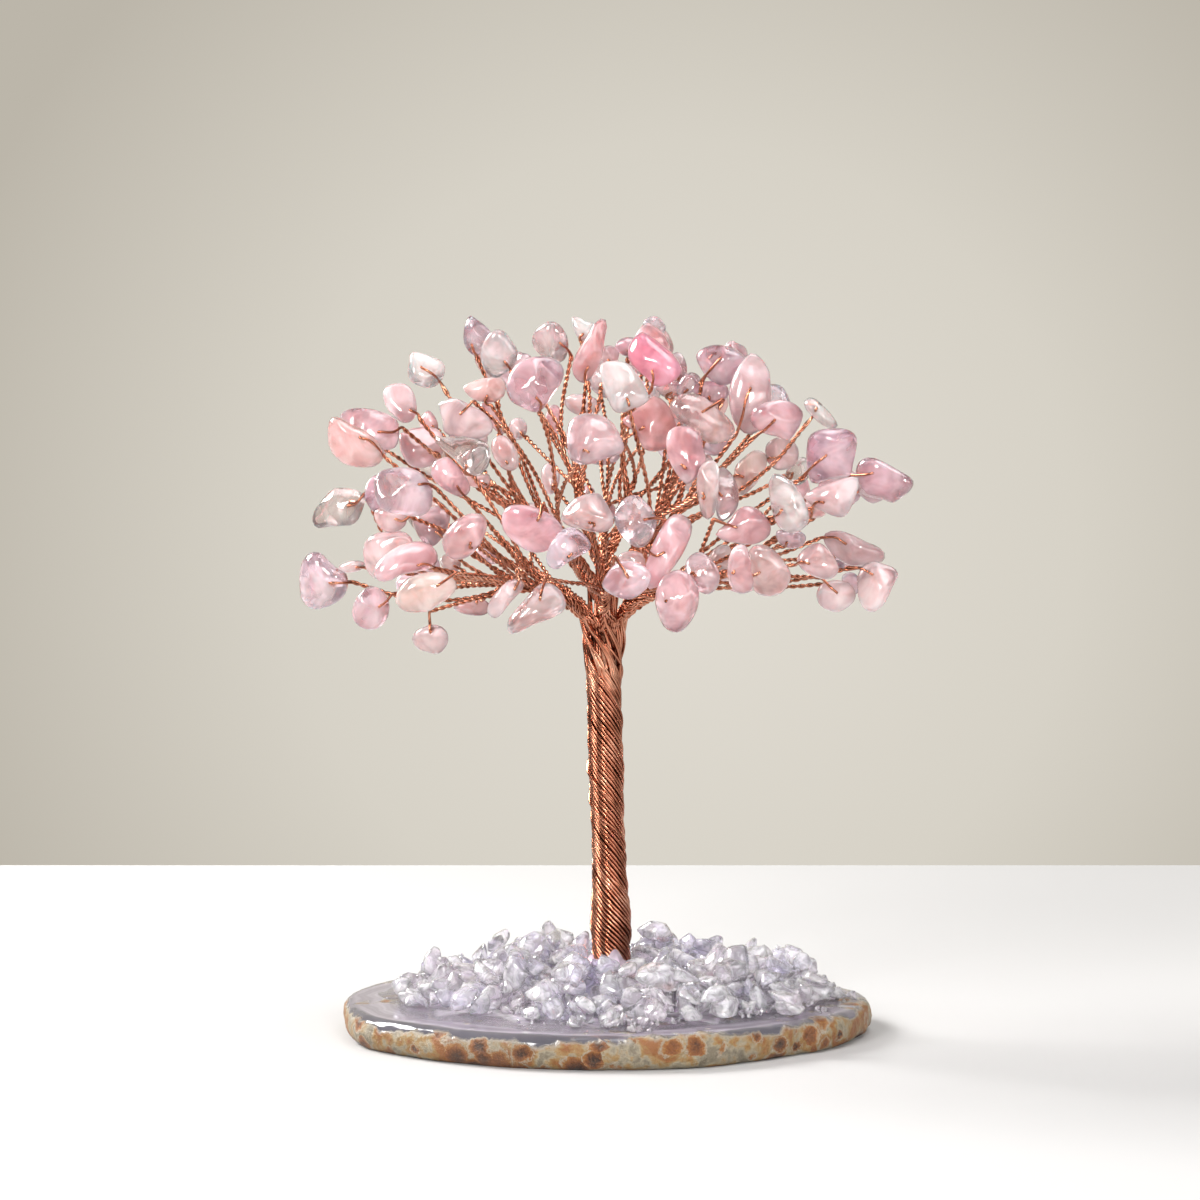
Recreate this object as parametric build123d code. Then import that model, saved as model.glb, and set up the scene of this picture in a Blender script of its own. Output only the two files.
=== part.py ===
from build123d import *
import math
import os

os.makedirs("parts", exist_ok=True)

# Gemstone tree ornament. Millimetres, +Z up, +X to the right, the viewer stands on the -Y side.
# The origin is the middle of the underside of the agate slice.

# driving dimensions
SLICE_HALF_X = 45.6      # agate slice, half length
SLICE_HALF_Y = 37.5      # agate slice, half depth
SLICE_T = 5.6            # agate slice, thickness
SLICE_EDGE_R = 1.3       # rounding of the natural rim
GLUE_T = 0.8             # clear glue bed under the crushed quartz
FOOT_R = 3.2             # trunk rope radius at its foot
COLLAR_H = 5.5           # glue collar round the trunk foot
TWIG_R = 0.4             # twisted pair of copper wires
WIRE_R = 0.2             # single copper wire
HOLE_R = 0.34            # hole drilled through a loosely hung stone
CROTCH_X = -0.8          # where the trunk rope parts into limbs
ROOT_WIRES = 10          # splayed wire ends in the glue

# each limb: root of the bundle, bend control, end of the bundle, bundle radius, heading in degrees
# each stone: name, limb, middle, half thickness, slant in x, slant in z, drilled hole (loose stones),
# twig start on the bundle, twig bend, twist end, wire end in the stone, outline about the middle (x, z)

LIMBS = {
    'right_low': ((3.79, -0.3, 72.5), (9.52, -0.68, 77.67), (21.06, -1.44, 78.7), 1.05, -3.8),
    'back_right_low': ((2.61, 3.09, 72.5), (7.19, 7.23, 78.05), (16.74, 15.88, 77.73), 1.04, 42.1),
    'back_low': ((-1.06, 4.59, 72.5), (-1.36, 10.01, 77.39), (-1.89, 19.51, 81.4), 0.85, 93.2),
    'back_left_low': ((-4.13, 3.18, 72.5), (-7.92, 6.79, 77.21), (-15.47, 14.0, 78.47), 1.05, 136.3),
    'left_low': ((-5.39, -0.35, 72.5), (-10.87, -0.76, 77.45), (-22.08, -1.6, 77.94), 1.05, -175.7),
    'front_left_low': ((-4.47, -2.77, 72.5), (-8.26, -5.64, 76.77), (-16.2, -11.64, 76.37), 1.04, -142.9),
    'front_low': ((-0.71, -4.6, 72.5), (-0.62, -8.91, 76.38), (-0.44, -17.43, 77.62), 1.05, -88.8),
    'front_right_low': ((2.76, -2.92, 72.5), (6.48, -5.97, 76.84), (13.9, -12.06, 78.01), 1.04, -39.4),
    'right_upper': ((2.45, 0.59, 78.5), (7.29, 1.46, 83.91), (14.1, 2.69, 91.26), 1.05, 10.2),
    'back_upper': ((-0.8, 3.3, 78.5), (-0.79, 8.35, 84.05), (-0.78, 15.4, 91.64), 1.05, 89.9),
    'left_upper': ((-4.05, 0.57, 78.5), (-9.26, 1.48, 84.32), (-16.61, 2.77, 92.2), 1.05, 170.1),
    'front_left_upper': ((-3.09, -2.38, 78.5), (-6.21, -5.63, 83.46), (-10.41, -10.0, 90.46), 0.95, -133.9),
    'front_right_upper': ((1.44, -2.42, 78.5), (4.41, -5.62, 83.29), (8.64, -10.18, 89.73), 1.04, -47.2),
    'crown_left': ((-2.19, -0.19, 83.0), (-5.35, -0.64, 89.39), (-5.69, 3.03, 99.33), 1.04, 188.0),
    'crown_right': ((0.59, 0.19, 83.0), (3.65, 0.63, 89.18), (4.71, 2.61, 98.76), 1.05, 8.0),
}
STONES = [
    ('S01', 'left_upper', (-30.89, -1.08, 113.41), 2.23, 0.278, 0.193, (-31.66, -1.2, 113.92), (-9.79, 1.58, 84.83), (-18.66, -3.95, 94.47), (-27.59, -0.89, 109.68), (-29.75, -1.02, 112.12),
     [(-3.15, -0.51), (-2.64, -1.87), (-1.28, -2.71), (0.25, -3.05), (1.61, -2.71), (2.8, -1.36), (3.15, 0.51), (2.3, 1.7), (-1.44, 3.05), (-2.63, 2.88)]),
    ('S02', 'left_upper', (-35.68, 3.6, 107.74), 1.79, -0.14, 0.261, None, (-12.39, 2.03, 87.66), (-22.88, 1.61, 92.1), (-32.09, 2.36, 104.92), (-34.08, 3.05, 106.48),
     [(2.75, 0.6), (2.06, 2.31), (0.87, 3.34), (-1.87, 3.17), (-2.91, 2.31), (-2.91, 0.77), (-2.23, -0.77), (0.51, -3.34), (2.05, -2.99), (2.91, -1.45)]),
    ('S03a', 'left_upper', (-40.55, -0.86, 103.31), 1.99, 0.225, 0.208, None, (-11.73, 1.91, 86.94), (-19.85, 6.17, 90.07), (-35.1, 0.42, 103.56), (-36.99, -0.03, 103.47),
     [(4.6, 1.45), (1.03, 3.32), (-3.39, 3.49), (-4.93, 2.64), (-4.93, 0.77), (-3.41, -1.1), (-0.01, -2.8), (3.05, -3.49), (4.59, -2.63), (4.93, -0.42)]),
    ('S03b', 'left_low', (-42.54, -6.6, 101.3), 3.0, -0.138, -0.155, None, (-14.03, -1.0, 76.83), (-26.35, -9.17, 89.47), (-37.49, -6.87, 98.53), (-39.17, -6.78, 99.45),
     [(3.54, 0.25), (1.53, 1.94), (-3.86, 4.29), (-4.71, 2.78), (-4.72, -0.42), (-3.71, -2.44), (-2.03, -3.79), (2.69, -4.29), (4.21, -3.45), (4.72, -1.77)]),
    ('S04', 'left_upper', (-31.46, 18.72, 104.51), 1.5, -0.038, 0.003, None, (-13.07, 2.15, 88.39), (-19.26, 8.74, 93.07), (-29.76, 17.19, 103.02), (-31.13, 18.42, 104.22),
     [(-0.18, -2.06), (1.4, -1.54), (1.58, -0.13), (0.88, 1.27), (0.01, 2.06), (-0.87, 1.62), (-1.58, 0.22), (-1.41, -1.36)]),
    ('S05', 'left_upper', (-32.18, 6.91, 100.18), 2.47, 0.347, 0.205, None, (-14.45, 2.39, 89.88), (-24.44, 5.67, 94.94), (-28.75, 6.04, 98.18), (-30.61, 6.51, 99.26),
     [(2.68, 3.19), (0.61, 3.53), (-1.98, 3.19), (-3.71, 2.33), (-3.2, -1.46), (-1.83, -3.19), (0.42, -3.53), (2.49, -2.67), (3.7, -0.77), (3.71, 1.64)]),
    ('S06', 'left_upper', (-22.67, 9.44, 119.46), 1.61, 0.342, -0.199, None, (-11.07, 1.8, 86.23), (-16.02, 10.48, 100.08), (-22.5, 10.31, 115.36), (-22.59, 9.86, 117.47),
     [(-1.39, -2.8), (-0.18, -3.49), (1.21, -2.46), (2.07, -0.9), (2.25, 0.82), (1.04, 2.03), (-1.2, 3.49), (-1.72, 2.72), (-2.25, 0.99), (-2.25, -1.25)]),
    ('S07', 'crown_left', (-18.47, -1.54, 116.16), 1.89, 0.079, -0.319, None, (-5.53, 2.02, 96.43), (-10.12, 1.5, 104.35), (-16.36, -0.96, 112.94), (-17.55, -1.28, 114.75),
     [(-1.78, 3.35), (-3.14, 0.64), (-3.14, -1.23), (-2.13, -3.26), (-0.77, -4.11), (1.1, -3.26), (2.63, -1.74), (3.14, 0.3), (0.94, 3.69), (-0.42, 4.11)]),
    ('S08', 'left_upper', (-21.25, 5.46, 110.15), 1.5, 0.01, -0.024, None, (-10.43, 1.69, 85.52), (-14.37, 1.65, 100.8), (-20.01, 5.03, 107.32), (-20.89, 5.33, 109.31),
     [(-0.43, -2.15), (1.63, -2.15), (3.18, -1.29), (3.7, 0.43), (3.01, 1.97), (1.29, 2.15), (-0.77, 1.8), (-2.66, 1.12), (-3.7, 0.26), (-2.32, -1.46)]),
    ('S09', 'front_left_upper', (-12.11, -19.44, 110.82), 3.4, 0.09, 0.01, None, (-8.78, -8.3, 87.74), (-8.6, -14.26, 100.05), (-11.44, -17.22, 106.21), (-11.73, -18.17, 108.17),
     [(-0.0, -4.65), (1.31, -4.07), (4.28, 0.21), (4.78, 2.02), (2.97, 4.32), (0.99, 4.65), (-2.8, 3.5), (-4.12, 1.85), (-4.78, -0.61), (-3.96, -2.75)]),
    ('S10', 'crown_left', (-10.0, 5.88, 118.26), 2.12, -0.177, -0.342, None, (-5.35, 1.45, 94.58), (-10.2, 2.94, 101.19), (-6.39, 6.16, 115.56), (-8.19, 6.02, 116.91),
     [(0.51, -3.56), (2.23, -3.22), (3.09, -1.67), (3.09, 0.56), (2.41, 2.1), (1.21, 3.3), (-0.17, 3.56), (-2.58, 1.93), (-3.09, 0.39), (-2.75, -0.98)]),
    ('S11', 'front_left_upper', (-23.64, -15.52, 105.18), 2.12, 0.134, -0.21, None, (-9.18, -8.71, 88.41), (-12.96, -8.58, 100.54), (-22.31, -15.92, 107.92), (-23.18, -15.66, 106.12),
     [(3.98, -0.08), (2.66, 1.24), (-0.82, 3.07), (-2.15, 3.4), (-4.48, 2.4), (-3.82, -1.91), (-2.66, -2.9), (1.82, -3.4), (3.48, -2.9), (4.48, -1.74)]),
    ('S12', 'front_left_low', (-24.51, -10.44, 98.9), 2.24, -0.347, 0.231, None, (-11.81, -8.32, 76.19), (-14.03, -11.86, 82.46), (-22.64, -10.13, 95.56), (-23.71, -10.31, 97.47),
     [(0.83, -2.68), (2.5, -3.35), (3.51, -2.85), (4.52, -1.51), (4.85, 0.5), (4.35, 2.01), (3.02, 2.85), (0.67, 3.18), (-4.85, 3.35), (-4.19, 1.84)]),
    ('S13', 'left_upper', (-17.47, -4.67, 99.35), 1.5, -0.163, 0.266, None, (-15.88, 2.64, 91.42), (-16.65, 0.69, 93.76), (-17.09, -2.93, 97.47), (-17.41, -4.41, 99.07),
     [(-1.86, -0.84), (-0.51, -2.54), (1.01, -3.04), (2.2, -2.37), (2.37, -0.84), (1.69, 1.01), (0.51, 2.54), (-1.01, 3.04), (-2.2, 2.03), (-2.37, 0.68)]),
    ('S14', 'left_upper', (-19.69, 7.42, 105.26), 1.66, 0.243, 0.098, None, (-15.16, 2.52, 90.65), (-17.11, 4.37, 96.62), (-18.76, 6.42, 102.26), (-19.38, 7.09, 104.26),
     [(1.72, -0.86), (0.69, 0.86), (-0.51, 2.41), (-1.55, 2.76), (-2.41, 2.07), (-1.55, 0.0), (-0.18, -1.72), (1.2, -2.76), (2.41, -2.24)]),
    ('S15', 'back_upper', (-16.15, 29.33, 103.29), 1.5, -0.286, 0.029, None, (-0.79, 12.66, 88.69), (-7.36, 18.71, 94.61), (-14.57, 27.61, 101.78), (-15.82, 28.97, 102.97),
     [(-0.8, 1.79), (-1.7, 0.36), (-0.99, -1.43), (0.44, -1.96), (1.52, -0.89), (1.7, 0.71), (0.63, 1.96)]),
    ('S16', 'back_upper', (-9.63, 29.62, 104.63), 1.5, 0.26, -0.097, None, (-0.79, 13.33, 89.41), (-4.68, 20.01, 95.33), (-8.72, 27.94, 103.06), (-9.53, 29.44, 104.45),
     [(-1.43, -1.7), (-0.18, -2.95), (1.07, -1.52), (1.43, 0.63), (0.9, 2.59), (-0.36, 2.95), (-1.43, 1.16)]),
    ('S17', 'crown_left', (-14.89, 1.74, 114.47), 1.5, -0.309, -0.079, None, (-5.65, 2.67, 98.35), (-6.95, 2.54, 101.78), (-13.84, 1.84, 112.64), (-14.89, 1.74, 114.47),
     [(-1.88, -1.19), (-0.51, -1.87), (1.2, -0.68), (1.88, 1.02), (0.69, 1.87), (-0.85, 1.7), (-1.88, 0.34)]),
    ('S18', 'left_low', (-45.93, -0.13, 89.93), 2.19, -0.245, 0.221, None, (-22.08, -1.6, 77.94), (-36.67, -1.67, 75.92), (-41.32, -0.73, 92.31), (-42.75, -0.54, 91.57),
     [(-0.67, 3.41), (-1.87, 2.56), (-4.27, -0.51), (-4.61, -2.22), (-3.77, -3.41), (2.21, -2.9), (3.41, -1.88), (4.27, 0.17), (4.61, 2.05), (3.08, 3.07)]),
    ('S19', 'front_left_low', (-33.92, -17.73, 93.07), 2.78, 0.335, 0.063, None, (-12.49, -8.84, 76.28), (-21.42, -12.06, 85.58), (-28.38, -15.86, 93.36), (-30.47, -16.56, 93.25),
     [(4.71, 0.46), (3.73, 2.28), (2.08, 3.6), (0.09, 4.1), (-3.72, 3.43), (-4.71, 1.95), (-4.07, -2.19), (-2.58, -3.35), (2.39, -4.1), (4.04, -3.35)]),
    ('S20', 'left_low', (-39.66, -2.04, 92.44), 1.5, 0.097, 0.124, None, (-14.94, -1.06, 77.05), (-26.82, 4.61, 83.51), (-37.45, -1.95, 91.07), (-39.32, -2.03, 92.23),
     [(-1.2, -1.95), (-0.18, -3.14), (1.18, -2.12), (1.7, 0.26), (1.37, 2.64), (0.01, 3.14), (-1.18, 2.13), (-1.7, 0.6), (-1.7, -0.76)]),
    ('S21', 'left_low', (-36.63, -8.71, 88.09), 1.5, -0.042, -0.182, None, (-18.85, -1.36, 77.69), (-23.48, -8.38, 85.63), (-33.19, -8.96, 88.64), (-35.28, -8.81, 88.3),
     [(2.1, -1.3), (2.77, 0.04), (2.27, 1.39), (0.26, 2.06), (-1.76, 2.06), (-2.77, 1.22), (-2.27, -0.63), (-1.1, -1.81), (0.58, -2.06)]),
    ('S22', 'left_low', (-30.03, -4.41, 86.99), 2.15, -0.282, 0.327, None, (-20.98, -1.52, 77.88), (-26.07, -2.75, 81.48), (-27.94, -3.74, 84.88), (-29.45, -4.22, 86.41),
     [(-1.2, -2.88), (0.33, -3.39), (1.35, -2.71), (3.22, 0.85), (3.05, 2.37), (1.7, 3.39), (0.17, 3.22), (-1.86, 2.37), (-3.22, 1.36), (-2.38, -1.35)]),
    ('S23', 'front_left_low', (-23.48, -26.99, 85.98), 2.35, 0.12, -0.14, None, (-13.19, -9.36, 76.35), (-15.55, -15.75, 79.2), (-21.74, -23.99, 84.34), (-22.74, -25.71, 85.28),
     [(-1.23, -3.83), (0.56, -3.34), (2.03, -2.04), (3.67, 1.88), (3.18, 3.34), (1.72, 3.83), (-1.54, 2.53), (-3.01, 0.9), (-3.67, -0.9), (-2.86, -3.18)]),
    ('S24', 'left_low', (-37.16, -5.8, 82.04), 3.31, 0.114, -0.258, None, (-19.9, -1.44, 77.79), (-26.1, -4.19, 77.8), (-32.71, -4.67, 80.94), (-34.78, -5.2, 81.45),
     [(-1.79, -4.15), (1.09, -3.3), (3.63, -1.1), (4.31, 1.44), (3.81, 3.13), (2.29, 4.15), (-2.44, 3.64), (-3.8, 2.45), (-4.31, 0.42), (-3.65, -2.62)]),
    ('S25', 'front_left_low', (-33.61, -18.15, 81.58), 2.64, 0.311, 0.283, None, (-13.91, -9.91, 76.39), (-19.87, -11.75, 78.25), (-28.85, -16.16, 80.32), (-30.82, -16.99, 80.84),
     [(-2.39, 1.86), (-4.38, 0.21), (-5.22, -1.78), (-4.39, -3.11), (-2.74, -3.27), (4.06, -1.28), (5.22, -0.12), (5.06, 1.53), (3.74, 2.86), (1.75, 3.27)]),
    ('S26', 'left_low', (-48.48, -0.88, 77.41), 3.03, -0.248, -0.215, (-47.29, -1.16, 77.32), (-15.87, -1.13, 77.24), (-28.45, -1.47, 70.99), (-43.36, -2.13, 77.32), (-45.53, -1.6, 77.36),
     [(-0.32, 4.87), (-2.71, 4.7), (-4.26, 1.28), (-4.11, -2.82), (-3.26, -4.18), (-1.73, -4.87), (2.03, -3.67), (3.57, -2.3), (4.26, -0.25), (3.76, 1.62)]),
    ('S27', 'left_low', (-39.89, -11.08, 73.4), 2.55, 0.037, -0.224, None, (-16.83, -1.21, 77.41), (-25.11, -4.64, 76.51), (-36.11, -11.47, 75.79), (-38.2, -11.26, 74.47),
     [(1.08, -3.49), (2.42, -2.31), (3.1, -0.8), (3.11, 1.05), (2.44, 2.56), (-0.24, 3.65), (-1.58, 2.73), (-3.11, -0.63), (-2.11, -2.98), (-0.6, -3.65)]),
    ('S28', 'front_left_low', (-29.95, -22.12, 76.76), 2.75, 0.099, 0.049, None, (-14.66, -10.47, 76.41), (-15.77, -12.02, 79.0), (-25.08, -21.5, 79.64), (-27.04, -21.75, 78.48),
     [(2.56, 3.05), (0.26, 3.21), (-3.53, 1.89), (-4.69, 0.25), (-5.02, -1.73), (-3.71, -3.21), (0.57, -3.21), (3.87, -0.91), (5.02, 0.74), (4.37, 2.22)]),
    ('S29', 'front_left_low', (-29.63, -16.34, 68.52), 1.65, -0.062, -0.182, (-29.5, -16.57, 69.73), (-15.42, -11.05, 76.4), (-24.46, -15.64, 74.77), (-29.49, -17.2, 73.23), (-29.6, -16.54, 69.6),
     [(-2.21, -1.46), (-0.55, -2.21), (1.28, -2.46), (2.45, -1.46), (3.03, -0.12), (2.79, 1.21), (1.79, 2.21), (0.3, 2.46), (-2.53, 1.21), (-3.03, -0.12)]),
    ('S30', 'front_left_low', (-26.32, -13.5, 95.44), 1.88, 0.263, -0.023, None, (-11.15, -7.82, 76.08), (-17.31, -10.13, 83.94), (-23.46, -12.43, 91.79), (-24.78, -12.93, 93.48),
     [(-2.75, -0.5), (-0.09, -2.67), (1.58, -3.33), (2.91, -2.83), (3.25, -1.33), (2.25, 0.5), (0.92, 2.17), (-0.41, 3.33), (-2.74, 2.5), (-3.25, 1.0)]),
    ('S31', 'left_upper', (-22.33, -1.5, 94.73), 1.5, -0.124, 0.176, None, (-16.61, 2.77, 92.2), (-18.65, 0.75, 93.52), (-20.4, -0.06, 93.87), (-22.06, -1.3, 94.61),
     [(-1.87, -0.68), (-0.68, -1.19), (1.19, -1.36), (2.21, -0.51), (2.04, 0.85), (-1.19, 1.36), (-2.21, 0.34)]),
    ('S32', 'front_low', (-12.21, -32.53, 87.42), 2.32, -0.089, -0.329, None, (-0.54, -12.7, 76.64), (-9.47, -23.56, 86.96), (-10.59, -33.99, 91.41), (-11.43, -33.23, 89.34),
     [(-4.2, -1.17), (-0.81, -3.67), (1.13, -3.91), (4.36, -2.14), (5.0, -0.52), (4.2, 1.09), (0.81, 3.35), (-2.9, 3.91), (-5.0, 2.22), (-5.0, 0.28)]),
    ('S33', 'front_low', (-6.46, -35.82, 84.39), 2.08, 0.327, 0.11, None, (-0.61, -9.33, 75.46), (-6.02, -20.55, 78.09), (-5.8, -32.83, 83.38), (-6.25, -34.87, 84.07),
     [(-1.36, 2.77), (-3.29, -0.12), (-3.61, -1.89), (-2.97, -3.01), (-1.69, -3.33), (3.29, -0.44), (3.61, 0.68), (2.65, 2.13), (1.37, 3.17), (-0.08, 3.33)]),
    ('S34', 'front_left_low', (-17.04, -21.73, 75.59), 2.06, 0.017, 0.261, None, (-16.2, -11.64, 76.37), (-14.96, -17.57, 78.2), (-15.22, -20.47, 80.28), (-16.31, -21.22, 77.47),
     [(-1.65, -3.21), (-0.66, -2.72), (2.97, 1.57), (2.97, 2.72), (1.82, 3.21), (0.5, 2.89), (-0.99, 1.57), (-2.31, -0.08), (-2.97, -1.73), (-2.64, -2.72)]),
    ('S35', 'front_low', (-11.72, -29.2, 74.31), 2.85, 0.063, 0.129, None, (-0.46, -16.59, 77.49), (-5.01, -23.1, 77.82), (-10.17, -28.48, 79.15), (-10.78, -28.77, 77.24),
     [(1.87, -1.83), (3.82, -0.85), (4.8, 0.29), (3.82, 3.05), (2.52, 4.03), (1.06, 4.19), (-0.24, 3.38), (-4.47, -1.5), (-4.8, -3.3), (-3.82, -4.19)]),
    ('S36', 'back_left_low', (-24.05, 21.01, 72.04), 1.5, 0.013, 0.186, None, (-14.72, 13.28, 78.33), (-17.62, 14.94, 76.58), (-22.22, 19.5, 73.27), (-23.72, 20.74, 72.26),
     [(-2.66, -0.89), (-0.71, -1.59), (2.12, -1.59), (3.36, -0.35), (2.3, 1.06), (0.0, 1.59), (-2.12, 1.24), (-3.36, 0.0)]),
    ('S37', 'back_left_low', (-21.48, 21.43, 81.14), 1.5, -0.244, 0.303, None, (-15.47, 14.0, 78.47), (-17.48, 16.59, 79.49), (-19.59, 19.1, 80.3), (-20.93, 20.75, 80.89),
     [(0.97, 1.33), (-0.79, 1.68), (-2.21, 0.97), (-1.86, -0.44), (-0.45, -1.5), (1.5, -1.68), (2.21, -0.27)]),
    ('S38', 'left_low', (-27.0, 1.63, 80.38), 1.5, 0.177, 0.217, None, (-22.08, -1.6, 77.94), (-23.81, -0.41, 78.4), (-25.08, 0.37, 79.42), (-26.78, 1.48, 80.26),
     [(0.94, 1.11), (-0.77, 1.63), (-1.8, 0.6), (-0.95, -1.29), (0.77, -1.63), (1.8, -0.26)]),
    ('S39', 'back_low', (-3.65, 32.94, 91.95), 1.5, -0.057, 0.221, None, (-1.83, 18.57, 81.0), (-2.75, 27.15, 86.79), (-3.42, 31.1, 90.55), (-3.64, 32.84, 91.87),
     [(-0.81, -0.9), (0.45, -1.08), (1.35, 0.0), (0.63, 1.08), (-0.63, 1.08), (-1.35, 0.0)]),
    ('S40', 'crown_left', (-4.36, 13.99, 120.83), 1.5, 0.09, 0.205, None, (-5.44, 1.73, 95.5), (-1.39, 6.31, 103.48), (-4.47, 12.71, 118.18), (-4.39, 13.66, 120.16),
     [(1.92, 0.96), (-0.87, 2.0), (-2.09, 1.82), (-1.57, -0.43), (-0.52, -2.0), (0.87, -2.0), (2.09, -0.26)]),
    ('S41', 'crown_left', (-3.11, 3.78, 116.76), 2.13, 0.158, -0.192, None, (-5.6, 2.34, 97.38), (-4.47, 2.29, 103.51), (-3.84, 3.36, 111.1), (-3.56, 3.52, 113.27),
     [(-0.69, -5.51), (0.86, -3.63), (2.06, -1.24), (3.08, 4.91), (2.06, 5.51), (1.03, 5.09), (-1.37, 1.16), (-2.57, -0.89), (-3.08, -3.29), (-2.23, -5.0)]),
    ('S42', 'crown_left', (0.26, 14.05, 116.13), 1.5, -0.096, -0.224, None, (-4.97, 0.75, 91.95), (-3.67, 6.59, 99.6), (-0.17, 12.95, 114.14), (0.23, 13.99, 116.04),
     [(-1.31, -0.96), (-0.09, -1.65), (1.31, -0.96), (1.66, 0.61), (0.61, 1.65), (-0.78, 1.65), (-1.66, 0.61)]),
    ('S43', 'crown_right', (3.37, 10.95, 117.64), 1.5, 0.314, 0.051, None, (4.05, 1.72, 94.18), (1.18, 7.27, 98.59), (3.43, 10.06, 115.37), (3.37, 10.86, 117.41),
     [(1.82, 1.3), (0.09, 1.64), (-1.47, 1.12), (-2.17, -0.09), (-0.95, -1.47), (0.95, -1.64), (2.17, -0.26)]),
    ('S44', 'crown_right', (7.74, -8.9, 115.02), 2.93, -0.16, 0.316, None, (3.35, 1.14, 90.83), (0.23, -4.34, 107.04), (6.99, -10.44, 109.79), (7.36, -9.68, 112.36),
     [(-4.45, 1.8), (-4.28, -0.04), (-0.08, -4.39), (1.6, -4.39), (3.27, -3.56), (4.45, -2.22), (4.28, -0.71), (3.1, 0.96), (-0.26, 3.81), (-2.77, 4.39)]),
    ('S45', 'crown_right', (7.49, 2.36, 118.66), 1.9, 0.336, 0.011, None, (3.89, 1.56, 93.32), (-0.56, -1.25, 101.76), (7.03, 2.26, 115.43), (7.34, 2.33, 117.6),
     [(-2.73, -1.11), (-1.2, -2.13), (1.37, -2.81), (3.08, -1.96), (2.73, -0.26), (1.71, 1.28), (0.17, 2.47), (-1.03, 2.81), (-2.05, 1.96), (-3.08, 0.26)]),
    ('S46', 'crown_right', (8.05, 11.43, 121.37), 1.5, 0.278, 0.17, None, (2.94, 0.9, 89.25), (-0.29, 3.14, 92.94), (7.68, 10.66, 119.01), (8.01, 11.33, 121.07),
     [(-1.65, -0.69), (-0.26, -1.56), (1.3, -1.56), (2.0, -0.52), (1.3, 0.87), (0.26, 1.56), (-0.96, 1.38), (-2.0, 0.52)]),
    ('S47', 'right_upper', (12.07, 8.39, 114.05), 1.5, -0.051, 0.265, None, (8.97, 1.76, 85.69), (9.5, 9.67, 104.8), (11.74, 7.7, 111.08), (11.98, 8.19, 113.21),
     [(0.18, -2.58), (1.38, -1.9), (1.55, 0.0), (1.03, 1.72), (-0.0, 2.58), (-1.21, 2.07), (-1.55, 0.69), (-1.03, -1.21)]),
    ('S47b', 'right_upper', (10.9, 5.94, 110.33), 1.5, 0.296, -0.302, None, (9.57, 1.87, 86.35), (12.26, 3.49, 95.04), (10.78, 5.57, 108.16), (10.9, 5.94, 110.32),
     [(-1.63, -1.29), (0.43, -1.46), (2.5, -0.77), (2.84, 0.77), (0.77, 1.46), (-1.29, 1.46), (-2.84, 0.43)]),
    ('S48', 'front_right_upper', (2.63, -20.1, 110.32), 2.81, 0.014, 0.316, None, (7.4, -8.84, 87.83), (7.0, -10.01, 93.38), (3.36, -18.38, 106.88), (2.95, -19.34, 108.81),
     [(3.54, -0.12), (1.07, 3.49), (-0.25, 4.31), (-3.38, 4.15), (-4.03, 3.16), (-3.7, 0.54), (-1.89, -3.74), (-0.58, -4.31), (3.05, -2.92), (4.03, -1.93)]),
    ('S49', 'crown_right', (6.82, -9.35, 104.34), 2.87, 0.214, 0.124, None, (4.34, 2.05, 95.96), (4.49, -3.13, 97.9), (2.46, -10.65, 101.41), (5.13, -9.85, 103.2),
     [(3.36, -3.94), (4.53, -2.26), (4.53, 0.25), (3.69, 2.43), (2.18, 4.11), (0.5, 4.61), (-4.53, 0.42), (-1.34, -3.6), (-0.17, -4.61), (1.68, -4.61)]),
    ('S50', 'front_left_upper', (-2.13, -29.2, 101.74), 3.29, 0.091, 0.33, None, (-9.59, -9.14, 89.08), (-6.44, -22.2, 97.32), (-3.38, -25.82, 99.61), (-2.72, -27.6, 100.73),
     [(2.67, 2.88), (0.89, 4.01), (-2.84, 4.01), (-4.13, 3.04), (-4.62, 1.26), (-4.3, -2.63), (-3.16, -3.77), (-1.38, -4.01), (4.3, -2.14), (4.62, -0.85)]),
    ('S51', 'crown_left', (-4.36, 13.69, 107.52), 1.5, -0.071, -0.208, None, (-5.69, 3.03, 99.33), (-5.44, 6.9, 103.18), (-4.61, 11.74, 106.03), (-4.39, 13.48, 107.36),
     [(0.17, -1.91), (2.44, -1.57), (3.31, -0.17), (2.09, 1.22), (-0.17, 1.91), (-2.27, 1.74), (-3.31, 0.52), (-2.09, -1.22)]),
    ('S52', 'front_right_upper', (12.75, -21.01, 99.23), 1.94, -0.201, 0.291, None, (8.22, -9.73, 89.09), (10.98, -15.25, 94.58), (11.83, -18.72, 97.17), (12.46, -20.29, 98.58),
     [(2.3, 3.41), (-0.33, 4.81), (-2.96, 3.74), (-3.29, 2.1), (-2.63, -1.35), (-1.31, -3.49), (0.01, -4.81), (1.32, -4.15), (2.64, -2.67), (3.29, -0.86)]),
    ('S53', 'right_upper', (19.13, -2.19, 114.2), 2.77, -0.271, 0.073, None, (6.08, 1.24, 82.52), (15.31, -4.73, 100.86), (15.91, -1.52, 111.36), (17.82, -1.92, 113.05),
     [(2.38, -2.67), (3.91, -0.97), (4.24, 0.89), (3.05, 2.24), (-0.51, 3.51), (-3.56, 2.58), (-4.24, 1.4), (-3.39, -0.63), (-1.86, -2.5), (0.18, -3.51)]),
    ('S54', 'right_upper', (23.82, -7.72, 109.41), 2.45, 0.066, 0.111, None, (10.19, 1.98, 87.02), (14.09, -1.94, 92.07), (21.48, -8.64, 102.57), (22.29, -8.33, 104.92),
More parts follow.
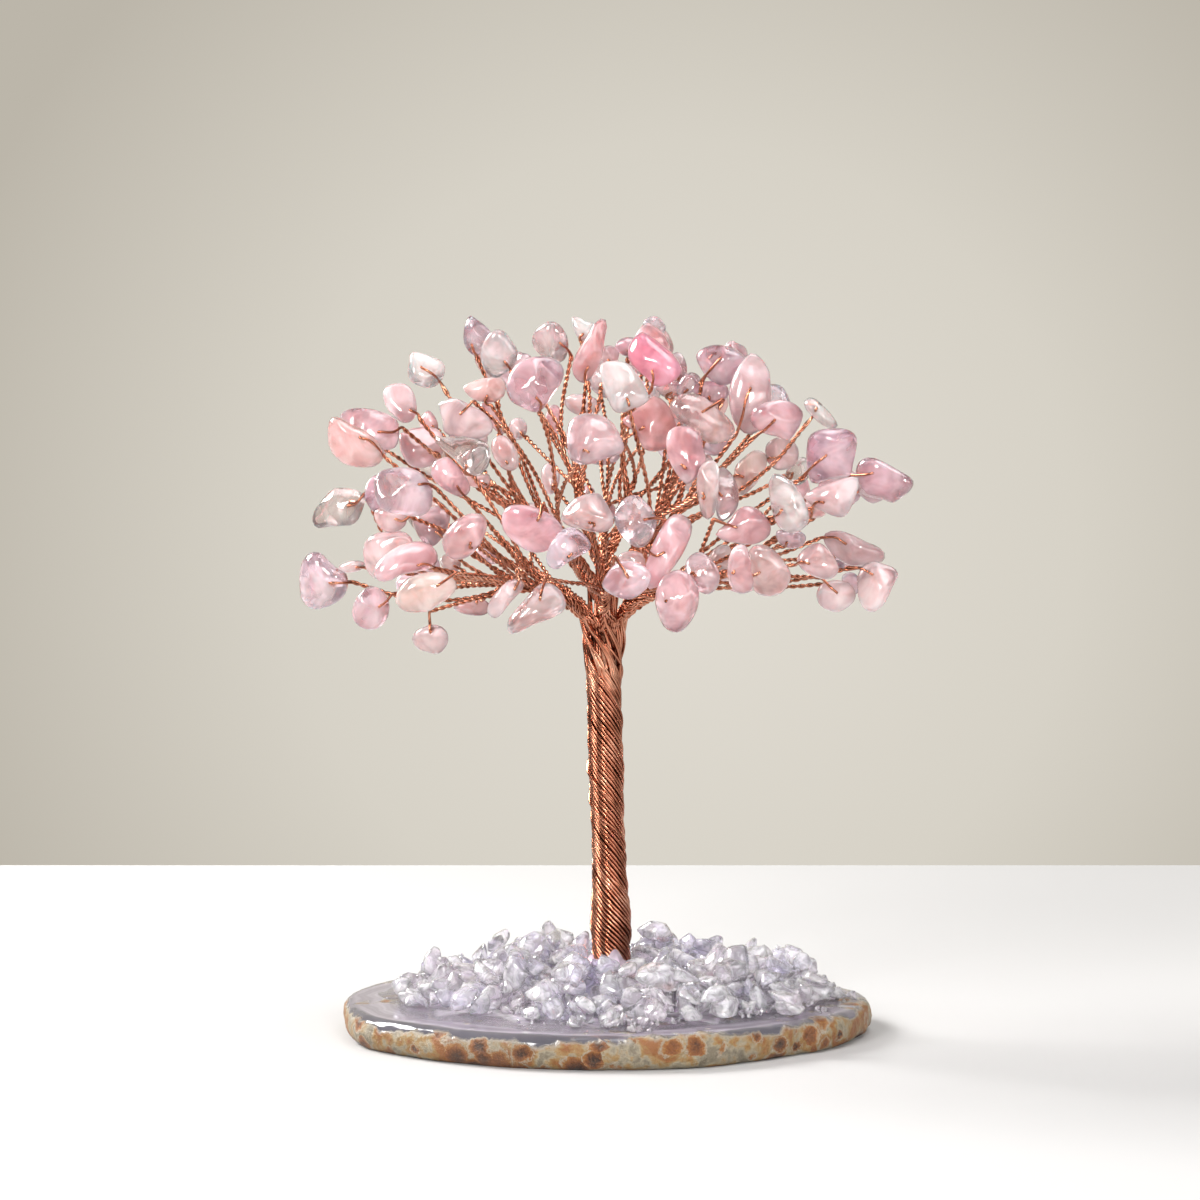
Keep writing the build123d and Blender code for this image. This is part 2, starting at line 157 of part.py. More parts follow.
     [(-1.5, -6.34), (0.01, -6.92), (1.69, -6.17), (3.53, -1.63), (3.35, 3.4), (2.68, 4.91), (0.32, 6.92), (-2.03, 4.41), (-3.53, 0.38), (-2.85, -4.49)]),
    ('S55', 'front_right_upper', (15.55, -14.97, 105.14), 2.75, 0.323, -0.024, None, (6.6, -7.98, 86.61), (14.35, -9.64, 95.79), (19.03, -13.92, 108.25), (16.88, -14.57, 106.33),
     [(-0.49, -3.19), (1.5, -4.19), (5.32, -3.03), (5.48, -1.37), (4.32, 0.29), (0.83, 3.28), (-1.0, 4.11), (-3.0, 4.19), (-5.48, 1.95), (-4.49, -0.04)]),
    ('S56', 'right_upper', (13.75, 2.99, 111.03), 1.5, 0.095, -0.221, None, (7.78, 1.55, 84.39), (10.47, 2.2, 96.4), (13.16, 2.85, 108.41), (13.64, 2.97, 110.56),
     [(-1.62, -2.01), (-0.08, -1.84), (1.46, -0.81), (2.14, 0.56), (1.45, 1.75), (0.08, 2.01), (-1.29, 0.9), (-2.14, -0.81)]),
    ('S57', 'right_upper', (17.43, 0.33, 109.77), 1.5, -0.062, 0.185, None, (11.46, 2.21, 88.4), (14.49, 0.25, 99.15), (16.73, 0.55, 107.27), (17.33, 0.37, 109.38),
     [(-2.3, -0.94), (-0.42, -1.79), (1.96, -1.79), (3.15, -0.43), (2.64, 1.11), (0.59, 1.79), (-1.62, 1.62), (-3.15, 0.6)]),
    ('S58', 'right_upper', (27.97, -12.36, 104.93), 2.65, 0.161, -0.271, None, (7.2, 1.44, 83.76), (15.51, -5.34, 92.68), (23.81, -12.13, 101.6), (26.51, -12.28, 103.76),
     [(-1.83, -2.33), (2.18, -3.33), (3.51, -1.83), (4.5, 1.33), (3.17, 2.67), (1.33, 3.33), (-2.51, 2.67), (-3.84, 1.83), (-4.5, 0.33), (-3.67, -1.33)]),
    ('S59', 'right_upper', (36.19, -1.14, 106.07), 2.16, 0.211, 0.264, None, (8.37, 1.65, 85.04), (26.67, -8.5, 93.55), (33.64, -2.16, 104.24), (35.95, -1.23, 105.89),
     [(1.87, -0.3), (0.51, 1.23), (-0.86, 2.42), (-2.05, 2.67), (-2.9, 1.91), (-2.55, 0.55), (-1.36, -0.81), (0.18, -2.0), (1.88, -2.67), (2.9, -2.0)]),
    ('S60', 'right_low', (37.66, -6.16, 98.86), 3.03, 0.291, -0.317, None, (9.3, -0.67, 75.97), (21.99, -3.66, 88.75), (32.7, -6.42, 95.15), (34.72, -6.31, 96.66),
     [(3.31, -3.37), (4.3, 1.18), (4.3, 3.04), (3.28, 4.22), (1.42, 4.72), (-2.79, 4.22), (-3.97, 3.2), (-4.3, 1.35), (-3.95, -3.37), (-2.93, -4.72)]),
    ('S61', 'right_low', (47.14, -0.92, 94.63), 2.16, -0.336, -0.173, (44.92, -0.39, 95.91), (12.76, -0.9, 77.21), (27.28, 4.39, 88.27), (41.18, 0.98, 95.23), (43.66, 0.19, 94.98),
     [(3.91, 0.77), (0.16, 2.98), (-1.72, 3.83), (-3.42, 3.83), (-4.61, 2.81), (-4.77, -0.76), (-3.91, -2.3), (1.38, -3.83), (4.26, -1.62), (4.77, -0.25)]),
    ('S62', 'right_low', (37.41, -9.01, 92.0), 2.12, -0.219, 0.047, None, (14.66, -1.02, 77.71), (26.16, -2.17, 88.13), (34.23, -7.89, 90.0), (36.02, -8.52, 91.13),
     [(4.53, 1.68), (4.36, 3.36), (2.85, 3.36), (-1.18, 2.18), (-3.03, 1.34), (-4.53, 0.17), (-3.69, -1.01), (0.35, -3.19), (2.03, -3.36), (3.04, -2.35)]),
    ('S63', 'right_low', (35.38, 0.07, 89.75), 1.5, 0.063, -0.234, None, (17.73, -1.22, 78.3), (25.59, -1.64, 82.63), (33.38, -0.08, 88.45), (35.22, 0.05, 89.65),
     [(-1.62, -0.51), (-0.59, -1.54), (1.11, -1.37), (1.96, -0.34), (1.11, 0.85), (-0.6, 1.54), (-1.96, 1.02)]),
    ('S64', 'front_right_low', (29.74, -20.47, 91.24), 2.52, -0.335, -0.133, None, (12.81, -11.16, 77.81), (28.36, -15.66, 86.49), (26.63, -18.76, 88.77), (28.21, -19.63, 90.02),
     [(2.97, -0.78), (1.14, 2.84), (-1.83, 4.9), (-2.81, 4.65), (-3.3, 3.17), (-2.63, -1.77), (-1.8, -3.75), (1.0, -4.9), (2.48, -4.08), (3.3, -2.59)]),
    ('S65', 'front_right_low', (34.89, -15.03, 81.45), 2.52, 0.027, 0.218, None, (11.08, -9.75, 77.41), (22.37, -9.66, 80.78), (31.06, -14.18, 80.8), (33.18, -14.65, 81.16),
     [(-3.16, -0.79), (-2.16, -1.79), (-0.49, -2.62), (1.34, -3.04), (2.67, -2.62), (3.5, -1.29), (1.66, 2.04), (0.32, 3.04), (-2.5, 1.87), (-3.5, 0.54)]),
    ('S66', 'right_low', (41.89, -1.14, 83.13), 2.22, 0.078, -0.216, None, (15.65, -1.09, 77.93), (22.77, 2.97, 78.98), (36.09, -1.95, 84.84), (37.89, -1.7, 84.31),
     [(3.92, 0.34), (-2.06, 2.9), (-4.95, 2.56), (-5.29, 1.36), (-4.26, -0.34), (-2.72, -1.88), (-0.84, -2.9), (3.59, -2.9), (5.12, -2.22), (5.29, -0.85)]),
    ('S67', 'right_low', (45.35, -9.29, 76.88), 2.43, -0.322, 0.211, (44.34, -8.5, 79.07), (10.97, -0.78, 76.63), (23.7, -4.08, 75.35), (40.64, -7.13, 79.91), (43.19, -8.3, 78.27),
     [(1.7, -1.51), (3.36, 2.02), (2.68, 3.2), (-0.85, 4.21), (-2.53, 3.37), (-3.36, 1.69), (-3.18, -2.02), (-2.33, -3.7), (-0.82, -4.21), (0.69, -3.2)]),
    ('S68', 'right_low', (38.49, -6.38, 75.17), 2.26, 0.248, -0.315, None, (19.92, -1.37, 78.59), (29.55, -5.29, 78.56), (35.61, -8.12, 78.43), (37.28, -7.11, 76.54),
     [(-1.51, -2.33), (0.35, -2.75), (3.22, -0.8), (3.38, 0.72), (2.19, 2.24), (0.33, 2.75), (-1.53, 2.58), (-2.88, 1.74), (-3.38, 0.21), (-2.87, -1.31)]),
    ('S69', 'right_low', (41.57, 1.27, 77.05), 1.5, -0.127, -0.271, None, (16.68, -1.16, 78.12), (26.26, 1.27, 75.29), (39.32, 1.05, 77.15), (41.5, 1.26, 77.05),
     [(1.02, 1.37), (-0.35, 1.89), (-1.54, 1.2), (-1.37, -0.51), (-0.33, -1.89), (1.04, -1.89), (1.54, -0.34)]),
    ('S70', 'front_right_low', (22.22, -19.25, 87.53), 2.41, 0.208, -0.13, None, (13.17, -11.46, 77.88), (15.03, -16.06, 82.1), (17.26, -20.4, 88.44), (20.54, -19.64, 87.84),
     [(-3.47, -2.4), (1.0, -3.22), (3.14, -2.73), (4.46, -1.57), (4.62, 0.08), (3.63, 1.74), (2.14, 2.89), (0.49, 3.22), (-1.0, 2.56), (-4.62, -1.24)]),
    ('S71', 'front_right_low', (26.57, -18.47, 80.14), 2.96, 0.208, -0.26, None, (13.9, -12.06, 78.01), (19.75, -15.42, 78.99), (23.05, -16.69, 79.55), (24.99, -17.67, 79.87),
     [(0.99, 3.15), (-0.67, 4.14), (-2.49, 4.14), (-3.48, 2.98), (-3.64, 1.16), (-2.81, -2.98), (-1.64, -4.14), (2.0, -3.98), (3.32, -2.48), (3.64, -0.5)]),
    ('S72', 'front_right_low', (21.63, -24.21, 80.64), 1.76, 0.268, -0.212, None, (12.45, -10.87, 77.74), (15.02, -14.87, 78.06), (20.06, -21.94, 80.14), (21.29, -23.72, 80.53),
     [(-2.05, 1.4), (-2.21, -0.9), (-1.55, -3.03), (-0.24, -4.02), (1.23, -4.02), (2.21, -2.71), (1.55, 1.89), (0.89, 3.69), (-0.26, 4.02), (-1.4, 3.2)]),
    ('S73', 'right_low', (19.01, -4.9, 81.41), 1.52, 0.097, 0.077, None, (18.81, -1.3, 78.46), (18.84, -2.37, 79.16), (18.89, -2.79, 79.68), (18.99, -4.49, 81.07),
     [(-1.44, -2.03), (0.09, -2.37), (1.61, -1.53), (2.12, 0.51), (1.44, 2.2), (-0.09, 2.37), (-1.44, 1.36), (-2.12, -0.51)]),
    ('S74', 'front_low', (15.23, -29.78, 80.11), 1.73, 0.113, 0.092, None, (-0.58, -10.61, 75.97), (6.35, -17.44, 75.79), (13.39, -27.55, 79.63), (14.77, -29.22, 79.99),
     [(-2.03, -1.75), (-0.4, -3.05), (1.06, -3.45), (2.36, -2.4), (2.84, -0.45), (2.19, 1.34), (0.89, 2.8), (-0.57, 3.45), (-2.68, 1.83), (-2.84, 0.04)]),
    ('S75', 'front_low', (11.06, -33.3, 75.9), 2.96, 0.212, -0.121, None, (-0.52, -13.43, 76.83), (4.39, -22.81, 76.46), (9.08, -29.91, 76.06), (10.19, -31.81, 75.97),
     [(-2.94, -2.7), (-1.97, -4.48), (0.93, -4.97), (3.35, -1.25), (3.59, 1.01), (1.73, 4.4), (-0.05, 4.97), (-1.82, 4.24), (-3.11, 2.63), (-3.59, 0.37)]),
    ('S76', 'front_low', (9.75, -27.68, 83.56), 3.01, 0.257, 0.275, None, (-0.55, -11.98, 76.43), (9.69, -26.82, 76.4), (5.6, -28.63, 83.97), (8.09, -28.06, 83.72),
     [(1.22, 6.11), (-1.39, 3.51), (-3.17, -0.24), (-3.82, -2.69), (-3.82, -4.97), (-3.01, -6.11), (-1.54, -5.46), (1.71, -1.38), (3.82, 3.02), (3.82, 4.64)]),
    ('S77', 'front_low', (2.86, -35.14, 79.26), 1.94, -0.331, 0.106, None, (-0.51, -14.19, 77.02), (-0.82, -19.49, 73.9), (0.85, -34.09, 82.96), (2.01, -34.69, 80.83),
     [(-3.94, -0.96), (-2.97, -2.09), (-1.2, -2.9), (0.56, -3.06), (3.46, -0.96), (3.94, 0.97), (2.65, 2.41), (0.88, 3.06), (-0.88, 3.06), (-2.33, 2.09)]),
    ('S78', 'front_low', (4.39, -26.2, 88.44), 2.25, 0.045, 0.311, None, (-0.48, -15.77, 77.34), (3.44, -19.33, 80.95), (9.04, -25.93, 88.65), (6.54, -26.08, 88.54),
     [(3.02, -1.92), (3.51, 0.04), (1.55, 3.31), (0.08, 4.28), (-1.39, 3.96), (-3.51, 1.18), (-3.34, -0.28), (-1.22, -3.39), (0.41, -4.28), (1.88, -3.71)]),
    ('S79', 'front_low', (-3.51, -27.91, 89.88), 2.16, -0.173, -0.03, None, (-0.49, -14.97, 77.19), (-1.61, -17.16, 80.69), (-2.93, -25.39, 87.41), (-3.29, -26.94, 88.92),
     [(1.95, 3.13), (0.16, 3.05), (-1.79, 2.4), (-3.42, 0.94), (-4.23, -1.02), (-3.09, -2.15), (0.98, -3.13), (2.93, -3.13), (4.23, -1.99), (4.07, -0.2)]),
    ('S80', 'front_right_upper', (16.26, -24.69, 93.47), 1.5, -0.279, -0.084, None, (7.8, -9.28, 88.46), (11.62, -15.34, 90.39), (14.92, -22.26, 92.68), (15.94, -24.12, 93.28),
     [(1.16, -3.55), (1.64, -1.26), (1.8, 3.64), (0.98, 4.86), (-0.17, 4.78), (-1.31, 3.8), (-1.8, 2.0), (-1.79, 0.04), (-0.97, -4.05), (0.18, -4.86)]),
    ('S81', 'front_right_upper', (19.82, -14.51, 92.63), 1.5, 0.114, 0.231, None, (8.64, -10.18, 89.73), (13.75, -12.66, 91.97), (17.4, -13.57, 92.0), (19.39, -14.34, 92.52),
     [(-1.92, 0.33), (-1.91, -3.16), (-1.07, -4.49), (0.42, -3.83), (1.59, -2.33), (1.92, -0.5), (1.58, 1.67), (0.58, 3.5), (-0.76, 4.49), (-1.75, 3.66)]),
    ('S82', 'right_upper', (24.2, -1.62, 95.92), 1.74, -0.09, 0.028, None, (14.1, 2.69, 91.26), (19.22, 0.2, 93.95), (21.1, -0.3, 94.49), (22.96, -1.09, 95.35),
     [(-1.11, 2.72), (-2.64, 0.85), (-2.63, -1.87), (-1.78, -3.91), (-0.25, -3.06), (1.45, -1.19), (2.64, 0.85), (2.63, 3.06), (0.93, 3.91)]),
    ('S83', 'right_upper', (29.57, -1.21, 99.14), 1.67, -0.177, -0.119, None, (14.1, 2.69, 91.26), (23.66, 2.47, 93.59), (26.33, -0.39, 97.49), (28.24, -0.87, 98.47),
     [(-0.84, -2.72), (1.37, -2.38), (2.73, -0.85), (2.55, 1.36), (0.84, 2.72), (-1.2, 2.72), (-2.73, 1.36), (-2.55, -1.19)]),
    ('S84', 'right_upper', (32.77, 7.06, 96.12), 1.5, -0.293, 0.177, None, (10.82, 2.1, 87.71), (23.34, 5.64, 90.83), (30.28, 6.5, 95.17), (32.29, 6.96, 95.94),
     [(-0.87, 1.73), (-2.07, -0.17), (-1.55, -1.9), (0.18, -2.41), (1.73, -1.21), (2.07, 1.04), (1.03, 2.41)]),
    ('S85', 'right_low', (30.81, -7.31, 84.89), 1.5, -0.14, -0.296, None, (21.06, -1.44, 78.7), (24.24, -3.19, 81.14), (28.72, -6.05, 83.56), (30.37, -7.05, 84.61),
     [(-0.85, 1.69), (-2.53, 1.18), (-2.02, -0.67), (-0.16, -1.69), (1.86, -1.18), (2.53, 0.34), (1.18, 1.52)]),
    ('S91', 'left_low', (-44.25, 5.69, 79.69), 1.5, -0.258, -0.257, None, (-17.83, -1.28, 77.56), (-21.48, 2.15, 76.59), (-41.5, 4.97, 79.47), (-43.62, 5.52, 79.64),
     [(-0.26, -1.12), (1.64, -0.6), (2.33, 0.6), (1.12, 1.12), (-0.77, 0.78), (-2.33, -0.09), (-1.82, -1.12)]),
    ('S93', 'back_low', (-10.3, 32.16, 94.3), 1.5, -0.293, 0.284, None, (-1.78, 17.65, 80.59), (-4.28, 22.83, 87.01), (-9.03, 30.0, 92.26), (-9.89, 31.47, 93.65),
     [(-0.81, 2.88), (-1.71, 1.26), (-1.35, -1.26), (-0.09, -2.88), (1.35, -1.44), (1.71, 0.9), (0.81, 2.88)]),
    ('S95', 'front_low', (4.25, -24.54, 81.47), 1.5, -0.136, 0.233, None, (-0.44, -17.43, 77.62), (1.28, -21.08, 79.18), (2.96, -22.58, 80.41), (4.06, -24.26, 81.32),
     [(0.9, -2.05), (2.54, -1.39), (2.87, 0.25), (1.39, 1.56), (-0.41, 2.05), (-2.05, 1.72), (-2.87, 0.57), (-1.56, -1.06)]),
    ('H01', 'back_right_low', (17.65, 39.41, 76.79), 1.91, 0.268, -0.095, None, (15.8, 15.02, 77.74), (19.18, 28.11, 77.31), (17.44, 36.55, 76.9), (17.6, 38.74, 76.82),
     [(3.41, 2.38), (0.8, 3.22), (-2.33, 1.98), (-4.35, -0.11), (-4.43, -2.09), (-2.52, -3.22), (1.9, -2.47), (4.43, -0.85), (4.37, 1.37)]),
    ('H02', 'back_left_low', (-32.67, 31.78, 87.88), 2.66, -0.478, -0.172, None, (-12.6, 11.26, 77.83), (-21.69, 17.23, 87.71), (-29.31, 28.35, 86.2), (-30.77, 29.83, 86.93),
     [(-2.3, -2.53), (-0.43, -3.77), (2.54, -2.74), (3.73, -1.46), (3.06, 1.02), (0.97, 3.43), (-1.17, 3.77), (-3.51, 1.55), (-3.73, -0.22)]),
    ('H03', 'right_upper', (21.72, 15.38, 114.98), 1.88, 0.456, -0.464, None, (6.64, 1.34, 83.14), (11.5, 11.67, 98.99), (20.31, 14.06, 112.01), (21.18, 14.88, 113.86),
     [(-1.12, -3.71), (1.47, -2.79), (2.8, 0.19), (2.35, 2.49), (0.8, 3.34), (-0.45, 3.71), (-1.99, 2.05), (-2.8, -0.07), (-2.67, -2.57)]),
    ('H04', 'back_left_low', (-31.81, 27.93, 98.26), 2.79, -0.094, 0.127, None, (-11.93, 10.62, 77.62), (-21.9, 12.02, 87.81), (-29.02, 25.49, 95.36), (-30.32, 26.63, 96.71),
     [(-1.13, -3.79), (0.7, -3.55), (2.66, -2.65), (3.67, -0.15), (2.43, 2.56), (0.92, 3.79), (-2.26, 2.86), (-3.67, 1.02), (-3.05, -1.98)]),
    ('H05', 'right_upper', (17.02, 9.27, 102.93), 1.86, 0.142, 0.354, None, (13.43, 2.57, 90.53), (15.75, 5.07, 95.97), (15.91, 7.19, 99.08), (16.45, 8.2, 100.96),
     [(-2.58, -2.48), (0.97, -4.2), (3.77, -3.09), (4.5, 0.33), (3.84, 2.22), (-0.1, 4.2), (-2.51, 3.39), (-4.31, 2.18), (-4.5, -0.72)]),
    ('H06', 'back_left_low', (-34.06, 31.21, 77.06), 2.69, 0.146, 0.451, None, (-11.27, 10.0, 77.4), (-22.33, 23.85, 74.12), (-31.29, 28.63, 77.1), (-32.9, 30.13, 77.08),
     [(-1.97, -3.58), (-0.78, -3.99), (2.58, -1.49), (3.8, 0.92), (3.51, 2.81), (1.94, 3.99), (-0.62, 2.71), (-3.74, -0.47), (-3.8, -2.45)]),
    ('H07', 'right_low', (46.33, 11.75, 94.16), 2.2, -0.002, -0.244, None, (13.69, -0.96, 77.47), (22.9, 7.31, 79.49), (43.03, 10.46, 92.48), (44.88, 11.18, 93.42),
     [(-1.13, -3.47), (0.61, -3.64), (3.18, -1.81), (3.31, -0.07), (3.11, 2.03), (0.24, 3.64), (-1.17, 3.1), (-3.02, 0.69), (-3.31, -1.23)]),
    ('H08', 'back_left_low', (-25.14, 30.4, 101.19), 2.04, 0.473, -0.105, None, (-10.64, 9.39, 77.16), (-17.23, 18.93, 88.08), (-23.81, 28.48, 98.99), (-24.72, 29.8, 100.5),
     [(3.24, -1.4), (3.55, 0.94), (2.22, 3.21), (-0.46, 3.78), (-2.35, 2.58), (-3.55, -0.25), (-2.08, -2.73), (-0.89, -3.72), (1.27, -3.78)]),
    ('H09', 'back_upper', (18.53, 28.1, 107.82), 2.01, 0.001, 0.018, None, (-0.79, 8.85, 84.56), (7.52, 15.25, 92.68), (16.66, 26.23, 105.56), (17.84, 27.41, 106.98),
     [(-1.14, -2.7), (0.87, -2.91), (1.96, -2.24), (2.97, -0.27), (2.61, 2.17), (1.25, 2.91), (-0.96, 2.49), (-2.74, 0.88), (-2.97, -1.15)]),
    ('H10', 'back_upper', (-15.44, 23.33, 112.98), 2.25, -0.265, 0.206, None, (-0.79, 10.08, 85.9), (-11.01, 17.81, 103.22), (-13.05, 21.18, 108.58), (-14.02, 22.05, 110.36),
     [(-1.97, -2.48), (0.43, -4.06), (2.62, -3.84), (3.94, -1.71), (3.81, 0.57), (1.34, 3.04), (-0.65, 4.06), (-3.94, 2.39), (-3.87, -0.35)]),
    ('H11', 'left_upper', (-42.33, 11.55, 101.86), 2.03, 0.476, 0.371, None, (-8.56, 1.36, 83.48), (-27.7, 5.48, 92.39), (-38.91, 10.52, 100.0), (-40.78, 11.08, 101.01),
     [(3.6, -3.12), (4.07, 0.48), (3.26, 2.49), (1.23, 4.07), (-2.56, 3.84), (-4.07, 0.77), (-2.64, -2.13), (-1.38, -3.86), (2.07, -4.07)]),
    ('H12', 'back_upper', (4.58, 30.63, 109.13), 2.73, 0.334, -0.157, None, (-0.79, 12.0, 87.98), (-0.68, 24.87, 93.02), (3.89, 28.23, 106.4), (4.3, 29.66, 108.03),
     [(3.24, -1.98), (4.87, 0.14), (3.92, 2.21), (0.39, 2.94), (-3.0, 2.23), (-4.87, 0.29), (-4.06, -1.35), (-1.39, -2.75), (2.03, -2.94)]),
    ('H13', 'crown_right', (7.49, 19.66, 116.86), 2.66, 0.095, 0.255, None, (3.72, 1.41, 92.47), (7.42, 7.03, 100.19), (6.89, 16.77, 113.0), (7.16, 18.08, 114.74),
     [(-2.12, -3.88), (0.2, -3.54), (2.93, -1.74), (4.12, 0.68), (2.88, 3.66), (1.31, 3.88), (-2.06, 2.71), (-4.12, 0.19), (-3.93, -3.01)]),
    ('H14', 'back_left_low', (-12.36, 27.24, 86.4), 2.12, 0.434, 0.146, None, (-13.99, 12.59, 78.18), (-13.19, 20.56, 82.48), (-12.72, 24.03, 84.6), (-12.51, 25.93, 85.67),
     [(-2.72, -1.71), (-0.24, -3.73), (1.65, -3.8), (4.19, -1.41), (3.67, 1.25), (1.17, 3.19), (-1.59, 3.8), (-3.28, 2.64), (-4.19, 0.73)]),
    ('H15', 'back_right_low', (43.02, 22.93, 80.93), 2.07, 0.412, -0.122, None, (13.12, 12.6, 77.62), (28.74, 16.16, 80.74), (38.19, 21.26, 80.4), (40.26, 21.97, 80.63),
     [(-4.05, -1.01), (-1.97, -2.71), (0.54, -2.74), (2.7, -1.95), (4.13, -0.24), (2.29, 2.18), (0.62, 2.74), (-3.08, 1.82), (-4.13, 0.23)]),
    ('H16', 'back_upper', (15.97, 22.23, 95.29), 2.58, 0.268, -0.279, None, (-0.78, 14.7, 90.89), (7.38, 17.68, 91.84), (11.59, 20.26, 94.14), (13.54, 21.14, 94.65),
     [(-2.22, -2.82), (0.4, -3.62), (2.64, -2.47), (3.97, -0.3), (2.63, 2.68), (1.4, 3.62), (-2.54, 2.72), (-3.97, 1.12), (-3.91, -1.44)]),
    ('H17', 'back_right_low', (25.75, 36.24, 77.37), 2.78, 0.239, 0.423, None, (13.99, 13.38, 77.69), (18.32, 24.57, 80.19), (23.72, 32.29, 77.42), (24.72, 34.25, 77.4),
     [(-2.99, 1.74), (-3.86, -0.42), (-0.97, -3.0), (0.1, -3.45), (3.39, -1.98), (3.86, 0.19), (2.25, 2.46), (0.45, 3.45), (-2.1, 3.16)]),
    ('H18', 'right_upper', (29.17, 22.27, 107.03), 2.42, -0.461, 0.395, None, (8.97, 1.76, 85.69), (22.08, 14.56, 98.78), (26.82, 19.88, 104.55), (28.06, 21.14, 105.86),
     [(-2.83, -2.9), (-0.1, -4.02), (1.76, -4.03), (3.35, -1.16), (3.07, 1.0), (1.54, 3.89), (-1.27, 4.03), (-2.78, 2.4), (-3.35, 0.01)]),
    ('H19', 'back_right_low', (41.01, 22.46, 92.55), 2.01, -0.335, -0.099, None, (12.28, 11.83, 77.52), (24.5, 14.18, 87.4), (38.03, 21.36, 90.99), (39.88, 22.04, 91.96),
     [(-2.88, -3.07), (0.18, -4.0), (2.97, -2.07), (3.68, -0.89), (3.51, 2.32), (0.7, 4.0), (-0.87, 3.67), (-3.31, 2.44), (-3.68, -1.43)]),
    ('H20', 'back_upper', (13.68, 35.61, 100.39), 1.85, 0.038, 0.451, None, (-0.79, 10.71, 86.58), (9.9, 25.18, 94.06), (11.81, 32.39, 98.6), (12.8, 34.1, 99.55),
     [(-3.77, -2.36), (-1.79, -3.21), (2.18, -2.4), (4.66, -0.41), (4.35, 1.47), (2.09, 3.18), (0.03, 3.21), (-2.35, 1.67), (-4.66, -0.48)]),
    ('H21', 'back_right_low', (32.51, 30.38, 92.27), 1.8, 0.423, 0.124, None, (14.88, 14.19, 77.73), (23.61, 21.57, 82.94), (29.85, 27.94, 90.09), (31.24, 29.21, 91.23),
     [(-3.13, -1.22), (-0.98, -3.17), (1.8, -2.84), (3.75, -1.0), (3.7, 1.24), (2.76, 2.44), (0.04, 3.17), (-3.33, 2.12), (-3.75, 0.31)]),
    ('H22', 'back_upper', (-1.47, 22.83, 100.59), 2.12, -0.318, -0.232, None, (-0.78, 15.4, 91.64), (-1.03, 18.93, 95.78), (-1.27, 20.66, 97.98), (-1.4, 22.06, 99.67),
     [(-0.99, -3.54), (2.14, -3.44), (3.51, -2.4), (4.41, 0.28), (2.67, 2.63), (0.54, 3.54), (-3.29, 2.46), (-4.41, 0.73), (-3.8, -2.1)]),
    ('H23', 'back_low', (5.93, 31.19, 86.79), 2.01, -0.435, 0.137, None, (-1.89, 19.51, 81.4), (0.68, 23.81, 83.84), (4.41, 28.93, 85.75), (5.55, 30.63, 86.53),
     [(2.36, -3.84), (2.92, -1.22), (2.71, 1.2), (1.04, 3.22), (-0.85, 3.97), (-2.92, 2.38), (-2.52, -0.11), (-1.08, -3.17), (0.34, -3.97)]),
    ('H24', 'back_low', (-2.84, 41.43, 88.2), 2.79, -0.071, 0.319, None, (-1.73, 16.75, 80.18), (-4.17, 30.09, 79.84), (-2.66, 37.45, 86.9), (-2.75, 39.54, 87.58),
     [(-0.76, -3.51), (1.43, -3.26), (4.08, -0.9), (4.32, 0.71), (2.63, 2.24), (-0.59, 3.51), (-3.15, 2.23), (-4.32, 0.13), (-3.43, -2.28)]),
    ('H25', 'back_left_low', (-31.21, 13.12, 88.24), 2.62, -0.145, 0.273, None, (-13.29, 11.91, 78.01), (-17.39, 11.0, 80.73), (-27.88, 12.89, 86.34), (-29.78, 13.02, 87.42),
     [(2.76, -1.51), (3.58, 0.32), (3.14, 1.52), (0.8, 2.97), (-2.73, 2.32), (-3.58, 0.48), (-3.41, -0.99), (-2.42, -2.44), (-0.01, -2.97)]),
    ('H26', 'back_upper', (-1.18, 25.38, 113.76), 2.02, 0.105, 0.362, None, (-0.79, 11.35, 87.27), (1.08, 15.42, 100.4), (-1.1, 22.67, 108.65), (-1.13, 23.7, 110.59),
     [(-0.08, -4.73), (1.54, -4.73), (3.19, -2.32), (3.44, 0.91), (1.71, 3.75), (-1.07, 4.73), (-2.18, 4.04), (-3.44, 1.29), (-2.56, -2.42)]),
    ('H27', 'back_upper', (7.77, 25.0, 103.61), 2.47, 0.486, 0.075, None, (-0.79, 14.01, 90.15), (2.39, 19.65, 96.82), (5.56, 22.16, 100.13), (6.53, 23.41, 101.65),
     [(-0.27, -3.65), (2.05, -2.8), (3.55, -1.57), (3.59, 1.59), (1.95, 3.55), (-0.91, 3.65), (-2.98, 2.35), (-3.59, -0.4), (-2.31, -3.19)]),
    ('H28', 'back_right_low', (25.32, 20.57, 77.79), 2.07, -0.017, -0.427, None, (16.74, 15.88, 77.73), (20.1, 17.97, 77.72), (22.03, 18.77, 77.76), (23.96, 19.83, 77.78),
     [(1.88, 3.42), (-1.01, 2.79), (-2.64, 1.56), (-4.13, -2.33), (-2.84, -3.33), (-0.72, -3.56), (3.11, -1.27), (4.13, 0.33), (4.06, 3.56)]),
    ('H29', 'left_upper', (-20.14, 16.23, 115.54), 2.27, -0.267, -0.349, None, (-13.76, 2.27, 89.13), (-18.74, 7.67, 95.92), (-19.43, 14.66, 112.58), (-19.89, 15.67, 114.48),
     [(-3.08, 0.66), (-3.09, -0.71), (-1.16, -3.44), (0.33, -3.47), (2.94, -1.79), (3.09, -0.66), (2.73, 2.28), (0.11, 3.47), (-1.49, 3.01)]),
    ('H30', 'right_upper', (13.78, 16.24, 103.95), 1.92, 0.222, -0.197, None, (12.76, 2.45, 89.81), (13.0, 7.7, 94.85), (13.62, 14.05, 101.7), (13.73, 15.58, 103.28),
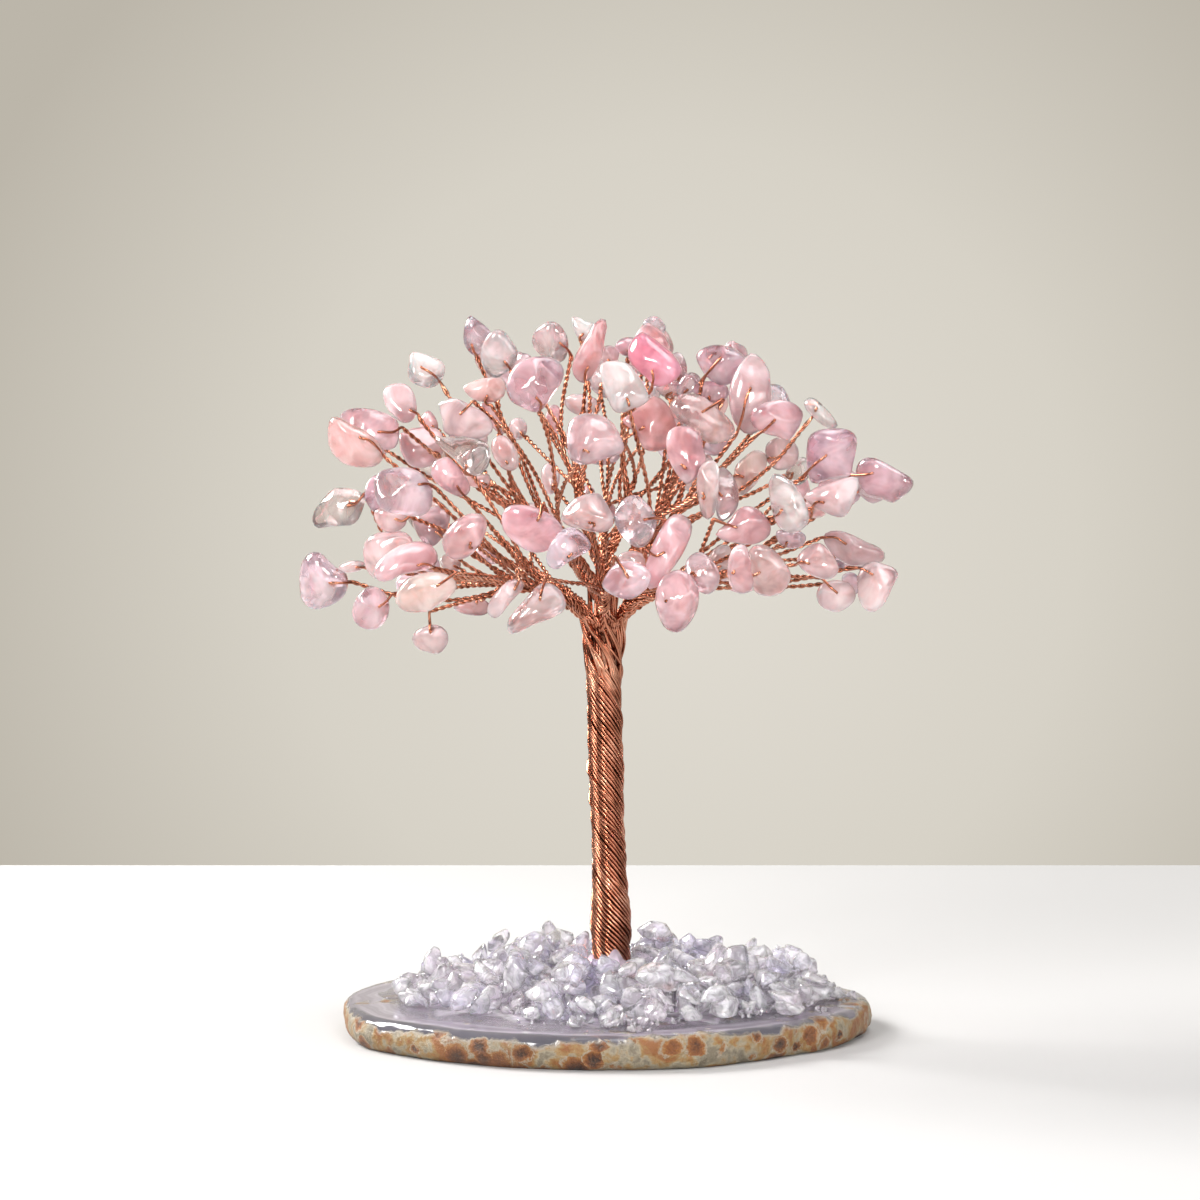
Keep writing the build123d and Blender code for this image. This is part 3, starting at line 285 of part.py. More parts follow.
     [(-1.5, -3.13), (0.59, -2.97), (2.82, -1.04), (3.0, 1.12), (2.39, 2.73), (0.77, 3.13), (-1.92, 2.13), (-3.0, -0.42), (-2.67, -2.31)]),
]
LOOSE = {'S29': 'hanging_stone', 'S26': 'left_tip_stone', 'S61': 'right_tip_stone', 'S01': 'upper_left_tip_stone', 'S67': 'lower_right_tip_stone'}
CHIPS = {
    'quartz_chips_right': [
        ([(24.682,7.919,6.468),(26.632,7.234,8.681),(25.061,5.06,8.318),(22.832,6.149,7.365),(25.603,8.797,6.786),(23.324,10.216,6.472),(26.991,8.427,8.322),(25.769,10.454,6.472),(24.922,8.992,9.426),(25.531,5.65,8.258)],
         [(8,6,7),(5,3,8),(5,8,7),(2,8,3),(4,7,6),(1,6,8),(1,8,2),(9,4,6),(9,6,1),(9,1,2),(0,2,3),(0,3,5),(0,9,2),(0,4,9),(0,5,7),(0,7,4)]),
        ([(19.893,-1.26,8.109),(19.987,1.28,6.767),(15.378,0.755,8.628),(18.101,-1.423,9.803),(16.385,1.224,6.464),(20.415,0.426,7.315),(15.817,1.26,7.247),(17.011,-0.821,8.035),(19.27,3.089,7.276),(19.279,0.714,6.456),(16.986,0.171,6.593)],
         [(3,8,2),(3,5,8),(6,2,8),(6,8,4),(9,4,8),(1,8,5),(1,5,9),(1,9,8),(10,4,9),(10,2,6),(10,6,4),(7,3,2),(7,2,10),(0,10,9),(0,7,10),(0,9,5),(0,5,3),(0,3,7)]),
        ([(34.916,-5.003,6.485),(33.44,-5.82,7.367),(32.599,0.504,8.843),(33.496,-1.199,6.482),(35.589,-3.262,8.471),(31.078,-1.144,9.396),(33.815,0.265,11.546),(31.732,-3.591,6.484),(32.597,-1.639,7.011)],
         [(6,5,1),(6,1,4),(6,2,5),(6,4,3),(6,3,2),(7,1,5),(0,4,1),(0,3,4),(0,1,7),(0,7,3),(8,2,3),(8,3,7),(8,5,2),(8,7,5)]),
        ([(7.822,0.302,7.209),(10.823,-2.216,7.666),(8.873,-1.453,8.522),(5.98,-1.276,7.63),(11.531,-2.283,6.464),(6.885,-0.481,8.203),(9.397,-2.658,7.908),(6.168,-0.562,6.463)],
         [(7,0,4),(6,2,3),(6,3,7),(6,7,4),(5,3,2),(5,2,0),(5,7,3),(5,0,7),(1,6,4),(1,2,6),(1,4,0),(1,0,2)]),
        ([(18.19,-5.932,8.722),(18.342,-4.594,6.481),(19.426,-8.867,6.478),(18.64,-8.179,10.182),(16.728,-8.64,7.951),(22.957,-8.458,8.469),(16.473,-6.533,7.254),(18.829,-10.205,8.723),(22.381,-9.102,7.751),(18.212,-8.754,6.963),(21.87,-8.306,7.116),(22.343,-7.558,8.977)],
         [(3,7,5),(0,6,3),(1,2,6),(1,6,0),(4,3,6),(4,7,3),(8,5,7),(8,7,2),(11,3,5),(11,0,3),(11,5,1),(11,1,0),(9,2,7),(9,7,4),(9,6,2),(9,4,6),(10,2,1),(10,8,2),(10,1,5),(10,5,8)]),
        ([(29.992,0.174,9.19),(30.324,-0.956,8.269),(29.791,-2.027,6.884),(28.681,-0.14,6.467),(30.864,-0.793,8.128),(29.105,2.322,7.122),(31.299,2.15,8.117),(29.856,-1.616,6.468),(32.007,2.652,6.468),(28.13,0.295,8.426),(31.938,1.871,7.962),(31.813,0.076,7.118)],
         [(3,2,9),(6,9,0),(1,9,2),(1,0,9),(5,3,9),(5,8,3),(5,9,6),(5,6,8),(7,3,8),(7,2,3),(10,6,0),(10,8,6),(4,0,1),(4,10,0),(4,1,2),(11,2,7),(11,4,2),(11,7,8),(11,8,10),(11,10,4)]),
        ([(29.589,-6.928,9.609),(26.073,-2.711,6.475),(29.597,-4.497,6.929),(25.97,-4.542,6.498),(29.009,-2.892,7.65),(27.804,-5.739,7.047),(29.976,-5.091,7.814),(25.893,-2.919,7.601),(28.757,-3.468,6.473),(26.135,-5.368,7.08),(28.156,-4.458,10.101),(29.752,-6.076,9.716)],
         [(9,10,7),(9,0,10),(4,7,10),(11,0,6),(11,10,0),(11,6,4),(11,4,10),(5,6,0),(5,0,9),(2,4,6),(2,6,5),(3,5,9),(3,9,7),(8,2,5),(8,5,3),(8,4,2),(1,7,4),(1,4,8),(1,3,7),(1,8,3)]),
        ([(27.198,4.676,8.006),(29.36,2.849,6.468),(25.752,3.968,7.56),(30.77,2.703,8.508),(29.717,3.538,8.815),(29.898,4.896,8.024),(29.421,5.463,7.008),(27.836,4.653,6.468),(26.993,1.758,6.466),(25.425,1.093,7.696),(26.484,0.838,8.045)],
         [(10,9,8),(10,0,9),(1,6,3),(1,3,10),(1,10,8),(5,3,6),(5,6,0),(2,8,9),(2,9,0),(2,0,6),(4,3,5),(4,5,0),(4,10,3),(4,0,10),(7,2,6),(7,8,2),(7,6,1),(7,1,8)]),
        ([(29.238,-6.625,8.485),(28.498,-7.871,6.464),(25.583,-8.413,9.904),(25.115,-8.768,6.466),(25.178,-6.3,6.465),(24.481,-6.36,8.147),(25.711,-8.879,6.847),(28.557,-8.416,7.99),(24.893,-8.548,6.782),(26.885,-5.764,7.422)],
         [(2,0,5),(7,0,2),(7,2,6),(9,5,0),(9,4,5),(8,5,4),(8,2,5),(1,7,6),(1,0,7),(1,9,0),(1,4,9),(3,1,6),(3,6,2),(3,2,8),(3,8,4),(3,4,1)]),
        ([(37.2,-3.328,6.455),(38.491,-5.027,8.648),(39.288,-3.626,8.566),(37.645,-4.995,6.998),(40.269,-4.583,7.06),(40.627,-3.29,7.192),(39.427,-1.191,6.456),(40.018,-4.824,6.454),(38.427,-5.521,7.415),(37.491,-4.747,6.645)],
         [(7,0,6),(7,6,5),(2,5,6),(2,0,1),(2,6,0),(9,0,7),(9,7,8),(4,7,5),(4,5,2),(4,2,1),(4,1,8),(4,8,7),(3,8,1),(3,9,8),(3,1,0),(3,0,9)]),
        ([(20.594,5.769,6.457),(21.519,5.139,6.741),(20.801,9.995,7.83),(23.419,6.724,8.001),(20.765,9.652,6.483),(20.976,9.469,6.454),(21.888,9.64,8.548),(22.68,9.952,7.896),(20.106,6.767,7.249),(20.495,9.33,6.675)],
         [(7,3,5),(6,8,3),(6,2,8),(6,3,7),(6,7,2),(1,3,8),(1,5,3),(9,8,2),(4,9,2),(4,2,7),(4,7,5),(0,5,1),(0,4,5),(0,1,8),(0,8,9),(0,9,4)]),
        ([(19.626,7.096,6.528),(17.611,5.264,6.885),(17.926,7.485,8.677),(19.85,8.264,8.86),(18.4,8.657,6.667),(16.597,6.766,7.665),(16.349,5.865,6.453),(19.107,8.259,6.452),(17.022,5.585,7.327),(20.445,8.133,8.966),(20.292,8.511,8.171),(16.662,6.619,6.475)],
         [(0,1,6),(0,9,1),(3,2,9),(3,4,2),(5,11,6),(5,2,4),(5,4,11),(8,1,9),(8,9,2),(8,2,5),(8,6,1),(8,5,6),(10,9,0),(10,3,9),(10,4,3),(7,11,4),(7,4,10),(7,10,0),(7,0,6),(7,6,11)]),
        ([(24.394,-6.976,8.648),(23.602,-6.491,9.288),(21.268,-4.868,6.485),(23.982,-6.317,9.425),(21.185,-4.25,8.238),(25.858,-4.775,7.712),(23.599,-4.157,9.032),(22.096,-2.818,7.311),(25.584,-1.402,6.485)],
         [(2,8,5),(6,4,3),(6,5,8),(6,3,5),(7,2,4),(7,8,2),(7,4,6),(7,6,8),(0,5,3),(0,2,5),(1,3,4),(1,0,3),(1,4,2),(1,2,0)]),
        ([(12.637,3.826,6.453),(13.879,-0.095,6.621),(12.564,4.024,8.735),(13.949,0.578,8.605),(15.783,0.097,6.45),(15.694,-0.152,7.27),(15.092,3.375,7.787),(15.581,2.591,6.529),(11.82,2.719,6.452)],
         [(7,5,4),(1,8,4),(1,4,5),(0,8,2),(0,4,8),(0,7,4),(3,1,5),(3,2,8),(3,8,1),(6,0,2),(6,7,0),(6,2,3),(6,5,7),(6,3,5)]),
        ([(23.126,-0.402,6.752),(19.42,1.2,8.744),(20.178,1.719,7.01),(22.669,1.477,10.464),(19.241,1.624,8.567),(23.442,-0.157,6.516),(19.757,3.001,9.726),(23.032,-0.533,6.487),(22.002,-0.071,9.551),(22.863,0.786,6.693),(22.219,0.408,9.874),(20.879,-0.026,7.103)],
         [(2,4,6),(11,4,2),(10,5,3),(10,8,5),(10,3,6),(10,6,8),(9,2,6),(9,3,5),(9,6,3),(1,4,11),(1,11,8),(1,6,4),(1,8,6),(7,8,11),(7,11,2),(7,9,5),(7,2,9),(0,5,8),(0,7,5),(0,8,7)]),
        ([(14.947,-3.641,6.453),(13.782,-5.191,7.523),(12.298,-4.181,6.454),(11.683,-3.184,7.532),(13.385,-5.171,6.689),(15.314,-0.118,7.589),(12.03,-2.878,6.836),(14.759,0.25,9.063),(13.569,-1.08,6.552),(13.671,0.379,9.254)],
         [(9,3,1),(7,5,9),(7,9,1),(7,0,5),(7,1,0),(8,5,0),(8,9,5),(4,1,3),(4,0,1),(6,3,9),(6,9,8),(2,8,0),(2,0,4),(2,6,8),(2,4,3),(2,3,6)]),
        ([(16.82,-3.269,6.484),(16.771,-3.356,7.305),(16.501,-3.938,6.791),(16.513,-3.396,6.652),(20.093,-4.715,6.447),(16.719,-2.824,6.54),(16.978,-2.43,6.789),(16.524,-4.129,6.448),(19.498,-3.366,8.384),(18.099,-5.114,8.308)],
         [(8,4,6),(9,4,8),(7,9,2),(7,4,9),(1,8,6),(1,9,8),(1,2,9),(3,7,2),(3,2,1),(3,1,6),(5,6,4),(5,3,6),(5,7,3),(0,4,7),(0,5,4),(0,7,5)]),
        ([(10.275,-1.891,8.327),(13.474,-0.262,6.452),(11.853,1.385,7.857),(9.515,0.385,6.444),(11.845,2.478,6.455),(10.345,-1.597,7.298),(8.782,-0.215,7.096),(13.339,-0.622,6.689),(10.793,-1.709,7.602)],
         [(2,4,6),(2,6,0),(2,1,4),(3,6,4),(3,4,1),(5,3,1),(5,0,6),(5,6,3),(7,5,1),(7,1,2),(7,2,0),(8,0,5),(8,7,0),(8,5,7)]),
        ([(15.457,-5.912,6.832),(14.614,-5.032,8.958),(15.008,-3.757,6.913),(17.455,-5.443,7.716),(16.929,-6.996,9.687),(16.705,-3.627,7.284),(14.536,-3.427,7.455),(14.08,-5.874,7.125),(15.61,-4.459,6.783),(15.198,-5.494,6.457)],
         [(1,6,7),(1,7,4),(5,3,9),(5,4,3),(5,6,1),(5,1,4),(0,3,4),(0,9,3),(0,4,7),(0,7,9),(2,6,5),(2,7,6),(2,9,7),(8,5,9),(8,9,2),(8,2,5)]),
        ([(6.625,2.077,6.652),(11.508,0.976,8.006),(7.904,0.093,9.009),(10.58,0.75,10.491),(9.709,3.226,7.604),(10.961,2.296,9.627),(8.882,-0.776,8.998),(9.155,2.027,6.484),(7.742,0.187,8.954),(9.837,-1.085,7.974)],
         [(3,9,1),(7,9,0),(7,1,9),(7,0,4),(7,4,1),(5,3,1),(5,1,4),(5,4,0),(5,0,8),(5,8,3),(6,9,3),(6,0,9),(6,8,0),(2,3,8),(2,6,3),(2,8,6)]),
        ([(8.015,-4.698,6.444),(11.198,-2.768,7.192),(9.422,-2.071,6.448),(11.119,-3.392,7.24),(7.134,-3.213,7.708),(7.121,-2.859,7.588),(8.753,-2.034,7.196),(8.669,-4.027,8.024),(11.49,-4.474,6.635),(11.546,-4.499,6.45)],
         [(2,0,5),(2,9,0),(4,5,0),(4,7,5),(4,0,7),(1,9,2),(3,1,7),(6,2,5),(6,1,2),(6,5,7),(6,7,1),(8,3,7),(8,0,9),(8,7,0),(8,9,1),(8,1,3)]),
        ([(21.408,7.037,11.58),(16.727,4.325,8.754),(15.664,5.604,7.441),(15.565,5.574,10.043),(20.337,6.698,8.147),(15.0,4.797,9.016),(20.875,8.821,11.699),(15.698,7.346,8.677),(19.587,8.906,10.524)],
         [(7,2,5),(3,7,5),(1,5,2),(1,3,5),(1,0,3),(6,3,0),(6,8,7),(6,7,3),(4,0,1),(4,1,2),(4,6,0),(4,8,6),(4,7,8),(4,2,7)]),
        ([(23.277,4.155,10.598),(19.767,2.895,6.492),(24.677,3.496,9.66),(24.664,3.926,9.081),(23.161,4.89,8.228),(25.071,0.428,6.493),(24.39,3.286,6.489),(22.855,1.636,9.161),(19.654,2.642,8.08)],
         [(0,4,8),(1,5,8),(1,8,4),(7,8,5),(7,0,8),(3,4,0),(6,5,1),(6,1,4),(6,3,5),(6,4,3),(2,5,3),(2,3,0),(2,7,5),(2,0,7)]),
        ([(17.044,1.713,8.18),(12.244,1.166,9.336),(15.421,2.425,12.5),(13.397,4.148,8.666),(15.457,4.062,9.311),(15.295,4.119,8.513),(12.606,2.477,12.943),(12.203,1.643,9.085),(11.607,0.593,11.026),(15.97,0.57,9.209),(17.386,1.433,10.752),(12.871,1.647,8.84)],
         [(6,3,8),(2,8,10),(2,6,8),(9,10,8),(9,0,10),(7,8,3),(5,0,3),(11,3,0),(11,7,3),(11,0,9),(4,6,2),(4,3,6),(4,5,3),(4,2,10),(4,10,0),(4,0,5),(1,11,9),(1,7,11),(1,9,8),(1,8,7)]),
        ([(10.196,-2.162,10.033),(10.589,0.071,10.802),(11.234,-2.936,7.592),(9.931,0.245,10.239),(13.539,-1.618,9.265),(10.189,-2.766,7.833),(12.589,0.048,8.468),(12.628,-0.791,10.855),(11.093,-1.123,10.787)],
         [(6,4,2),(6,7,4),(0,2,4),(0,4,7),(5,0,3),(5,2,0),(5,3,6),(5,6,2),(1,3,0),(1,6,3),(1,7,6),(8,0,7),(8,7,1),(8,1,0)]),
        ([(14.459,-0.035,10.403),(17.87,-4.684,8.206),(17.866,-1.26,10.388),(18.437,-5.456,8.736),(17.236,-2.433,7.827),(16.697,-0.732,7.979),(13.516,-4.329,8.664),(14.748,-0.342,10.816),(15.875,-5.521,10.795),(14.671,-3.168,7.424),(15.6,-1.176,11.094),(15.237,-0.124,8.247)],
         [(8,6,3),(7,0,6),(7,6,8),(9,3,6),(2,8,3),(2,0,7),(4,9,5),(4,2,3),(4,5,2),(11,5,9),(11,0,2),(11,2,5),(11,6,0),(11,9,6),(10,7,8),(10,8,2),(10,2,7),(1,3,9),(1,4,3),(1,9,4)]),
        ([(7.443,1.398,12.455),(9.073,6.612,13.416),(10.26,2.849,14.861),(7.736,1.003,8.447),(10.381,5.726,10.296),(10.409,0.205,12.519),(11.42,1.8,10.498),(11.105,1.432,12.68),(10.188,3.213,8.478),(6.808,1.981,10.191)],
         [(4,6,8),(4,1,2),(4,9,1),(0,5,2),(0,1,9),(0,2,1),(7,5,6),(7,2,5),(7,6,4),(7,4,2),(3,8,6),(3,6,5),(3,9,4),(3,4,8),(3,0,9),(3,5,0)]),
        ([(11.852,-6.008,12.461),(13.554,-2.114,10.95),(14.575,-5.499,12.146),(15.514,-2.944,11.15),(14.957,-4.463,12.046),(13.875,-5.374,9.541),(13.013,-5.899,9.226),(13.358,-2.857,8.967),(13.515,-3.428,9.011)],
         [(7,0,1),(7,1,3),(6,0,7),(4,1,0),(4,3,1),(8,6,7),(8,5,6),(8,7,3),(8,3,5),(2,6,5),(2,0,6),(2,4,0),(2,3,4),(2,5,3)]),
        ([(19.243,1.184,10.013),(18.794,5.268,10.76),(17.005,2.112,9.824),(18.137,1.391,8.339),(17.683,1.333,9.039),(16.183,5.151,10.698),(17.17,2.475,10.726),(18.587,3.663,7.069),(19.346,3.893,7.023)],
         [(1,8,5),(1,0,8),(7,5,8),(6,4,0),(6,1,5),(6,0,1),(3,8,0),(3,0,4),(3,7,8),(2,6,5),(2,4,6),(2,5,7),(2,3,4),(2,7,3)]),
        ([(7.92,-1.723,8.923),(11.666,-2.397,11.545),(11.545,-3.153,9.063),(7.853,-3.648,10.291),(10.096,-1.488,11.974),(12.428,-3.992,11.116),(9.2,-3.827,7.963),(10.593,-4.533,8.743),(11.004,-5.862,12.685),(8.821,-2.548,7.719),(9.235,-5.336,12.749)],
         [(10,4,3),(0,3,4),(0,9,3),(8,4,10),(8,1,4),(8,5,1),(8,7,5),(8,10,7),(2,5,7),(2,1,5),(2,4,1),(2,0,4),(2,9,0),(6,3,9),(6,10,3),(6,7,10),(6,9,2),(6,2,7)]),
        ([(25.049,0.692,6.922),(25.456,-3.371,8.574),(26.583,-0.076,7.567),(26.732,-0.165,7.652),(27.591,-2.817,7.713),(25.56,0.369,8.9),(25.592,-2.536,9.606),(24.087,0.271,7.403),(24.438,0.583,8.531),(24.028,0.288,7.763),(24.904,0.705,8.347),(24.819,-2.068,7.242)],
         [(6,9,1),(6,1,4),(5,6,4),(11,1,9),(11,4,1),(8,9,6),(8,6,5),(3,5,4),(3,4,2),(3,2,5),(7,11,9),(0,4,11),(0,2,4),(0,11,7),(0,5,2),(0,9,8),(0,7,9),(10,8,5),(10,5,0),(10,0,8)]),
        ([(10.34,5.081,11.826),(11.629,4.313,9.273),(11.301,4.045,13.214),(13.678,5.197,13.354),(13.818,4.866,13.303),(10.601,5.549,12.483),(14.169,3.996,9.637),(12.405,3.08,11.585),(11.89,4.802,14.25),(13.05,5.429,14.308)],
         [(1,7,0),(1,6,7),(2,0,7),(4,7,6),(5,6,1),(5,1,0),(5,0,2),(8,2,7),(8,7,4),(8,4,9),(8,9,5),(8,5,2),(3,6,5),(3,5,9),(3,4,6),(3,9,4)]),
        ([(31.88,-2.105,9.549),(31.906,-4.294,8.576),(29.976,-0.035,9.362),(28.484,-1.493,9.787),(27.894,-0.48,8.668),(31.099,-3.544,7.019),(28.51,-2.154,6.495),(29.06,-3.308,9.179),(28.144,-2.301,8.422),(27.675,-0.418,8.037),(27.77,-0.897,7.005)],
         [(4,2,9),(4,3,2),(0,2,3),(0,1,5),(0,5,2),(7,5,1),(7,1,0),(7,0,3),(6,5,7),(8,6,7),(8,7,3),(8,4,9),(8,3,4),(10,2,5),(10,5,6),(10,9,2),(10,8,9),(10,6,8)]),
        ([(21.786,2.125,12.122),(17.955,3.818,13.425),(22.491,4.344,12.674),(19.198,5.333,10.613),(21.3,1.973,10.332),(22.025,2.223,10.823),(18.4,2.809,10.859),(22.419,5.338,9.221),(20.561,5.725,10.279),(19.444,5.93,10.634),(19.196,2.326,10.332)],
         [(9,1,2),(0,2,1),(8,9,2),(8,2,7),(8,7,9),(5,4,7),(5,0,4),(5,7,2),(5,2,0),(3,1,9),(3,6,1),(3,9,7),(10,0,1),(10,1,6),(10,4,0),(10,7,4),(10,3,7),(10,6,3)]),
        ([(26.747,0.788,8.195),(24.924,0.339,10.511),(26.982,1.604,10.75),(27.084,2.91,8.16),(28.806,2.502,8.69),(28.804,2.252,9.911),(27.572,1.455,10.889),(26.025,-0.27,8.956)],
         [(2,3,1),(0,1,3),(0,7,1),(0,3,4),(0,4,7),(5,4,3),(5,3,2),(5,7,4),(6,7,5),(6,5,2),(6,1,7),(6,2,1)]),
        ([(7.181,-2.195,9.33),(4.921,-3.151,10.026),(5.472,-1.43,7.602),(6.497,-0.652,8.092),(7.404,-1.603,9.161),(6.052,-3.247,9.72),(7.227,-2.151,8.059),(7.003,-1.599,9.4),(4.427,-2.052,10.439),(4.373,-3.786,9.599)],
         [(2,9,8),(6,9,2),(5,9,6),(3,2,8),(3,4,6),(3,6,2),(1,8,9),(1,9,5),(1,5,8),(0,8,5),(0,6,4),(0,5,6),(7,0,4),(7,8,0),(7,4,3),(7,3,8)]),
        ([(14.245,1.942,12.342),(11.206,-1.202,11.39),(10.943,-0.037,14.616),(14.325,-2.285,11.027),(10.186,0.178,12.816),(12.665,1.072,13.874),(12.374,-2.257,11.859),(14.97,-2.692,12.147),(16.692,-2.068,12.069),(12.912,-2.286,13.989)],
         [(9,2,4),(3,0,8),(5,0,4),(5,4,2),(5,8,0),(5,9,8),(5,2,9),(1,4,0),(1,0,3),(1,9,4),(7,8,9),(7,3,8),(6,9,1),(6,1,3),(6,7,9),(6,3,7)]),
        ([(15.746,4.991,9.82),(12.102,4.317,9.171),(13.502,6.722,9.853),(13.867,4.122,9.133),(13.928,6.867,12.035),(11.667,5.39,10.681),(15.935,4.488,12.313),(14.952,5.825,12.923),(15.969,4.336,9.763),(12.279,5.299,9.289)],
         [(7,4,5),(2,5,4),(6,7,5),(1,6,5),(0,2,4),(0,4,7),(0,6,8),(0,7,6),(3,2,0),(3,0,8),(3,8,6),(3,6,1),(9,2,3),(9,3,1),(9,5,2),(9,1,5)]),
        ([(30.095,12.886,7.74),(29.68,8.835,8.113),(28.391,10.089,10.523),(26.273,7.364,9.269),(28.427,8.469,6.874),(30.843,11.806,8.111),(28.635,8.541,10.627),(27.852,7.345,9.502),(28.44,7.405,9.565),(27.658,8.301,10.205),(29.862,10.976,6.562),(28.946,13.03,7.153)],
         [(2,11,3),(0,2,5),(0,11,2),(0,5,10),(0,10,11),(1,10,5),(6,5,2),(6,1,5),(6,8,1),(6,7,8),(6,3,7),(4,10,1),(4,3,11),(4,11,10),(4,7,3),(4,8,7),(4,1,8),(9,2,3),(9,3,6),(9,6,2)]),
        ([(33.46,-7.235,6.797),(31.857,-7.735,10.815),(34.636,-9.636,9.462),(31.335,-7.047,9.981),(32.693,-11.597,9.721),(34.538,-9.736,6.49),(33.631,-12.689,8.723),(32.943,-11.283,6.495),(33.308,-7.73,6.509),(34.531,-8.376,8.782),(31.524,-8.805,6.49)],
         [(5,2,6),(0,10,3),(7,5,6),(7,10,5),(4,6,2),(4,2,1),(4,1,3),(4,3,10),(4,7,6),(4,10,7),(9,2,5),(9,5,0),(9,1,2),(9,3,1),(9,0,3),(8,5,10),(8,0,5),(8,10,0)]),
        ([(37.047,-0.601,8.857),(37.285,-0.457,6.475),(34.769,-0.549,7.166),(34.483,1.861,6.553),(36.57,1.801,9.341),(35.774,2.613,6.72),(33.833,0.76,8.17),(37.104,1.352,9.053),(37.439,2.626,7.763),(33.915,2.562,8.84),(37.445,1.43,6.473),(34.032,0.768,8.575),(34.455,1.109,6.474)],
         [(7,4,0),(8,9,4),(8,4,7),(8,7,0),(11,0,4),(11,4,9),(11,9,6),(11,6,2),(11,2,0),(3,6,9),(1,0,2),(1,10,8),(1,8,0),(5,9,8),(5,3,9),(5,8,10),(5,10,3),(12,1,2),(12,2,6),(12,6,3),(12,3,10),(12,10,1)]),
        ([(34.606,-5.145,8.726),(33.367,-6.507,7.458),(33.68,-6.391,9.454),(36.167,-5.298,6.654),(35.844,-8.482,6.472),(34.001,-5.609,7.211),(33.33,-7.462,8.939),(33.68,-7.207,6.609),(39.502,-5.525,8.493),(37.71,-8.509,6.815)],
         [(9,8,6),(2,6,8),(2,8,0),(4,9,6),(4,6,7),(3,0,8),(3,8,9),(3,9,4),(3,4,7),(1,7,6),(1,6,2),(5,2,0),(5,1,2),(5,0,3),(5,3,7),(5,7,1)]),
        ([(29.117,8.056,8.723),(34.566,7.966,7.499),(29.225,6.012,6.465),(33.767,10.291,8.685),(32.798,6.597,6.807),(28.658,5.943,8.665),(32.726,7.027,6.464),(31.944,9.728,6.465),(34.83,8.847,7.592),(29.163,5.077,7.843)],
         [(7,3,8),(7,8,6),(1,3,5),(1,8,3),(1,6,8),(0,5,3),(0,3,7),(2,7,6),(2,5,0),(2,0,7),(9,1,5),(9,5,2),(4,6,1),(4,1,9),(4,2,6),(4,9,2)]),
        ([(31.689,11.065,11.208),(31.594,8.007,11.311),(30.363,8.162,11.602),(29.211,10.766,10.551),(33.632,9.598,9.244),(28.48,10.164,10.649),(32.313,9.481,8.798),(30.867,9.088,8.854),(32.332,6.91,9.683),(32.294,8.927,11.76),(29.458,8.127,10.297),(32.837,7.144,8.587),(29.059,10.678,9.95)],
         [(9,8,4),(0,9,4),(2,0,5),(2,9,0),(10,2,5),(10,8,2),(11,4,8),(11,8,10),(11,10,7),(12,0,4),(12,10,5),(12,7,10),(1,8,9),(1,2,8),(1,9,2),(6,4,11),(6,11,7),(6,12,4),(6,7,12),(3,5,0),(3,12,5),(3,0,12)]),
        ([(32.062,1.532,8.226),(29.181,6.878,9.317),(31.557,1.727,9.185),(32.947,3.079,6.656),(33.4,1.314,8.499),(33.799,1.911,10.028),(33.718,3.482,6.669),(33.999,4.544,7.755),(31.23,1.867,8.591),(32.372,1.636,9.906),(32.245,5.864,7.932),(31.629,6.127,7.629)],
         [(5,7,1),(11,3,1),(6,4,3),(6,7,5),(6,5,4),(6,11,7),(6,3,11),(9,4,5),(9,5,1),(9,1,2),(0,3,4),(0,4,9),(0,9,2),(10,1,7),(10,11,1),(10,7,11),(8,2,1),(8,0,2),(8,1,3),(8,3,0)]),
        ([(31.534,2.336,9.622),(30.871,-0.566,11.909),(30.026,4.617,10.698),(29.728,4.364,12.102),(27.263,-0.007,10.488),(30.479,2.366,8.909),(31.067,-1.261,9.934),(29.552,3.609,10.045),(31.03,3.858,11.091),(29.86,-2.574,10.019),(30.034,1.301,13.881)],
         [(10,4,9),(5,9,4),(5,2,0),(1,10,9),(8,0,2),(8,1,0),(8,10,1),(7,4,2),(7,5,4),(7,2,5),(6,0,1),(6,1,9),(6,5,0),(6,9,5),(3,10,8),(3,8,2),(3,4,10),(3,2,4)]),
        ([(20.675,-4.671,9.19),(26.099,-1.94,9.923),(20.647,-3.482,8.488),(24.008,-1.483,8.596),(23.082,-5.747,9.335),(24.059,-5.684,9.641),(25.668,-1.48,10.045),(20.266,-4.175,7.946),(20.69,-4.525,8.387),(25.404,-4.321,10.501),(23.059,-3.801,11.103)],
         [(0,4,10),(5,3,1),(5,1,9),(5,4,7),(5,7,3),(5,10,4),(5,9,10),(2,3,7),(2,10,3),(2,7,0),(2,0,10),(6,1,3),(6,3,10),(6,9,1),(6,10,9),(8,7,4),(8,0,7),(8,4,0)]),
        ([(18.091,-2.785,10.187),(21.051,-3.258,8.743),(21.241,-0.009,8.354),(20.485,-0.375,9.812),(22.117,-1.079,9.033),(21.465,-3.402,9.687),(22.664,-1.68,7.403),(22.239,-1.505,9.517),(21.793,-1.996,7.262),(21.764,-0.863,9.297),(22.581,-1.795,8.367),(19.627,-0.07,8.271),(20.571,-0.54,7.471)],
         [(12,2,6),(1,5,0),(1,6,5),(3,0,5),(8,12,6),(8,6,1),(8,0,12),(8,1,0),(11,2,12),(11,3,2),(11,12,0),(11,0,3),(7,3,5),(10,5,6),(10,7,5),(4,6,2),(4,10,6),(4,7,10),(9,3,7),(9,7,4),(9,2,3),(9,4,2)]),
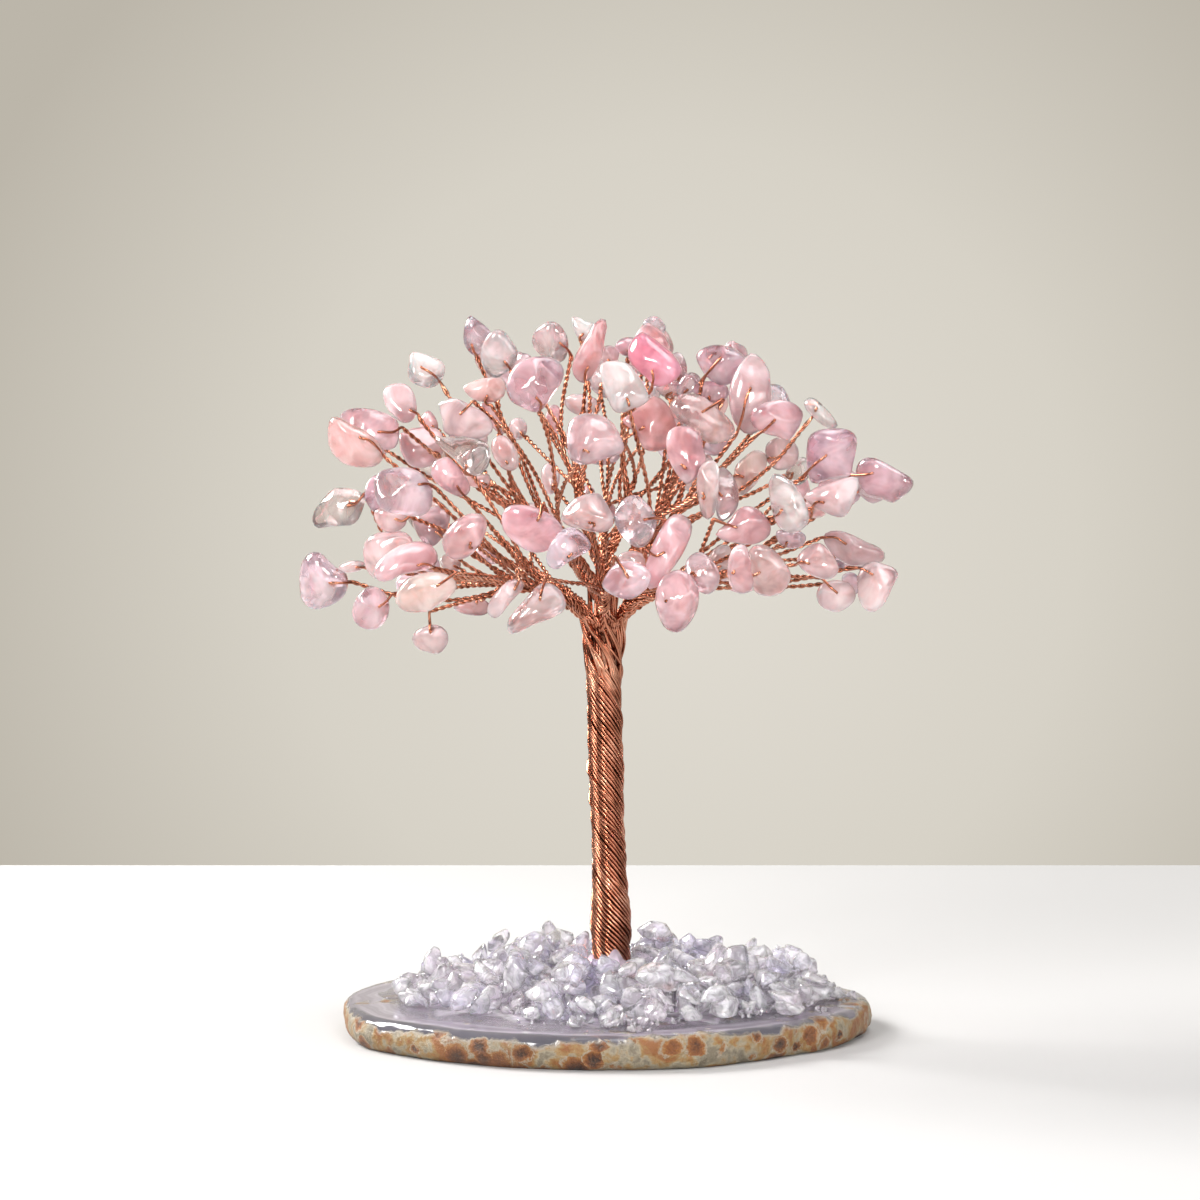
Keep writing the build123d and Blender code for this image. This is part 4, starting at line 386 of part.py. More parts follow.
        ([(18.798,2.354,11.235),(18.001,-0.165,12.733),(16.846,0.216,11.518),(18.751,1.957,11.449),(17.926,2.611,11.804),(17.014,1.663,11.458),(20.768,-1.011,10.193),(18.716,0.51,9.321),(19.108,-2.385,10.352),(18.185,-1.529,10.24),(18.252,-1.568,11.761),(18.213,1.16,9.915),(16.975,-0.029,11.999)],
         [(9,2,7),(0,6,7),(12,2,9),(12,5,2),(12,1,4),(12,4,5),(8,7,6),(8,9,7),(11,5,4),(11,4,0),(11,0,7),(11,7,2),(11,2,5),(3,4,1),(3,0,4),(3,1,6),(3,6,0),(10,6,1),(10,8,6),(10,1,12),(10,12,9),(10,9,8)]),
        ([(27.667,-3.719,10.795),(24.848,-5.896,11.647),(29.319,-4.409,10.87),(25.505,-7.646,10.367),(27.501,-5.664,11.741),(26.508,-5.702,11.772),(26.049,-5.854,8.453),(24.845,-4.912,11.023),(24.609,-6.821,8.658),(26.016,-4.091,9.509)],
         [(3,8,6),(3,6,2),(1,5,0),(1,0,7),(1,3,5),(1,7,8),(1,8,3),(9,0,2),(9,2,6),(9,7,0),(9,8,7),(9,6,8),(4,3,2),(4,5,3),(4,2,0),(4,0,5)]),
        ([(26.309,5.654,8.128),(28.068,4.079,9.217),(25.107,3.269,10.164),(27.833,5.444,8.166),(25.034,3.842,10.227),(28.704,6.764,8.779),(25.65,5.985,10.215),(24.642,2.892,9.51),(25.027,2.578,9.029),(26.316,2.134,8.733),(26.198,2.161,9.653)],
         [(8,7,0),(8,0,9),(8,10,7),(8,9,10),(3,0,5),(3,9,0),(6,0,7),(6,5,0),(1,10,9),(1,3,5),(1,9,3),(1,5,6),(2,7,10),(2,10,1),(2,1,6),(4,6,7),(4,7,2),(4,2,6)]),
        ([(14.248,6.306,13.393),(16.893,6.124,11.62),(18.785,9.787,11.03),(16.622,3.183,15.813),(17.029,3.25,15.043),(20.029,9.554,12.5),(20.178,4.436,14.484),(14.485,4.452,14.556),(20.794,4.943,12.077),(15.126,3.506,14.028)],
         [(1,0,2),(1,2,8),(5,2,0),(5,0,3),(5,3,6),(5,8,2),(5,6,8),(9,1,8),(9,0,1),(4,9,8),(4,3,9),(4,8,6),(4,6,3),(7,3,0),(7,0,9),(7,9,3)]),
        ([(26.683,-0.276,9.582),(25.687,-1.593,13.087),(25.075,-3.839,11.432),(23.331,-3.867,11.265),(21.048,-1.113,9.831),(22.099,0.598,10.902),(24.022,-1.747,13.395),(24.34,-0.925,13.39),(21.873,-2.879,12.013),(20.532,-1.389,10.694)],
         [(4,3,9),(4,0,3),(4,9,5),(4,5,0),(8,9,3),(8,6,9),(8,3,6),(2,3,0),(2,6,3),(7,0,5),(7,9,6),(7,5,9),(1,6,2),(1,7,6),(1,2,0),(1,0,7)]),
        ([(21.596,-3.016,11.654),(23.86,-5.855,16.025),(23.442,-6.898,16.143),(18.682,-7.198,10.254),(19.353,-4.056,9.163),(23.172,-3.304,13.736),(21.639,-9.277,13.094),(24.224,-6.832,9.522),(20.051,-5.896,15.622),(18.803,-6.722,9.628),(19.538,-7.021,9.418),(20.702,-3.891,15.042),(19.688,-3.96,13.889)],
         [(4,0,7),(6,7,2),(6,8,3),(6,2,8),(5,7,0),(10,4,7),(10,6,3),(10,7,6),(1,2,7),(1,7,5),(1,8,2),(12,0,4),(12,3,8),(12,4,3),(9,3,4),(9,10,3),(9,4,10),(11,8,1),(11,1,5),(11,12,8),(11,5,0),(11,0,12)]),
        ([(5.845,2.807,12.512),(5.023,2.623,12.366),(3.879,0.782,13.299),(3.926,0.198,14.479),(8.886,-0.281,11.812),(5.58,-0.563,11.76),(9.9,-1.804,14.283),(3.95,-1.288,14.353),(9.942,-2.3,12.852),(9.619,-2.456,12.153),(7.087,-0.129,11.028),(6.137,-4.122,15.491),(5.308,2.623,14.461)],
         [(3,12,2),(3,11,12),(6,11,8),(6,12,11),(7,2,5),(7,5,11),(7,3,2),(7,11,3),(9,5,10),(9,8,11),(9,11,5),(4,6,8),(4,8,9),(4,9,10),(1,2,12),(1,5,2),(1,10,5),(0,12,6),(0,6,4),(0,1,12),(0,4,10),(0,10,1)]),
        ([(4.063,0.263,10.924),(6.553,1.191,10.861),(7.311,0.986,9.32),(4.728,-1.518,9.212),(4.597,-0.461,12.51),(5.571,-0.881,7.668),(5.567,2.265,8.39),(4.405,-0.779,12.562),(3.974,-0.224,11.055),(7.336,-0.408,9.199),(7.445,1.109,9.483),(4.755,0.928,11.378)],
         [(2,6,10),(2,5,6),(2,10,9),(2,9,5),(0,11,6),(0,6,5),(1,10,6),(1,6,11),(1,9,10),(3,5,9),(3,8,0),(3,0,5),(7,8,3),(7,3,9),(7,0,8),(7,11,0),(4,9,1),(4,7,9),(4,1,11),(4,11,7)]),
        ([(11.935,2.919,15.341),(13.892,2.269,16.741),(13.821,3.531,12.859),(12.627,2.06,13.142),(14.132,5.231,16.129),(14.979,4.171,15.197),(12.495,3.851,13.914),(14.361,0.003,14.424),(15.454,2.565,15.489),(14.254,1.993,16.67)],
         [(2,8,7),(9,7,8),(9,8,4),(3,7,0),(3,2,7),(6,0,4),(6,4,2),(6,3,0),(6,2,3),(5,8,2),(5,4,8),(5,2,4),(1,4,0),(1,9,4),(1,0,7),(1,7,9)]),
        ([(36.357,-7.551,9.274),(34.231,-4.908,11.45),(32.243,-3.2,9.387),(37.598,-6.594,9.847),(32.591,-3.634,10.185),(33.473,-3.054,11.037),(31.834,-2.831,9.5),(38.099,-4.377,8.655),(34.909,-1.876,10.22),(34.243,-6.532,10.227)],
         [(8,7,6),(2,6,7),(2,7,0),(9,0,1),(9,6,2),(9,2,0),(3,0,7),(3,1,0),(3,7,8),(3,8,1),(5,8,6),(5,1,8),(4,6,9),(4,9,1),(4,5,6),(4,1,5)]),
        ([(34.909,5.856,6.454),(36.422,5.574,8.809),(36.535,7.469,7.122),(36.704,7.014,7.687),(34.053,4.772,8.137),(36.81,5.122,6.461),(36.116,7.932,6.717),(36.463,7.323,6.49),(36.543,4.072,7.343),(34.821,6.734,6.961),(35.905,3.538,7.16),(35.16,4.068,9.412)],
         [(10,11,4),(0,10,4),(0,5,10),(1,6,11),(9,0,4),(9,6,0),(9,4,11),(9,11,6),(7,5,0),(7,0,6),(8,11,10),(8,1,11),(8,10,5),(8,5,1),(3,6,1),(3,1,5),(3,5,7),(2,7,6),(2,6,3),(2,3,7)]),
        ([(30.733,6.121,9.978),(33.459,5.995,9.003),(30.476,5.795,9.374),(32.994,4.499,10.846),(31.748,6.895,10.15),(33.972,4.276,8.1),(34.246,5.497,9.28),(34.003,4.395,9.806),(31.486,3.999,10.139),(30.942,4.738,11.37),(33.74,5.514,9.865),(30.878,5.255,11.562)],
         [(5,8,2),(9,2,8),(9,11,2),(0,2,11),(0,4,2),(0,11,4),(10,6,4),(10,4,11),(1,6,5),(1,4,6),(1,5,2),(1,2,4),(3,11,9),(3,10,11),(3,9,8),(7,6,10),(7,10,3),(7,5,6),(7,8,5),(7,3,8)]),
        ([(34.198,-2.85,11.549),(33.663,-2.15,10.01),(34.853,-1.164,12.6),(34.785,-2.022,11.421),(34.451,-0.054,11.425),(34.729,-1.955,12.108),(34.107,-1.153,13.797),(35.016,-1.409,11.999),(31.411,-3.11,13.403),(31.253,-1.472,10.572),(33.674,0.099,13.009),(33.001,-0.174,14.046)],
         [(11,9,8),(1,8,9),(1,9,4),(6,11,8),(0,8,1),(0,6,8),(2,7,4),(3,0,1),(3,4,7),(3,1,4),(5,6,0),(5,2,6),(5,7,2),(5,3,7),(5,0,3),(10,11,6),(10,6,2),(10,2,4),(10,9,11),(10,4,9)]),
        ([(35.665,4.294,10.879),(36.304,3.771,8.808),(35.042,4.712,9.66),(34.628,4.322,11.945),(35.98,0.695,9.774),(36.06,1.935,12.233),(34.429,0.655,10.848),(33.797,1.433,12.346),(33.299,1.593,10.391),(33.605,3.792,12.652)],
         [(2,1,8),(2,8,9),(4,8,1),(4,6,8),(4,1,5),(4,5,6),(7,9,8),(7,8,6),(7,5,9),(7,6,5),(0,5,1),(0,1,2),(3,2,9),(3,0,2),(3,9,5),(3,5,0)]),
        ([(29.586,-8.697,10.875),(25.702,-10.417,8.665),(27.519,-12.032,10.952),(29.421,-8.561,11.511),(27.679,-8.775,11.363),(26.651,-9.87,11.639),(27.95,-8.104,8.777),(26.337,-12.429,10.675),(28.814,-7.302,10.855),(26.453,-12.208,10.21),(28.303,-6.973,10.187),(27.363,-11.678,12.185)],
         [(6,1,10),(6,10,0),(2,0,11),(2,6,0),(5,10,1),(7,2,11),(7,5,1),(7,11,5),(9,1,6),(9,6,2),(9,7,1),(9,2,7),(8,0,10),(8,10,5),(8,5,4),(3,5,11),(3,4,5),(3,8,4),(3,11,0),(3,0,8)]),
        ([(31.153,0.433,11.346),(33.262,0.508,13.945),(32.758,3.702,13.208),(33.492,0.625,10.353),(32.531,3.82,11.898),(34.019,0.624,12.254),(31.566,-0.37,12.756),(30.785,4.042,11.954),(31.088,4.112,14.522),(30.214,4.529,14.449),(33.454,1.802,14.01)],
         [(3,5,6),(4,5,3),(1,9,6),(1,6,5),(0,6,9),(0,3,6),(8,9,1),(10,1,5),(10,8,1),(7,4,3),(7,3,0),(7,9,4),(7,0,9),(2,5,4),(2,10,5),(2,8,10),(2,4,9),(2,9,8)]),
        ([(26.398,8.84,11.006),(26.721,8.771,13.668),(24.686,6.687,9.941),(24.046,6.368,11.785),(24.243,10.53,13.3),(24.535,7.708,9.918),(26.576,5.983,10.222),(27.562,7.949,13.371),(27.742,8.207,12.518),(25.141,5.657,10.826)],
         [(5,3,4),(1,4,3),(1,8,4),(0,4,8),(0,5,4),(0,8,6),(0,6,5),(2,3,5),(2,5,6),(7,6,8),(7,8,1),(7,1,3),(9,7,3),(9,6,7),(9,3,2),(9,2,6)]),
        ([(25.535,2.265,12.993),(23.995,3.559,10.481),(25.469,2.998,12.929),(26.565,1.657,10.262),(26.396,3.027,10.006),(23.692,1.15,9.852),(24.883,0.149,11.022),(28.148,3.563,11.907),(26.043,1.885,12.677),(23.481,3.209,10.797),(27.68,2.409,11.296),(27.319,1.318,11.96)],
         [(0,9,6),(2,9,0),(2,0,7),(11,7,0),(1,7,4),(1,9,2),(1,2,7),(8,0,6),(8,6,11),(8,11,0),(3,11,6),(5,1,4),(5,4,3),(5,3,6),(5,6,9),(5,9,1),(10,7,11),(10,11,3),(10,4,7),(10,3,4)]),
        ([(29.678,-10.01,6.736),(30.044,-10.35,10.676),(28.266,-8.144,8.922),(31.483,-9.783,10.127),(28.967,-8.424,9.916),(28.613,-9.918,8.128),(31.029,-10.53,7.827),(31.079,-8.064,8.948),(30.457,-11.017,10.558),(30.737,-9.153,6.845),(28.13,-9.117,9.041),(30.056,-7.966,6.507),(29.357,-10.94,9.638)],
         [(9,0,11),(2,10,4),(7,4,3),(7,3,9),(7,9,11),(7,11,2),(7,2,4),(1,8,3),(1,3,4),(1,4,10),(1,10,12),(1,12,8),(5,12,10),(5,0,12),(5,10,2),(5,11,0),(5,2,11),(6,0,9),(6,8,12),(6,12,0),(6,3,8),(6,9,3)]),
        ([(31.151,-3.304,11.057),(26.822,-3.306,12.274),(27.735,-5.814,13.348),(27.615,-3.159,13.966),(31.381,-3.99,11.828),(26.881,-2.477,11.867),(27.675,-0.992,10.914),(27.01,-3.708,13.318),(31.073,-4.926,10.878),(26.843,-4.302,11.834),(29.492,-2.095,10.438),(29.341,-3.209,9.799)],
         [(3,4,6),(3,2,4),(0,6,4),(9,6,11),(8,4,2),(8,0,4),(8,11,0),(8,9,11),(8,2,9),(5,3,6),(5,9,1),(5,6,9),(7,2,3),(7,1,9),(7,9,2),(7,5,1),(7,3,5),(10,11,6),(10,6,0),(10,0,11)]),
        ([(28.551,-2.78,12.789),(28.41,-2.255,12.945),(31.077,-2.621,10.521),(28.162,-0.86,12.409),(30.367,-2.331,10.498),(30.156,-0.872,12.319),(31.241,-0.856,12.1),(28.449,-0.82,12.174),(31.12,-0.878,11.983),(29.455,-0.47,12.232),(31.143,-3.13,11.561),(28.544,-1.618,12.906),(30.071,-3.368,12.635)],
         [(10,6,12),(11,12,6),(7,4,3),(2,12,4),(2,10,12),(2,6,10),(9,3,11),(9,7,3),(9,4,7),(0,3,4),(0,4,12),(5,11,6),(5,6,9),(5,9,11),(8,9,6),(8,4,9),(8,6,2),(8,2,4),(1,12,11),(1,0,12),(1,11,3),(1,3,0)]),
        ([(29.049,12.459,11.69),(27.372,13.219,11.548),(25.457,9.931,12.386),(29.036,9.959,11.773),(27.315,10.169,13.772),(27.969,8.897,11.242),(28.275,9.588,10.606),(27.097,8.775,12.742),(26.019,12.311,12.089),(28.232,11.112,10.55)],
         [(4,2,7),(5,7,2),(8,2,4),(8,9,2),(6,2,9),(6,5,2),(6,9,0),(1,4,0),(1,8,4),(1,0,9),(1,9,8),(3,6,0),(3,5,6),(3,0,4),(3,4,7),(3,7,5)]),
        ([(30.096,-6.194,10.303),(33.344,-4.916,8.044),(32.568,-5.244,7.616),(34.016,-5.277,8.087),(32.436,-4.867,9.596),(32.125,-7.439,10.122),(31.352,-4.83,8.732),(34.093,-5.424,8.501),(29.819,-5.931,9.682)],
         [(2,5,8),(4,5,7),(0,8,5),(0,4,8),(0,5,4),(6,2,8),(6,8,4),(1,4,7),(1,2,6),(1,6,4),(3,1,7),(3,2,1),(3,7,5),(3,5,2)]),
        ([(32.974,6.622,7.96),(34.985,7.573,7.461),(33.325,6.071,7.616),(36.014,7.092,7.467),(35.88,6.566,8.545),(31.929,7.053,12.209),(36.638,8.434,9.635),(34.796,6.378,7.348),(33.328,8.96,9.668)],
         [(8,5,6),(0,5,8),(4,6,5),(1,8,6),(1,0,8),(2,5,0),(2,4,5),(2,7,4),(2,1,7),(2,0,1),(3,4,7),(3,7,1),(3,6,4),(3,1,6)]),
        ([(36.964,-1.902,9.349),(37.022,-1.24,6.535),(36.237,-2.52,8.905),(36.586,-1.324,8.923),(39.135,-3.099,8.522),(38.495,-2.452,6.943),(35.44,-0.631,7.852),(36.394,-2.996,8.825),(36.038,-2.911,6.491),(37.572,-1.452,9.277),(37.94,-3.16,8.839)],
         [(1,8,6),(5,4,8),(5,8,1),(9,4,5),(9,5,1),(9,1,6),(2,7,0),(2,6,8),(2,8,7),(10,0,7),(10,4,9),(10,9,0),(10,8,4),(10,7,8),(3,9,6),(3,0,9),(3,6,2),(3,2,0)]),
    ],
    'quartz_chips_back_right': [
        ([(22.949,11.808,6.485),(23.127,12.123,8.017),(24.689,9.378,9.557),(24.44,10.255,9.532),(22.357,9.674,7.342),(24.51,9.919,9.745),(28.182,10.879,7.308),(28.829,12.928,6.485),(28.2,12.336,7.861)],
         [(5,4,2),(1,4,5),(6,4,7),(6,2,4),(0,7,4),(0,4,1),(0,1,7),(8,7,1),(8,6,7),(8,5,2),(8,2,6),(3,1,5),(3,5,8),(3,8,1)]),
        ([(22.597,20.297,6.47),(18.571,18.256,8.532),(19.291,15.182,7.226),(18.861,15.508,9.694),(18.675,19.458,7.438),(18.07,16.01,6.469),(19.786,15.106,6.805),(21.669,20.145,6.885),(21.432,14.665,7.644),(16.46,16.306,8.503),(24.108,18.215,6.47),(22.028,17.305,9.178)],
         [(4,5,9),(11,8,10),(2,9,5),(0,10,5),(0,5,4),(0,11,10),(3,8,11),(3,9,2),(3,2,8),(6,8,2),(6,2,5),(6,10,8),(6,5,10),(7,0,4),(7,11,0),(1,3,11),(1,7,4),(1,11,7),(1,4,9),(1,9,3)]),
        ([(17.251,11.273,7.356),(15.149,11.0,9.738),(13.133,9.537,9.706),(13.798,10.754,9.657),(17.916,9.499,6.495),(11.32,9.164,9.332),(10.701,10.357,6.491),(17.541,7.777,7.598),(15.776,8.892,9.321),(15.881,9.45,9.427),(17.775,10.23,6.493),(13.02,11.954,8.094)],
         [(7,6,4),(5,11,6),(5,6,7),(10,4,6),(0,6,11),(0,10,6),(0,11,1),(0,7,4),(0,4,10),(3,11,5),(3,1,11),(8,5,7),(9,8,7),(9,7,0),(9,0,1),(2,5,8),(2,3,5),(2,1,3),(2,9,1),(2,8,9)]),
        ([(9.282,10.093,6.457),(9.118,5.198,7.017),(6.951,10.879,8.339),(7.336,6.325,6.455),(7.018,11.311,7.46),(6.466,10.124,7.323),(6.787,8.288,9.537),(8.965,10.674,6.705),(10.037,7.367,7.318)],
         [(6,5,3),(1,8,6),(1,6,3),(0,3,5),(0,8,1),(0,1,3),(4,0,5),(2,6,8),(2,5,6),(2,4,5),(7,0,4),(7,4,2),(7,8,0),(7,2,8)]),
        ([(11.668,15.504,6.489),(13.626,18.128,10.111),(12.521,18.987,8.829),(11.831,14.269,7.461),(14.641,18.958,10.125),(14.382,19.268,9.546),(16.04,18.628,9.54),(14.433,18.798,7.562),(14.1,18.943,7.462),(15.741,17.432,6.49),(15.791,14.433,7.022)],
         [(10,3,0),(9,10,0),(9,6,10),(1,10,6),(1,3,10),(2,0,3),(2,3,1),(8,5,6),(8,2,5),(8,9,0),(8,0,2),(4,6,5),(4,1,6),(4,5,2),(4,2,1),(7,6,9),(7,8,6),(7,9,8)]),
        ([(24.712,27.451,8.293),(25.716,23.018,6.484),(24.13,23.99,10.799),(24.361,24.343,10.399),(21.445,26.666,7.171),(22.322,21.398,6.483),(19.812,26.65,10.565),(21.166,26.369,6.483),(24.95,22.041,7.09),(25.754,23.936,6.647),(19.05,20.918,7.219),(23.892,20.997,8.288)],
         [(6,7,10),(6,10,2),(5,10,7),(4,7,6),(1,7,9),(1,5,7),(0,6,2),(0,4,6),(0,9,7),(0,7,4),(11,1,2),(11,2,10),(11,10,5),(3,9,0),(3,0,2),(3,1,9),(3,2,1),(8,5,1),(8,11,5),(8,1,11)]),
        ([(10.844,12.711,9.575),(15.766,12.321,7.364),(15.598,13.161,8.163),(14.34,13.366,8.909),(14.463,11.682,8.234),(13.25,12.829,9.994),(14.178,14.073,6.488),(13.577,11.983,9.461),(12.741,13.379,6.49),(15.101,11.801,8.245),(13.933,13.928,6.941)],
         [(8,0,6),(8,6,1),(7,5,0),(3,0,5),(9,5,7),(10,6,0),(10,0,3),(10,3,6),(2,3,5),(2,5,9),(2,9,1),(2,1,6),(2,6,3),(4,8,1),(4,1,9),(4,0,8),(4,7,0),(4,9,7)]),
        ([(13.482,13.041,6.692),(13.194,13.176,6.436),(13.204,10.446,6.437),(11.37,10.692,6.437),(12.722,10.767,6.77),(12.012,12.146,7.177),(13.165,12.343,6.943),(13.943,12.472,6.441),(13.317,10.976,6.685),(11.654,12.337,7.285)],
         [(1,2,3),(1,7,2),(1,0,7),(1,3,9),(1,9,0),(4,3,2),(4,9,3),(8,2,7),(8,4,2),(6,0,9),(6,7,0),(6,8,7),(5,9,4),(5,4,8),(5,6,9),(5,8,6)]),
        ([(31.685,12.705,9.294),(28.74,15.691,9.327),(31.973,13.974,6.466),(33.178,14.201,7.78),(30.566,14.674,6.466),(29.175,14.005,6.952),(32.171,10.986,7.945),(29.97,12.462,6.467),(31.652,16.646,7.242),(33.175,13.264,7.168)],
         [(8,1,3),(0,3,1),(0,1,6),(0,6,3),(7,6,1),(5,7,1),(5,4,7),(5,1,8),(5,8,4),(2,7,4),(2,4,8),(9,8,3),(9,2,8),(9,3,6),(9,6,7),(9,7,2)]),
        ([(17.386,14.395,9.422),(18.318,14.032,7.647),(16.205,13.883,8.971),(15.629,13.241,8.122),(17.161,15.742,9.018),(17.712,14.692,6.982),(15.765,14.716,9.543),(17.609,15.881,9.351),(16.442,12.708,7.931),(15.142,13.861,6.496)],
         [(8,9,1),(5,1,9),(5,7,1),(3,9,8),(3,6,9),(0,7,6),(0,1,7),(0,8,1),(4,5,9),(4,7,5),(4,9,6),(4,6,7),(2,8,0),(2,0,6),(2,3,8),(2,6,3)]),
        ([(17.613,23.225,6.474),(14.431,25.463,7.102),(13.31,23.529,6.476),(15.606,20.327,7.693),(19.086,21.585,9.403),(15.544,25.906,10.201),(13.695,25.191,9.212),(16.762,20.153,6.894),(13.443,22.129,6.475)],
         [(0,5,4),(3,4,5),(1,0,2),(1,5,0),(6,3,5),(6,1,2),(6,5,1),(7,0,4),(7,4,3),(8,6,2),(8,3,6),(8,7,3),(8,2,0),(8,0,7)]),
        ([(9.724,23.373,7.959),(13.851,21.912,6.952),(11.811,23.498,6.451),(10.374,24.157,7.196),(9.897,24.991,7.598),(10.736,26.062,7.423),(11.715,21.771,6.688),(11.749,23.01,6.497),(11.369,21.441,7.918)],
         [(2,5,1),(8,5,0),(8,1,5),(8,0,6),(8,6,1),(4,0,5),(7,2,1),(7,1,6),(3,5,2),(3,4,5),(3,2,7),(3,7,6),(3,6,0),(3,0,4)]),
        ([(24.631,15.981,6.461),(26.856,17.224,6.688),(26.261,15.997,8.667),(26.337,17.685,7.73),(24.51,16.735,7.918),(27.86,15.809,6.461),(27.853,16.262,8.651),(26.129,17.157,6.458),(24.18,15.768,7.039)],
         [(2,8,5),(6,2,5),(6,3,2),(4,8,2),(4,2,3),(4,3,7),(0,5,8),(0,7,5),(0,8,4),(0,4,7),(1,5,7),(1,7,3),(1,6,5),(1,3,6)]),
        ([(17.0,22.11,9.374),(14.071,19.089,7.682),(15.751,19.762,10.549),(16.675,19.481,9.476),(16.626,19.209,8.064),(12.764,21.081,8.925),(13.027,21.082,10.068),(12.29,20.441,10.368),(14.236,21.642,7.784),(14.222,19.131,6.511),(15.313,18.756,8.213)],
         [(2,7,10),(8,0,9),(1,10,7),(1,7,9),(1,9,10),(4,9,0),(4,10,9),(6,0,8),(6,7,2),(6,2,0),(3,2,10),(3,10,4),(3,0,2),(3,4,0),(5,7,6),(5,6,8),(5,9,7),(5,8,9)]),
        ([(12.92,19.179,8.797),(8.495,22.285,6.489),(12.703,19.82,7.275),(9.522,20.837,9.68),(10.448,20.057,9.913),(7.441,18.429,6.49),(9.164,18.355,9.756),(10.937,21.953,8.412),(7.462,18.931,6.635)],
         [(6,5,0),(2,0,5),(2,5,1),(2,7,0),(2,1,7),(3,7,1),(8,5,6),(8,6,3),(8,1,5),(8,3,1),(4,0,7),(4,7,3),(4,6,0),(4,3,6)]),
        ([(11.896,18.86,11.276),(8.501,17.759,9.27),(8.398,17.048,6.504),(8.187,15.456,7.772),(9.455,14.863,8.547),(11.34,14.775,6.551),(11.635,16.294,6.502),(11.863,15.807,11.576),(9.205,17.843,7.276),(8.607,17.893,9.31),(11.549,18.901,9.967)],
         [(4,3,5),(4,7,3),(4,5,7),(1,3,7),(1,7,0),(2,5,3),(2,3,1),(6,0,7),(6,7,5),(6,5,2),(6,2,8),(9,1,0),(9,8,2),(9,2,1),(10,0,6),(10,6,8),(10,9,0),(10,8,9)]),
        ([(11.681,9.099,9.523),(11.951,6.974,6.489),(13.507,5.102,7.835),(12.137,5.638,8.914),(14.223,7.667,7.343),(12.428,7.95,6.911),(13.214,7.619,9.338),(12.791,5.808,8.906),(13.861,6.417,6.488),(11.927,8.092,9.991),(14.208,8.407,8.503)],
         [(8,4,2),(5,4,8),(1,8,2),(1,5,8),(1,0,5),(10,2,4),(10,6,2),(10,5,0),(10,4,5),(10,0,9),(10,9,6),(7,2,6),(7,6,9),(3,7,9),(3,0,1),(3,9,0),(3,1,2),(3,2,7)]),
        ([(11.317,14.733,10.659),(12.401,15.016,8.087),(11.541,12.817,7.453),(9.91,14.39,10.435),(9.555,13.627,9.923),(10.18,11.763,6.495),(7.956,14.262,7.4),(7.5,12.13,6.495),(9.341,10.774,8.088)],
         [(6,0,1),(5,8,7),(5,7,6),(5,6,1),(3,8,0),(3,0,6),(2,5,1),(2,8,5),(2,1,0),(2,0,8),(4,7,8),(4,8,3),(4,6,7),(4,3,6)]),
        ([(6.888,5.09,7.462),(6.824,6.682,6.489),(3.868,4.382,7.22),(3.904,8.007,10.804),(2.096,5.132,9.398),(6.415,4.478,8.423),(5.337,3.73,7.872),(5.072,8.282,10.269),(3.184,5.615,6.484),(6.986,4.726,7.105)],
         [(1,9,8),(1,8,7),(3,4,5),(3,5,7),(3,8,4),(3,7,8),(0,5,9),(0,7,5),(0,9,1),(0,1,7),(6,9,5),(6,5,4),(2,8,9),(2,9,6),(2,4,8),(2,6,4)]),
        ([(11.042,7.71,6.855),(9.134,5.473,7.619),(11.77,7.66,9.061),(6.589,8.314,9.772),(11.895,6.623,8.793),(10.482,10.038,8.294),(11.165,7.392,10.336),(11.814,6.771,7.188),(7.103,10.734,10.07),(10.152,7.525,10.849),(11.384,9.501,11.356)],
         [(8,3,10),(8,0,3),(9,10,3),(5,8,10),(5,0,8),(5,10,7),(5,7,0),(1,9,3),(1,7,4),(1,3,0),(1,0,7),(6,4,10),(6,10,9),(6,1,4),(6,9,1),(2,10,4),(2,4,7),(2,7,10)]),
        ([(19.113,11.755,6.659),(17.834,8.784,8.869),(20.671,11.949,7.578),(21.529,11.386,7.258),(21.521,10.097,8.338),(20.019,8.578,10.146),(19.051,10.296,6.48),(20.212,8.139,9.357),(17.537,9.012,7.722)],
         [(6,7,8),(4,5,7),(4,6,3),(4,7,6),(4,3,2),(4,2,5),(1,5,2),(1,8,7),(1,7,5),(0,2,3),(0,3,6),(0,6,8),(0,8,1),(0,1,2)]),
        ([(14.778,16.46,10.323),(15.296,14.334,8.826),(13.026,13.274,9.54),(15.941,15.534,9.578),(12.939,15.339,8.504),(14.011,13.267,9.329),(15.161,14.795,10.0),(13.71,16.031,8.618),(12.94,13.841,7.085),(12.081,14.686,8.998),(12.905,15.888,10.398)],
         [(1,8,3),(1,5,8),(2,10,9),(2,9,8),(2,8,5),(6,1,3),(6,5,1),(6,2,5),(6,10,2),(7,3,8),(0,6,3),(0,10,6),(0,3,7),(0,7,10),(4,8,9),(4,7,8),(4,9,10),(4,10,7)]),
        ([(6.813,10.677,10.549),(6.364,12.26,6.51),(4.802,15.409,6.515),(9.075,12.174,10.451),(8.826,14.62,10.393),(7.997,15.323,7.197),(4.444,12.498,8.522),(6.551,10.608,10.201),(4.717,12.855,9.122),(9.304,14.708,9.491)],
         [(2,1,6),(7,6,1),(3,9,4),(3,4,0),(3,0,7),(3,7,1),(5,1,2),(5,9,3),(5,3,1),(5,4,9),(5,2,4),(8,2,6),(8,4,2),(8,0,4),(8,6,7),(8,7,0)]),
        ([(14.608,12.616,10.266),(14.465,9.602,12.752),(12.637,10.316,9.935),(12.503,10.011,11.118),(14.914,10.632,9.888),(14.358,9.744,9.702),(13.347,8.511,10.219),(12.554,9.452,10.145),(12.961,9.225,12.068),(14.865,8.735,11.659)],
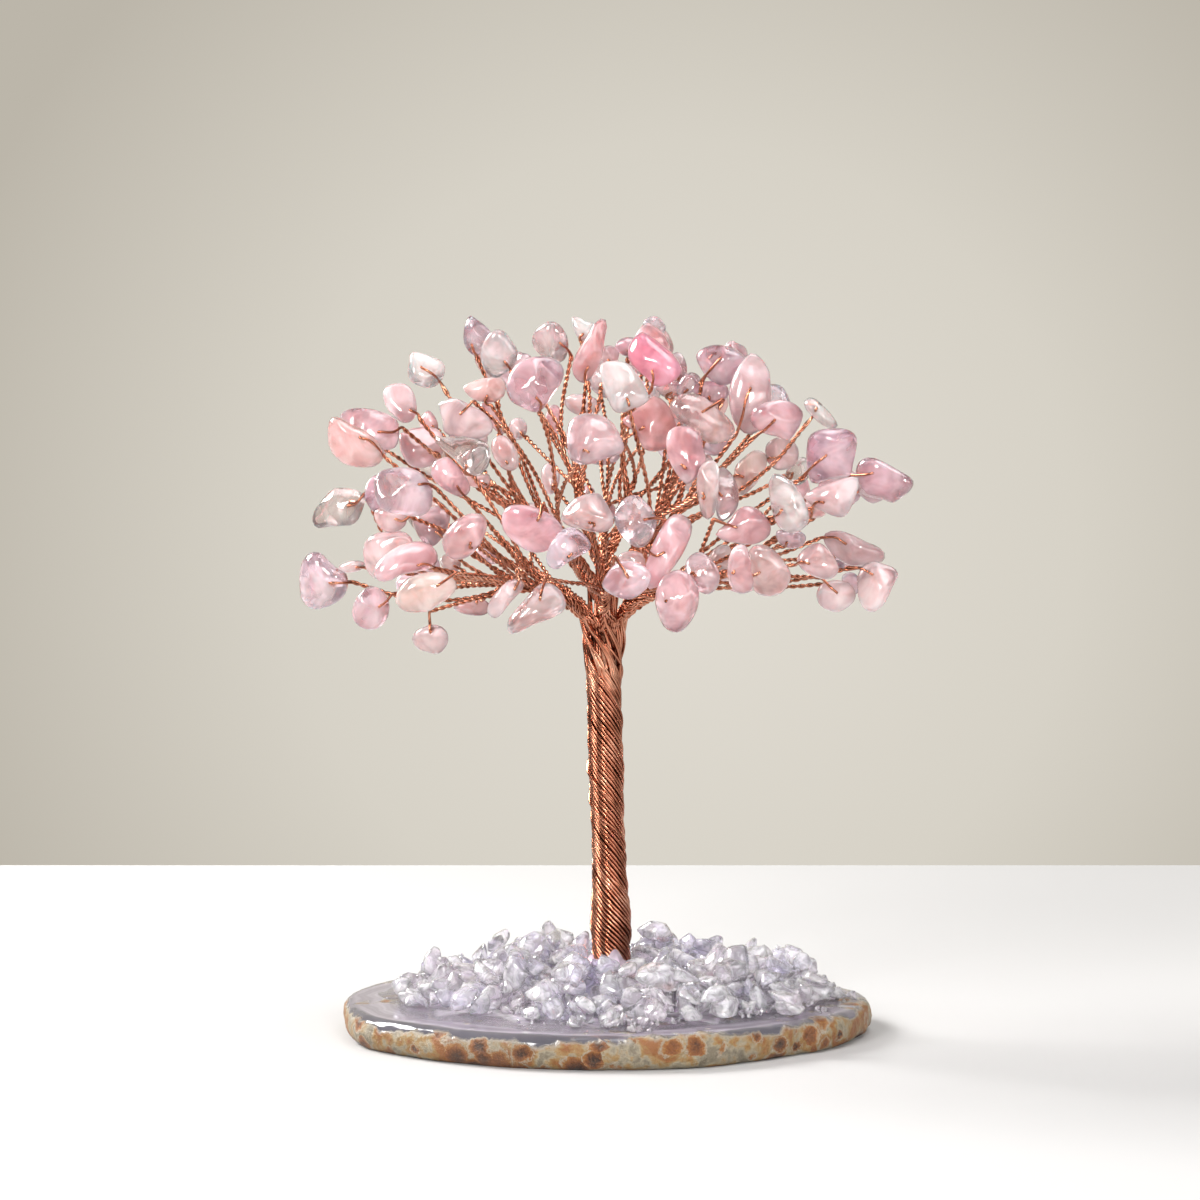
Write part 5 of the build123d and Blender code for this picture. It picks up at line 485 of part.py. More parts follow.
         [(1,0,3),(9,4,0),(9,0,1),(2,3,0),(8,1,3),(8,9,1),(5,0,4),(5,2,0),(5,4,9),(6,9,8),(6,5,9),(7,2,5),(7,5,6),(7,3,2),(7,8,3),(7,6,8)]),
        ([(23.344,14.715,9.199),(27.8,15.843,7.575),(23.066,15.449,8.502),(28.854,14.985,8.931),(27.891,15.405,9.691),(23.984,13.274,8.805),(28.175,16.135,8.315),(22.797,14.09,6.984),(24.163,14.552,6.486),(28.743,13.534,7.882),(27.234,13.725,6.486)],
         [(4,3,6),(2,4,6),(8,10,7),(8,7,2),(9,6,3),(9,3,4),(1,6,9),(1,9,10),(1,10,8),(1,2,6),(1,8,2),(5,9,4),(5,7,10),(5,10,9),(0,4,2),(0,5,4),(0,2,7),(0,7,5)]),
        ([(6.535,6.571,9.598),(8.837,7.498,10.549),(9.74,6.284,10.495),(8.074,7.087,10.527),(11.437,4.744,9.522),(6.862,6.915,8.07),(6.487,4.207,8.75),(9.447,4.454,6.518),(6.964,6.806,10.078),(11.412,3.229,7.254)],
         [(7,1,4),(5,7,6),(5,1,7),(2,6,4),(2,4,1),(9,4,6),(9,6,7),(9,7,4),(0,5,6),(3,2,1),(3,6,2),(8,3,1),(8,1,5),(8,5,0),(8,0,6),(8,6,3)]),
        ([(2.516,4.034,10.588),(8.133,2.676,8.044),(7.555,3.644,11.108),(5.625,2.382,7.412),(5.045,4.452,12.008),(2.038,5.267,11.103),(4.813,6.121,11.856),(2.415,6.534,10.25),(9.18,4.184,9.014)],
         [(7,8,3),(0,3,2),(0,5,7),(0,7,3),(1,3,8),(1,8,2),(1,2,3),(6,8,7),(6,2,8),(6,7,5),(4,6,5),(4,2,6),(4,5,0),(4,0,2)]),
        ([(17.297,11.783,8.419),(20.69,10.338,9.863),(18.447,12.756,6.519),(20.97,12.035,9.716),(18.607,10.327,9.922),(17.896,11.759,9.386),(20.037,12.751,9.403),(20.43,9.924,9.27),(20.143,9.452,9.582),(17.332,9.781,7.835),(19.749,13.098,8.783),(21.093,10.759,9.896)],
         [(2,0,10),(9,0,2),(5,10,0),(5,0,9),(7,2,11),(7,9,2),(6,10,5),(3,10,6),(3,11,2),(3,2,10),(8,9,7),(8,7,11),(8,11,1),(4,5,9),(4,9,8),(4,8,1),(4,1,11),(4,11,3),(4,6,5),(4,3,6)]),
        ([(14.588,7.942,9.051),(15.325,7.707,8.906),(13.679,8.052,9.662),(16.15,7.646,9.498),(14.885,6.367,12.25),(14.905,5.703,9.008),(13.478,8.694,11.165),(16.458,6.397,11.083),(12.992,7.27,10.452)],
         [(4,6,8),(4,7,6),(4,8,5),(4,5,7),(2,8,6),(2,5,8),(3,6,7),(3,7,5),(3,5,1),(0,2,6),(0,6,3),(0,3,1),(0,1,5),(0,5,2)]),
        ([(6.392,10.399,7.622),(6.392,10.446,8.557),(6.56,8.447,8.047),(5.017,8.459,8.369),(5.353,10.247,6.991),(6.446,10.703,8.112),(5.924,8.941,6.489),(6.052,8.774,10.297),(5.51,10.799,7.685),(6.274,8.081,9.845),(5.005,10.835,8.868)],
         [(3,2,9),(3,6,2),(7,10,3),(7,3,9),(1,9,2),(1,2,5),(1,7,9),(1,5,10),(1,10,7),(4,3,10),(4,6,3),(0,2,6),(0,5,2),(0,6,4),(8,10,5),(8,4,10),(8,5,0),(8,0,4)]),
        ([(6.824,10.057,10.695),(5.149,10.064,9.82),(4.451,7.823,11.343),(1.435,10.347,11.673),(1.262,10.031,11.884),(5.001,8.96,9.59),(2.63,12.315,11.674),(6.605,9.645,10.557),(6.281,10.737,11.579)],
         [(8,6,4),(8,0,6),(7,5,0),(3,4,6),(3,5,4),(1,6,0),(1,0,5),(1,3,6),(1,5,3),(2,0,8),(2,7,0),(2,8,4),(2,4,5),(2,5,7)]),
        ([(11.029,12.655,8.246),(11.993,11.469,11.061),(11.71,12.731,8.396),(11.828,12.658,7.378),(9.644,10.298,9.189),(10.349,10.825,7.035),(12.386,11.448,10.396),(10.166,10.899,10.433),(12.605,10.583,9.256)],
         [(5,8,4),(7,4,8),(7,8,1),(6,1,8),(6,2,1),(0,5,4),(0,4,7),(0,1,2),(0,7,1),(3,8,5),(3,6,8),(3,2,6),(3,0,2),(3,5,0)]),
        ([(11.562,6.509,9.924),(13.071,7.349,9.403),(10.488,8.65,13.009),(9.839,6.827,12.849),(10.093,5.662,11.973),(11.945,11.42,11.462),(10.087,5.603,11.972),(12.252,9.448,13.64),(12.486,5.442,13.036),(12.373,10.319,13.096)],
         [(7,3,8),(0,3,5),(0,5,1),(0,1,8),(2,5,3),(2,3,7),(6,8,3),(6,0,8),(9,5,2),(9,2,7),(9,1,5),(9,8,1),(9,7,8),(4,3,0),(4,6,3),(4,0,6)]),
        ([(4.307,12.846,9.447),(7.526,14.905,11.36),(5.885,15.342,12.243),(6.144,15.522,10.403),(3.541,13.023,11.731),(6.651,14.461,10.545),(5.181,12.214,13.963),(8.702,11.407,12.365),(7.268,10.887,13.962),(4.72,15.461,10.089),(7.569,11.8,10.659)],
         [(9,0,4),(9,3,0),(2,3,9),(2,4,6),(2,9,4),(10,0,3),(10,3,5),(1,3,2),(1,5,3),(1,7,10),(1,10,5),(8,2,6),(8,10,7),(8,7,1),(8,1,2),(8,0,10),(8,4,0),(8,6,4)]),
        ([(13.074,30.403,6.448),(14.595,27.833,6.643),(12.298,26.187,8.052),(11.045,29.413,6.694),(11.12,28.282,6.45),(13.508,24.635,6.448),(11.928,30.079,7.18),(12.038,24.997,7.29),(13.814,29.869,6.895),(12.453,25.536,8.09)],
         [(9,5,1),(8,9,1),(0,1,5),(0,8,1),(7,5,9),(6,0,3),(6,8,0),(4,3,0),(4,0,5),(4,7,3),(4,5,7),(2,9,8),(2,8,6),(2,6,3),(2,3,7),(2,7,9)]),
        ([(24.12,9.377,10.382),(24.788,14.186,11.202),(26.814,12.006,11.453),(22.558,12.888,10.06),(25.491,12.249,8.064),(25.401,8.751,10.81),(25.357,14.6,9.625),(24.643,8.693,10.833),(23.76,11.339,8.8),(27.1,11.883,9.546),(26.646,12.679,11.074),(26.173,13.795,9.719)],
         [(4,3,6),(5,9,2),(5,2,7),(5,4,9),(5,7,4),(1,6,3),(1,3,7),(1,7,2),(11,9,4),(11,4,6),(8,3,4),(8,4,7),(10,2,9),(10,9,11),(10,1,2),(10,6,1),(10,11,6),(0,7,3),(0,3,8),(0,8,7)]),
        ([(20.999,20.908,8.189),(21.435,17.257,10.205),(22.148,19.23,10.439),(18.694,18.042,8.72),(22.021,21.365,9.516),(21.376,17.304,9.221),(18.767,18.586,11.105),(18.068,16.453,9.67),(20.799,20.399,7.885),(21.487,20.803,7.834),(19.631,20.518,10.732)],
         [(9,4,2),(5,9,2),(3,7,6),(3,5,7),(10,2,4),(10,6,2),(10,3,6),(1,2,6),(1,5,2),(1,6,7),(1,7,5),(0,3,10),(0,4,9),(0,10,4),(8,0,9),(8,3,0),(8,9,5),(8,5,3)]),
        ([(7.296,7.885,10.03),(6.669,4.022,14.704),(5.717,8.143,10.941),(5.149,5.898,11.875),(5.524,6.593,11.163),(9.52,7.302,12.436),(7.72,5.139,14.828),(8.438,9.834,11.245),(7.087,9.332,10.643),(6.895,4.642,11.287)],
         [(6,5,7),(0,7,5),(1,5,6),(2,6,7),(2,3,1),(2,1,6),(9,0,5),(9,5,1),(9,1,3),(4,3,2),(4,2,0),(4,9,3),(4,0,9),(8,7,0),(8,2,7),(8,0,2)]),
        ([(11.045,8.177,15.307),(11.889,7.896,13.687),(10.176,7.207,14.582),(10.051,9.752,16.194),(6.515,10.991,15.173),(5.61,10.234,14.369),(10.742,8.666,15.841),(8.884,8.135,12.531),(9.679,11.025,12.975),(8.069,9.044,12.242),(10.605,8.724,15.819)],
         [(3,1,8),(9,5,8),(9,8,1),(4,8,5),(4,5,3),(4,3,8),(6,1,3),(7,9,1),(7,1,2),(7,5,9),(7,2,5),(0,2,1),(0,1,6),(0,6,2),(10,3,5),(10,6,3),(10,5,2),(10,2,6)]),
        ([(4.618,6.385,14.651),(6.576,7.786,15.784),(8.315,7.855,13.493),(7.757,9.206,11.654),(2.684,5.52,11.4),(5.22,8.576,10.411),(7.923,6.827,14.452),(8.3,8.052,12.774),(8.172,7.834,14.867),(7.947,8.72,11.952)],
         [(7,6,4),(7,2,6),(0,4,6),(0,6,1),(0,5,4),(0,1,5),(8,6,2),(8,1,6),(8,2,7),(9,4,5),(9,7,4),(3,8,7),(3,7,9),(3,1,8),(3,5,1),(3,9,5)]),
        ([(19.863,19.875,11.667),(14.135,19.254,12.525),(16.338,23.653,10.775),(20.271,20.815,10.87),(13.009,20.626,10.363),(12.854,20.8,10.781),(13.177,21.77,9.875),(15.348,20.171,13.246),(18.709,19.076,13.09),(19.857,21.464,9.739),(16.501,23.184,9.419)],
         [(7,2,5),(8,3,2),(8,2,7),(9,2,3),(9,10,2),(6,4,5),(6,5,2),(6,2,10),(6,10,9),(6,9,4),(1,8,7),(1,7,5),(1,5,4),(0,4,9),(0,8,1),(0,1,4),(0,3,8),(0,9,3)]),
        ([(10.433,13.513,11.739),(7.982,17.513,10.929),(6.856,14.088,14.856),(12.588,17.008,11.747),(6.446,16.463,14.647),(7.193,16.983,14.667),(5.123,15.048,12.759),(5.555,14.143,14.002),(9.691,13.862,13.684),(6.136,16.36,13.229),(11.057,15.44,14.298)],
         [(1,0,6),(1,3,0),(1,5,3),(7,6,0),(7,0,2),(8,2,0),(9,1,6),(9,5,1),(4,2,5),(4,7,2),(4,6,7),(4,9,6),(4,5,9),(10,5,2),(10,2,8),(10,3,5),(10,0,3),(10,8,0)]),
        ([(11.818,6.705,15.104),(7.072,9.172,16.355),(10.309,7.872,17.716),(9.301,4.76,17.639),(4.337,7.347,16.601),(5.829,5.772,15.374),(10.262,5.893,13.677),(9.858,4.5,17.034),(7.365,5.703,18.554),(7.085,4.522,15.524),(10.057,8.342,15.618)],
         [(6,0,7),(2,7,0),(9,6,7),(1,6,4),(8,4,9),(8,1,4),(8,2,1),(5,4,6),(5,9,4),(5,6,9),(10,2,0),(10,1,2),(10,0,6),(10,6,1),(3,7,2),(3,2,8),(3,9,7),(3,8,9)]),
        ([(8.342,21.729,8.355),(10.913,21.739,9.016),(8.958,22.327,10.668),(11.459,24.574,11.084),(11.908,23.994,9.325),(8.023,22.112,6.779),(11.887,23.141,11.962),(10.888,21.065,10.728),(12.298,23.481,11.289),(7.924,23.91,9.538)],
         [(4,5,9),(6,7,8),(0,9,5),(0,5,7),(1,7,5),(1,5,4),(1,8,7),(1,4,8),(3,9,6),(3,6,8),(3,4,9),(3,8,4),(2,6,9),(2,7,6),(2,9,0),(2,0,7)]),
        ([(11.373,27.148,6.956),(12.076,27.958,8.185),(9.069,24.502,9.005),(10.163,24.196,9.824),(12.066,24.565,10.394),(12.051,27.542,10.021),(10.134,23.905,8.385),(10.073,24.595,8.124),(12.9,23.922,8.719)],
         [(0,2,1),(0,1,8),(3,8,4),(6,0,8),(6,3,2),(6,8,3),(5,3,4),(5,8,1),(5,4,8),(5,1,2),(5,2,3),(7,2,0),(7,6,2),(7,0,6)]),
        ([(31.492,18.118,11.869),(28.476,14.616,9.929),(31.638,18.868,11.72),(31.844,19.186,10.768),(31.542,15.15,10.941),(29.949,17.696,8.484),(26.877,18.655,10.889),(28.209,14.862,11.494),(29.477,20.317,9.577),(28.056,14.585,9.996),(29.392,15.196,11.882)],
         [(5,9,6),(8,5,6),(8,3,5),(2,8,6),(2,3,8),(7,6,9),(7,10,6),(4,5,3),(4,3,2),(4,10,7),(0,10,4),(0,4,2),(0,6,10),(0,2,6),(1,9,5),(1,5,4),(1,7,9),(1,4,7)]),
        ([(26.072,11.978,14.661),(26.037,13.737,11.863),(24.911,13.918,13.773),(24.447,10.327,10.916),(22.228,12.027,11.117),(23.999,9.619,12.051),(25.973,10.785,13.118),(22.798,12.801,10.259),(25.491,14.227,14.108),(23.575,13.942,11.649),(26.07,11.247,13.513),(21.967,10.899,10.794),(22.499,12.789,11.245)],
         [(3,11,7),(2,11,0),(2,0,8),(5,0,11),(5,11,3),(1,3,7),(1,8,0),(4,7,11),(4,11,2),(9,2,8),(9,8,1),(9,1,7),(6,0,5),(6,5,3),(6,3,1),(12,4,2),(12,2,9),(12,7,4),(12,9,7),(10,1,0),(10,0,6),(10,6,1)]),
        ([(12.371,28.112,7.98),(14.117,28.013,10.874),(15.773,28.24,7.424),(14.385,26.077,8.965),(15.584,27.798,9.314),(12.158,27.906,11.157),(13.559,27.491,10.798),(13.171,26.107,8.528),(12.108,27.387,10.675),(13.914,26.268,7.28),(15.388,27.803,6.52)],
         [(10,2,3),(0,2,10),(0,1,2),(6,8,3),(6,3,1),(4,3,2),(4,2,1),(4,1,3),(5,0,8),(5,1,0),(5,8,6),(5,6,1),(9,10,3),(9,0,10),(7,3,8),(7,9,3),(7,8,0),(7,0,9)]),
        ([(33.356,15.019,9.558),(31.148,14.509,8.793),(29.847,17.305,8.319),(33.769,16.817,8.09),(34.728,14.505,7.136),(34.126,16.463,9.278),(34.66,14.35,8.305),(30.058,17.421,8.554),(30.2,16.291,9.429),(31.883,17.081,6.973),(31.866,15.794,9.988),(31.11,17.094,9.27),(35.204,15.569,8.826)],
         [(9,1,2),(0,6,12),(0,12,5),(0,5,10),(0,1,6),(0,10,1),(8,2,1),(8,1,10),(4,12,6),(4,6,1),(4,1,9),(11,10,5),(11,8,10),(3,12,4),(3,4,9),(3,5,12),(3,11,5),(7,11,3),(7,2,8),(7,8,11),(7,9,2),(7,3,9)]),
        ([(12.932,19.595,10.744),(9.468,16.969,14.916),(11.135,20.795,10.026),(10.515,16.687,14.472),(11.95,21.322,10.677),(9.172,16.767,14.293),(12.54,17.833,12.918),(11.021,16.845,13.368),(11.516,18.653,14.519),(10.258,18.178,14.984),(12.27,19.283,13.605),(7.971,17.933,12.596)],
         [(4,11,9),(7,11,0),(1,9,11),(1,3,9),(2,0,11),(2,11,4),(2,4,0),(10,0,4),(5,1,11),(5,3,1),(5,11,7),(5,7,3),(8,4,9),(8,10,4),(8,9,3),(6,3,7),(6,8,3),(6,10,8),(6,7,0),(6,0,10)]),
        ([(23.674,17.048,7.472),(25.678,17.038,8.227),(25.769,16.706,8.492),(25.351,20.863,10.45),(25.671,16.077,8.976),(26.478,20.562,9.47),(23.588,18.712,7.304),(23.105,17.69,8.333),(24.215,16.249,8.316),(23.757,22.253,9.471),(25.819,16.887,9.521)],
         [(6,7,9),(6,9,5),(1,6,5),(3,9,7),(3,5,9),(0,7,6),(0,6,1),(8,7,0),(10,5,3),(10,3,7),(10,7,8),(2,1,5),(2,0,1),(2,8,0),(4,5,10),(4,2,5),(4,10,8),(4,8,2)]),
        ([(16.622,10.755,9.343),(19.222,13.182,10.013),(18.226,15.679,9.889),(19.347,15.161,11.973),(16.464,14.893,10.58),(19.584,15.813,10.344),(16.53,12.392,11.488),(19.759,15.769,10.378),(19.144,13.683,8.409),(15.801,13.703,11.358),(16.139,11.527,8.255)],
         [(10,0,9),(8,0,10),(2,8,10),(6,9,0),(6,3,9),(1,0,8),(1,6,0),(1,3,6),(1,8,7),(1,7,3),(4,10,9),(4,2,10),(4,9,3),(4,3,2),(5,3,7),(5,2,3),(5,7,8),(5,8,2)]),
        ([(18.139,28.462,10.356),(15.465,25.982,10.822),(17.717,25.415,7.492),(19.181,25.586,6.528),(17.896,28.552,9.796),(16.797,27.338,12.629),(16.477,27.419,8.821),(19.54,27.394,7.741),(17.115,25.019,8.133),(18.259,27.954,10.658)],
         [(6,4,7),(6,1,5),(6,5,4),(3,6,7),(3,7,9),(3,9,5),(0,4,5),(0,5,9),(0,7,4),(0,9,7),(2,6,3),(8,3,5),(8,2,3),(8,5,1),(8,1,6),(8,6,2)]),
        ([(26.298,18.201,8.852),(29.852,19.388,7.676),(29.224,19.921,6.553),(27.358,19.67,9.853),(26.03,19.647,8.787),(27.157,17.252,7.824),(27.687,19.069,10.057),(29.062,18.866,9.304),(28.33,21.226,6.493),(29.655,19.679,7.473),(27.86,18.809,6.489),(28.999,18.04,9.026),(27.633,17.055,9.531)],
         [(8,10,4),(5,4,10),(5,10,1),(2,1,10),(2,10,8),(7,6,12),(0,4,5),(0,5,12),(0,6,4),(0,12,6),(9,1,2),(9,2,8),(9,7,1),(11,1,7),(11,7,12),(11,5,1),(11,12,5),(3,6,7),(3,8,4),(3,4,6),(3,9,8),(3,7,9)]),
        ([(16.901,23.849,12.056),(20.81,26.119,12.218),(19.701,23.837,13.2),(18.76,22.214,10.749),(18.616,22.122,12.483),(18.506,25.676,10.629),(20.242,24.518,9.797),(17.301,22.91,10.995),(20.767,26.591,11.063),(17.534,22.291,12.56),(20.524,26.837,11.537),(20.608,23.351,12.604)],
         [(2,1,0),(8,6,5),(9,2,0),(9,4,2),(9,3,4),(11,3,6),(11,1,2),(11,2,4),(11,4,3),(11,8,1),(11,6,8),(10,1,8),(10,8,5),(10,0,1),(10,5,0),(7,9,0),(7,3,9),(7,0,5),(7,5,6),(7,6,3)]),
        ([(24.664,22.873,8.882),(26.685,20.159,7.985),(27.488,23.368,7.401),(26.996,20.246,7.087),(26.024,20.259,7.388),(27.331,22.778,6.77),(26.781,20.976,6.485),(27.972,22.945,7.14),(27.078,23.635,9.446),(26.891,21.514,9.401),(27.963,22.909,7.882),(26.572,22.692,10.304),(24.936,23.199,9.529)],
         [(9,11,1),(5,6,0),(5,7,6),(4,1,0),(4,0,6),(3,6,7),(3,9,1),(3,1,4),(3,4,6),(10,8,11),(10,11,9),(10,7,8),(10,3,7),(10,9,3),(12,11,8),(12,0,1),(12,1,11),(2,8,7),(2,7,5),(2,12,8),(2,5,0),(2,0,12)]),
    ],
    'quartz_chips_back': [
        ([(-0.466,9.821,7.757),(-4.887,8.467,8.111),(-0.706,14.44,7.618),(-5.336,12.167,6.475),(-5.29,10.801,8.376),(-0.102,13.524,6.604),(-1.296,8.672,8.689),(-0.93,10.275,6.472),(1.023,11.794,7.282),(-3.983,9.104,10.023),(-4.624,7.54,8.581)],
         [(2,9,8),(6,8,9),(6,9,10),(6,10,7),(4,2,3),(4,9,2),(4,10,9),(1,3,7),(1,7,10),(1,4,3),(1,10,4),(5,2,8),(5,8,7),(5,3,2),(5,7,3),(0,7,8),(0,8,6),(0,6,7)]),
        ([(8.161,27.011,6.536),(6.274,27.921,6.461),(4.358,26.975,8.378),(7.387,25.0,6.46),(6.62,24.194,8.559),(4.947,25.798,6.596),(7.856,23.994,7.168),(8.538,27.833,9.013),(7.208,23.606,7.12)],
         [(1,2,7),(0,1,7),(4,7,2),(5,2,1),(5,4,2),(5,8,4),(6,0,7),(6,7,4),(6,4,8),(3,8,5),(3,6,8),(3,0,6),(3,1,0),(3,5,1)]),
        ([(-8.784,31.343,6.524),(-4.461,28.452,7.787),(-8.938,27.755,7.375),(-9.978,27.15,10.016),(-8.651,29.278,6.492),(-7.625,28.567,10.53),(-10.044,28.036,9.606),(-5.395,29.928,6.495),(-10.496,28.737,8.772),(-6.885,31.086,8.214),(-6.046,29.532,9.447)],
         [(3,1,5),(2,3,8),(2,1,3),(9,0,8),(9,8,5),(6,5,8),(6,8,3),(6,3,5),(7,1,2),(7,9,1),(7,0,9),(10,5,1),(10,1,9),(10,9,5),(4,0,7),(4,7,2),(4,8,0),(4,2,8)]),
        ([(2.323,6.562,9.501),(2.845,9.822,9.957),(5.426,10.718,6.492),(5.171,8.235,8.006),(4.542,7.883,9.211),(2.122,9.002,10.088),(1.36,10.713,6.493),(2.129,5.491,7.243),(3.354,13.483,7.668)],
         [(7,6,2),(8,2,6),(8,6,5),(0,6,7),(0,5,6),(1,8,5),(3,7,2),(4,5,0),(4,1,5),(4,0,7),(4,7,3),(4,8,1),(4,2,8),(4,3,2)]),
        ([(-3.654,21.341,6.45),(0.117,20.914,6.46),(0.777,19.215,7.845),(0.773,17.447,6.609),(-3.434,22.283,8.442),(-4.26,20.224,7.327),(-3.682,18.916,7.17),(1.167,18.014,6.455),(-1.283,21.044,8.904)],
         [(0,5,4),(1,7,0),(1,0,4),(8,1,4),(3,0,7),(6,4,5),(6,8,4),(6,5,0),(6,0,3),(2,3,7),(2,7,1),(2,1,8),(2,8,6),(2,6,3)]),
        ([(-9.476,24.213,7.745),(-6.576,28.815,6.472),(-6.507,24.395,11.643),(-4.197,25.814,6.471),(-9.356,25.14,6.471),(-5.993,23.402,7.137),(-5.67,28.377,6.99),(-4.493,27.387,9.037),(-8.974,23.961,7.501),(-8.471,27.075,7.11)],
         [(7,2,3),(7,1,2),(4,1,3),(9,0,2),(9,2,1),(9,4,0),(9,1,4),(6,3,1),(6,7,3),(6,1,7),(5,4,3),(5,3,2),(8,0,4),(8,4,5),(8,2,0),(8,5,2)]),
        ([(-2.244,26.056,8.852),(-4.104,21.658,6.633),(-5.085,22.638,6.459),(-3.043,27.878,6.687),(-4.723,23.693,7.401),(-2.731,23.02,8.067),(-1.214,27.214,6.459),(-3.439,25.412,8.902),(-2.087,22.753,6.461)],
         [(3,6,2),(8,2,6),(4,3,2),(4,7,3),(0,8,6),(0,6,3),(0,3,7),(1,2,8),(1,4,2),(5,8,0),(5,1,8),(5,0,7),(5,7,4),(5,4,1)]),
        ([(-5.328,19.174,7.181),(-4.319,20.777,9.129),(-1.792,17.954,9.283),(-5.069,19.037,10.559),(-5.189,20.965,8.2),(-0.432,19.736,9.369),(-2.515,17.802,8.968),(-4.964,19.785,7.125),(-0.073,19.827,8.925),(-3.185,21.461,8.463),(-0.675,20.402,10.56),(-4.205,19.166,10.932)],
         [(6,0,8),(7,8,0),(7,9,8),(10,8,9),(3,0,6),(3,6,11),(5,8,10),(2,11,6),(2,10,11),(2,5,10),(2,6,8),(2,8,5),(4,9,7),(4,7,0),(4,0,3),(1,9,4),(1,10,9),(1,11,10),(1,3,11),(1,4,3)]),
        ([(-0.476,17.809,6.862),(-2.672,14.917,7.9),(-0.326,14.232,8.5),(0.822,18.111,11.079),(0.915,15.436,6.517),(-0.902,17.493,11.923),(-3.854,16.602,6.516),(1.309,17.783,7.8),(0.971,17.763,11.571),(-1.317,16.967,12.007),(-4.937,17.419,8.075)],
         [(0,7,4),(0,10,3),(0,3,7),(1,4,2),(1,9,10),(1,2,9),(5,10,9),(5,3,10),(8,9,2),(8,2,4),(8,5,9),(8,3,5),(8,4,7),(8,7,3),(6,10,0),(6,0,4),(6,1,10),(6,4,1)]),
        ([(7.425,23.71,8.894),(6.064,19.192,6.477),(4.286,24.656,7.404),(4.803,19.946,6.869),(3.976,23.544,6.822),(6.965,18.423,7.389),(4.007,23.189,9.507),(7.624,21.158,9.869),(5.016,19.89,8.591),(5.13,24.33,6.478),(3.85,22.74,7.755),(3.67,23.891,8.239)],
         [(8,5,7),(0,7,5),(1,0,5),(6,8,7),(6,7,0),(6,2,11),(6,0,2),(4,11,2),(3,5,8),(3,1,5),(3,4,1),(9,2,0),(9,4,2),(9,0,1),(9,1,4),(10,11,4),(10,4,3),(10,6,11),(10,8,6),(10,3,8)]),
        ([(-1.27,6.168,6.465),(-3.077,6.779,6.867),(-1.647,5.709,8.689),(-2.467,5.466,7.262),(0.979,7.01,6.465),(-0.403,8.775,8.918),(-0.41,8.749,8.341),(-3.908,7.821,9.431),(0.818,6.105,6.9),(-0.749,5.504,7.761),(-2.003,5.818,6.636)],
         [(2,7,3),(2,5,7),(1,3,7),(8,4,5),(8,5,2),(10,3,1),(10,8,3),(6,5,4),(6,4,1),(6,7,5),(6,1,7),(9,2,3),(9,3,8),(9,8,2),(0,4,8),(0,8,10),(0,1,4),(0,10,1)]),
        ([(-4.565,15.849,9.52),(-5.394,13.484,6.499),(-6.003,11.336,7.934),(-4.068,12.088,8.02),(-4.688,12.439,9.913),(-5.941,15.141,10.356),(-5.647,14.148,6.57),(-3.582,14.512,9.945),(-4.49,14.993,10.477),(-7.253,12.942,7.109),(-5.138,16.486,9.606)],
         [(3,1,7),(5,10,9),(6,9,10),(6,1,9),(6,7,1),(8,7,10),(8,10,5),(0,10,7),(0,7,6),(0,6,10),(4,8,5),(4,3,7),(4,7,8),(2,5,9),(2,4,5),(2,3,4),(2,9,1),(2,1,3)]),
        ([(-5.997,20.559,8.735),(-7.486,23.403,6.748),(-6.088,20.139,7.796),(-7.638,23.146,8.475),(-6.985,20.879,6.463),(-7.274,23.422,7.267),(-7.258,22.664,8.846),(-4.959,21.922,7.527),(-5.968,22.878,6.751),(-9.043,23.008,6.463),(-5.923,22.425,6.462),(-6.463,20.224,7.254)],
         [(0,6,9),(0,2,7),(0,7,6),(10,4,9),(11,7,2),(11,10,7),(11,4,10),(11,9,4),(11,0,9),(11,2,0),(3,6,7),(3,9,6),(3,5,9),(1,9,5),(1,10,9),(8,7,10),(8,3,7),(8,5,3),(8,1,5),(8,10,1)]),
        ([(2.034,10.811,9.246),(-0.891,13.194,8.691),(-0.54,10.825,8.77),(1.317,14.064,6.469),(1.826,13.893,6.523),(0.892,15.069,6.561),(1.47,14.874,9.177),(0.864,15.419,7.635),(1.57,15.866,7.842)],
         [(6,0,8),(6,1,2),(6,2,0),(5,2,1),(5,3,2),(4,8,0),(4,0,2),(4,2,3),(4,5,8),(4,3,5),(7,5,1),(7,8,5),(7,1,6),(7,6,8)]),
        ([(-1.987,10.508,9.35),(-3.182,15.922,8.753),(-3.208,15.11,7.758),(-1.841,11.196,10.109),(-2.578,14.261,11.198),(-1.645,11.289,9.032),(-2.741,9.632,10.849),(-1.349,12.492,9.17),(-3.031,13.073,12.022),(-3.55,13.483,11.706),(-4.549,9.407,10.07)],
         [(6,8,10),(2,10,1),(2,1,7),(9,1,10),(9,10,8),(4,7,1),(4,1,9),(4,9,8),(3,8,6),(3,7,4),(3,4,8),(5,2,7),(5,7,3),(0,3,6),(0,5,3),(0,6,10),(0,10,2),(0,2,5)]),
        ([(2.017,7.678,10.518),(1.021,14.909,9.404),(0.145,14.009,9.904),(4.373,11.943,10.631),(1.85,12.644,12.037),(-1.229,12.57,8.723),(0.739,8.755,10.489),(-0.156,9.114,8.915),(2.42,14.337,9.412)],
         [(4,0,3),(7,3,0),(2,5,4),(2,1,5),(2,4,1),(8,3,7),(8,4,3),(8,1,4),(8,5,1),(8,7,5),(6,0,4),(6,7,0),(6,4,5),(6,5,7)]),
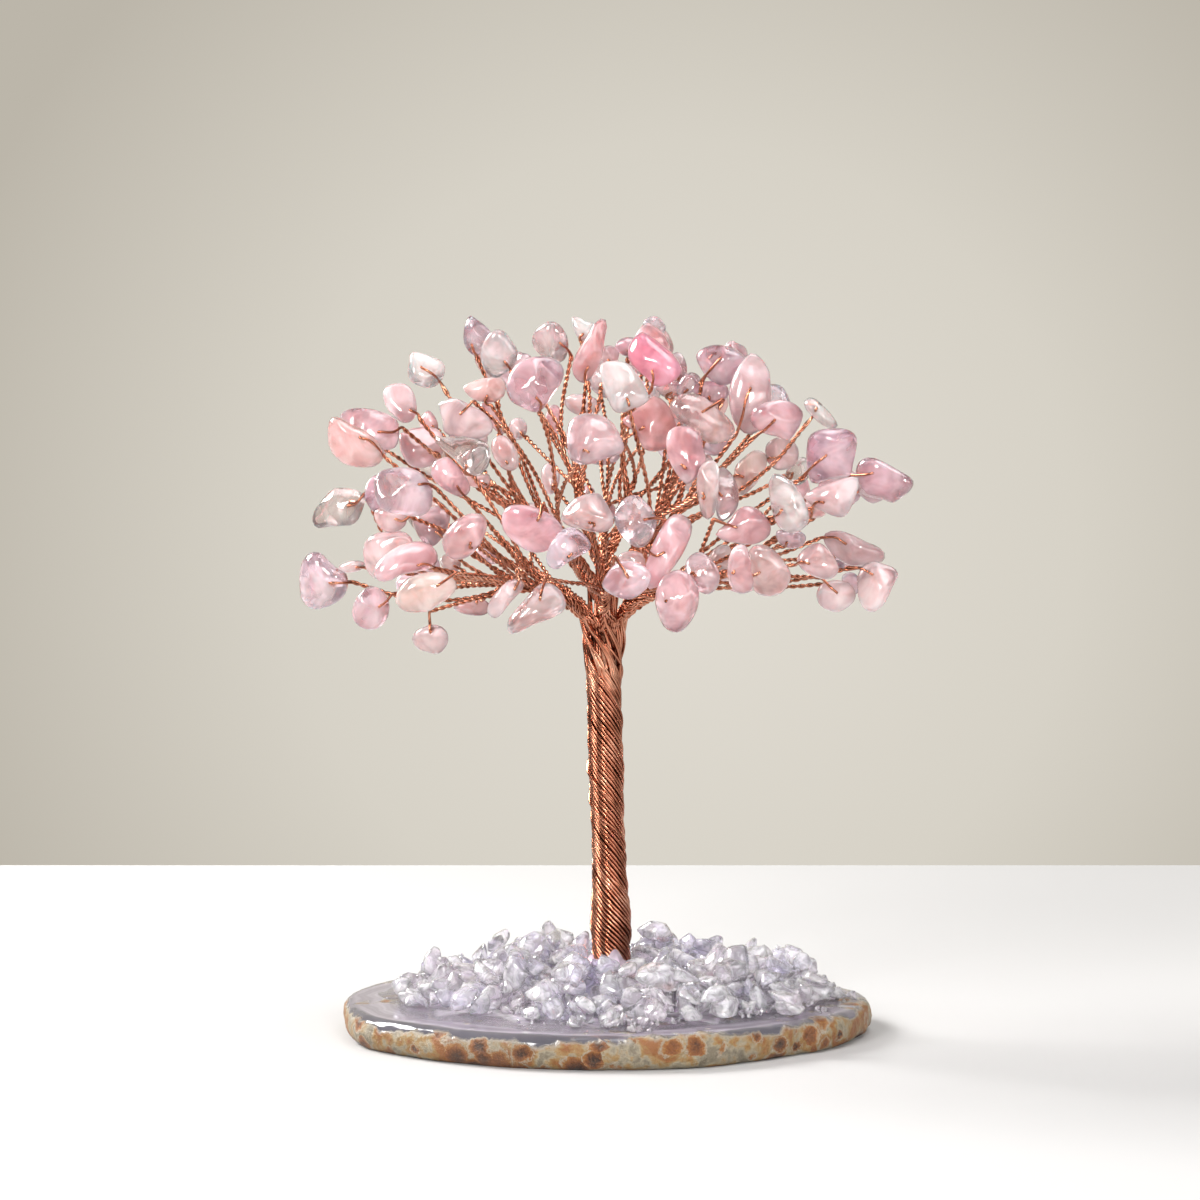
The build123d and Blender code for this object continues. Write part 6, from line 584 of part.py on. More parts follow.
        ([(1.684,16.701,6.449),(4.944,18.976,8.102),(6.333,18.294,6.444),(4.773,16.618,8.331),(3.113,19.984,7.664),(1.297,17.183,6.484),(5.544,15.842,7.184),(2.155,19.904,7.342),(5.67,15.653,6.941),(3.239,20.067,6.455),(1.82,16.807,7.257)],
         [(0,2,8),(6,8,2),(6,2,3),(6,3,8),(9,0,5),(9,2,0),(10,5,0),(10,8,3),(10,0,8),(1,3,2),(1,4,3),(1,2,9),(1,9,4),(7,9,5),(7,4,9),(7,5,10),(7,3,4),(7,10,3)]),
        ([(-0.177,19.725,10.062),(-4.161,15.952,11.864),(0.25,18.645,11.588),(-4.605,18.297,10.612),(-4.405,18.09,12.145),(-0.339,21.131,11.074),(-3.24,16.016,12.112),(1.537,19.917,13.096),(1.033,20.627,13.557),(-4.203,16.718,10.958),(-0.405,18.529,11.027)],
         [(5,0,3),(5,7,0),(4,3,1),(4,5,3),(9,1,3),(9,3,0),(2,0,7),(8,7,5),(8,5,4),(10,0,2),(10,9,0),(6,1,9),(6,9,10),(6,10,2),(6,2,7),(6,7,8),(6,4,1),(6,8,4)]),
        ([(1.041,11.663,11.563),(-1.797,7.385,10.121),(-2.915,10.44,11.318),(-2.258,8.281,11.526),(-3.086,10.403,11.676),(-1.761,7.275,9.503),(0.424,9.809,11.928),(-2.27,11.976,11.649),(-0.554,12.15,9.54),(-0.769,7.736,8.915)],
         [(7,0,8),(6,7,4),(6,0,7),(2,5,4),(2,8,5),(2,4,7),(2,7,8),(9,8,0),(9,5,8),(9,0,6),(3,4,5),(3,6,4),(1,3,5),(1,6,3),(1,5,9),(1,9,6)]),
        ([(2.649,17.461,9.187),(8.343,18.987,8.554),(8.657,20.101,10.706),(8.07,18.535,8.517),(1.932,20.056,10.216),(7.228,17.247,8.48),(5.849,22.571,10.747),(6.821,16.518,8.715),(3.553,18.339,8.152),(8.551,17.387,10.236)],
         [(6,4,2),(6,8,4),(9,2,4),(5,7,8),(5,9,7),(0,9,4),(0,7,9),(0,4,8),(0,8,7),(1,8,6),(1,6,2),(1,2,9),(3,5,8),(3,8,1),(3,9,5),(3,1,9)]),
        ([(0.422,9.035,10.338),(-1.103,5.621,9.481),(0.853,4.559,10.437),(-1.804,6.792,9.011),(1.076,8.275,10.818),(-0.295,3.735,11.966),(1.765,3.988,12.622),(-0.341,8.368,10.867),(1.53,5.613,12.728),(0.494,5.535,12.782),(1.988,5.319,11.346),(-1.861,5.637,10.024)],
         [(5,9,11),(7,11,9),(7,3,11),(7,0,3),(8,0,7),(8,7,9),(2,0,10),(2,3,0),(4,10,0),(4,8,10),(4,0,8),(6,9,5),(6,8,9),(6,10,8),(6,2,10),(6,5,2),(1,11,3),(1,3,2),(1,5,11),(1,2,5)]),
        ([(6.916,16.434,9.98),(6.713,16.342,7.263),(6.054,16.541,8.885),(8.103,16.296,10.292),(4.955,15.95,9.726),(4.601,14.932,6.985),(5.188,15.572,10.117),(5.361,15.88,9.994),(4.122,13.835,9.527),(4.724,16.223,8.147),(6.947,13.688,10.066)],
         [(5,10,8),(9,5,8),(6,8,10),(6,10,3),(1,5,9),(1,3,10),(1,10,5),(4,9,8),(4,8,6),(2,1,9),(2,9,4),(2,4,0),(2,3,1),(2,0,3),(7,4,6),(7,0,4),(7,6,3),(7,3,0)]),
        ([(4.074,14.839,11.357),(3.35,15.067,7.829),(3.783,13.283,10.004),(1.961,16.22,8.35),(0.426,17.077,11.805),(3.988,13.304,9.41),(1.327,17.643,12.069),(-0.758,15.605,11.264),(3.214,14.104,11.203),(4.192,18.476,10.294)],
         [(3,1,7),(3,9,1),(5,2,7),(5,7,1),(5,1,9),(5,9,0),(5,0,2),(6,0,9),(8,7,2),(8,2,0),(8,6,7),(8,0,6),(4,9,3),(4,6,9),(4,3,7),(4,7,6)]),
        ([(-2.009,15.528,9.995),(-2.387,13.595,12.786),(-4.362,15.164,12.037),(-3.893,14.567,13.282),(-4.124,15.52,12.115),(-3.572,13.798,12.357),(-2.158,16.216,11.332),(-2.956,16.261,12.987),(-1.158,16.104,11.01),(-2.345,15.568,9.959),(-0.686,14.772,9.761)],
         [(3,1,7),(5,10,1),(5,3,2),(5,1,3),(9,5,2),(9,10,5),(4,9,2),(4,2,3),(4,3,7),(8,1,10),(8,7,1),(0,10,9),(0,8,10),(0,9,8),(6,7,8),(6,8,9),(6,4,7),(6,9,4)]),
        ([(2.063,26.501,8.546),(-1.288,27.492,8.009),(-0.734,28.016,7.085),(2.12,26.083,10.463),(1.244,25.168,10.143),(2.017,24.432,8.867),(-0.753,27.709,6.489),(-2.0,24.808,8.042),(1.252,25.207,6.488),(-2.181,24.823,8.222),(-1.157,24.037,8.65),(0.143,27.943,6.831)],
         [(1,9,3),(1,3,2),(6,9,1),(6,1,2),(0,3,5),(0,5,8),(10,8,5),(11,2,3),(11,3,0),(11,6,2),(11,8,6),(11,0,8),(4,5,3),(4,10,5),(4,3,9),(4,9,10),(7,10,9),(7,8,10),(7,9,6),(7,6,8)]),
        ([(-1.294,8.665,11.638),(-3.649,4.615,11.457),(1.243,9.681,13.501),(0.445,6.118,12.991),(-1.665,8.707,13.199),(0.933,6.688,13.019),(-2.981,6.188,14.029),(-0.422,9.695,13.067),(-0.147,8.612,11.125),(-0.115,7.767,14.98),(-1.775,4.708,10.552)],
         [(0,10,1),(3,1,10),(8,10,0),(4,0,1),(5,2,9),(5,9,3),(5,8,2),(5,3,10),(5,10,8),(7,0,4),(7,2,8),(7,8,0),(7,9,2),(7,4,9),(6,4,1),(6,9,4),(6,1,3),(6,3,9)]),
        ([(1.091,17.851,13.282),(2.73,16.818,15.326),(-0.837,12.741,12.431),(0.29,17.209,16.653),(0.692,16.46,11.776),(-2.041,13.581,16.303),(0.586,14.446,11.259),(4.054,13.136,12.436),(0.512,16.125,11.735),(-1.052,11.803,14.121),(-1.077,12.923,12.6),(4.166,15.058,13.571)],
         [(3,0,5),(8,5,0),(1,11,0),(1,0,3),(1,5,11),(1,3,5),(10,9,5),(10,5,8),(10,8,6),(7,11,5),(7,5,9),(4,0,11),(4,8,0),(4,11,7),(4,6,8),(4,7,6),(2,9,10),(2,7,9),(2,10,6),(2,6,7)]),
        ([(-4.085,11.914,13.497),(1.513,11.547,14.413),(-5.05,10.387,12.859),(1.763,10.706,14.394),(-2.358,12.773,11.762),(-1.73,7.125,14.404),(-1.947,7.252,15.243),(-4.52,11.495,12.458),(-4.072,8.791,12.109),(-4.835,10.819,14.048),(-5.008,9.505,11.984)],
         [(8,3,5),(8,4,3),(10,4,8),(10,9,2),(6,5,3),(6,9,10),(6,8,5),(6,10,8),(7,2,9),(7,10,2),(7,4,10),(0,4,7),(0,7,9),(1,6,3),(1,9,6),(1,0,9),(1,3,4),(1,4,0)]),
        ([(4.298,23.775,8.941),(6.66,25.748,10.83),(4.397,28.26,8.785),(4.004,24.936,11.573),(7.25,25.038,9.864),(2.242,26.248,9.532),(3.333,25.836,8.08),(6.379,27.255,9.182),(2.41,26.661,8.178),(4.759,27.275,10.965),(3.004,28.034,8.049)],
         [(9,5,3),(10,6,8),(10,8,5),(10,5,9),(10,9,2),(0,4,3),(0,6,4),(0,3,5),(0,5,8),(0,8,6),(7,2,9),(7,10,2),(7,4,6),(7,6,10),(1,3,4),(1,9,3),(1,4,7),(1,7,9)]),
        ([(-8.619,26.523,10.485),(-10.09,25.949,12.139),(-12.291,26.176,10.524),(-10.709,25.426,11.407),(-11.276,25.298,10.297),(-9.151,27.676,11.372),(-9.072,26.747,12.963),(-12.559,26.731,8.111),(-11.764,25.621,9.845),(-8.528,25.74,11.72),(-9.654,27.567,12.979)],
         [(10,5,7),(2,10,7),(0,7,5),(0,5,9),(8,2,7),(6,9,5),(6,5,10),(1,10,2),(1,2,3),(1,6,10),(1,3,9),(1,9,6),(4,2,8),(4,3,2),(4,9,3),(4,0,9),(4,7,0),(4,8,7)]),
        ([(-6.587,22.539,13.146),(-6.365,24.603,12.134),(-8.94,24.821,10.786),(-6.082,23.509,13.661),(-6.633,22.314,12.841),(-7.532,22.31,12.045),(-10.728,25.944,12.264),(-10.236,26.351,14.402),(-5.756,23.38,11.518),(-10.724,25.012,13.193)],
         [(2,8,5),(9,7,6),(9,6,2),(9,2,5),(1,8,2),(1,3,8),(1,7,3),(1,6,7),(1,2,6),(0,3,7),(0,7,9),(4,9,5),(4,0,9),(4,5,8),(4,8,3),(4,3,0)]),
        ([(-6.525,15.405,10.707),(-4.842,16.743,12.861),(-6.362,16.906,12.448),(-5.637,15.851,12.322),(-6.379,16.704,8.435),(-7.962,18.105,8.732),(-4.833,18.509,12.202),(-5.758,18.635,8.861),(-5.264,15.792,12.053),(-5.521,16.111,9.599),(-7.936,16.109,9.786),(-5.974,17.994,8.46),(-4.503,18.859,11.026)],
         [(7,5,12),(9,0,4),(10,2,5),(10,5,4),(10,4,0),(1,9,12),(11,9,4),(11,4,5),(11,5,7),(11,7,12),(11,12,9),(8,0,9),(8,9,1),(6,1,12),(6,2,1),(6,12,5),(6,5,2),(3,0,8),(3,10,0),(3,2,10),(3,1,2),(3,8,1)]),
        ([(1.694,21.676,6.49),(3.494,19.617,8.422),(0.79,22.217,6.645),(2.546,19.31,8.555),(-0.41,20.88,9.226),(1.328,22.971,7.666),(0.918,20.39,6.491),(1.282,20.628,10.099),(0.898,21.219,9.97),(0.818,22.726,8.927),(4.949,20.343,8.945),(1.878,22.508,7.1)],
         [(11,5,10),(11,10,0),(11,2,5),(11,0,2),(6,0,10),(6,3,4),(6,4,2),(6,2,0),(9,10,5),(9,8,10),(9,4,8),(9,2,4),(9,5,2),(7,3,10),(7,10,8),(7,4,3),(7,8,4),(1,10,3),(1,6,10),(1,3,6)]),
    ],
    'quartz_chips_back_left': [
        ([(-10.499,6.454,8.833),(-12.96,1.978,7.567),(-15.748,7.709,6.471),(-12.704,4.577,9.305),(-10.645,3.619,6.467),(-11.123,3.389,8.788),(-10.083,4.666,6.564),(-10.239,6.886,8.697),(-12.348,9.725,7.62),(-12.487,9.324,6.47)],
         [(3,2,1),(8,2,3),(4,1,2),(9,2,8),(9,4,2),(9,6,4),(7,6,9),(7,9,8),(0,8,3),(0,7,8),(5,1,4),(5,3,1),(5,0,3),(5,4,6),(5,6,7),(5,7,0)]),
        ([(-17.355,17.941,7.595),(-11.942,19.345,6.76),(-18.025,17.781,6.453),(-12.783,20.92,6.451),(-15.29,15.716,6.448),(-12.964,17.291,6.597),(-13.937,21.522,7.35),(-14.512,14.422,8.452),(-13.558,15.271,7.608),(-13.805,21.743,7.22),(-16.661,20.157,7.121)],
         [(4,7,2),(3,9,1),(3,4,2),(0,2,7),(8,1,7),(8,7,4),(10,2,0),(10,3,2),(10,9,3),(6,0,7),(6,7,1),(6,1,9),(6,9,10),(6,10,0),(5,1,8),(5,8,4),(5,3,1),(5,4,3)]),
        ([(-27.841,14.302,7.329),(-32.569,13.94,9.401),(-30.312,12.282,6.476),(-32.381,13.801,9.867),(-32.797,13.144,8.451),(-28.256,14.151,6.474),(-29.279,9.768,7.164),(-30.733,16.444,7.179),(-28.847,11.391,9.22),(-30.364,12.637,6.471),(-27.251,10.377,6.968),(-32.009,11.785,7.639)],
         [(0,7,3),(8,10,0),(8,0,3),(1,7,4),(1,4,3),(1,3,7),(6,2,10),(6,10,8),(6,8,3),(11,4,7),(11,2,6),(11,3,4),(11,6,3),(5,7,0),(5,0,10),(5,10,2),(9,11,7),(9,2,11),(9,7,5),(9,5,2)]),
        ([(-25.248,23.122,6.479),(-23.337,19.103,9.773),(-25.783,22.705,7.183),(-23.013,20.347,9.772),(-23.608,16.485,8.045),(-22.253,19.396,6.477),(-26.097,18.844,6.478),(-22.333,17.18,8.867),(-22.022,21.484,7.484)],
         [(1,6,4),(2,6,1),(5,4,6),(3,2,1),(0,8,5),(0,3,8),(0,2,3),(0,6,2),(0,5,6),(7,1,4),(7,4,5),(7,3,1),(7,5,8),(7,8,3)]),
        ([(-8.346,5.403,6.884),(-8.841,9.043,8.875),(-6.032,10.864,7.281),(-6.128,9.339,6.46),(-6.852,11.453,7.145),(-10.007,9.36,8.093),(-7.001,11.615,6.459),(-8.997,6.235,6.455),(-9.079,8.16,8.521)],
         [(1,0,2),(7,0,5),(7,5,6),(3,2,0),(3,6,2),(3,0,7),(3,7,6),(8,5,0),(8,1,5),(8,0,1),(4,2,6),(4,1,2),(4,6,5),(4,5,1)]),
        ([(-11.964,19.152,8.861),(-8.665,16.593,8.798),(-11.187,17.037,6.566),(-10.886,22.134,6.466),(-7.921,16.999,7.74),(-9.222,21.783,7.672),(-12.406,18.18,7.645),(-11.837,18.904,8.876),(-10.561,17.497,6.466),(-9.341,18.004,6.466),(-8.243,17.343,6.947)],
         [(2,6,3),(0,3,6),(0,6,7),(0,5,3),(1,2,4),(1,4,5),(1,7,6),(1,6,2),(1,0,7),(1,5,0),(8,2,3),(8,3,9),(10,3,5),(10,9,3),(10,5,4),(10,4,2),(10,2,8),(10,8,9)]),
        ([(-26.18,16.688,6.654),(-24.039,14.79,6.463),(-26.505,14.494,8.493),(-27.62,16.014,7.529),(-27.303,15.92,6.464),(-26.252,13.288,6.463),(-24.244,15.159,7.859),(-23.6,12.899,7.994),(-27.474,14.977,7.415),(-25.216,16.228,8.008),(-23.89,12.236,7.379),(-23.867,13.047,8.339)],
         [(9,0,3),(4,3,0),(4,8,3),(4,5,8),(1,10,5),(1,7,10),(1,4,0),(1,5,4),(1,0,9),(2,9,3),(2,3,8),(2,5,10),(2,8,5),(6,7,1),(6,1,9),(11,9,2),(11,7,6),(11,6,9),(11,10,7),(11,2,10)]),
        ([(-29.806,19.59,8.923),(-29.645,19.07,6.453),(-29.738,17.934,6.451),(-31.747,18.45,6.453),(-30.36,17.449,6.651),(-31.503,17.89,8.189),(-28.019,17.347,7.226),(-28.817,16.864,7.086),(-28.518,17.743,6.563)],
         [(7,6,0),(5,0,3),(5,7,0),(1,3,0),(1,0,6),(4,5,3),(4,7,5),(8,6,7),(8,1,6),(8,7,4),(2,4,3),(2,8,4),(2,3,1),(2,1,8)]),
        ([(-11.292,27.631,7.989),(-10.444,26.046,9.549),(-10.752,26.941,6.498),(-12.759,27.191,7.354),(-12.763,23.049,6.468),(-11.916,27.681,7.243),(-11.436,23.669,8.151),(-13.334,23.114,7.77),(-14.079,25.637,6.466),(-9.431,25.364,6.467),(-14.434,25.53,6.743),(-12.481,24.672,9.661)],
         [(8,4,10),(8,9,4),(7,10,4),(7,11,10),(1,9,0),(1,0,11),(2,0,9),(2,9,8),(6,11,7),(6,1,11),(6,9,1),(6,4,9),(6,7,4),(5,0,2),(5,2,8),(3,8,10),(3,5,8),(3,0,5),(3,10,11),(3,11,0)]),
        ([(-15.38,20.158,8.043),(-15.551,21.427,6.723),(-16.862,21.836,6.463),(-16.558,21.781,7.731),(-16.731,25.5,6.484),(-17.367,24.792,6.456),(-12.916,21.559,8.085),(-14.085,25.407,7.638),(-17.461,23.604,6.601),(-15.208,26.22,8.156)],
         [(0,6,9),(3,9,8),(3,0,9),(3,8,2),(3,2,0),(5,8,9),(5,9,4),(5,2,8),(5,4,2),(7,9,6),(7,4,9),(1,2,4),(1,7,6),(1,4,7),(1,6,0),(1,0,2)]),
        ([(-9.0,14.705,6.443),(-6.15,14.33,6.925),(-8.484,15.95,6.871),(-6.42,16.564,7.434),(-6.993,13.328,6.763),(-8.011,13.096,6.441),(-8.779,14.892,7.098),(-7.052,16.993,6.441)],
         [(3,1,7),(5,0,7),(5,7,1),(5,6,0),(2,3,7),(2,6,3),(2,7,0),(2,0,6),(4,5,1),(4,6,5),(4,1,3),(4,3,6)]),
        ([(-11.508,12.105,8.677),(-13.881,15.428,9.254),(-13.103,9.961,8.452),(-11.248,12.628,10.354),(-11.926,11.414,9.222),(-15.3,12.597,8.556),(-14.479,10.75,7.22),(-12.006,15.232,8.483),(-13.515,12.753,10.938),(-15.408,13.952,8.563)],
         [(8,2,3),(5,8,9),(5,2,8),(6,9,7),(6,5,9),(6,2,5),(0,7,3),(0,2,6),(0,6,7),(1,8,3),(1,3,7),(1,9,8),(1,7,9),(4,3,2),(4,0,3),(4,2,0)]),
        ([(-8.757,13.211,7.39),(-10.065,14.139,6.497),(-11.258,10.81,8.946),(-12.676,11.889,6.457),(-11.231,13.773,7.55),(-9.451,14.016,8.544),(-11.151,11.364,6.911),(-12.586,11.604,7.965),(-9.706,13.669,6.456),(-12.178,12.481,8.14),(-10.889,13.973,7.166)],
         [(6,2,3),(6,0,2),(7,3,2),(7,9,3),(7,2,9),(4,3,9),(8,1,0),(8,0,6),(8,3,1),(8,6,3),(10,1,3),(10,3,4),(5,10,4),(5,2,0),(5,0,1),(5,1,10),(5,9,2),(5,4,9)]),
        ([(-7.633,6.891,10.493),(-5.262,6.494,6.931),(-5.214,3.856,6.569),(-9.477,5.515,7.442),(-5.562,4.664,6.47),(-8.921,4.585,8.432),(-9.134,5.127,7.742),(-6.456,5.871,6.466),(-6.031,6.945,7.183),(-8.138,7.94,8.293)],
         [(0,9,3),(5,0,3),(5,2,0),(7,3,9),(6,3,2),(6,5,3),(6,2,5),(4,2,3),(4,3,7),(1,4,7),(1,0,2),(1,2,4),(8,7,9),(8,1,7),(8,9,0),(8,0,1)]),
        ([(-7.063,13.263,9.865),(-8.844,12.742,7.375),(-10.045,11.623,8.344),(-7.196,14.22,7.97),(-10.589,13.196,9.961),(-7.848,12.66,10.303),(-10.28,12.975,9.041),(-8.245,11.367,7.88),(-7.465,12.212,6.957),(-9.087,14.32,8.485),(-7.063,12.769,7.556)],
         [(0,4,5),(0,7,10),(0,5,7),(2,5,4),(2,7,5),(8,10,7),(8,7,2),(8,2,1),(3,0,10),(3,10,8),(3,8,1),(6,2,4),(6,1,2),(9,3,1),(9,1,6),(9,6,4),(9,4,0),(9,0,3)]),
        ([(-11.187,7.689,10.137),(-10.345,5.003,11.045),(-9.357,8.123,8.255),(-8.271,6.959,10.233),(-8.682,7.57,10.425),(-8.426,6.903,10.326),(-10.101,4.68,8.241),(-11.917,6.52,10.322),(-8.985,3.6,9.06)],
         [(2,3,8),(1,7,8),(1,8,3),(0,2,7),(0,7,1),(6,8,7),(6,7,2),(6,2,8),(4,3,2),(4,2,0),(4,0,1),(5,1,3),(5,3,4),(5,4,1)]),
        ([(-18.446,10.31,8.096),(-16.082,8.283,7.053),(-13.712,7.408,8.576),(-15.525,5.748,11.524),(-18.302,8.703,10.454),(-18.057,7.347,11.202),(-15.197,9.187,6.519),(-14.673,6.728,8.761),(-13.347,8.126,12.416),(-16.891,10.411,6.533)],
         [(5,3,8),(9,0,8),(9,8,6),(2,8,3),(2,6,8),(4,8,0),(4,0,5),(4,5,8),(1,3,5),(1,9,6),(1,5,0),(1,0,9),(7,2,3),(7,3,1),(7,6,2),(7,1,6)]),
        ([(-15.459,14.448,6.649),(-16.418,14.136,10.881),(-18.418,11.086,8.704),(-18.817,13.179,8.902),(-15.325,10.623,6.81),(-17.2,10.628,6.48),(-14.769,10.042,8.643),(-16.914,14.007,6.48)],
         [(1,6,0),(2,3,5),(2,5,6),(2,1,3),(2,6,1),(7,5,3),(7,0,5),(7,3,1),(7,1,0),(4,0,6),(4,6,5),(4,5,0)]),
        ([(-7.486,10.558,8.487),(-10.323,8.066,9.081),(-8.995,12.927,10.645),(-11.612,10.362,9.845),(-9.665,11.851,8.872),(-10.233,12.308,10.084),(-11.317,10.669,10.506),(-12.027,9.687,9.295),(-8.034,8.682,9.871)],
         [(1,7,0),(4,0,7),(4,2,0),(6,7,1),(8,2,6),(8,6,1),(8,0,2),(8,1,0),(5,2,4),(5,6,2),(5,4,7),(3,7,6),(3,5,7),(3,6,5)]),
        ([(-11.665,9.576,8.762),(-13.106,6.812,9.083),(-11.746,9.369,7.866),(-12.282,7.39,8.487),(-13.671,9.712,9.057),(-12.782,7.202,8.523),(-14.259,8.98,9.539),(-13.721,9.177,7.998),(-12.58,7.302,11.779),(-13.477,9.524,11.042),(-14.356,9.152,10.037)],
         [(8,10,1),(9,10,8),(9,8,0),(6,1,10),(6,10,7),(6,7,1),(4,9,0),(4,0,2),(4,2,7),(4,7,10),(4,10,9),(5,1,7),(5,7,2),(3,5,2),(3,0,8),(3,2,0),(3,8,1),(3,1,5)]),
        ([(-6.249,9.781,8.686),(-6.6,8.609,9.581),(-4.353,5.767,6.493),(-5.252,9.038,6.613),(-5.053,8.594,8.959),(-7.32,8.727,7.546),(-6.792,9.987,7.635),(-4.924,7.528,9.228),(-7.279,8.973,8.726),(-7.083,8.09,8.913),(-5.309,8.926,9.351)],
         [(3,2,5),(3,5,6),(9,5,2),(7,10,1),(7,9,2),(7,1,9),(0,1,10),(0,3,6),(0,10,3),(4,2,3),(4,3,10),(4,7,2),(4,10,7),(8,6,5),(8,5,9),(8,9,1),(8,0,6),(8,1,0)]),
        ([(-11.035,8.624,12.663),(-11.865,8.696,12.67),(-11.508,15.774,10.41),(-12.561,15.194,10.954),(-10.817,8.726,10.734),(-12.824,12.932,13.038),(-10.767,9.928,12.609),(-13.649,9.607,11.189),(-9.592,12.733,10.668),(-14.62,10.31,11.544)],
         [(5,8,2),(4,2,8),(4,8,0),(3,2,9),(3,9,5),(3,5,2),(1,5,9),(1,0,5),(1,4,0),(6,8,5),(6,0,8),(6,5,0),(7,9,2),(7,2,4),(7,1,9),(7,4,1)]),
        ([(-6.548,3.435,7.064),(-5.326,2.24,7.78),(-4.632,3.259,9.221),(-4.612,4.815,7.155),(-4.588,5.481,7.901),(-5.665,5.431,9.654),(-3.349,4.378,8.051),(-5.862,3.242,9.472),(-7.208,5.517,10.474)],
         [(4,0,8),(2,1,6),(5,4,8),(5,6,4),(5,8,2),(5,2,6),(3,4,6),(3,0,4),(3,6,1),(3,1,0),(7,2,8),(7,1,2),(7,8,0),(7,0,1)]),
        ([(-7.696,16.582,9.161),(-9.59,15.516,6.479),(-8.488,14.415,8.998),(-8.666,15.542,9.92),(-9.597,14.872,7.075),(-10.586,14.218,7.68),(-12.86,16.05,6.997),(-12.869,15.012,7.052),(-8.001,16.066,7.2),(-11.013,15.232,6.481),(-9.855,14.952,10.032)],
         [(10,7,5),(2,10,5),(6,7,10),(6,10,0),(9,5,7),(9,7,6),(9,6,1),(3,0,10),(3,2,0),(3,10,2),(8,0,2),(8,6,0),(8,1,6),(4,2,5),(4,5,9),(4,9,1),(4,1,8),(4,8,2)]),
        ([(-12.385,6.253,9.029),(-13.658,4.825,10.482),(-13.691,6.741,11.113),(-15.788,5.333,10.843),(-13.608,6.878,10.199),(-14.301,6.739,9.536),(-14.875,6.459,8.74),(-12.356,5.883,9.124),(-12.826,4.955,10.223),(-13.648,4.946,10.89),(-14.198,6.013,8.055)],
         [(6,10,3),(0,7,10),(0,10,6),(2,7,0),(2,0,4),(2,3,9),(1,3,10),(1,9,3),(5,4,0),(5,0,6),(5,2,4),(5,6,3),(5,3,2),(8,7,2),(8,2,9),(8,9,1),(8,10,7),(8,1,10)]),
        ([(-17.706,8.92,13.496),(-16.412,6.536,14.176),(-17.651,7.899,12.322),(-17.893,9.0,10.265),(-17.363,10.447,8.69),(-16.616,11.428,9.478),(-14.623,7.409,14.542),(-13.527,8.157,14.74),(-15.114,9.756,14.418),(-16.285,8.429,14.304),(-14.425,9.711,10.021)],
         [(0,4,3),(0,5,4),(10,3,4),(10,4,5),(1,3,10),(8,5,0),(8,7,10),(8,10,5),(2,0,3),(2,3,1),(2,1,0),(6,10,7),(6,1,10),(9,0,1),(9,8,0),(9,1,6),(9,7,8),(9,6,7)]),
        ([(-7.134,5.06,10.291),(-6.504,3.586,10.477),(-10.05,6.439,11.66),(-6.868,4.368,10.941),(-9.439,5.737,12.511),(-9.12,2.731,13.043),(-7.739,6.775,11.694),(-9.396,4.968,12.659),(-10.027,2.347,10.243),(-7.97,4.975,9.004),(-9.073,6.32,10.724)],
         [(5,2,8),(5,8,1),(9,8,2),(9,1,8),(4,6,2),(4,5,6),(3,5,1),(3,1,6),(3,6,5),(10,9,2),(10,2,6),(10,6,9),(0,1,9),(0,6,1),(0,9,6),(7,2,5),(7,4,2),(7,5,4)]),
        ([(-6.588,5.682,12.08),(-4.515,5.616,8.672),(-4.033,8.478,11.321),(-4.91,6.019,10.642),(-8.087,7.959,13.779),(-4.368,9.598,10.747),(-7.157,5.638,10.371),(-4.403,8.916,9.62),(-5.715,10.258,12.01),(-8.283,9.872,10.764)],
         [(6,9,1),(6,4,9),(7,1,9),(7,2,1),(3,1,2),(8,9,4),(8,4,2),(0,4,6),(0,2,4),(0,3,2),(0,6,1),(0,1,3),(5,2,7),(5,8,2),(5,7,9),(5,9,8)]),
        ([(-5.281,12.226,9.32),(-4.392,13.048,10.933),(-4.581,11.49,11.987),(-8.484,13.191,13.22),(-4.527,13.487,13.266),(-7.104,10.178,8.663),(-7.22,9.473,8.951),(-4.121,13.915,12.317),(-4.689,10.987,10.07),(-6.68,13.783,9.582),(-6.161,9.257,9.298)],
         [(9,3,7),(9,5,3),(2,3,10),(6,10,3),(6,3,5),(6,5,10),(1,9,7),(4,7,3),(4,3,2),(4,2,7),(0,5,9),(0,9,1),(0,10,5),(8,10,0),(8,0,1),(8,2,10),(8,7,2),(8,1,7)]),
        ([(-7.847,20.018,7.815),(-11.44,23.273,9.252),(-10.302,22.995,12.261),(-9.196,23.822,7.647),(-10.375,24.616,9.989),(-6.901,20.866,10.01),(-9.438,19.708,9.465),(-10.999,23.876,9.718),(-8.828,24.577,9.727),(-6.013,23.476,10.652),(-7.068,20.998,10.435),(-11.994,22.657,8.49),(-11.715,20.824,8.765)],
         [(12,2,11),(12,6,2),(12,11,0),(12,0,6),(10,9,2),(10,2,6),(7,4,11),(7,2,4),(8,2,9),(8,4,2),(5,6,0),(5,10,6),(5,0,9),(5,9,10),(1,11,2),(1,7,11),(1,2,7),(3,9,0),(3,8,9),(3,0,11),(3,11,4),(3,4,8)]),
        ([(-18.081,23.919,10.287),(-14.956,22.435,9.156),(-15.281,26.736,8.123),(-17.509,24.508,6.534),(-17.321,26.39,9.243),(-17.766,26.031,9.867),(-17.0,26.036,10.112),(-16.793,26.417,9.328),(-17.294,22.615,10.829),(-16.56,23.63,11.306)],
         [(3,2,1),(9,1,2),(8,9,0),(8,1,9),(8,0,3),(8,3,1),(5,0,9),(5,3,0),(6,9,2),(6,5,9),(4,2,3),(4,3,5),(4,5,6),(7,6,2),(7,2,4),(7,4,6)]),
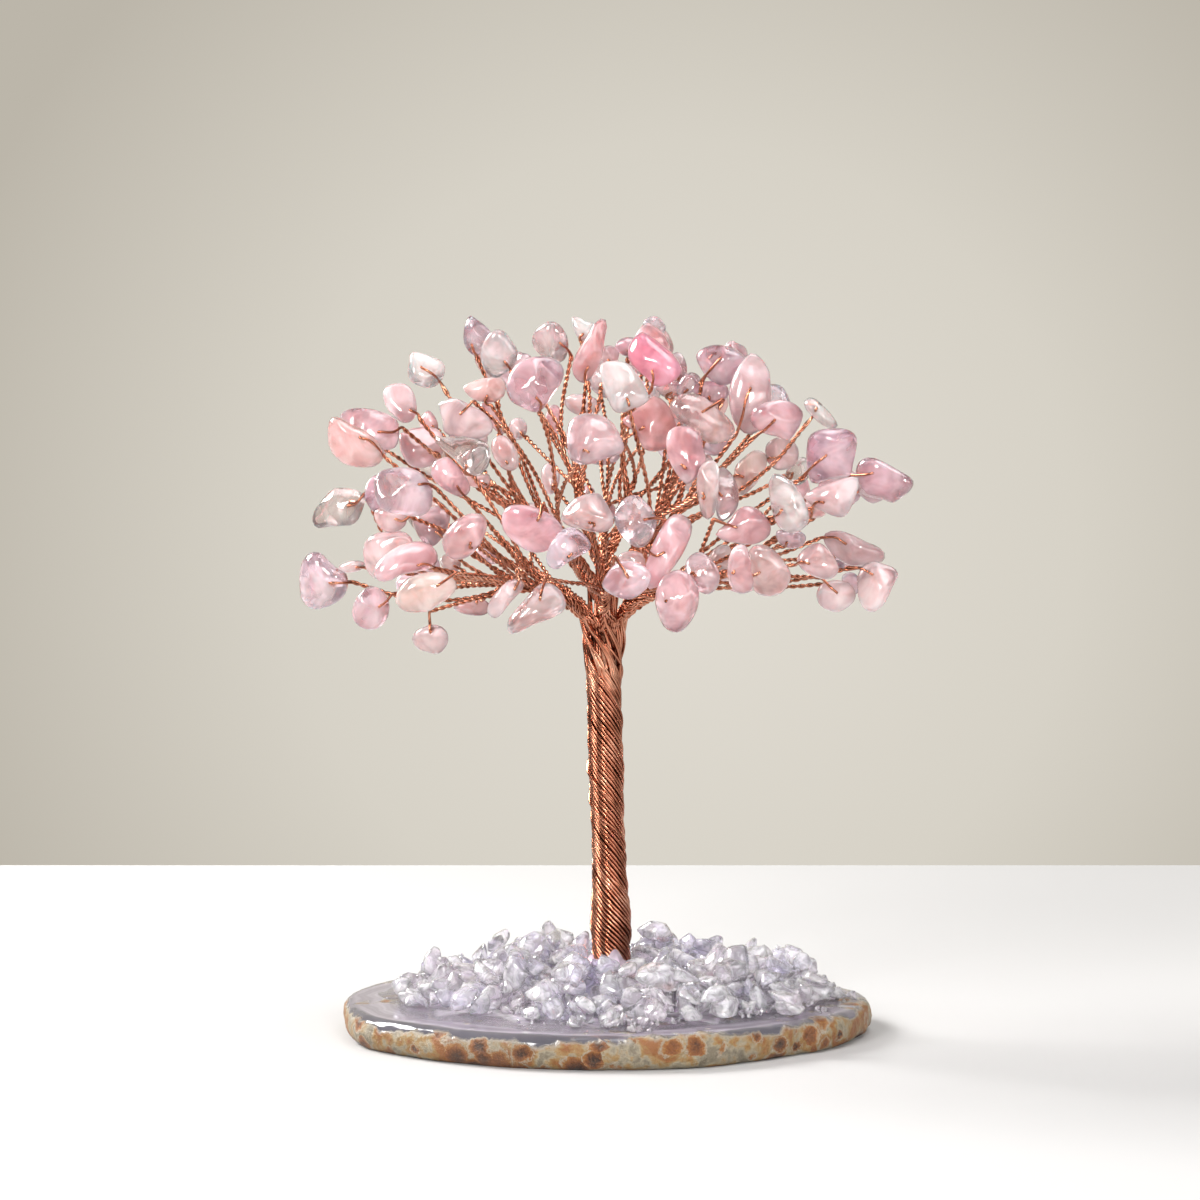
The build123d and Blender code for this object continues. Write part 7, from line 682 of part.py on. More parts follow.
        ([(-13.149,17.434,7.7),(-9.219,21.193,11.206),(-14.604,19.21,7.991),(-12.6,18.583,11.981),(-13.951,17.104,9.262),(-10.585,17.908,10.706),(-14.719,19.339,8.559),(-14.723,19.181,9.01),(-12.515,22.438,10.797)],
         [(3,8,7),(3,1,8),(5,1,3),(0,1,5),(6,7,8),(2,8,1),(2,1,0),(2,6,8),(2,7,6),(4,5,3),(4,0,5),(4,3,7),(4,7,2),(4,2,0)]),
        ([(-23.698,18.856,9.404),(-26.011,16.552,9.971),(-27.509,16.576,9.996),(-26.801,18.579,7.353),(-27.437,15.77,7.787),(-26.143,20.159,9.835),(-25.678,16.3,8.076),(-29.213,16.304,7.867),(-25.794,20.026,9.339),(-27.175,19.591,7.356)],
         [(2,5,7),(9,7,5),(4,2,7),(8,5,0),(8,0,9),(8,9,5),(1,2,4),(1,0,5),(1,5,2),(6,0,1),(6,1,4),(3,6,4),(3,7,9),(3,4,7),(3,9,0),(3,0,6)]),
        ([(-16.603,21.701,8.44),(-17.047,21.684,7.556),(-17.813,19.209,6.477),(-18.107,19.904,6.868),(-16.455,20.954,8.709),(-18.369,19.868,6.994),(-16.562,17.243,9.123),(-16.641,21.521,7.535),(-16.733,19.211,9.61),(-17.581,21.414,8.39),(-16.875,20.679,6.718),(-18.087,21.494,7.803)],
         [(2,6,5),(8,5,6),(8,6,4),(3,2,5),(10,6,2),(10,2,3),(11,5,8),(11,3,5),(11,1,10),(11,10,3),(7,10,1),(7,4,6),(7,6,10),(9,11,8),(0,8,4),(0,9,8),(0,4,7),(0,7,1),(0,1,11),(0,11,9)]),
        ([(-23.114,23.015,6.482),(-18.643,24.66,7.577),(-22.872,23.267,6.975),(-16.792,22.498,8.813),(-20.184,20.43,7.881),(-18.296,22.456,6.609),(-19.465,24.406,6.48),(-21.938,24.561,8.036),(-19.443,20.692,6.481),(-19.917,23.989,9.727),(-18.56,22.304,10.305),(-18.726,24.051,9.872)],
         [(10,4,3),(2,7,0),(2,0,4),(2,4,10),(11,10,3),(8,3,4),(8,5,3),(8,4,0),(9,10,11),(9,11,7),(9,2,10),(9,7,2),(1,7,11),(1,3,5),(1,11,3),(6,0,7),(6,7,1),(6,1,5),(6,8,0),(6,5,8)]),
        ([(-7.161,9.859,13.417),(-10.404,13.494,15.631),(-10.991,13.369,17.526),(-8.562,11.549,11.883),(-7.221,10.464,11.141),(-8.018,12.924,13.165),(-10.03,11.0,18.114),(-12.493,8.857,15.485),(-11.344,12.685,14.132),(-10.771,7.738,12.33),(-8.046,12.682,13.845)],
         [(2,7,6),(9,6,7),(9,0,6),(5,1,2),(8,3,9),(8,1,5),(8,5,3),(8,9,7),(8,7,2),(8,2,1),(4,5,0),(4,3,5),(4,0,9),(4,9,3),(10,2,6),(10,5,2),(10,6,0),(10,0,5)]),
        ([(-12.204,3.783,14.489),(-14.173,5.418,14.438),(-11.782,5.52,15.671),(-11.919,3.084,13.676),(-10.611,6.963,13.734),(-11.953,7.406,12.652),(-10.788,2.889,11.734),(-13.946,7.321,16.209),(-9.941,3.668,13.154),(-9.777,4.686,12.239)],
         [(7,5,1),(0,7,1),(6,1,5),(6,5,9),(4,9,5),(4,5,7),(3,0,1),(3,1,6),(2,7,0),(2,4,7),(8,0,3),(8,2,0),(8,6,9),(8,3,6),(8,9,4),(8,4,2)]),
        ([(-9.852,8.969,14.409),(-7.918,5.567,15.046),(-9.587,1.274,16.108),(-8.024,7.443,16.214),(-8.412,8.016,15.752),(-11.243,3.471,15.744),(-8.22,8.17,13.838),(-8.906,6.604,16.927),(-10.257,2.051,16.295),(-9.462,0.15,14.938),(-8.94,4.582,12.72),(-9.77,9.359,15.173)],
         [(9,5,10),(9,10,1),(7,11,5),(0,5,11),(0,10,5),(3,11,7),(8,5,9),(8,7,5),(4,11,3),(2,3,7),(2,8,9),(2,7,8),(2,9,1),(2,1,3),(6,10,0),(6,1,10),(6,0,11),(6,11,4),(6,3,1),(6,4,3)]),
        ([(-6.594,2.708,14.0),(-3.015,2.376,13.598),(-4.322,4.328,15.923),(-4.174,3.878,16.645),(-4.04,3.017,17.112),(-3.98,4.261,14.723),(-4.774,-0.687,14.363),(-6.278,1.303,15.456),(-3.07,2.385,16.774),(-5.713,0.639,14.324),(-3.646,2.255,12.632)],
         [(10,1,6),(10,0,5),(10,5,1),(7,6,4),(8,6,1),(8,4,6),(8,1,5),(2,5,0),(2,8,5),(9,7,0),(9,6,7),(9,0,10),(9,10,6),(3,4,8),(3,8,2),(3,7,4),(3,0,7),(3,2,0)]),
        ([(-16.396,17.579,10.134),(-17.919,19.688,7.891),(-18.756,16.046,11.68),(-21.203,19.938,8.333),(-16.046,16.18,10.547),(-21.147,20.496,9.362),(-20.659,18.985,6.532),(-18.797,15.748,11.559),(-18.982,16.184,6.532),(-17.905,19.094,11.157),(-21.795,18.087,9.598),(-20.461,20.302,7.701),(-20.481,18.724,11.202)],
         [(1,4,8),(12,5,10),(6,8,10),(6,1,8),(7,12,10),(7,10,8),(7,8,4),(9,1,5),(9,5,12),(3,10,5),(3,6,10),(11,5,1),(11,1,6),(11,3,5),(11,6,3),(0,4,1),(0,9,4),(0,1,9),(2,12,7),(2,9,12),(2,7,4),(2,4,9)]),
        ([(-13.352,27.106,8.679),(-11.634,24.885,9.896),(-16.159,24.09,12.574),(-17.228,26.517,10.877),(-12.7,22.815,11.649),(-16.541,27.242,10.821),(-14.447,22.976,12.587),(-11.243,24.872,11.114),(-15.405,27.087,8.129),(-16.261,24.88,10.341),(-13.467,22.549,12.346),(-16.394,25.957,12.617)],
         [(9,3,8),(6,10,7),(6,7,11),(6,9,10),(0,7,1),(0,1,8),(4,7,10),(4,1,7),(4,10,9),(4,9,8),(4,8,1),(2,3,9),(2,9,6),(2,11,3),(2,6,11),(5,11,7),(5,7,0),(5,3,11),(5,8,3),(5,0,8)]),
        ([(-21.459,17.671,12.913),(-19.782,21.334,12.86),(-18.382,18.981,13.339),(-18.984,22.387,10.374),(-18.996,21.909,9.9),(-20.29,17.397,13.611),(-18.221,21.77,10.723),(-18.763,19.63,13.937),(-21.569,19.573,10.537),(-18.97,19.675,10.716),(-20.783,21.14,12.076),(-20.509,17.952,11.965)],
         [(1,7,6),(4,9,8),(4,6,9),(11,8,9),(11,9,5),(2,7,5),(2,5,9),(2,6,7),(2,9,6),(0,1,10),(0,10,8),(0,5,7),(0,7,1),(0,8,11),(0,11,5),(3,10,1),(3,8,10),(3,4,8),(3,1,6),(3,6,4)]),
        ([(-23.766,21.93,7.839),(-24.863,23.488,8.852),(-21.613,23.419,8.345),(-21.458,20.663,8.9),(-23.473,24.171,9.97),(-21.186,22.027,7.961),(-23.431,23.966,6.979),(-22.573,20.229,10.336),(-21.452,20.39,11.033),(-21.916,21.232,12.435),(-23.472,24.331,8.486),(-21.336,23.427,10.1),(-21.598,21.551,8.197)],
         [(9,1,7),(0,7,1),(8,9,7),(8,5,11),(8,11,9),(3,7,0),(3,5,8),(3,8,7),(2,11,5),(2,10,11),(6,5,0),(6,2,5),(6,10,2),(6,0,1),(6,1,10),(4,9,11),(4,11,10),(4,1,9),(4,10,1),(12,0,5),(12,5,3),(12,3,0)]),
        ([(-25.587,16.708,9.82),(-25.725,13.363,9.139),(-22.329,11.81,9.295),(-22.963,16.316,8.871),(-25.625,14.939,10.839),(-22.128,12.083,8.518),(-24.716,16.689,9.966),(-25.131,12.315,8.653),(-23.745,16.663,8.152),(-26.038,13.504,8.575),(-22.264,12.28,8.298)],
         [(0,8,9),(0,9,4),(10,9,8),(7,9,10),(7,10,5),(3,5,10),(3,10,8),(1,4,9),(1,9,7),(1,7,4),(2,7,5),(2,4,7),(2,5,3),(6,0,4),(6,4,2),(6,2,3),(6,8,0),(6,3,8)]),
        ([(-17.983,25.417,13.981),(-17.875,26.925,13.529),(-20.95,23.052,10.386),(-20.975,25.631,12.411),(-18.79,26.998,11.55),(-17.214,25.707,12.585),(-20.532,23.025,11.62),(-20.659,26.212,12.775),(-19.45,23.592,10.043),(-18.489,27.208,13.869),(-18.217,25.849,11.006)],
         [(8,5,6),(0,3,6),(0,6,5),(2,6,3),(2,8,6),(2,3,4),(2,4,8),(10,5,8),(10,4,5),(10,8,4),(7,4,3),(7,3,0),(9,4,7),(9,7,0),(1,0,5),(1,9,0),(1,5,4),(1,4,9)]),
    ],
    'quartz_chips_left': [
        ([(-34.633,-7.78,7.108),(-33.482,-7.356,6.456),(-30.426,-10.489,7.003),(-35.435,-9.024,6.457),(-34.807,-7.976,8.26),(-34.091,-10.224,8.555),(-32.729,-11.09,6.456),(-36.011,-8.941,7.991),(-29.744,-9.117,6.753)],
         [(1,8,6),(5,7,6),(3,6,7),(3,1,6),(2,6,8),(2,8,5),(2,5,6),(4,8,1),(4,5,8),(4,7,5),(0,7,4),(0,4,1),(0,3,7),(0,1,3)]),
        ([(-18.324,3.043,10.176),(-20.531,4.312,11.87),(-20.267,4.018,11.973),(-23.149,4.772,8.355),(-21.872,7.835,6.899),(-20.109,4.936,11.673),(-21.466,4.317,6.514),(-19.803,4.539,6.518),(-19.257,6.012,6.787)],
         [(2,3,0),(1,4,3),(1,3,2),(6,0,3),(6,7,0),(6,3,4),(6,4,7),(8,0,7),(8,7,4),(5,4,1),(5,8,4),(5,1,2),(5,2,0),(5,0,8)]),
        ([(-32.118,2.973,9.314),(-35.039,3.955,6.508),(-30.457,1.93,7.928),(-34.599,1.061,10.143),(-30.844,2.262,8.94),(-32.121,4.164,7.0),(-36.777,2.916,8.292),(-36.377,2.152,6.486),(-33.849,0.984,6.484),(-33.733,3.976,6.485),(-35.402,0.455,9.819),(-36.373,0.341,9.173)],
         [(7,9,8),(7,11,6),(7,8,11),(5,2,8),(5,8,9),(5,6,0),(3,0,6),(1,7,6),(1,9,7),(1,6,5),(1,5,9),(10,8,2),(10,11,8),(10,6,11),(10,3,6),(4,0,3),(4,2,5),(4,5,0),(4,10,2),(4,3,10)]),
        ([(-18.965,8.315,9.796),(-17.426,7.154,10.428),(-17.904,7.272,6.52),(-15.489,4.535,6.622),(-18.319,3.33,9.965),(-18.504,6.395,10.659),(-19.946,5.96,9.419),(-13.48,4.732,8.563),(-18.291,9.494,8.128),(-15.043,1.345,9.611),(-14.687,1.866,10.154)],
         [(2,6,8),(2,8,7),(1,7,8),(3,2,7),(3,7,9),(0,8,6),(0,1,8),(4,3,9),(4,6,2),(4,2,3),(10,9,7),(10,7,1),(10,4,9),(5,10,1),(5,4,10),(5,6,4),(5,0,6),(5,1,0)]),
        ([(-20.753,11.496,7.61),(-25.156,6.608,6.493),(-25.668,7.824,8.936),(-21.781,9.45,6.492),(-22.664,8.007,6.65),(-20.931,11.237,10.626),(-23.022,11.526,6.492),(-21.984,9.688,11.232),(-22.295,10.589,10.849),(-21.196,8.801,7.543),(-25.672,7.044,7.837)],
         [(2,6,10),(2,10,7),(5,0,6),(1,10,6),(1,7,10),(3,6,0),(3,1,6),(3,4,1),(9,5,7),(9,7,1),(9,1,4),(9,4,3),(9,0,5),(9,3,0),(8,2,7),(8,7,5),(8,6,2),(8,5,6)]),
        ([(-21.308,0.149,7.269),(-20.668,1.198,7.21),(-18.123,2.649,9.299),(-16.378,-0.346,8.03),(-15.704,1.85,7.163),(-20.999,0.45,7.118),(-19.907,0.01,6.459),(-15.724,2.768,7.108),(-16.165,4.235,6.458),(-16.175,3.589,7.901)],
         [(3,2,0),(6,8,4),(6,3,0),(6,4,3),(1,0,2),(1,2,8),(1,8,6),(9,8,2),(9,3,4),(9,2,3),(5,6,0),(5,0,1),(5,1,6),(7,4,8),(7,9,4),(7,8,9)]),
        ([(-19.442,-2.228,7.664),(-16.723,-0.154,7.588),(-18.556,-0.988,6.456),(-15.33,-2.438,6.468),(-16.807,-2.038,9.572),(-15.98,-0.243,6.745),(-16.214,-1.617,8.95),(-17.205,-3.224,8.129),(-15.641,-1.889,7.139)],
         [(4,1,0),(2,3,0),(2,0,1),(7,0,3),(7,4,0),(7,3,4),(6,4,3),(6,1,4),(5,3,2),(5,2,1),(5,1,6),(8,6,3),(8,3,5),(8,5,6)]),
        ([(-7.332,2.485,9.532),(-4.946,-2.69,9.662),(-6.004,2.456,6.487),(-5.564,1.048,9.587),(-7.557,-0.007,6.661),(-6.123,-1.593,6.884),(-7.051,-2.041,7.664),(-6.984,-2.193,8.119),(-7.934,3.849,7.198),(-8.097,2.597,9.922),(-7.511,-0.909,7.216)],
         [(3,9,1),(3,1,2),(3,2,8),(7,1,9),(7,6,1),(10,7,9),(10,6,7),(0,8,9),(0,9,3),(0,3,8),(4,9,8),(4,10,9),(4,8,2),(4,6,10),(5,4,2),(5,6,4),(5,2,1),(5,1,6)]),
        ([(-32.212,-13.259,6.944),(-31.13,-12.331,7.38),(-33.759,-13.374,6.457),(-33.914,-11.549,8.356),(-33.686,-10.941,7.642),(-30.503,-11.105,6.457),(-31.473,-12.039,7.923),(-31.319,-12.891,6.807),(-34.7,-13.142,6.579),(-31.098,-10.056,7.929)],
         [(2,8,5),(4,5,8),(4,9,5),(4,8,3),(4,3,9),(6,9,3),(0,6,3),(0,8,2),(0,3,8),(7,2,5),(7,0,2),(1,6,0),(1,0,7),(1,7,5),(1,5,9),(1,9,6)]),
        ([(-28.395,0.185,8.477),(-27.859,1.378,6.456),(-29.052,1.995,7.564),(-29.504,-0.616,8.839),(-29.192,1.817,6.467),(-27.997,2.003,6.647),(-30.044,0.768,7.879),(-29.503,-1.109,6.456),(-29.704,0.908,6.455),(-30.053,-0.066,6.767)],
         [(3,9,7),(0,7,1),(0,3,7),(0,2,3),(6,9,3),(6,3,2),(6,2,4),(8,1,7),(8,4,1),(8,7,9),(8,9,6),(8,6,4),(5,0,1),(5,2,0),(5,1,4),(5,4,2)]),
        ([(-12.167,-4.791,7.819),(-11.774,-3.542,7.016),(-8.931,-5.172,6.426),(-12.176,-4.095,7.126),(-10.028,-5.917,6.439),(-10.666,-3.031,7.184),(-11.393,-3.098,6.441),(-8.876,-3.648,6.528),(-12.453,-5.112,6.76)],
         [(0,8,4),(5,0,7),(6,4,8),(6,5,7),(2,7,0),(2,0,4),(2,6,7),(2,4,6),(1,0,5),(1,5,6),(3,8,0),(3,0,1),(3,6,8),(3,1,6)]),
        ([(-12.751,-0.104,7.195),(-14.186,-0.953,6.624),(-15.635,1.725,7.387),(-14.191,-0.269,6.46),(-16.926,1.238,8.812),(-15.736,-1.084,7.448),(-13.12,1.48,7.342),(-14.056,2.212,7.335),(-15.371,-1.351,7.882)],
         [(8,0,4),(5,8,4),(1,0,8),(1,3,0),(1,8,5),(1,5,3),(2,4,7),(2,7,3),(2,5,4),(2,3,5),(6,0,3),(6,3,7),(6,4,0),(6,7,4)]),
        ([(-29.057,-9.258,7.455),(-26.594,-10.691,7.518),(-30.39,-10.794,8.729),(-29.941,-13.548,6.465),(-29.609,-10.975,6.464),(-29.624,-15.124,7.694),(-28.274,-11.798,6.463),(-27.304,-9.238,9.221),(-28.596,-9.743,7.114)],
         [(6,1,5),(7,2,5),(7,5,1),(7,0,2),(7,1,0),(3,5,2),(3,6,5),(8,1,6),(8,0,1),(4,0,8),(4,2,0),(4,3,2),(4,6,3),(4,8,6)]),
        ([(-21.561,-4.059,8.143),(-20.973,-1.433,8.162),(-22.311,-4.458,6.467),(-20.318,-1.748,8.194),(-19.059,-3.03,6.466),(-22.302,-1.965,7.37),(-22.518,-4.11,7.481),(-19.716,-2.235,8.322),(-22.291,-2.019,6.466),(-21.558,-2.356,7.957)],
         [(8,1,4),(2,6,8),(2,8,4),(5,8,6),(5,1,8),(0,4,7),(0,6,2),(0,2,4),(0,7,1),(3,4,1),(3,7,4),(3,1,7),(9,1,5),(9,0,1),(9,5,6),(9,6,0)]),
        ([(-25.219,-3.358,7.629),(-21.717,-6.788,7.001),(-24.753,-7.895,7.125),(-23.927,-8.715,6.457),(-24.052,-3.896,6.46),(-22.454,-5.509,6.455),(-22.771,-8.333,8.318),(-21.636,-7.326,7.763),(-24.842,-7.549,7.368),(-22.207,-5.746,8.966),(-21.979,-7.678,6.565)],
         [(4,5,3),(10,3,5),(10,7,6),(10,6,3),(9,6,7),(9,4,0),(9,5,4),(8,9,0),(8,6,9),(1,7,10),(1,10,5),(1,9,7),(1,5,9),(2,3,6),(2,6,8),(2,8,0),(2,0,4),(2,4,3)]),
        ([(-32.897,11.309,9.188),(-29.868,9.056,8.649),(-30.442,7.558,6.471),(-32.873,11.515,8.529),(-34.076,9.195,6.471),(-33.958,9.065,6.474),(-31.701,12.11,8.452),(-32.225,10.997,6.739),(-29.867,7.731,7.741),(-34.007,6.66,7.295),(-28.434,9.824,8.129)],
         [(0,4,9),(0,10,6),(7,6,10),(3,0,6),(3,6,7),(3,4,0),(3,7,4),(5,9,4),(2,7,10),(2,10,8),(2,4,7),(2,5,4),(2,8,9),(2,9,5),(1,0,9),(1,9,8),(1,10,0),(1,8,10)]),
        ([(-21.11,1.265,7.311),(-20.263,3.534,9.178),(-25.983,2.021,6.466),(-23.522,0.754,6.73),(-25.292,2.159,7.635),(-24.856,4.237,7.629),(-20.485,3.168,6.465),(-21.047,1.516,8.225),(-20.954,1.413,6.467),(-23.076,3.968,9.056)],
         [(6,2,5),(6,5,1),(4,5,2),(8,6,1),(8,2,6),(9,1,5),(9,5,4),(7,8,1),(7,0,8),(7,1,9),(7,9,4),(3,0,7),(3,7,4),(3,4,2),(3,2,8),(3,8,0)]),
        ([(-12.291,-0.909,6.445),(-11.818,-0.124,7.755),(-13.718,-0.502,8.04),(-13.97,-2.462,6.554),(-11.227,-2.35,6.914),(-15.412,-1.72,6.895),(-15.166,-2.054,7.456),(-14.888,-1.971,7.711),(-11.896,-0.879,6.739),(-10.939,-2.947,7.426),(-11.001,-1.024,7.809)],
         [(3,5,0),(8,0,1),(2,7,9),(2,0,5),(2,1,0),(4,9,3),(4,3,0),(4,0,8),(6,9,7),(6,3,9),(6,5,3),(6,2,5),(6,7,2),(10,2,9),(10,1,2),(10,9,4),(10,8,1),(10,4,8)]),
        ([(-25.681,-2.061,6.471),(-22.155,-0.725,9.429),(-27.599,-1.86,6.471),(-21.888,1.287,7.884),(-27.154,0.448,6.98),(-22.476,-1.457,6.838),(-23.028,-2.54,7.875),(-26.023,-2.525,8.327),(-24.529,1.039,8.528)],
         [(8,1,3),(5,3,1),(5,1,6),(4,8,3),(4,3,5),(7,1,8),(7,6,1),(7,4,2),(7,8,4),(0,5,6),(0,7,2),(0,6,7),(0,2,4),(0,4,5)]),
        ([(-20.721,-6.336,8.015),(-20.291,-5.534,8.564),(-18.687,-7.114,8.328),(-20.382,-6.95,7.688),(-19.744,-6.931,6.465),(-18.134,-5.738,6.835),(-21.263,-5.857,7.854),(-19.61,-4.484,6.471),(-19.973,-5.861,8.723)],
         [(4,5,2),(3,6,4),(3,4,2),(7,6,1),(7,4,6),(7,5,4),(8,2,5),(8,5,7),(8,7,1),(8,1,6),(0,3,2),(0,2,8),(0,6,3),(0,8,6)]),
        ([(-10.148,-1.646,8.487),(-8.381,-0.662,8.251),(-8.249,-2.312,6.449),(-10.241,-2.432,6.644),(-10.407,-1.001,6.964),(-7.496,-1.728,6.486),(-10.728,-1.974,6.867),(-9.028,-0.556,6.442),(-7.361,-0.456,6.459),(-10.864,-1.998,7.713)],
         [(1,5,8),(1,8,7),(1,7,4),(2,5,1),(2,3,7),(2,7,8),(2,8,5),(6,7,3),(6,4,7),(6,3,9),(6,9,4),(0,9,3),(0,3,2),(0,2,1),(0,4,9),(0,1,4)]),
        ([(-7.779,-1.026,10.173),(-8.785,3.629,8.089),(-10.934,2.217,6.508),(-9.242,0.516,6.786),(-9.573,0.511,6.959),(-9.494,3.8,9.018),(-8.331,2.691,6.505),(-8.904,1.211,11.44),(-10.654,0.415,9.128),(-7.784,0.667,7.574),(-8.618,0.602,11.222),(-9.788,0.639,11.14)],
         [(3,2,6),(1,6,2),(1,2,5),(7,5,11),(7,1,5),(9,0,3),(9,3,6),(9,1,0),(9,6,1),(8,0,11),(8,5,2),(8,11,5),(10,0,1),(10,1,7),(10,11,0),(10,7,11),(4,3,0),(4,0,8),(4,2,3),(4,8,2)]),
        ([(-20.632,-7.992,9.589),(-21.228,-6.438,7.91),(-23.011,-9.709,8.029),(-23.017,-7.541,9.345),(-19.615,-7.868,6.87),(-22.641,-9.705,7.772),(-19.999,-8.233,6.489),(-21.172,-7.229,9.656),(-19.718,-7.163,6.678),(-21.002,-9.999,7.637),(-22.146,-8.859,10.395)],
         [(7,3,10),(2,10,3),(2,9,10),(0,7,10),(0,9,4),(0,10,9),(1,2,3),(1,3,7),(6,4,9),(5,9,2),(5,6,9),(5,2,1),(5,1,6),(8,4,6),(8,6,1),(8,1,7),(8,0,4),(8,7,0)]),
        ([(-18.507,-4.832,10.722),(-17.29,-2.319,10.219),(-14.934,-1.143,10.419),(-19.267,-4.154,9.091),(-16.37,-1.365,10.028),(-19.33,-6.279,8.565),(-14.082,-4.196,6.53),(-18.885,-4.8,9.987),(-16.187,-7.289,8.41),(-15.505,-1.449,11.053),(-18.311,-6.429,7.688)],
         [(8,6,2),(0,5,8),(10,8,5),(10,6,8),(10,5,3),(10,3,6),(9,8,2),(9,0,8),(4,2,6),(4,6,3),(4,9,2),(7,5,0),(7,3,5),(7,0,3),(1,3,0),(1,4,3),(1,0,9),(1,9,4)]),
        ([(-10.314,2.431,8.483),(-11.559,2.429,9.696),(-13.608,2.811,8.13),(-11.726,3.017,10.74),(-14.118,2.092,9.781),(-10.557,3.122,9.941),(-12.595,3.244,11.253),(-11.674,6.387,10.814),(-14.12,4.028,11.458)],
         [(2,8,7),(2,7,0),(4,8,2),(4,2,0),(5,0,7),(5,7,3),(6,8,4),(6,4,3),(6,7,8),(6,3,7),(1,4,0),(1,3,4),(1,0,5),(1,5,3)]),
        ([(-13.62,1.641,7.914),(-11.558,0.072,7.136),(-9.819,2.424,9.712),(-10.804,1.297,12.224),(-13.077,1.803,10.24),(-10.797,1.99,7.484),(-12.146,-0.092,7.423),(-12.041,1.434,6.514),(-9.38,1.77,11.786)],
         [(7,6,0),(5,7,0),(5,0,2),(4,3,8),(4,8,2),(4,2,0),(4,0,6),(4,6,3),(1,6,7),(1,7,5),(1,8,3),(1,3,6),(1,2,8),(1,5,2)]),
        ([(-14.485,-1.842,9.715),(-13.542,-2.579,9.295),(-14.67,-1.379,9.844),(-11.706,-0.039,8.074),(-14.272,-0.915,8.031),(-11.256,-0.533,7.981),(-11.16,-2.24,7.628),(-10.934,-1.346,8.556),(-14.897,-1.384,9.206),(-11.731,-2.174,9.166)],
         [(2,7,3),(4,3,6),(4,8,2),(4,2,3),(4,1,8),(4,6,1),(5,3,7),(5,7,6),(5,6,3),(0,8,1),(0,2,8),(9,7,2),(9,6,7),(9,1,6),(9,0,1),(9,2,0)]),
        ([(-18.726,-2.962,6.461),(-20.306,-3.67,7.216),(-19.631,-5.408,8.357),(-20.345,-3.958,8.498),(-18.409,-3.643,8.921),(-20.015,-4.137,6.46),(-17.669,-4.169,6.531),(-17.399,-4.515,7.264),(-18.947,-5.558,7.784),(-17.841,-4.626,6.463)],
         [(4,8,7),(4,0,3),(4,7,0),(9,7,8),(9,8,5),(9,5,0),(1,5,3),(1,3,0),(1,0,5),(2,4,3),(2,8,4),(2,3,5),(2,5,8),(6,0,7),(6,7,9),(6,9,0)]),
        ([(-32.828,-6.37,8.567),(-30.33,-3.435,6.473),(-30.089,-7.412,9.23),(-27.764,-6.538,7.82),(-26.579,-5.412,6.473),(-31.59,-6.386,6.472),(-28.875,-7.476,7.725),(-26.827,-3.782,6.6),(-30.636,-5.488,9.805)],
         [(8,1,0),(2,8,0),(5,0,1),(5,1,4),(5,2,0),(7,4,1),(7,1,8),(3,8,2),(3,4,7),(3,7,8),(6,2,5),(6,3,2),(6,5,4),(6,4,3)]),
        ([(-22.256,0.346,10.069),(-19.153,-1.522,6.961),(-21.422,-1.464,11.166),(-21.664,-0.296,8.127),(-20.401,-2.79,11.139),(-18.512,-0.321,6.521),(-17.95,-1.884,9.305),(-21.39,-1.933,11.218),(-18.022,-0.476,7.042)],
         [(3,0,5),(2,6,0),(2,4,6),(8,0,6),(8,5,0),(1,4,3),(1,3,5),(1,6,4),(1,8,6),(1,5,8),(7,3,4),(7,4,2),(7,0,3),(7,2,0)]),
        ([(-9.127,-1.377,8.153),(-11.172,-2.736,8.428),(-12.098,-1.639,10.575),(-11.261,-3.917,11.377),(-8.429,-1.028,9.094),(-12.413,-2.778,9.014),(-11.561,-4.568,9.913),(-9.306,-0.34,10.2),(-10.768,-5.63,9.936),(-10.928,-5.468,10.161),(-7.693,-1.426,9.868),(-11.382,-4.957,9.197)],
         [(3,8,10),(2,5,3),(0,10,8),(0,5,2),(6,3,5),(7,3,10),(7,2,3),(7,0,2),(11,0,8),(11,6,5),(9,8,3),(9,3,6),(9,11,8),(9,6,11),(4,10,0),(4,7,10),(4,0,7),(1,5,0),(1,11,5),(1,0,11)]),
        ([(-9.225,-1.961,8.189),(-10.053,-5.29,9.886),(-11.152,-5.14,7.943),(-9.498,-2.535,7.238),(-7.811,-3.057,8.509),(-10.848,-2.275,7.622),(-10.054,-4.724,9.727),(-8.345,-3.297,9.449),(-8.87,-5.875,9.971),(-9.419,-2.212,8.459)],
         [(8,2,4),(3,4,2),(3,0,4),(5,3,2),(5,0,3),(5,2,6),(1,2,8),(1,6,2),(7,4,0),(7,8,4),(7,1,8),(7,6,1),(9,0,5),(9,5,6),(9,7,0),(9,6,7)]),
        ([(-14.779,-3.637,9.157),(-16.211,-2.212,11.522),(-16.176,-4.032,13.414),(-16.154,-2.271,13.137),(-15.326,-1.953,12.906),(-17.013,-3.386,12.851),(-11.888,-3.985,8.823),(-15.124,-1.663,12.721),(-11.582,-8.501,11.914)],
         [(7,8,6),(0,8,5),(0,6,8),(2,5,8),(1,7,6),(1,6,0),(1,0,5),(3,5,2),(3,1,5),(3,7,1),(4,8,7),(4,2,8),(4,7,3),(4,3,2)]),
        ([(-7.602,-1.685,10.944),(-8.437,-3.459,11.765),(-6.961,-2.52,8.471),(-6.559,-1.951,8.809),(-8.594,-2.112,11.342),(-6.377,-1.881,9.475),(-7.611,-3.702,8.822),(-10.175,-2.854,11.403),(-9.066,-4.437,10.275)],
         [(1,7,8),(0,1,5),(6,2,5),(6,5,1),(6,1,8),(6,8,7),(6,7,2),(4,7,1),(4,0,7),(4,1,0),(3,5,2),(3,0,5),(3,2,7),(3,7,0)]),
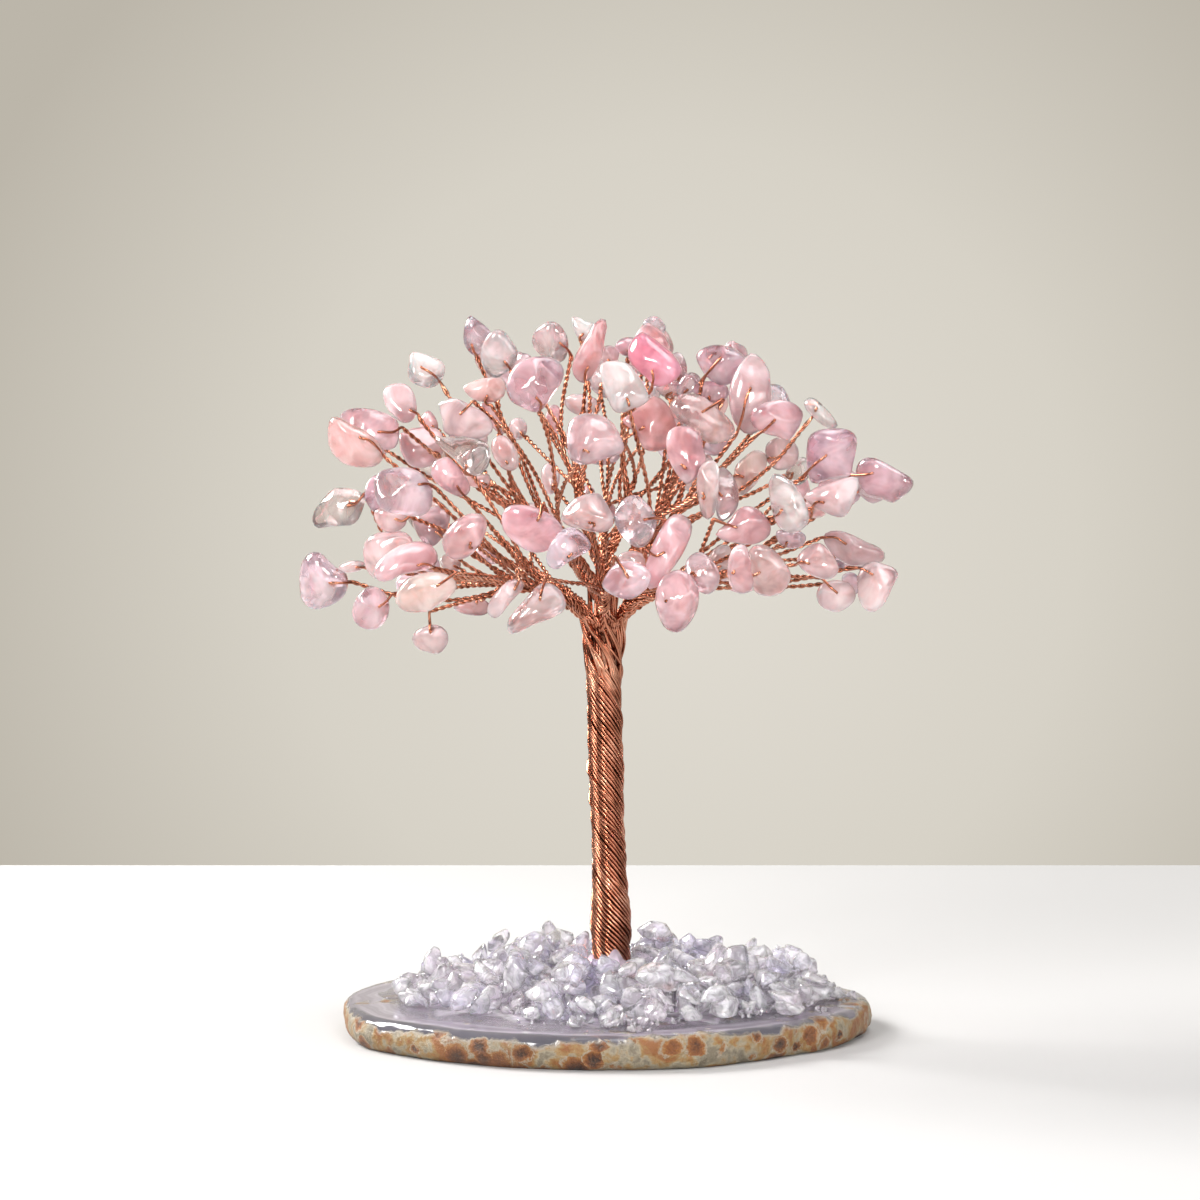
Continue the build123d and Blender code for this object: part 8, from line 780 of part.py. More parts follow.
        ([(-24.937,9.703,6.467),(-27.388,6.926,7.673),(-26.025,6.923,7.157),(-24.778,10.364,7.128),(-26.073,6.941,7.569),(-27.983,7.706,7.921),(-27.266,6.941,8.491),(-26.917,6.944,6.466),(-26.989,7.548,8.695),(-27.63,10.708,7.688)],
         [(7,5,9),(8,9,5),(8,3,9),(8,4,3),(0,9,3),(0,7,9),(6,4,8),(6,8,5),(2,7,0),(2,4,6),(2,3,4),(2,0,3),(1,7,2),(1,2,6),(1,5,7),(1,6,5)]),
        ([(-14.347,-1.34,12.202),(-13.575,-4.253,12.229),(-13.67,-0.389,9.209),(-12.278,-2.698,9.695),(-13.486,-0.517,11.82),(-12.04,-2.045,13.627),(-13.236,-0.373,10.694),(-13.323,-3.23,13.739),(-12.615,-3.938,10.231),(-10.718,-5.088,12.372),(-11.859,-5.388,13.828)],
         [(5,9,6),(1,0,2),(4,0,5),(4,5,6),(4,2,0),(4,6,2),(8,1,2),(10,9,5),(10,8,9),(10,1,8),(3,9,8),(3,8,2),(3,6,9),(3,2,6),(7,5,0),(7,10,5),(7,0,1),(7,1,10)]),
        ([(-18.471,0.482,8.163),(-17.264,-1.603,12.594),(-15.292,-0.98,10.763),(-18.579,0.032,7.945),(-17.227,1.871,9.356),(-19.152,-1.498,9.868),(-20.767,0.641,9.636),(-15.467,-0.069,10.059),(-18.705,-1.598,12.742),(-16.777,-2.049,10.946),(-18.07,-0.325,8.363),(-16.373,0.231,9.045)],
         [(8,4,6),(0,6,4),(0,3,6),(11,0,4),(11,3,0),(1,4,8),(7,2,11),(7,11,4),(7,1,2),(7,4,1),(9,1,8),(9,2,1),(5,8,6),(5,9,8),(5,6,3),(10,2,9),(10,11,2),(10,3,11),(10,5,3),(10,9,5)]),
        ([(-16.905,3.484,11.394),(-16.659,4.175,11.563),(-16.697,2.142,10.151),(-15.342,4.359,12.41),(-14.107,1.25,10.367),(-16.093,1.967,12.296),(-16.076,4.052,10.51),(-13.9,2.542,10.401),(-13.762,3.914,11.884)],
         [(5,4,8),(5,0,2),(5,2,4),(6,2,0),(3,5,8),(3,8,6),(7,8,4),(7,6,8),(7,4,2),(7,2,6),(1,6,0),(1,3,6),(1,0,5),(1,5,3)]),
        ([(-20.024,-6.129,8.707),(-20.345,-5.81,9.049),(-18.302,-9.29,9.543),(-18.909,-6.045,9.206),(-17.815,-6.626,9.806),(-22.241,-8.267,11.095),(-17.607,-8.697,10.261),(-18.326,-6.69,10.858),(-19.512,-8.949,9.045)],
         [(2,6,5),(7,5,6),(7,1,5),(8,2,5),(4,7,6),(4,6,2),(3,1,7),(3,7,4),(3,4,2),(0,2,8),(0,3,2),(0,1,3),(0,5,1),(0,8,5)]),
        ([(-28.081,9.193,10.397),(-24.496,11.68,9.686),(-24.734,8.95,8.969),(-28.634,9.482,10.089),(-28.575,8.845,8.191),(-28.447,8.556,8.125),(-26.802,8.324,10.267),(-26.339,11.647,7.921),(-27.399,11.233,7.678),(-25.043,8.505,9.724)],
         [(0,1,3),(0,6,1),(0,3,5),(0,5,6),(7,3,1),(7,8,3),(4,3,8),(4,5,3),(4,8,5),(9,1,6),(9,6,5),(2,5,8),(2,8,7),(2,9,5),(2,7,1),(2,1,9)]),
        ([(-34.554,-2.757,6.468),(-30.262,-1.162,7.461),(-31.564,1.108,7.601),(-30.776,-2.705,7.161),(-30.859,-1.645,6.467),(-31.116,-2.835,8.798),(-31.085,-2.75,8.795),(-32.262,1.351,8.908),(-33.728,-4.405,6.719),(-31.069,-3.522,6.9),(-34.781,-0.516,7.805)],
         [(2,1,4),(5,10,8),(0,8,10),(0,4,8),(0,10,2),(0,2,4),(7,2,10),(7,10,5),(7,1,2),(9,8,4),(9,5,8),(9,4,1),(6,5,1),(6,1,7),(6,7,5),(3,1,5),(3,9,1),(3,5,9)]),
        ([(-27.827,2.41,6.58),(-27.161,3.234,9.7),(-27.435,7.116,11.283),(-28.881,4.376,6.506),(-26.718,6.293,10.647),(-29.661,3.501,8.315),(-26.657,6.965,10.071),(-26.559,1.854,6.508),(-26.076,4.276,9.15),(-29.468,3.331,9.083),(-29.6,4.865,9.85),(-26.472,5.046,6.507)],
         [(1,7,8),(6,3,2),(0,5,3),(0,3,7),(10,1,2),(10,3,5),(10,2,3),(4,8,6),(4,6,2),(4,1,8),(4,2,1),(11,7,3),(11,3,6),(11,8,7),(11,6,8),(9,10,5),(9,1,10),(9,7,1),(9,5,0),(9,0,7)]),
        ([(-28.902,6.065,7.656),(-30.522,4.873,6.462),(-31.263,4.382,6.633),(-33.985,5.677,7.256),(-31.476,6.986,7.949),(-33.983,5.528,7.374),(-33.78,5.883,6.465),(-30.203,4.585,7.532),(-31.753,5.879,9.076),(-33.359,4.455,6.461),(-31.51,3.905,8.045),(-31.712,4.175,8.447),(-29.749,6.722,6.461)],
         [(4,3,8),(4,8,0),(11,0,8),(9,10,11),(7,1,0),(7,0,11),(7,11,10),(12,0,1),(12,4,0),(12,1,9),(5,8,3),(5,11,8),(5,9,11),(2,10,9),(2,9,1),(2,7,10),(2,1,7),(6,3,4),(6,4,12),(6,12,9),(6,5,3),(6,9,5)]),
        ([(-29.096,3.617,9.738),(-28.589,-0.148,9.492),(-28.075,0.434,10.03),(-30.249,1.266,8.113),(-29.419,1.086,11.138),(-30.417,1.684,9.054),(-29.721,0.465,8.407),(-30.607,3.102,8.432),(-28.661,0.053,10.008),(-26.955,1.156,8.08),(-27.278,0.972,8.156)],
         [(0,9,7),(4,0,7),(3,7,9),(2,1,9),(2,9,0),(2,0,4),(5,4,7),(5,7,3),(5,6,4),(5,3,6),(8,1,2),(8,2,4),(8,6,1),(8,4,6),(10,3,9),(10,6,3),(10,9,1),(10,1,6)]),
        ([(-14.449,-3.577,13.782),(-15.919,-6.844,14.125),(-16.846,-5.055,16.317),(-17.569,-6.054,14.474),(-15.126,-3.397,13.624),(-16.052,-3.48,13.655),(-13.201,-4.947,14.475),(-18.202,-4.833,15.209),(-12.727,-4.985,13.144),(-15.621,-6.274,12.849)],
         [(9,8,1),(6,1,8),(6,2,1),(5,7,2),(3,9,1),(3,2,7),(3,1,2),(3,7,5),(3,5,9),(4,8,9),(4,9,5),(4,5,2),(0,6,8),(0,8,4),(0,2,6),(0,4,2)]),
        ([(-17.169,-7.734,11.22),(-20.403,-9.048,11.61),(-21.872,-7.023,13.448),(-20.413,-6.324,11.357),(-20.638,-7.738,11.052),(-18.37,-6.94,13.536),(-19.038,-6.461,11.217),(-18.85,-8.132,14.004),(-19.636,-9.195,11.376),(-17.984,-8.224,10.517),(-17.667,-8.356,12.829),(-17.379,-7.22,12.039)],
         [(10,7,8),(1,7,2),(1,8,7),(9,0,10),(9,10,8),(5,7,10),(5,2,7),(5,3,2),(6,0,9),(6,9,3),(6,3,5),(4,3,9),(4,2,3),(4,1,2),(4,8,1),(4,9,8),(11,0,6),(11,6,5),(11,10,0),(11,5,10)]),
        ([(-27.958,-1.615,9.821),(-24.56,-5.513,8.217),(-26.455,-3.713,11.499),(-26.569,-2.88,7.732),(-24.635,-1.893,10.241),(-26.103,-6.607,7.373),(-26.066,-3.034,7.626),(-28.236,-5.517,8.167),(-25.595,-6.878,6.758),(-24.939,-3.171,10.659),(-27.999,-2.534,9.266),(-28.231,-5.298,8.074),(-27.757,-3.858,7.441)],
         [(2,0,7),(4,0,2),(6,4,1),(9,2,1),(9,1,4),(9,4,2),(8,6,1),(12,6,8),(5,1,2),(5,8,1),(5,2,7),(5,7,8),(11,7,0),(11,8,7),(11,12,8),(3,12,0),(3,6,12),(3,0,4),(3,4,6),(10,0,12),(10,11,0),(10,12,11)]),
        ([(-12.877,2.631,11.443),(-13.75,6.127,11.279),(-13.462,6.841,13.791),(-12.944,3.64,13.383),(-11.357,5.985,11.014),(-10.53,5.126,11.447),(-12.049,2.686,12.47),(-13.769,4.482,13.494),(-11.404,6.393,12.04),(-13.684,3.69,12.815),(-10.881,4.745,10.894)],
         [(1,7,2),(3,2,7),(3,5,2),(9,7,1),(9,1,0),(9,3,7),(8,2,5),(8,1,2),(10,0,1),(6,5,3),(6,10,5),(6,0,10),(6,9,0),(6,3,9),(4,1,8),(4,10,1),(4,8,5),(4,5,10)]),
        ([(-24.768,-3.43,11.5),(-20.46,-2.711,10.785),(-20.864,-4.254,11.726),(-23.052,-5.9,10.524),(-20.816,-2.865,11.576),(-24.214,-2.552,11.801),(-25.379,-5.616,10.819),(-23.865,-6.006,9.867),(-23.043,-4.782,8.517),(-26.217,-5.198,9.767),(-20.608,-2.161,9.799),(-22.948,-2.097,11.472),(-23.684,-5.867,10.475)],
         [(8,7,9),(10,1,2),(10,2,8),(10,8,9),(4,2,1),(4,5,2),(4,1,10),(3,7,8),(3,8,2),(11,5,4),(11,4,10),(11,9,5),(11,10,9),(6,9,7),(6,3,2),(12,7,3),(12,6,7),(12,3,6),(0,2,5),(0,6,2),(0,5,9),(0,9,6)]),
        ([(-26.363,-7.065,9.801),(-27.322,-5.371,8.961),(-29.74,-9.903,10.23),(-27.724,-7.102,10.634),(-30.13,-8.238,8.409),(-27.855,-8.985,8.092),(-30.288,-7.424,9.803),(-27.282,-6.737,7.313),(-30.129,-9.173,8.737),(-29.212,-6.928,10.499)],
         [(1,0,7),(3,2,0),(3,0,1),(4,6,1),(4,1,7),(9,1,6),(9,3,1),(9,6,2),(9,2,3),(5,4,7),(5,0,2),(5,7,0),(8,5,2),(8,4,5),(8,2,6),(8,6,4)]),
        ([(-24.001,2.787,9.462),(-24.755,2.513,10.101),(-27.383,2.324,8.215),(-24.248,0.557,9.264),(-28.313,0.458,11.539),(-24.468,3.151,8.271),(-24.621,2.048,10.514),(-28.697,1.475,10.513),(-26.081,0.266,7.823),(-27.097,0.794,11.361)],
         [(4,7,8),(2,8,7),(1,7,4),(5,8,2),(5,1,0),(5,2,7),(5,7,1),(3,4,8),(3,5,0),(3,8,5),(6,1,4),(6,0,1),(6,3,0),(9,4,3),(9,6,4),(9,3,6)]),
        ([(-7.566,3.876,13.387),(-9.272,0.874,14.409),(-7.524,-1.794,9.944),(-3.638,1.772,12.487),(-4.721,0.396,13.696),(-3.764,-0.179,13.472),(-11.05,0.085,11.501),(-5.042,-1.04,10.848),(-7.998,3.818,13.687),(-5.874,3.828,13.069)],
         [(2,1,6),(2,5,1),(8,0,6),(8,6,1),(9,3,2),(9,0,8),(9,6,0),(9,2,6),(9,5,3),(7,3,5),(7,2,3),(7,5,2),(4,1,5),(4,8,1),(4,5,9),(4,9,8)]),
        ([(-10.995,-0.405,16.639),(-14.087,-2.715,14.05),(-15.792,0.624,15.608),(-15.563,-1.586,13.545),(-10.438,0.261,15.661),(-11.862,-0.353,12.234),(-14.464,3.474,13.214),(-15.14,3.188,12.345),(-11.148,0.067,13.549),(-12.534,0.732,17.45),(-14.192,-0.741,16.263),(-15.56,1.287,15.677),(-11.446,4.286,16.413)],
         [(7,12,5),(8,12,4),(8,4,5),(8,5,12),(11,7,2),(11,2,9),(11,9,12),(0,4,12),(0,12,9),(6,12,7),(6,11,12),(6,7,11),(1,5,4),(1,4,0),(3,7,5),(3,5,1),(3,2,7),(10,0,9),(10,1,0),(10,9,2),(10,2,3),(10,3,1)]),
        ([(-17.789,3.928,10.334),(-20.35,-0.144,12.454),(-15.702,0.279,13.808),(-16.738,0.209,11.307),(-19.08,-1.554,12.773),(-18.614,0.763,10.457),(-18.834,1.485,10.087),(-19.191,-1.421,13.596),(-17.326,4.804,11.01),(-19.567,1.26,14.023),(-17.104,2.494,14.956)],
         [(10,2,8),(3,8,2),(7,2,10),(9,1,7),(9,7,10),(9,8,1),(9,10,8),(4,3,2),(4,2,7),(4,7,1),(0,8,3),(0,3,6),(0,1,8),(0,6,1),(5,6,3),(5,3,4),(5,1,6),(5,4,1)]),
        ([(-26.609,-4.733,12.399),(-23.706,-5.833,11.784),(-26.561,-5.287,11.684),(-22.652,-5.469,11.227),(-22.906,-5.665,11.41),(-25.433,-5.035,11.022),(-26.755,-5.29,12.666),(-22.147,-2.77,12.014),(-25.326,-3.731,11.862),(-24.982,-3.27,12.19),(-23.881,-5.807,12.31)],
         [(9,6,7),(10,7,6),(10,6,1),(3,5,7),(2,1,6),(2,5,1),(8,7,5),(8,9,7),(8,5,2),(4,1,5),(4,5,3),(4,10,1),(4,7,10),(4,3,7),(0,2,6),(0,8,2),(0,6,9),(0,9,8)]),
        ([(-32.893,-2.773,8.613),(-33.867,-4.664,9.36),(-33.289,-6.563,6.471),(-32.106,-5.016,8.194),(-34.258,-7.544,7.111),(-34.948,-5.783,7.444),(-34.543,-7.059,6.47),(-32.397,-6.073,7.111),(-32.464,-5.602,6.461),(-31.818,-4.183,7.467),(-34.471,-5.475,6.461)],
         [(1,5,4),(0,5,1),(10,5,0),(10,0,9),(3,1,4),(3,9,0),(3,0,1),(8,10,9),(6,10,8),(6,4,5),(6,5,10),(7,3,4),(7,9,3),(7,8,9),(2,4,6),(2,6,8),(2,7,4),(2,8,7)]),
        ([(-31.043,7.191,8.171),(-30.525,6.906,11.836),(-32.155,8.599,11.215),(-32.513,8.595,8.288),(-30.115,7.307,9.051),(-30.003,8.498,8.516),(-32.37,8.929,10.724),(-29.593,9.495,12.57),(-32.86,8.154,8.927),(-29.702,7.103,9.707),(-31.552,9.891,8.885),(-30.424,9.697,12.571)],
         [(0,1,8),(2,8,1),(9,7,1),(9,1,0),(3,0,8),(11,1,7),(11,2,1),(11,7,10),(5,0,3),(5,3,10),(5,10,7),(5,7,9),(6,11,10),(6,2,11),(6,8,2),(6,3,8),(6,10,3),(4,9,0),(4,0,5),(4,5,9)]),
        ([(-32.176,6.081,9.393),(-29.621,5.827,13.516),(-31.083,5.978,12.79),(-28.8,6.638,8.635),(-31.189,7.095,8.742),(-30.15,5.686,14.153),(-31.642,6.87,9.232),(-28.625,6.493,12.685),(-29.477,4.95,8.268),(-31.953,4.533,12.191),(-31.467,3.004,10.91)],
         [(8,10,0),(8,7,10),(3,7,8),(2,5,7),(1,10,7),(1,7,5),(1,5,10),(4,7,3),(4,8,0),(4,3,8),(9,10,5),(9,5,2),(9,0,10),(9,2,0),(6,2,7),(6,7,4),(6,0,2),(6,4,0)]),
        ([(-33.302,-2.39,9.283),(-34.426,0.652,8.855),(-36.503,-3.599,6.495),(-36.147,-0.366,7.618),(-35.432,0.067,7.823),(-34.66,-3.231,6.611),(-37.647,-0.721,8.849),(-33.841,-0.543,9.377),(-35.71,-2.464,9.681),(-34.644,0.509,9.006)],
         [(5,1,0),(5,0,2),(8,6,2),(8,2,0),(3,2,6),(3,5,2),(7,0,1),(7,8,0),(4,6,1),(4,3,6),(4,1,5),(4,5,3),(9,1,6),(9,7,1),(9,6,8),(9,8,7)]),
        ([(-28.275,-3.094,8.888),(-28.075,-2.019,12.188),(-29.997,-1.882,6.959),(-29.993,-1.047,9.335),(-29.056,-3.399,12.042),(-30.747,-2.318,9.22),(-31.086,-2.828,9.086),(-28.224,-0.789,9.562),(-27.657,-3.516,11.054),(-27.187,-2.541,11.922)],
         [(0,6,2),(0,7,9),(0,2,7),(1,9,7),(8,6,0),(8,0,9),(3,1,7),(3,2,6),(3,7,2),(4,9,1),(4,8,9),(4,6,8),(4,1,3),(5,3,6),(5,6,4),(5,4,3)]),
        ([(-24.648,7.816,8.97),(-26.684,9.144,11.302),(-26.111,9.0,11.968),(-28.309,7.875,11.021),(-25.555,6.816,8.897),(-28.131,7.854,10.66),(-27.994,8.035,11.749),(-26.666,7.349,9.197),(-24.429,7.446,8.947),(-25.513,6.182,11.057)],
         [(6,1,3),(6,3,9),(2,1,6),(2,6,9),(2,9,8),(5,3,1),(5,1,7),(5,9,3),(5,7,9),(0,7,1),(0,2,8),(0,1,2),(4,8,9),(4,9,7),(4,0,8),(4,7,0)]),
        ([(-28.887,3.118,12.379),(-29.303,1.314,12.641),(-28.528,0.394,12.187),(-27.773,3.143,12.163),(-28.116,4.677,10.324),(-27.994,1.73,12.603),(-27.491,2.594,9.412),(-29.841,4.362,11.599),(-27.6,1.688,12.318),(-29.883,2.64,10.779)],
         [(2,9,6),(4,6,9),(7,4,9),(3,4,7),(3,6,4),(1,9,2),(1,7,9),(8,2,6),(8,6,3),(0,3,7),(0,7,1),(5,0,1),(5,1,2),(5,2,8),(5,8,3),(5,3,0)]),
    ],
    'quartz_chips_front_left': [
        ([(-17.679,-17.436,8.137),(-21.786,-15.696,7.719),(-22.523,-15.752,6.455),(-19.601,-17.239,6.456),(-18.073,-16.526,6.829),(-20.19,-14.246,7.734),(-21.156,-13.86,6.862),(-21.582,-14.55,6.696),(-21.156,-16.149,8.461),(-18.074,-15.735,6.454)],
         [(1,6,2),(1,2,8),(1,8,6),(5,8,0),(5,6,8),(5,0,9),(5,9,6),(3,2,9),(3,8,2),(3,0,8),(7,2,6),(7,9,2),(7,6,9),(4,9,0),(4,0,3),(4,3,9)]),
        ([(-13.787,-17.014,6.466),(-13.847,-17.364,7.852),(-17.583,-11.636,6.823),(-16.548,-16.168,6.468),(-14.461,-14.241,9.701),(-14.351,-17.282,8.307),(-16.566,-11.499,6.464),(-15.282,-10.937,7.526),(-15.914,-11.053,8.197)],
         [(4,0,7),(3,4,2),(6,2,7),(6,7,0),(6,3,2),(6,0,3),(8,7,2),(8,2,4),(8,4,7),(5,4,3),(1,0,4),(1,4,5),(1,3,0),(1,5,3)]),
        ([(-15.191,-11.774,8.361),(-15.915,-9.405,8.208),(-11.272,-9.136,6.489),(-12.478,-11.237,9.148),(-14.207,-9.296,10.038),(-12.495,-12.195,8.98),(-13.273,-8.321,8.321),(-11.634,-12.724,6.538),(-13.88,-12.526,8.438)],
         [(7,1,2),(6,2,1),(6,1,4),(6,4,2),(0,1,7),(0,7,8),(0,4,1),(0,8,4),(5,8,7),(5,4,8),(5,7,2),(3,2,4),(3,5,2),(3,4,5)]),
        ([(-7.917,-15.882,7.002),(-7.048,-10.977,8.507),(-10.737,-14.961,6.845),(-8.451,-12.402,6.512),(-9.173,-9.539,9.037),(-10.895,-11.471,8.642),(-11.043,-15.097,7.745),(-6.845,-13.207,11.946),(-9.046,-13.149,12.033),(-10.097,-12.698,6.515),(-10.206,-11.385,10.518),(-7.786,-10.867,11.393)],
         [(8,6,0),(8,0,7),(1,7,0),(2,0,6),(2,9,0),(5,4,9),(5,2,6),(5,9,2),(11,8,7),(11,7,1),(11,1,4),(3,0,9),(3,1,0),(3,9,4),(3,4,1),(10,4,5),(10,11,4),(10,8,11),(10,6,8),(10,5,6)]),
        ([(-14.809,-22.452,6.669),(-14.092,-21.412,7.343),(-15.596,-18.017,8.294),(-14.63,-21.258,9.425),(-15.176,-22.568,6.462),(-16.46,-16.936,6.463),(-16.783,-16.984,8.039),(-14.777,-18.691,6.462)],
         [(3,6,4),(5,4,6),(0,1,3),(0,3,4),(2,6,3),(2,5,6),(7,4,5),(7,0,4),(7,1,0),(7,5,2),(7,3,1),(7,2,3)]),
        ([(-19.149,-10.432,7.997),(-16.923,-8.771,8.713),(-16.944,-9.462,6.47),(-17.13,-6.676,7.156),(-19.508,-7.321,7.974),(-17.54,-7.315,8.714),(-18.269,-10.979,6.775),(-16.982,-9.819,7.781),(-18.946,-10.856,7.268),(-19.044,-8.014,6.47),(-16.972,-7.387,8.62),(-17.362,-9.487,8.583)],
         [(5,3,4),(5,4,0),(9,4,3),(10,5,1),(10,3,5),(2,6,9),(2,9,3),(2,7,6),(2,1,7),(2,10,1),(2,3,10),(8,6,0),(8,9,6),(8,0,4),(8,4,9),(11,0,6),(11,6,7),(11,7,1),(11,1,5),(11,5,0)]),
        ([(-17.53,-9.759,8.511),(-18.311,-9.067,9.361),(-18.282,-13.943,6.512),(-20.271,-9.96,8.883),(-16.777,-13.257,11.454),(-16.981,-15.166,9.267),(-17.03,-10.643,7.437),(-17.707,-9.909,9.7),(-20.283,-10.328,8.497),(-15.395,-13.486,8.966)],
         [(2,5,8),(2,9,5),(4,5,9),(6,2,8),(6,9,2),(3,8,5),(3,5,4),(7,4,9),(0,9,6),(0,7,9),(1,7,0),(1,3,4),(1,4,7),(1,0,6),(1,6,8),(1,8,3)]),
        ([(-13.088,-19.172,7.709),(-12.932,-20.194,7.011),(-12.804,-16.404,6.832),(-10.732,-19.09,7.294),(-12.043,-20.452,6.448),(-10.495,-17.851,6.448),(-14.073,-19.129,6.724),(-13.321,-19.691,7.32),(-10.374,-16.918,7.173),(-12.704,-16.504,7.48),(-12.621,-16.997,6.441)],
         [(9,6,0),(9,0,8),(10,4,6),(1,6,4),(3,8,0),(3,1,4),(3,0,1),(5,10,8),(5,4,10),(5,8,3),(5,3,4),(2,9,8),(2,8,10),(2,6,9),(2,10,6),(7,0,6),(7,6,1),(7,1,0)]),
        ([(-3.24,-3.078,10.166),(-6.041,-2.882,11.199),(-6.381,-3.708,10.729),(-4.631,-3.896,6.573),(-5.048,-7.369,6.932),(-3.652,-2.916,10.498),(-4.413,-4.371,11.921),(-2.943,-6.266,9.757),(-6.518,-4.782,6.527)],
         [(2,1,8),(2,8,4),(3,7,4),(3,0,7),(3,4,8),(3,5,0),(3,8,1),(3,1,5),(6,4,7),(6,2,4),(6,1,2),(6,5,1),(6,7,0),(6,0,5)]),
        ([(-11.962,-14.122,7.02),(-11.368,-12.677,7.749),(-11.764,-13.869,8.07),(-12.679,-14.871,6.464),(-12.826,-14.879,7.365),(-14.063,-15.012,6.458),(-13.32,-13.02,6.459),(-12.384,-12.372,8.807),(-14.245,-13.003,8.106),(-12.309,-13.214,6.455),(-11.68,-12.714,6.999)],
         [(6,5,8),(6,9,5),(7,2,1),(7,6,8),(4,8,5),(4,7,8),(4,2,7),(10,9,6),(10,7,1),(10,6,7),(3,2,4),(3,5,9),(3,4,5),(0,1,2),(0,2,3),(0,10,1),(0,9,10),(0,3,9)]),
        ([(-25.426,-13.249,7.27),(-28.523,-13.617,9.764),(-26.174,-12.325,6.471),(-28.285,-14.384,6.521),(-28.574,-13.13,8.294),(-25.777,-12.535,9.326),(-27.387,-14.927,6.471),(-27.564,-12.72,7.2),(-29.407,-14.689,9.206),(-26.254,-14.453,6.631),(-25.475,-12.772,6.964)],
         [(3,6,8),(3,2,6),(4,3,8),(10,5,0),(10,2,5),(9,0,5),(9,10,0),(9,8,6),(9,5,8),(9,6,2),(9,2,10),(1,8,5),(1,4,8),(1,5,4),(7,5,2),(7,4,5),(7,2,3),(7,3,4)]),
        ([(-18.257,-13.906,8.28),(-24.223,-10.695,7.312),(-18.457,-13.869,6.642),(-21.768,-14.542,10.107),(-23.505,-12.544,6.508),(-23.828,-12.34,10.716),(-20.166,-10.704,9.284),(-25.463,-13.47,9.956),(-19.168,-13.297,6.509),(-21.108,-10.659,10.102),(-23.186,-12.295,10.731),(-21.264,-9.751,8.554)],
         [(1,4,7),(3,0,9),(3,2,0),(3,7,4),(3,4,2),(6,9,0),(6,11,9),(6,0,2),(6,2,11),(8,4,1),(8,2,4),(8,1,11),(8,11,2),(5,7,3),(5,1,7),(5,11,1),(5,9,11),(10,3,9),(10,9,5),(10,5,3)]),
        ([(-4.585,-4.752,11.401),(-2.419,-9.174,6.563),(-2.423,-7.612,11.377),(-6.365,-5.808,9.458),(-3.64,-6.273,13.586),(-4.454,-10.065,7.031),(-3.257,-9.851,6.53),(-6.6,-8.633,8.855),(-1.716,-7.056,9.343),(-2.314,-7.054,11.221),(-4.682,-9.903,7.117),(-5.345,-4.839,10.853)],
         [(4,8,0),(3,7,4),(1,8,2),(11,0,8),(11,8,1),(11,1,3),(11,4,0),(11,3,4),(9,8,4),(9,2,8),(9,4,2),(10,7,3),(6,1,2),(6,3,1),(6,10,3),(5,6,2),(5,10,6),(5,2,4),(5,4,7),(5,7,10)]),
        ([(-8.659,-7.729,9.16),(-9.362,-3.984,8.096),(-9.748,-5.479,7.11),(-8.242,-8.952,7.714),(-4.773,-9.163,6.478),(-7.751,-4.727,9.66),(-6.951,-9.945,9.058),(-9.11,-5.245,6.539),(-5.42,-10.178,7.593),(-6.679,-4.324,8.337),(-6.523,-5.012,6.477),(-8.284,-3.665,7.929)],
         [(1,5,11),(8,5,6),(8,3,4),(8,6,3),(7,11,10),(7,2,1),(7,1,11),(7,10,4),(7,3,2),(7,4,3),(9,11,5),(9,10,11),(9,4,10),(9,8,4),(9,5,8),(0,6,5),(0,5,1),(0,1,2),(0,2,3),(0,3,6)]),
        ([(-5.767,-13.579,6.49),(-3.141,-13.642,8.087),(-5.898,-14.217,8.648),(-5.459,-10.722,7.504),(-6.913,-13.661,8.911),(-6.827,-11.058,9.917),(-3.444,-12.132,6.786),(-6.408,-11.858,10.874),(-4.276,-11.569,6.487)],
         [(5,4,7),(5,7,3),(5,0,4),(5,3,0),(2,4,0),(2,0,1),(2,7,4),(2,1,7),(6,1,0),(6,7,1),(6,3,7),(8,0,3),(8,3,6),(8,6,0)]),
        ([(-11.396,-5.221,7.652),(-10.686,-7.783,6.448),(-9.793,-8.249,6.526),(-11.852,-6.371,6.476),(-8.729,-8.174,9.041),(-9.447,-8.79,7.759),(-10.474,-6.003,6.463),(-9.591,-5.524,8.943),(-9.493,-5.127,8.102),(-12.105,-7.024,7.39)],
         [(3,1,9),(7,9,4),(7,4,8),(5,4,9),(5,9,1),(6,1,3),(0,3,9),(0,9,7),(0,7,8),(0,8,6),(0,6,3),(2,5,1),(2,1,6),(2,6,8),(2,8,4),(2,4,5)]),
        ([(-13.099,-17.844,8.373),(-12.858,-17.057,9.698),(-13.052,-13.968,10.032),(-10.7,-15.297,8.273),(-11.417,-16.685,7.395),(-14.129,-15.021,7.125),(-11.225,-16.739,9.467),(-11.743,-13.338,8.493),(-11.691,-17.415,9.641),(-10.79,-15.136,9.49),(-13.795,-14.916,8.963)],
         [(4,0,5),(4,8,0),(7,5,2),(7,4,5),(7,3,4),(10,5,0),(10,2,5),(9,2,8),(9,3,7),(9,7,2),(1,10,0),(1,2,10),(1,0,8),(1,8,2),(6,3,9),(6,9,8),(6,4,3),(6,8,4)]),
        ([(-10.9,-8.213,9.252),(-10.488,-11.905,10.077),(-11.757,-11.135,8.356),(-13.006,-10.618,10.06),(-11.965,-8.688,7.127),(-13.813,-9.257,9.66),(-11.573,-11.47,10.44),(-11.243,-7.654,7.671),(-12.506,-10.577,10.766)],
         [(4,5,7),(4,7,1),(0,7,5),(0,1,7),(2,5,4),(2,4,1),(8,0,5),(8,1,0),(3,5,2),(3,8,5),(6,1,8),(6,8,3),(6,2,1),(6,3,2)]),
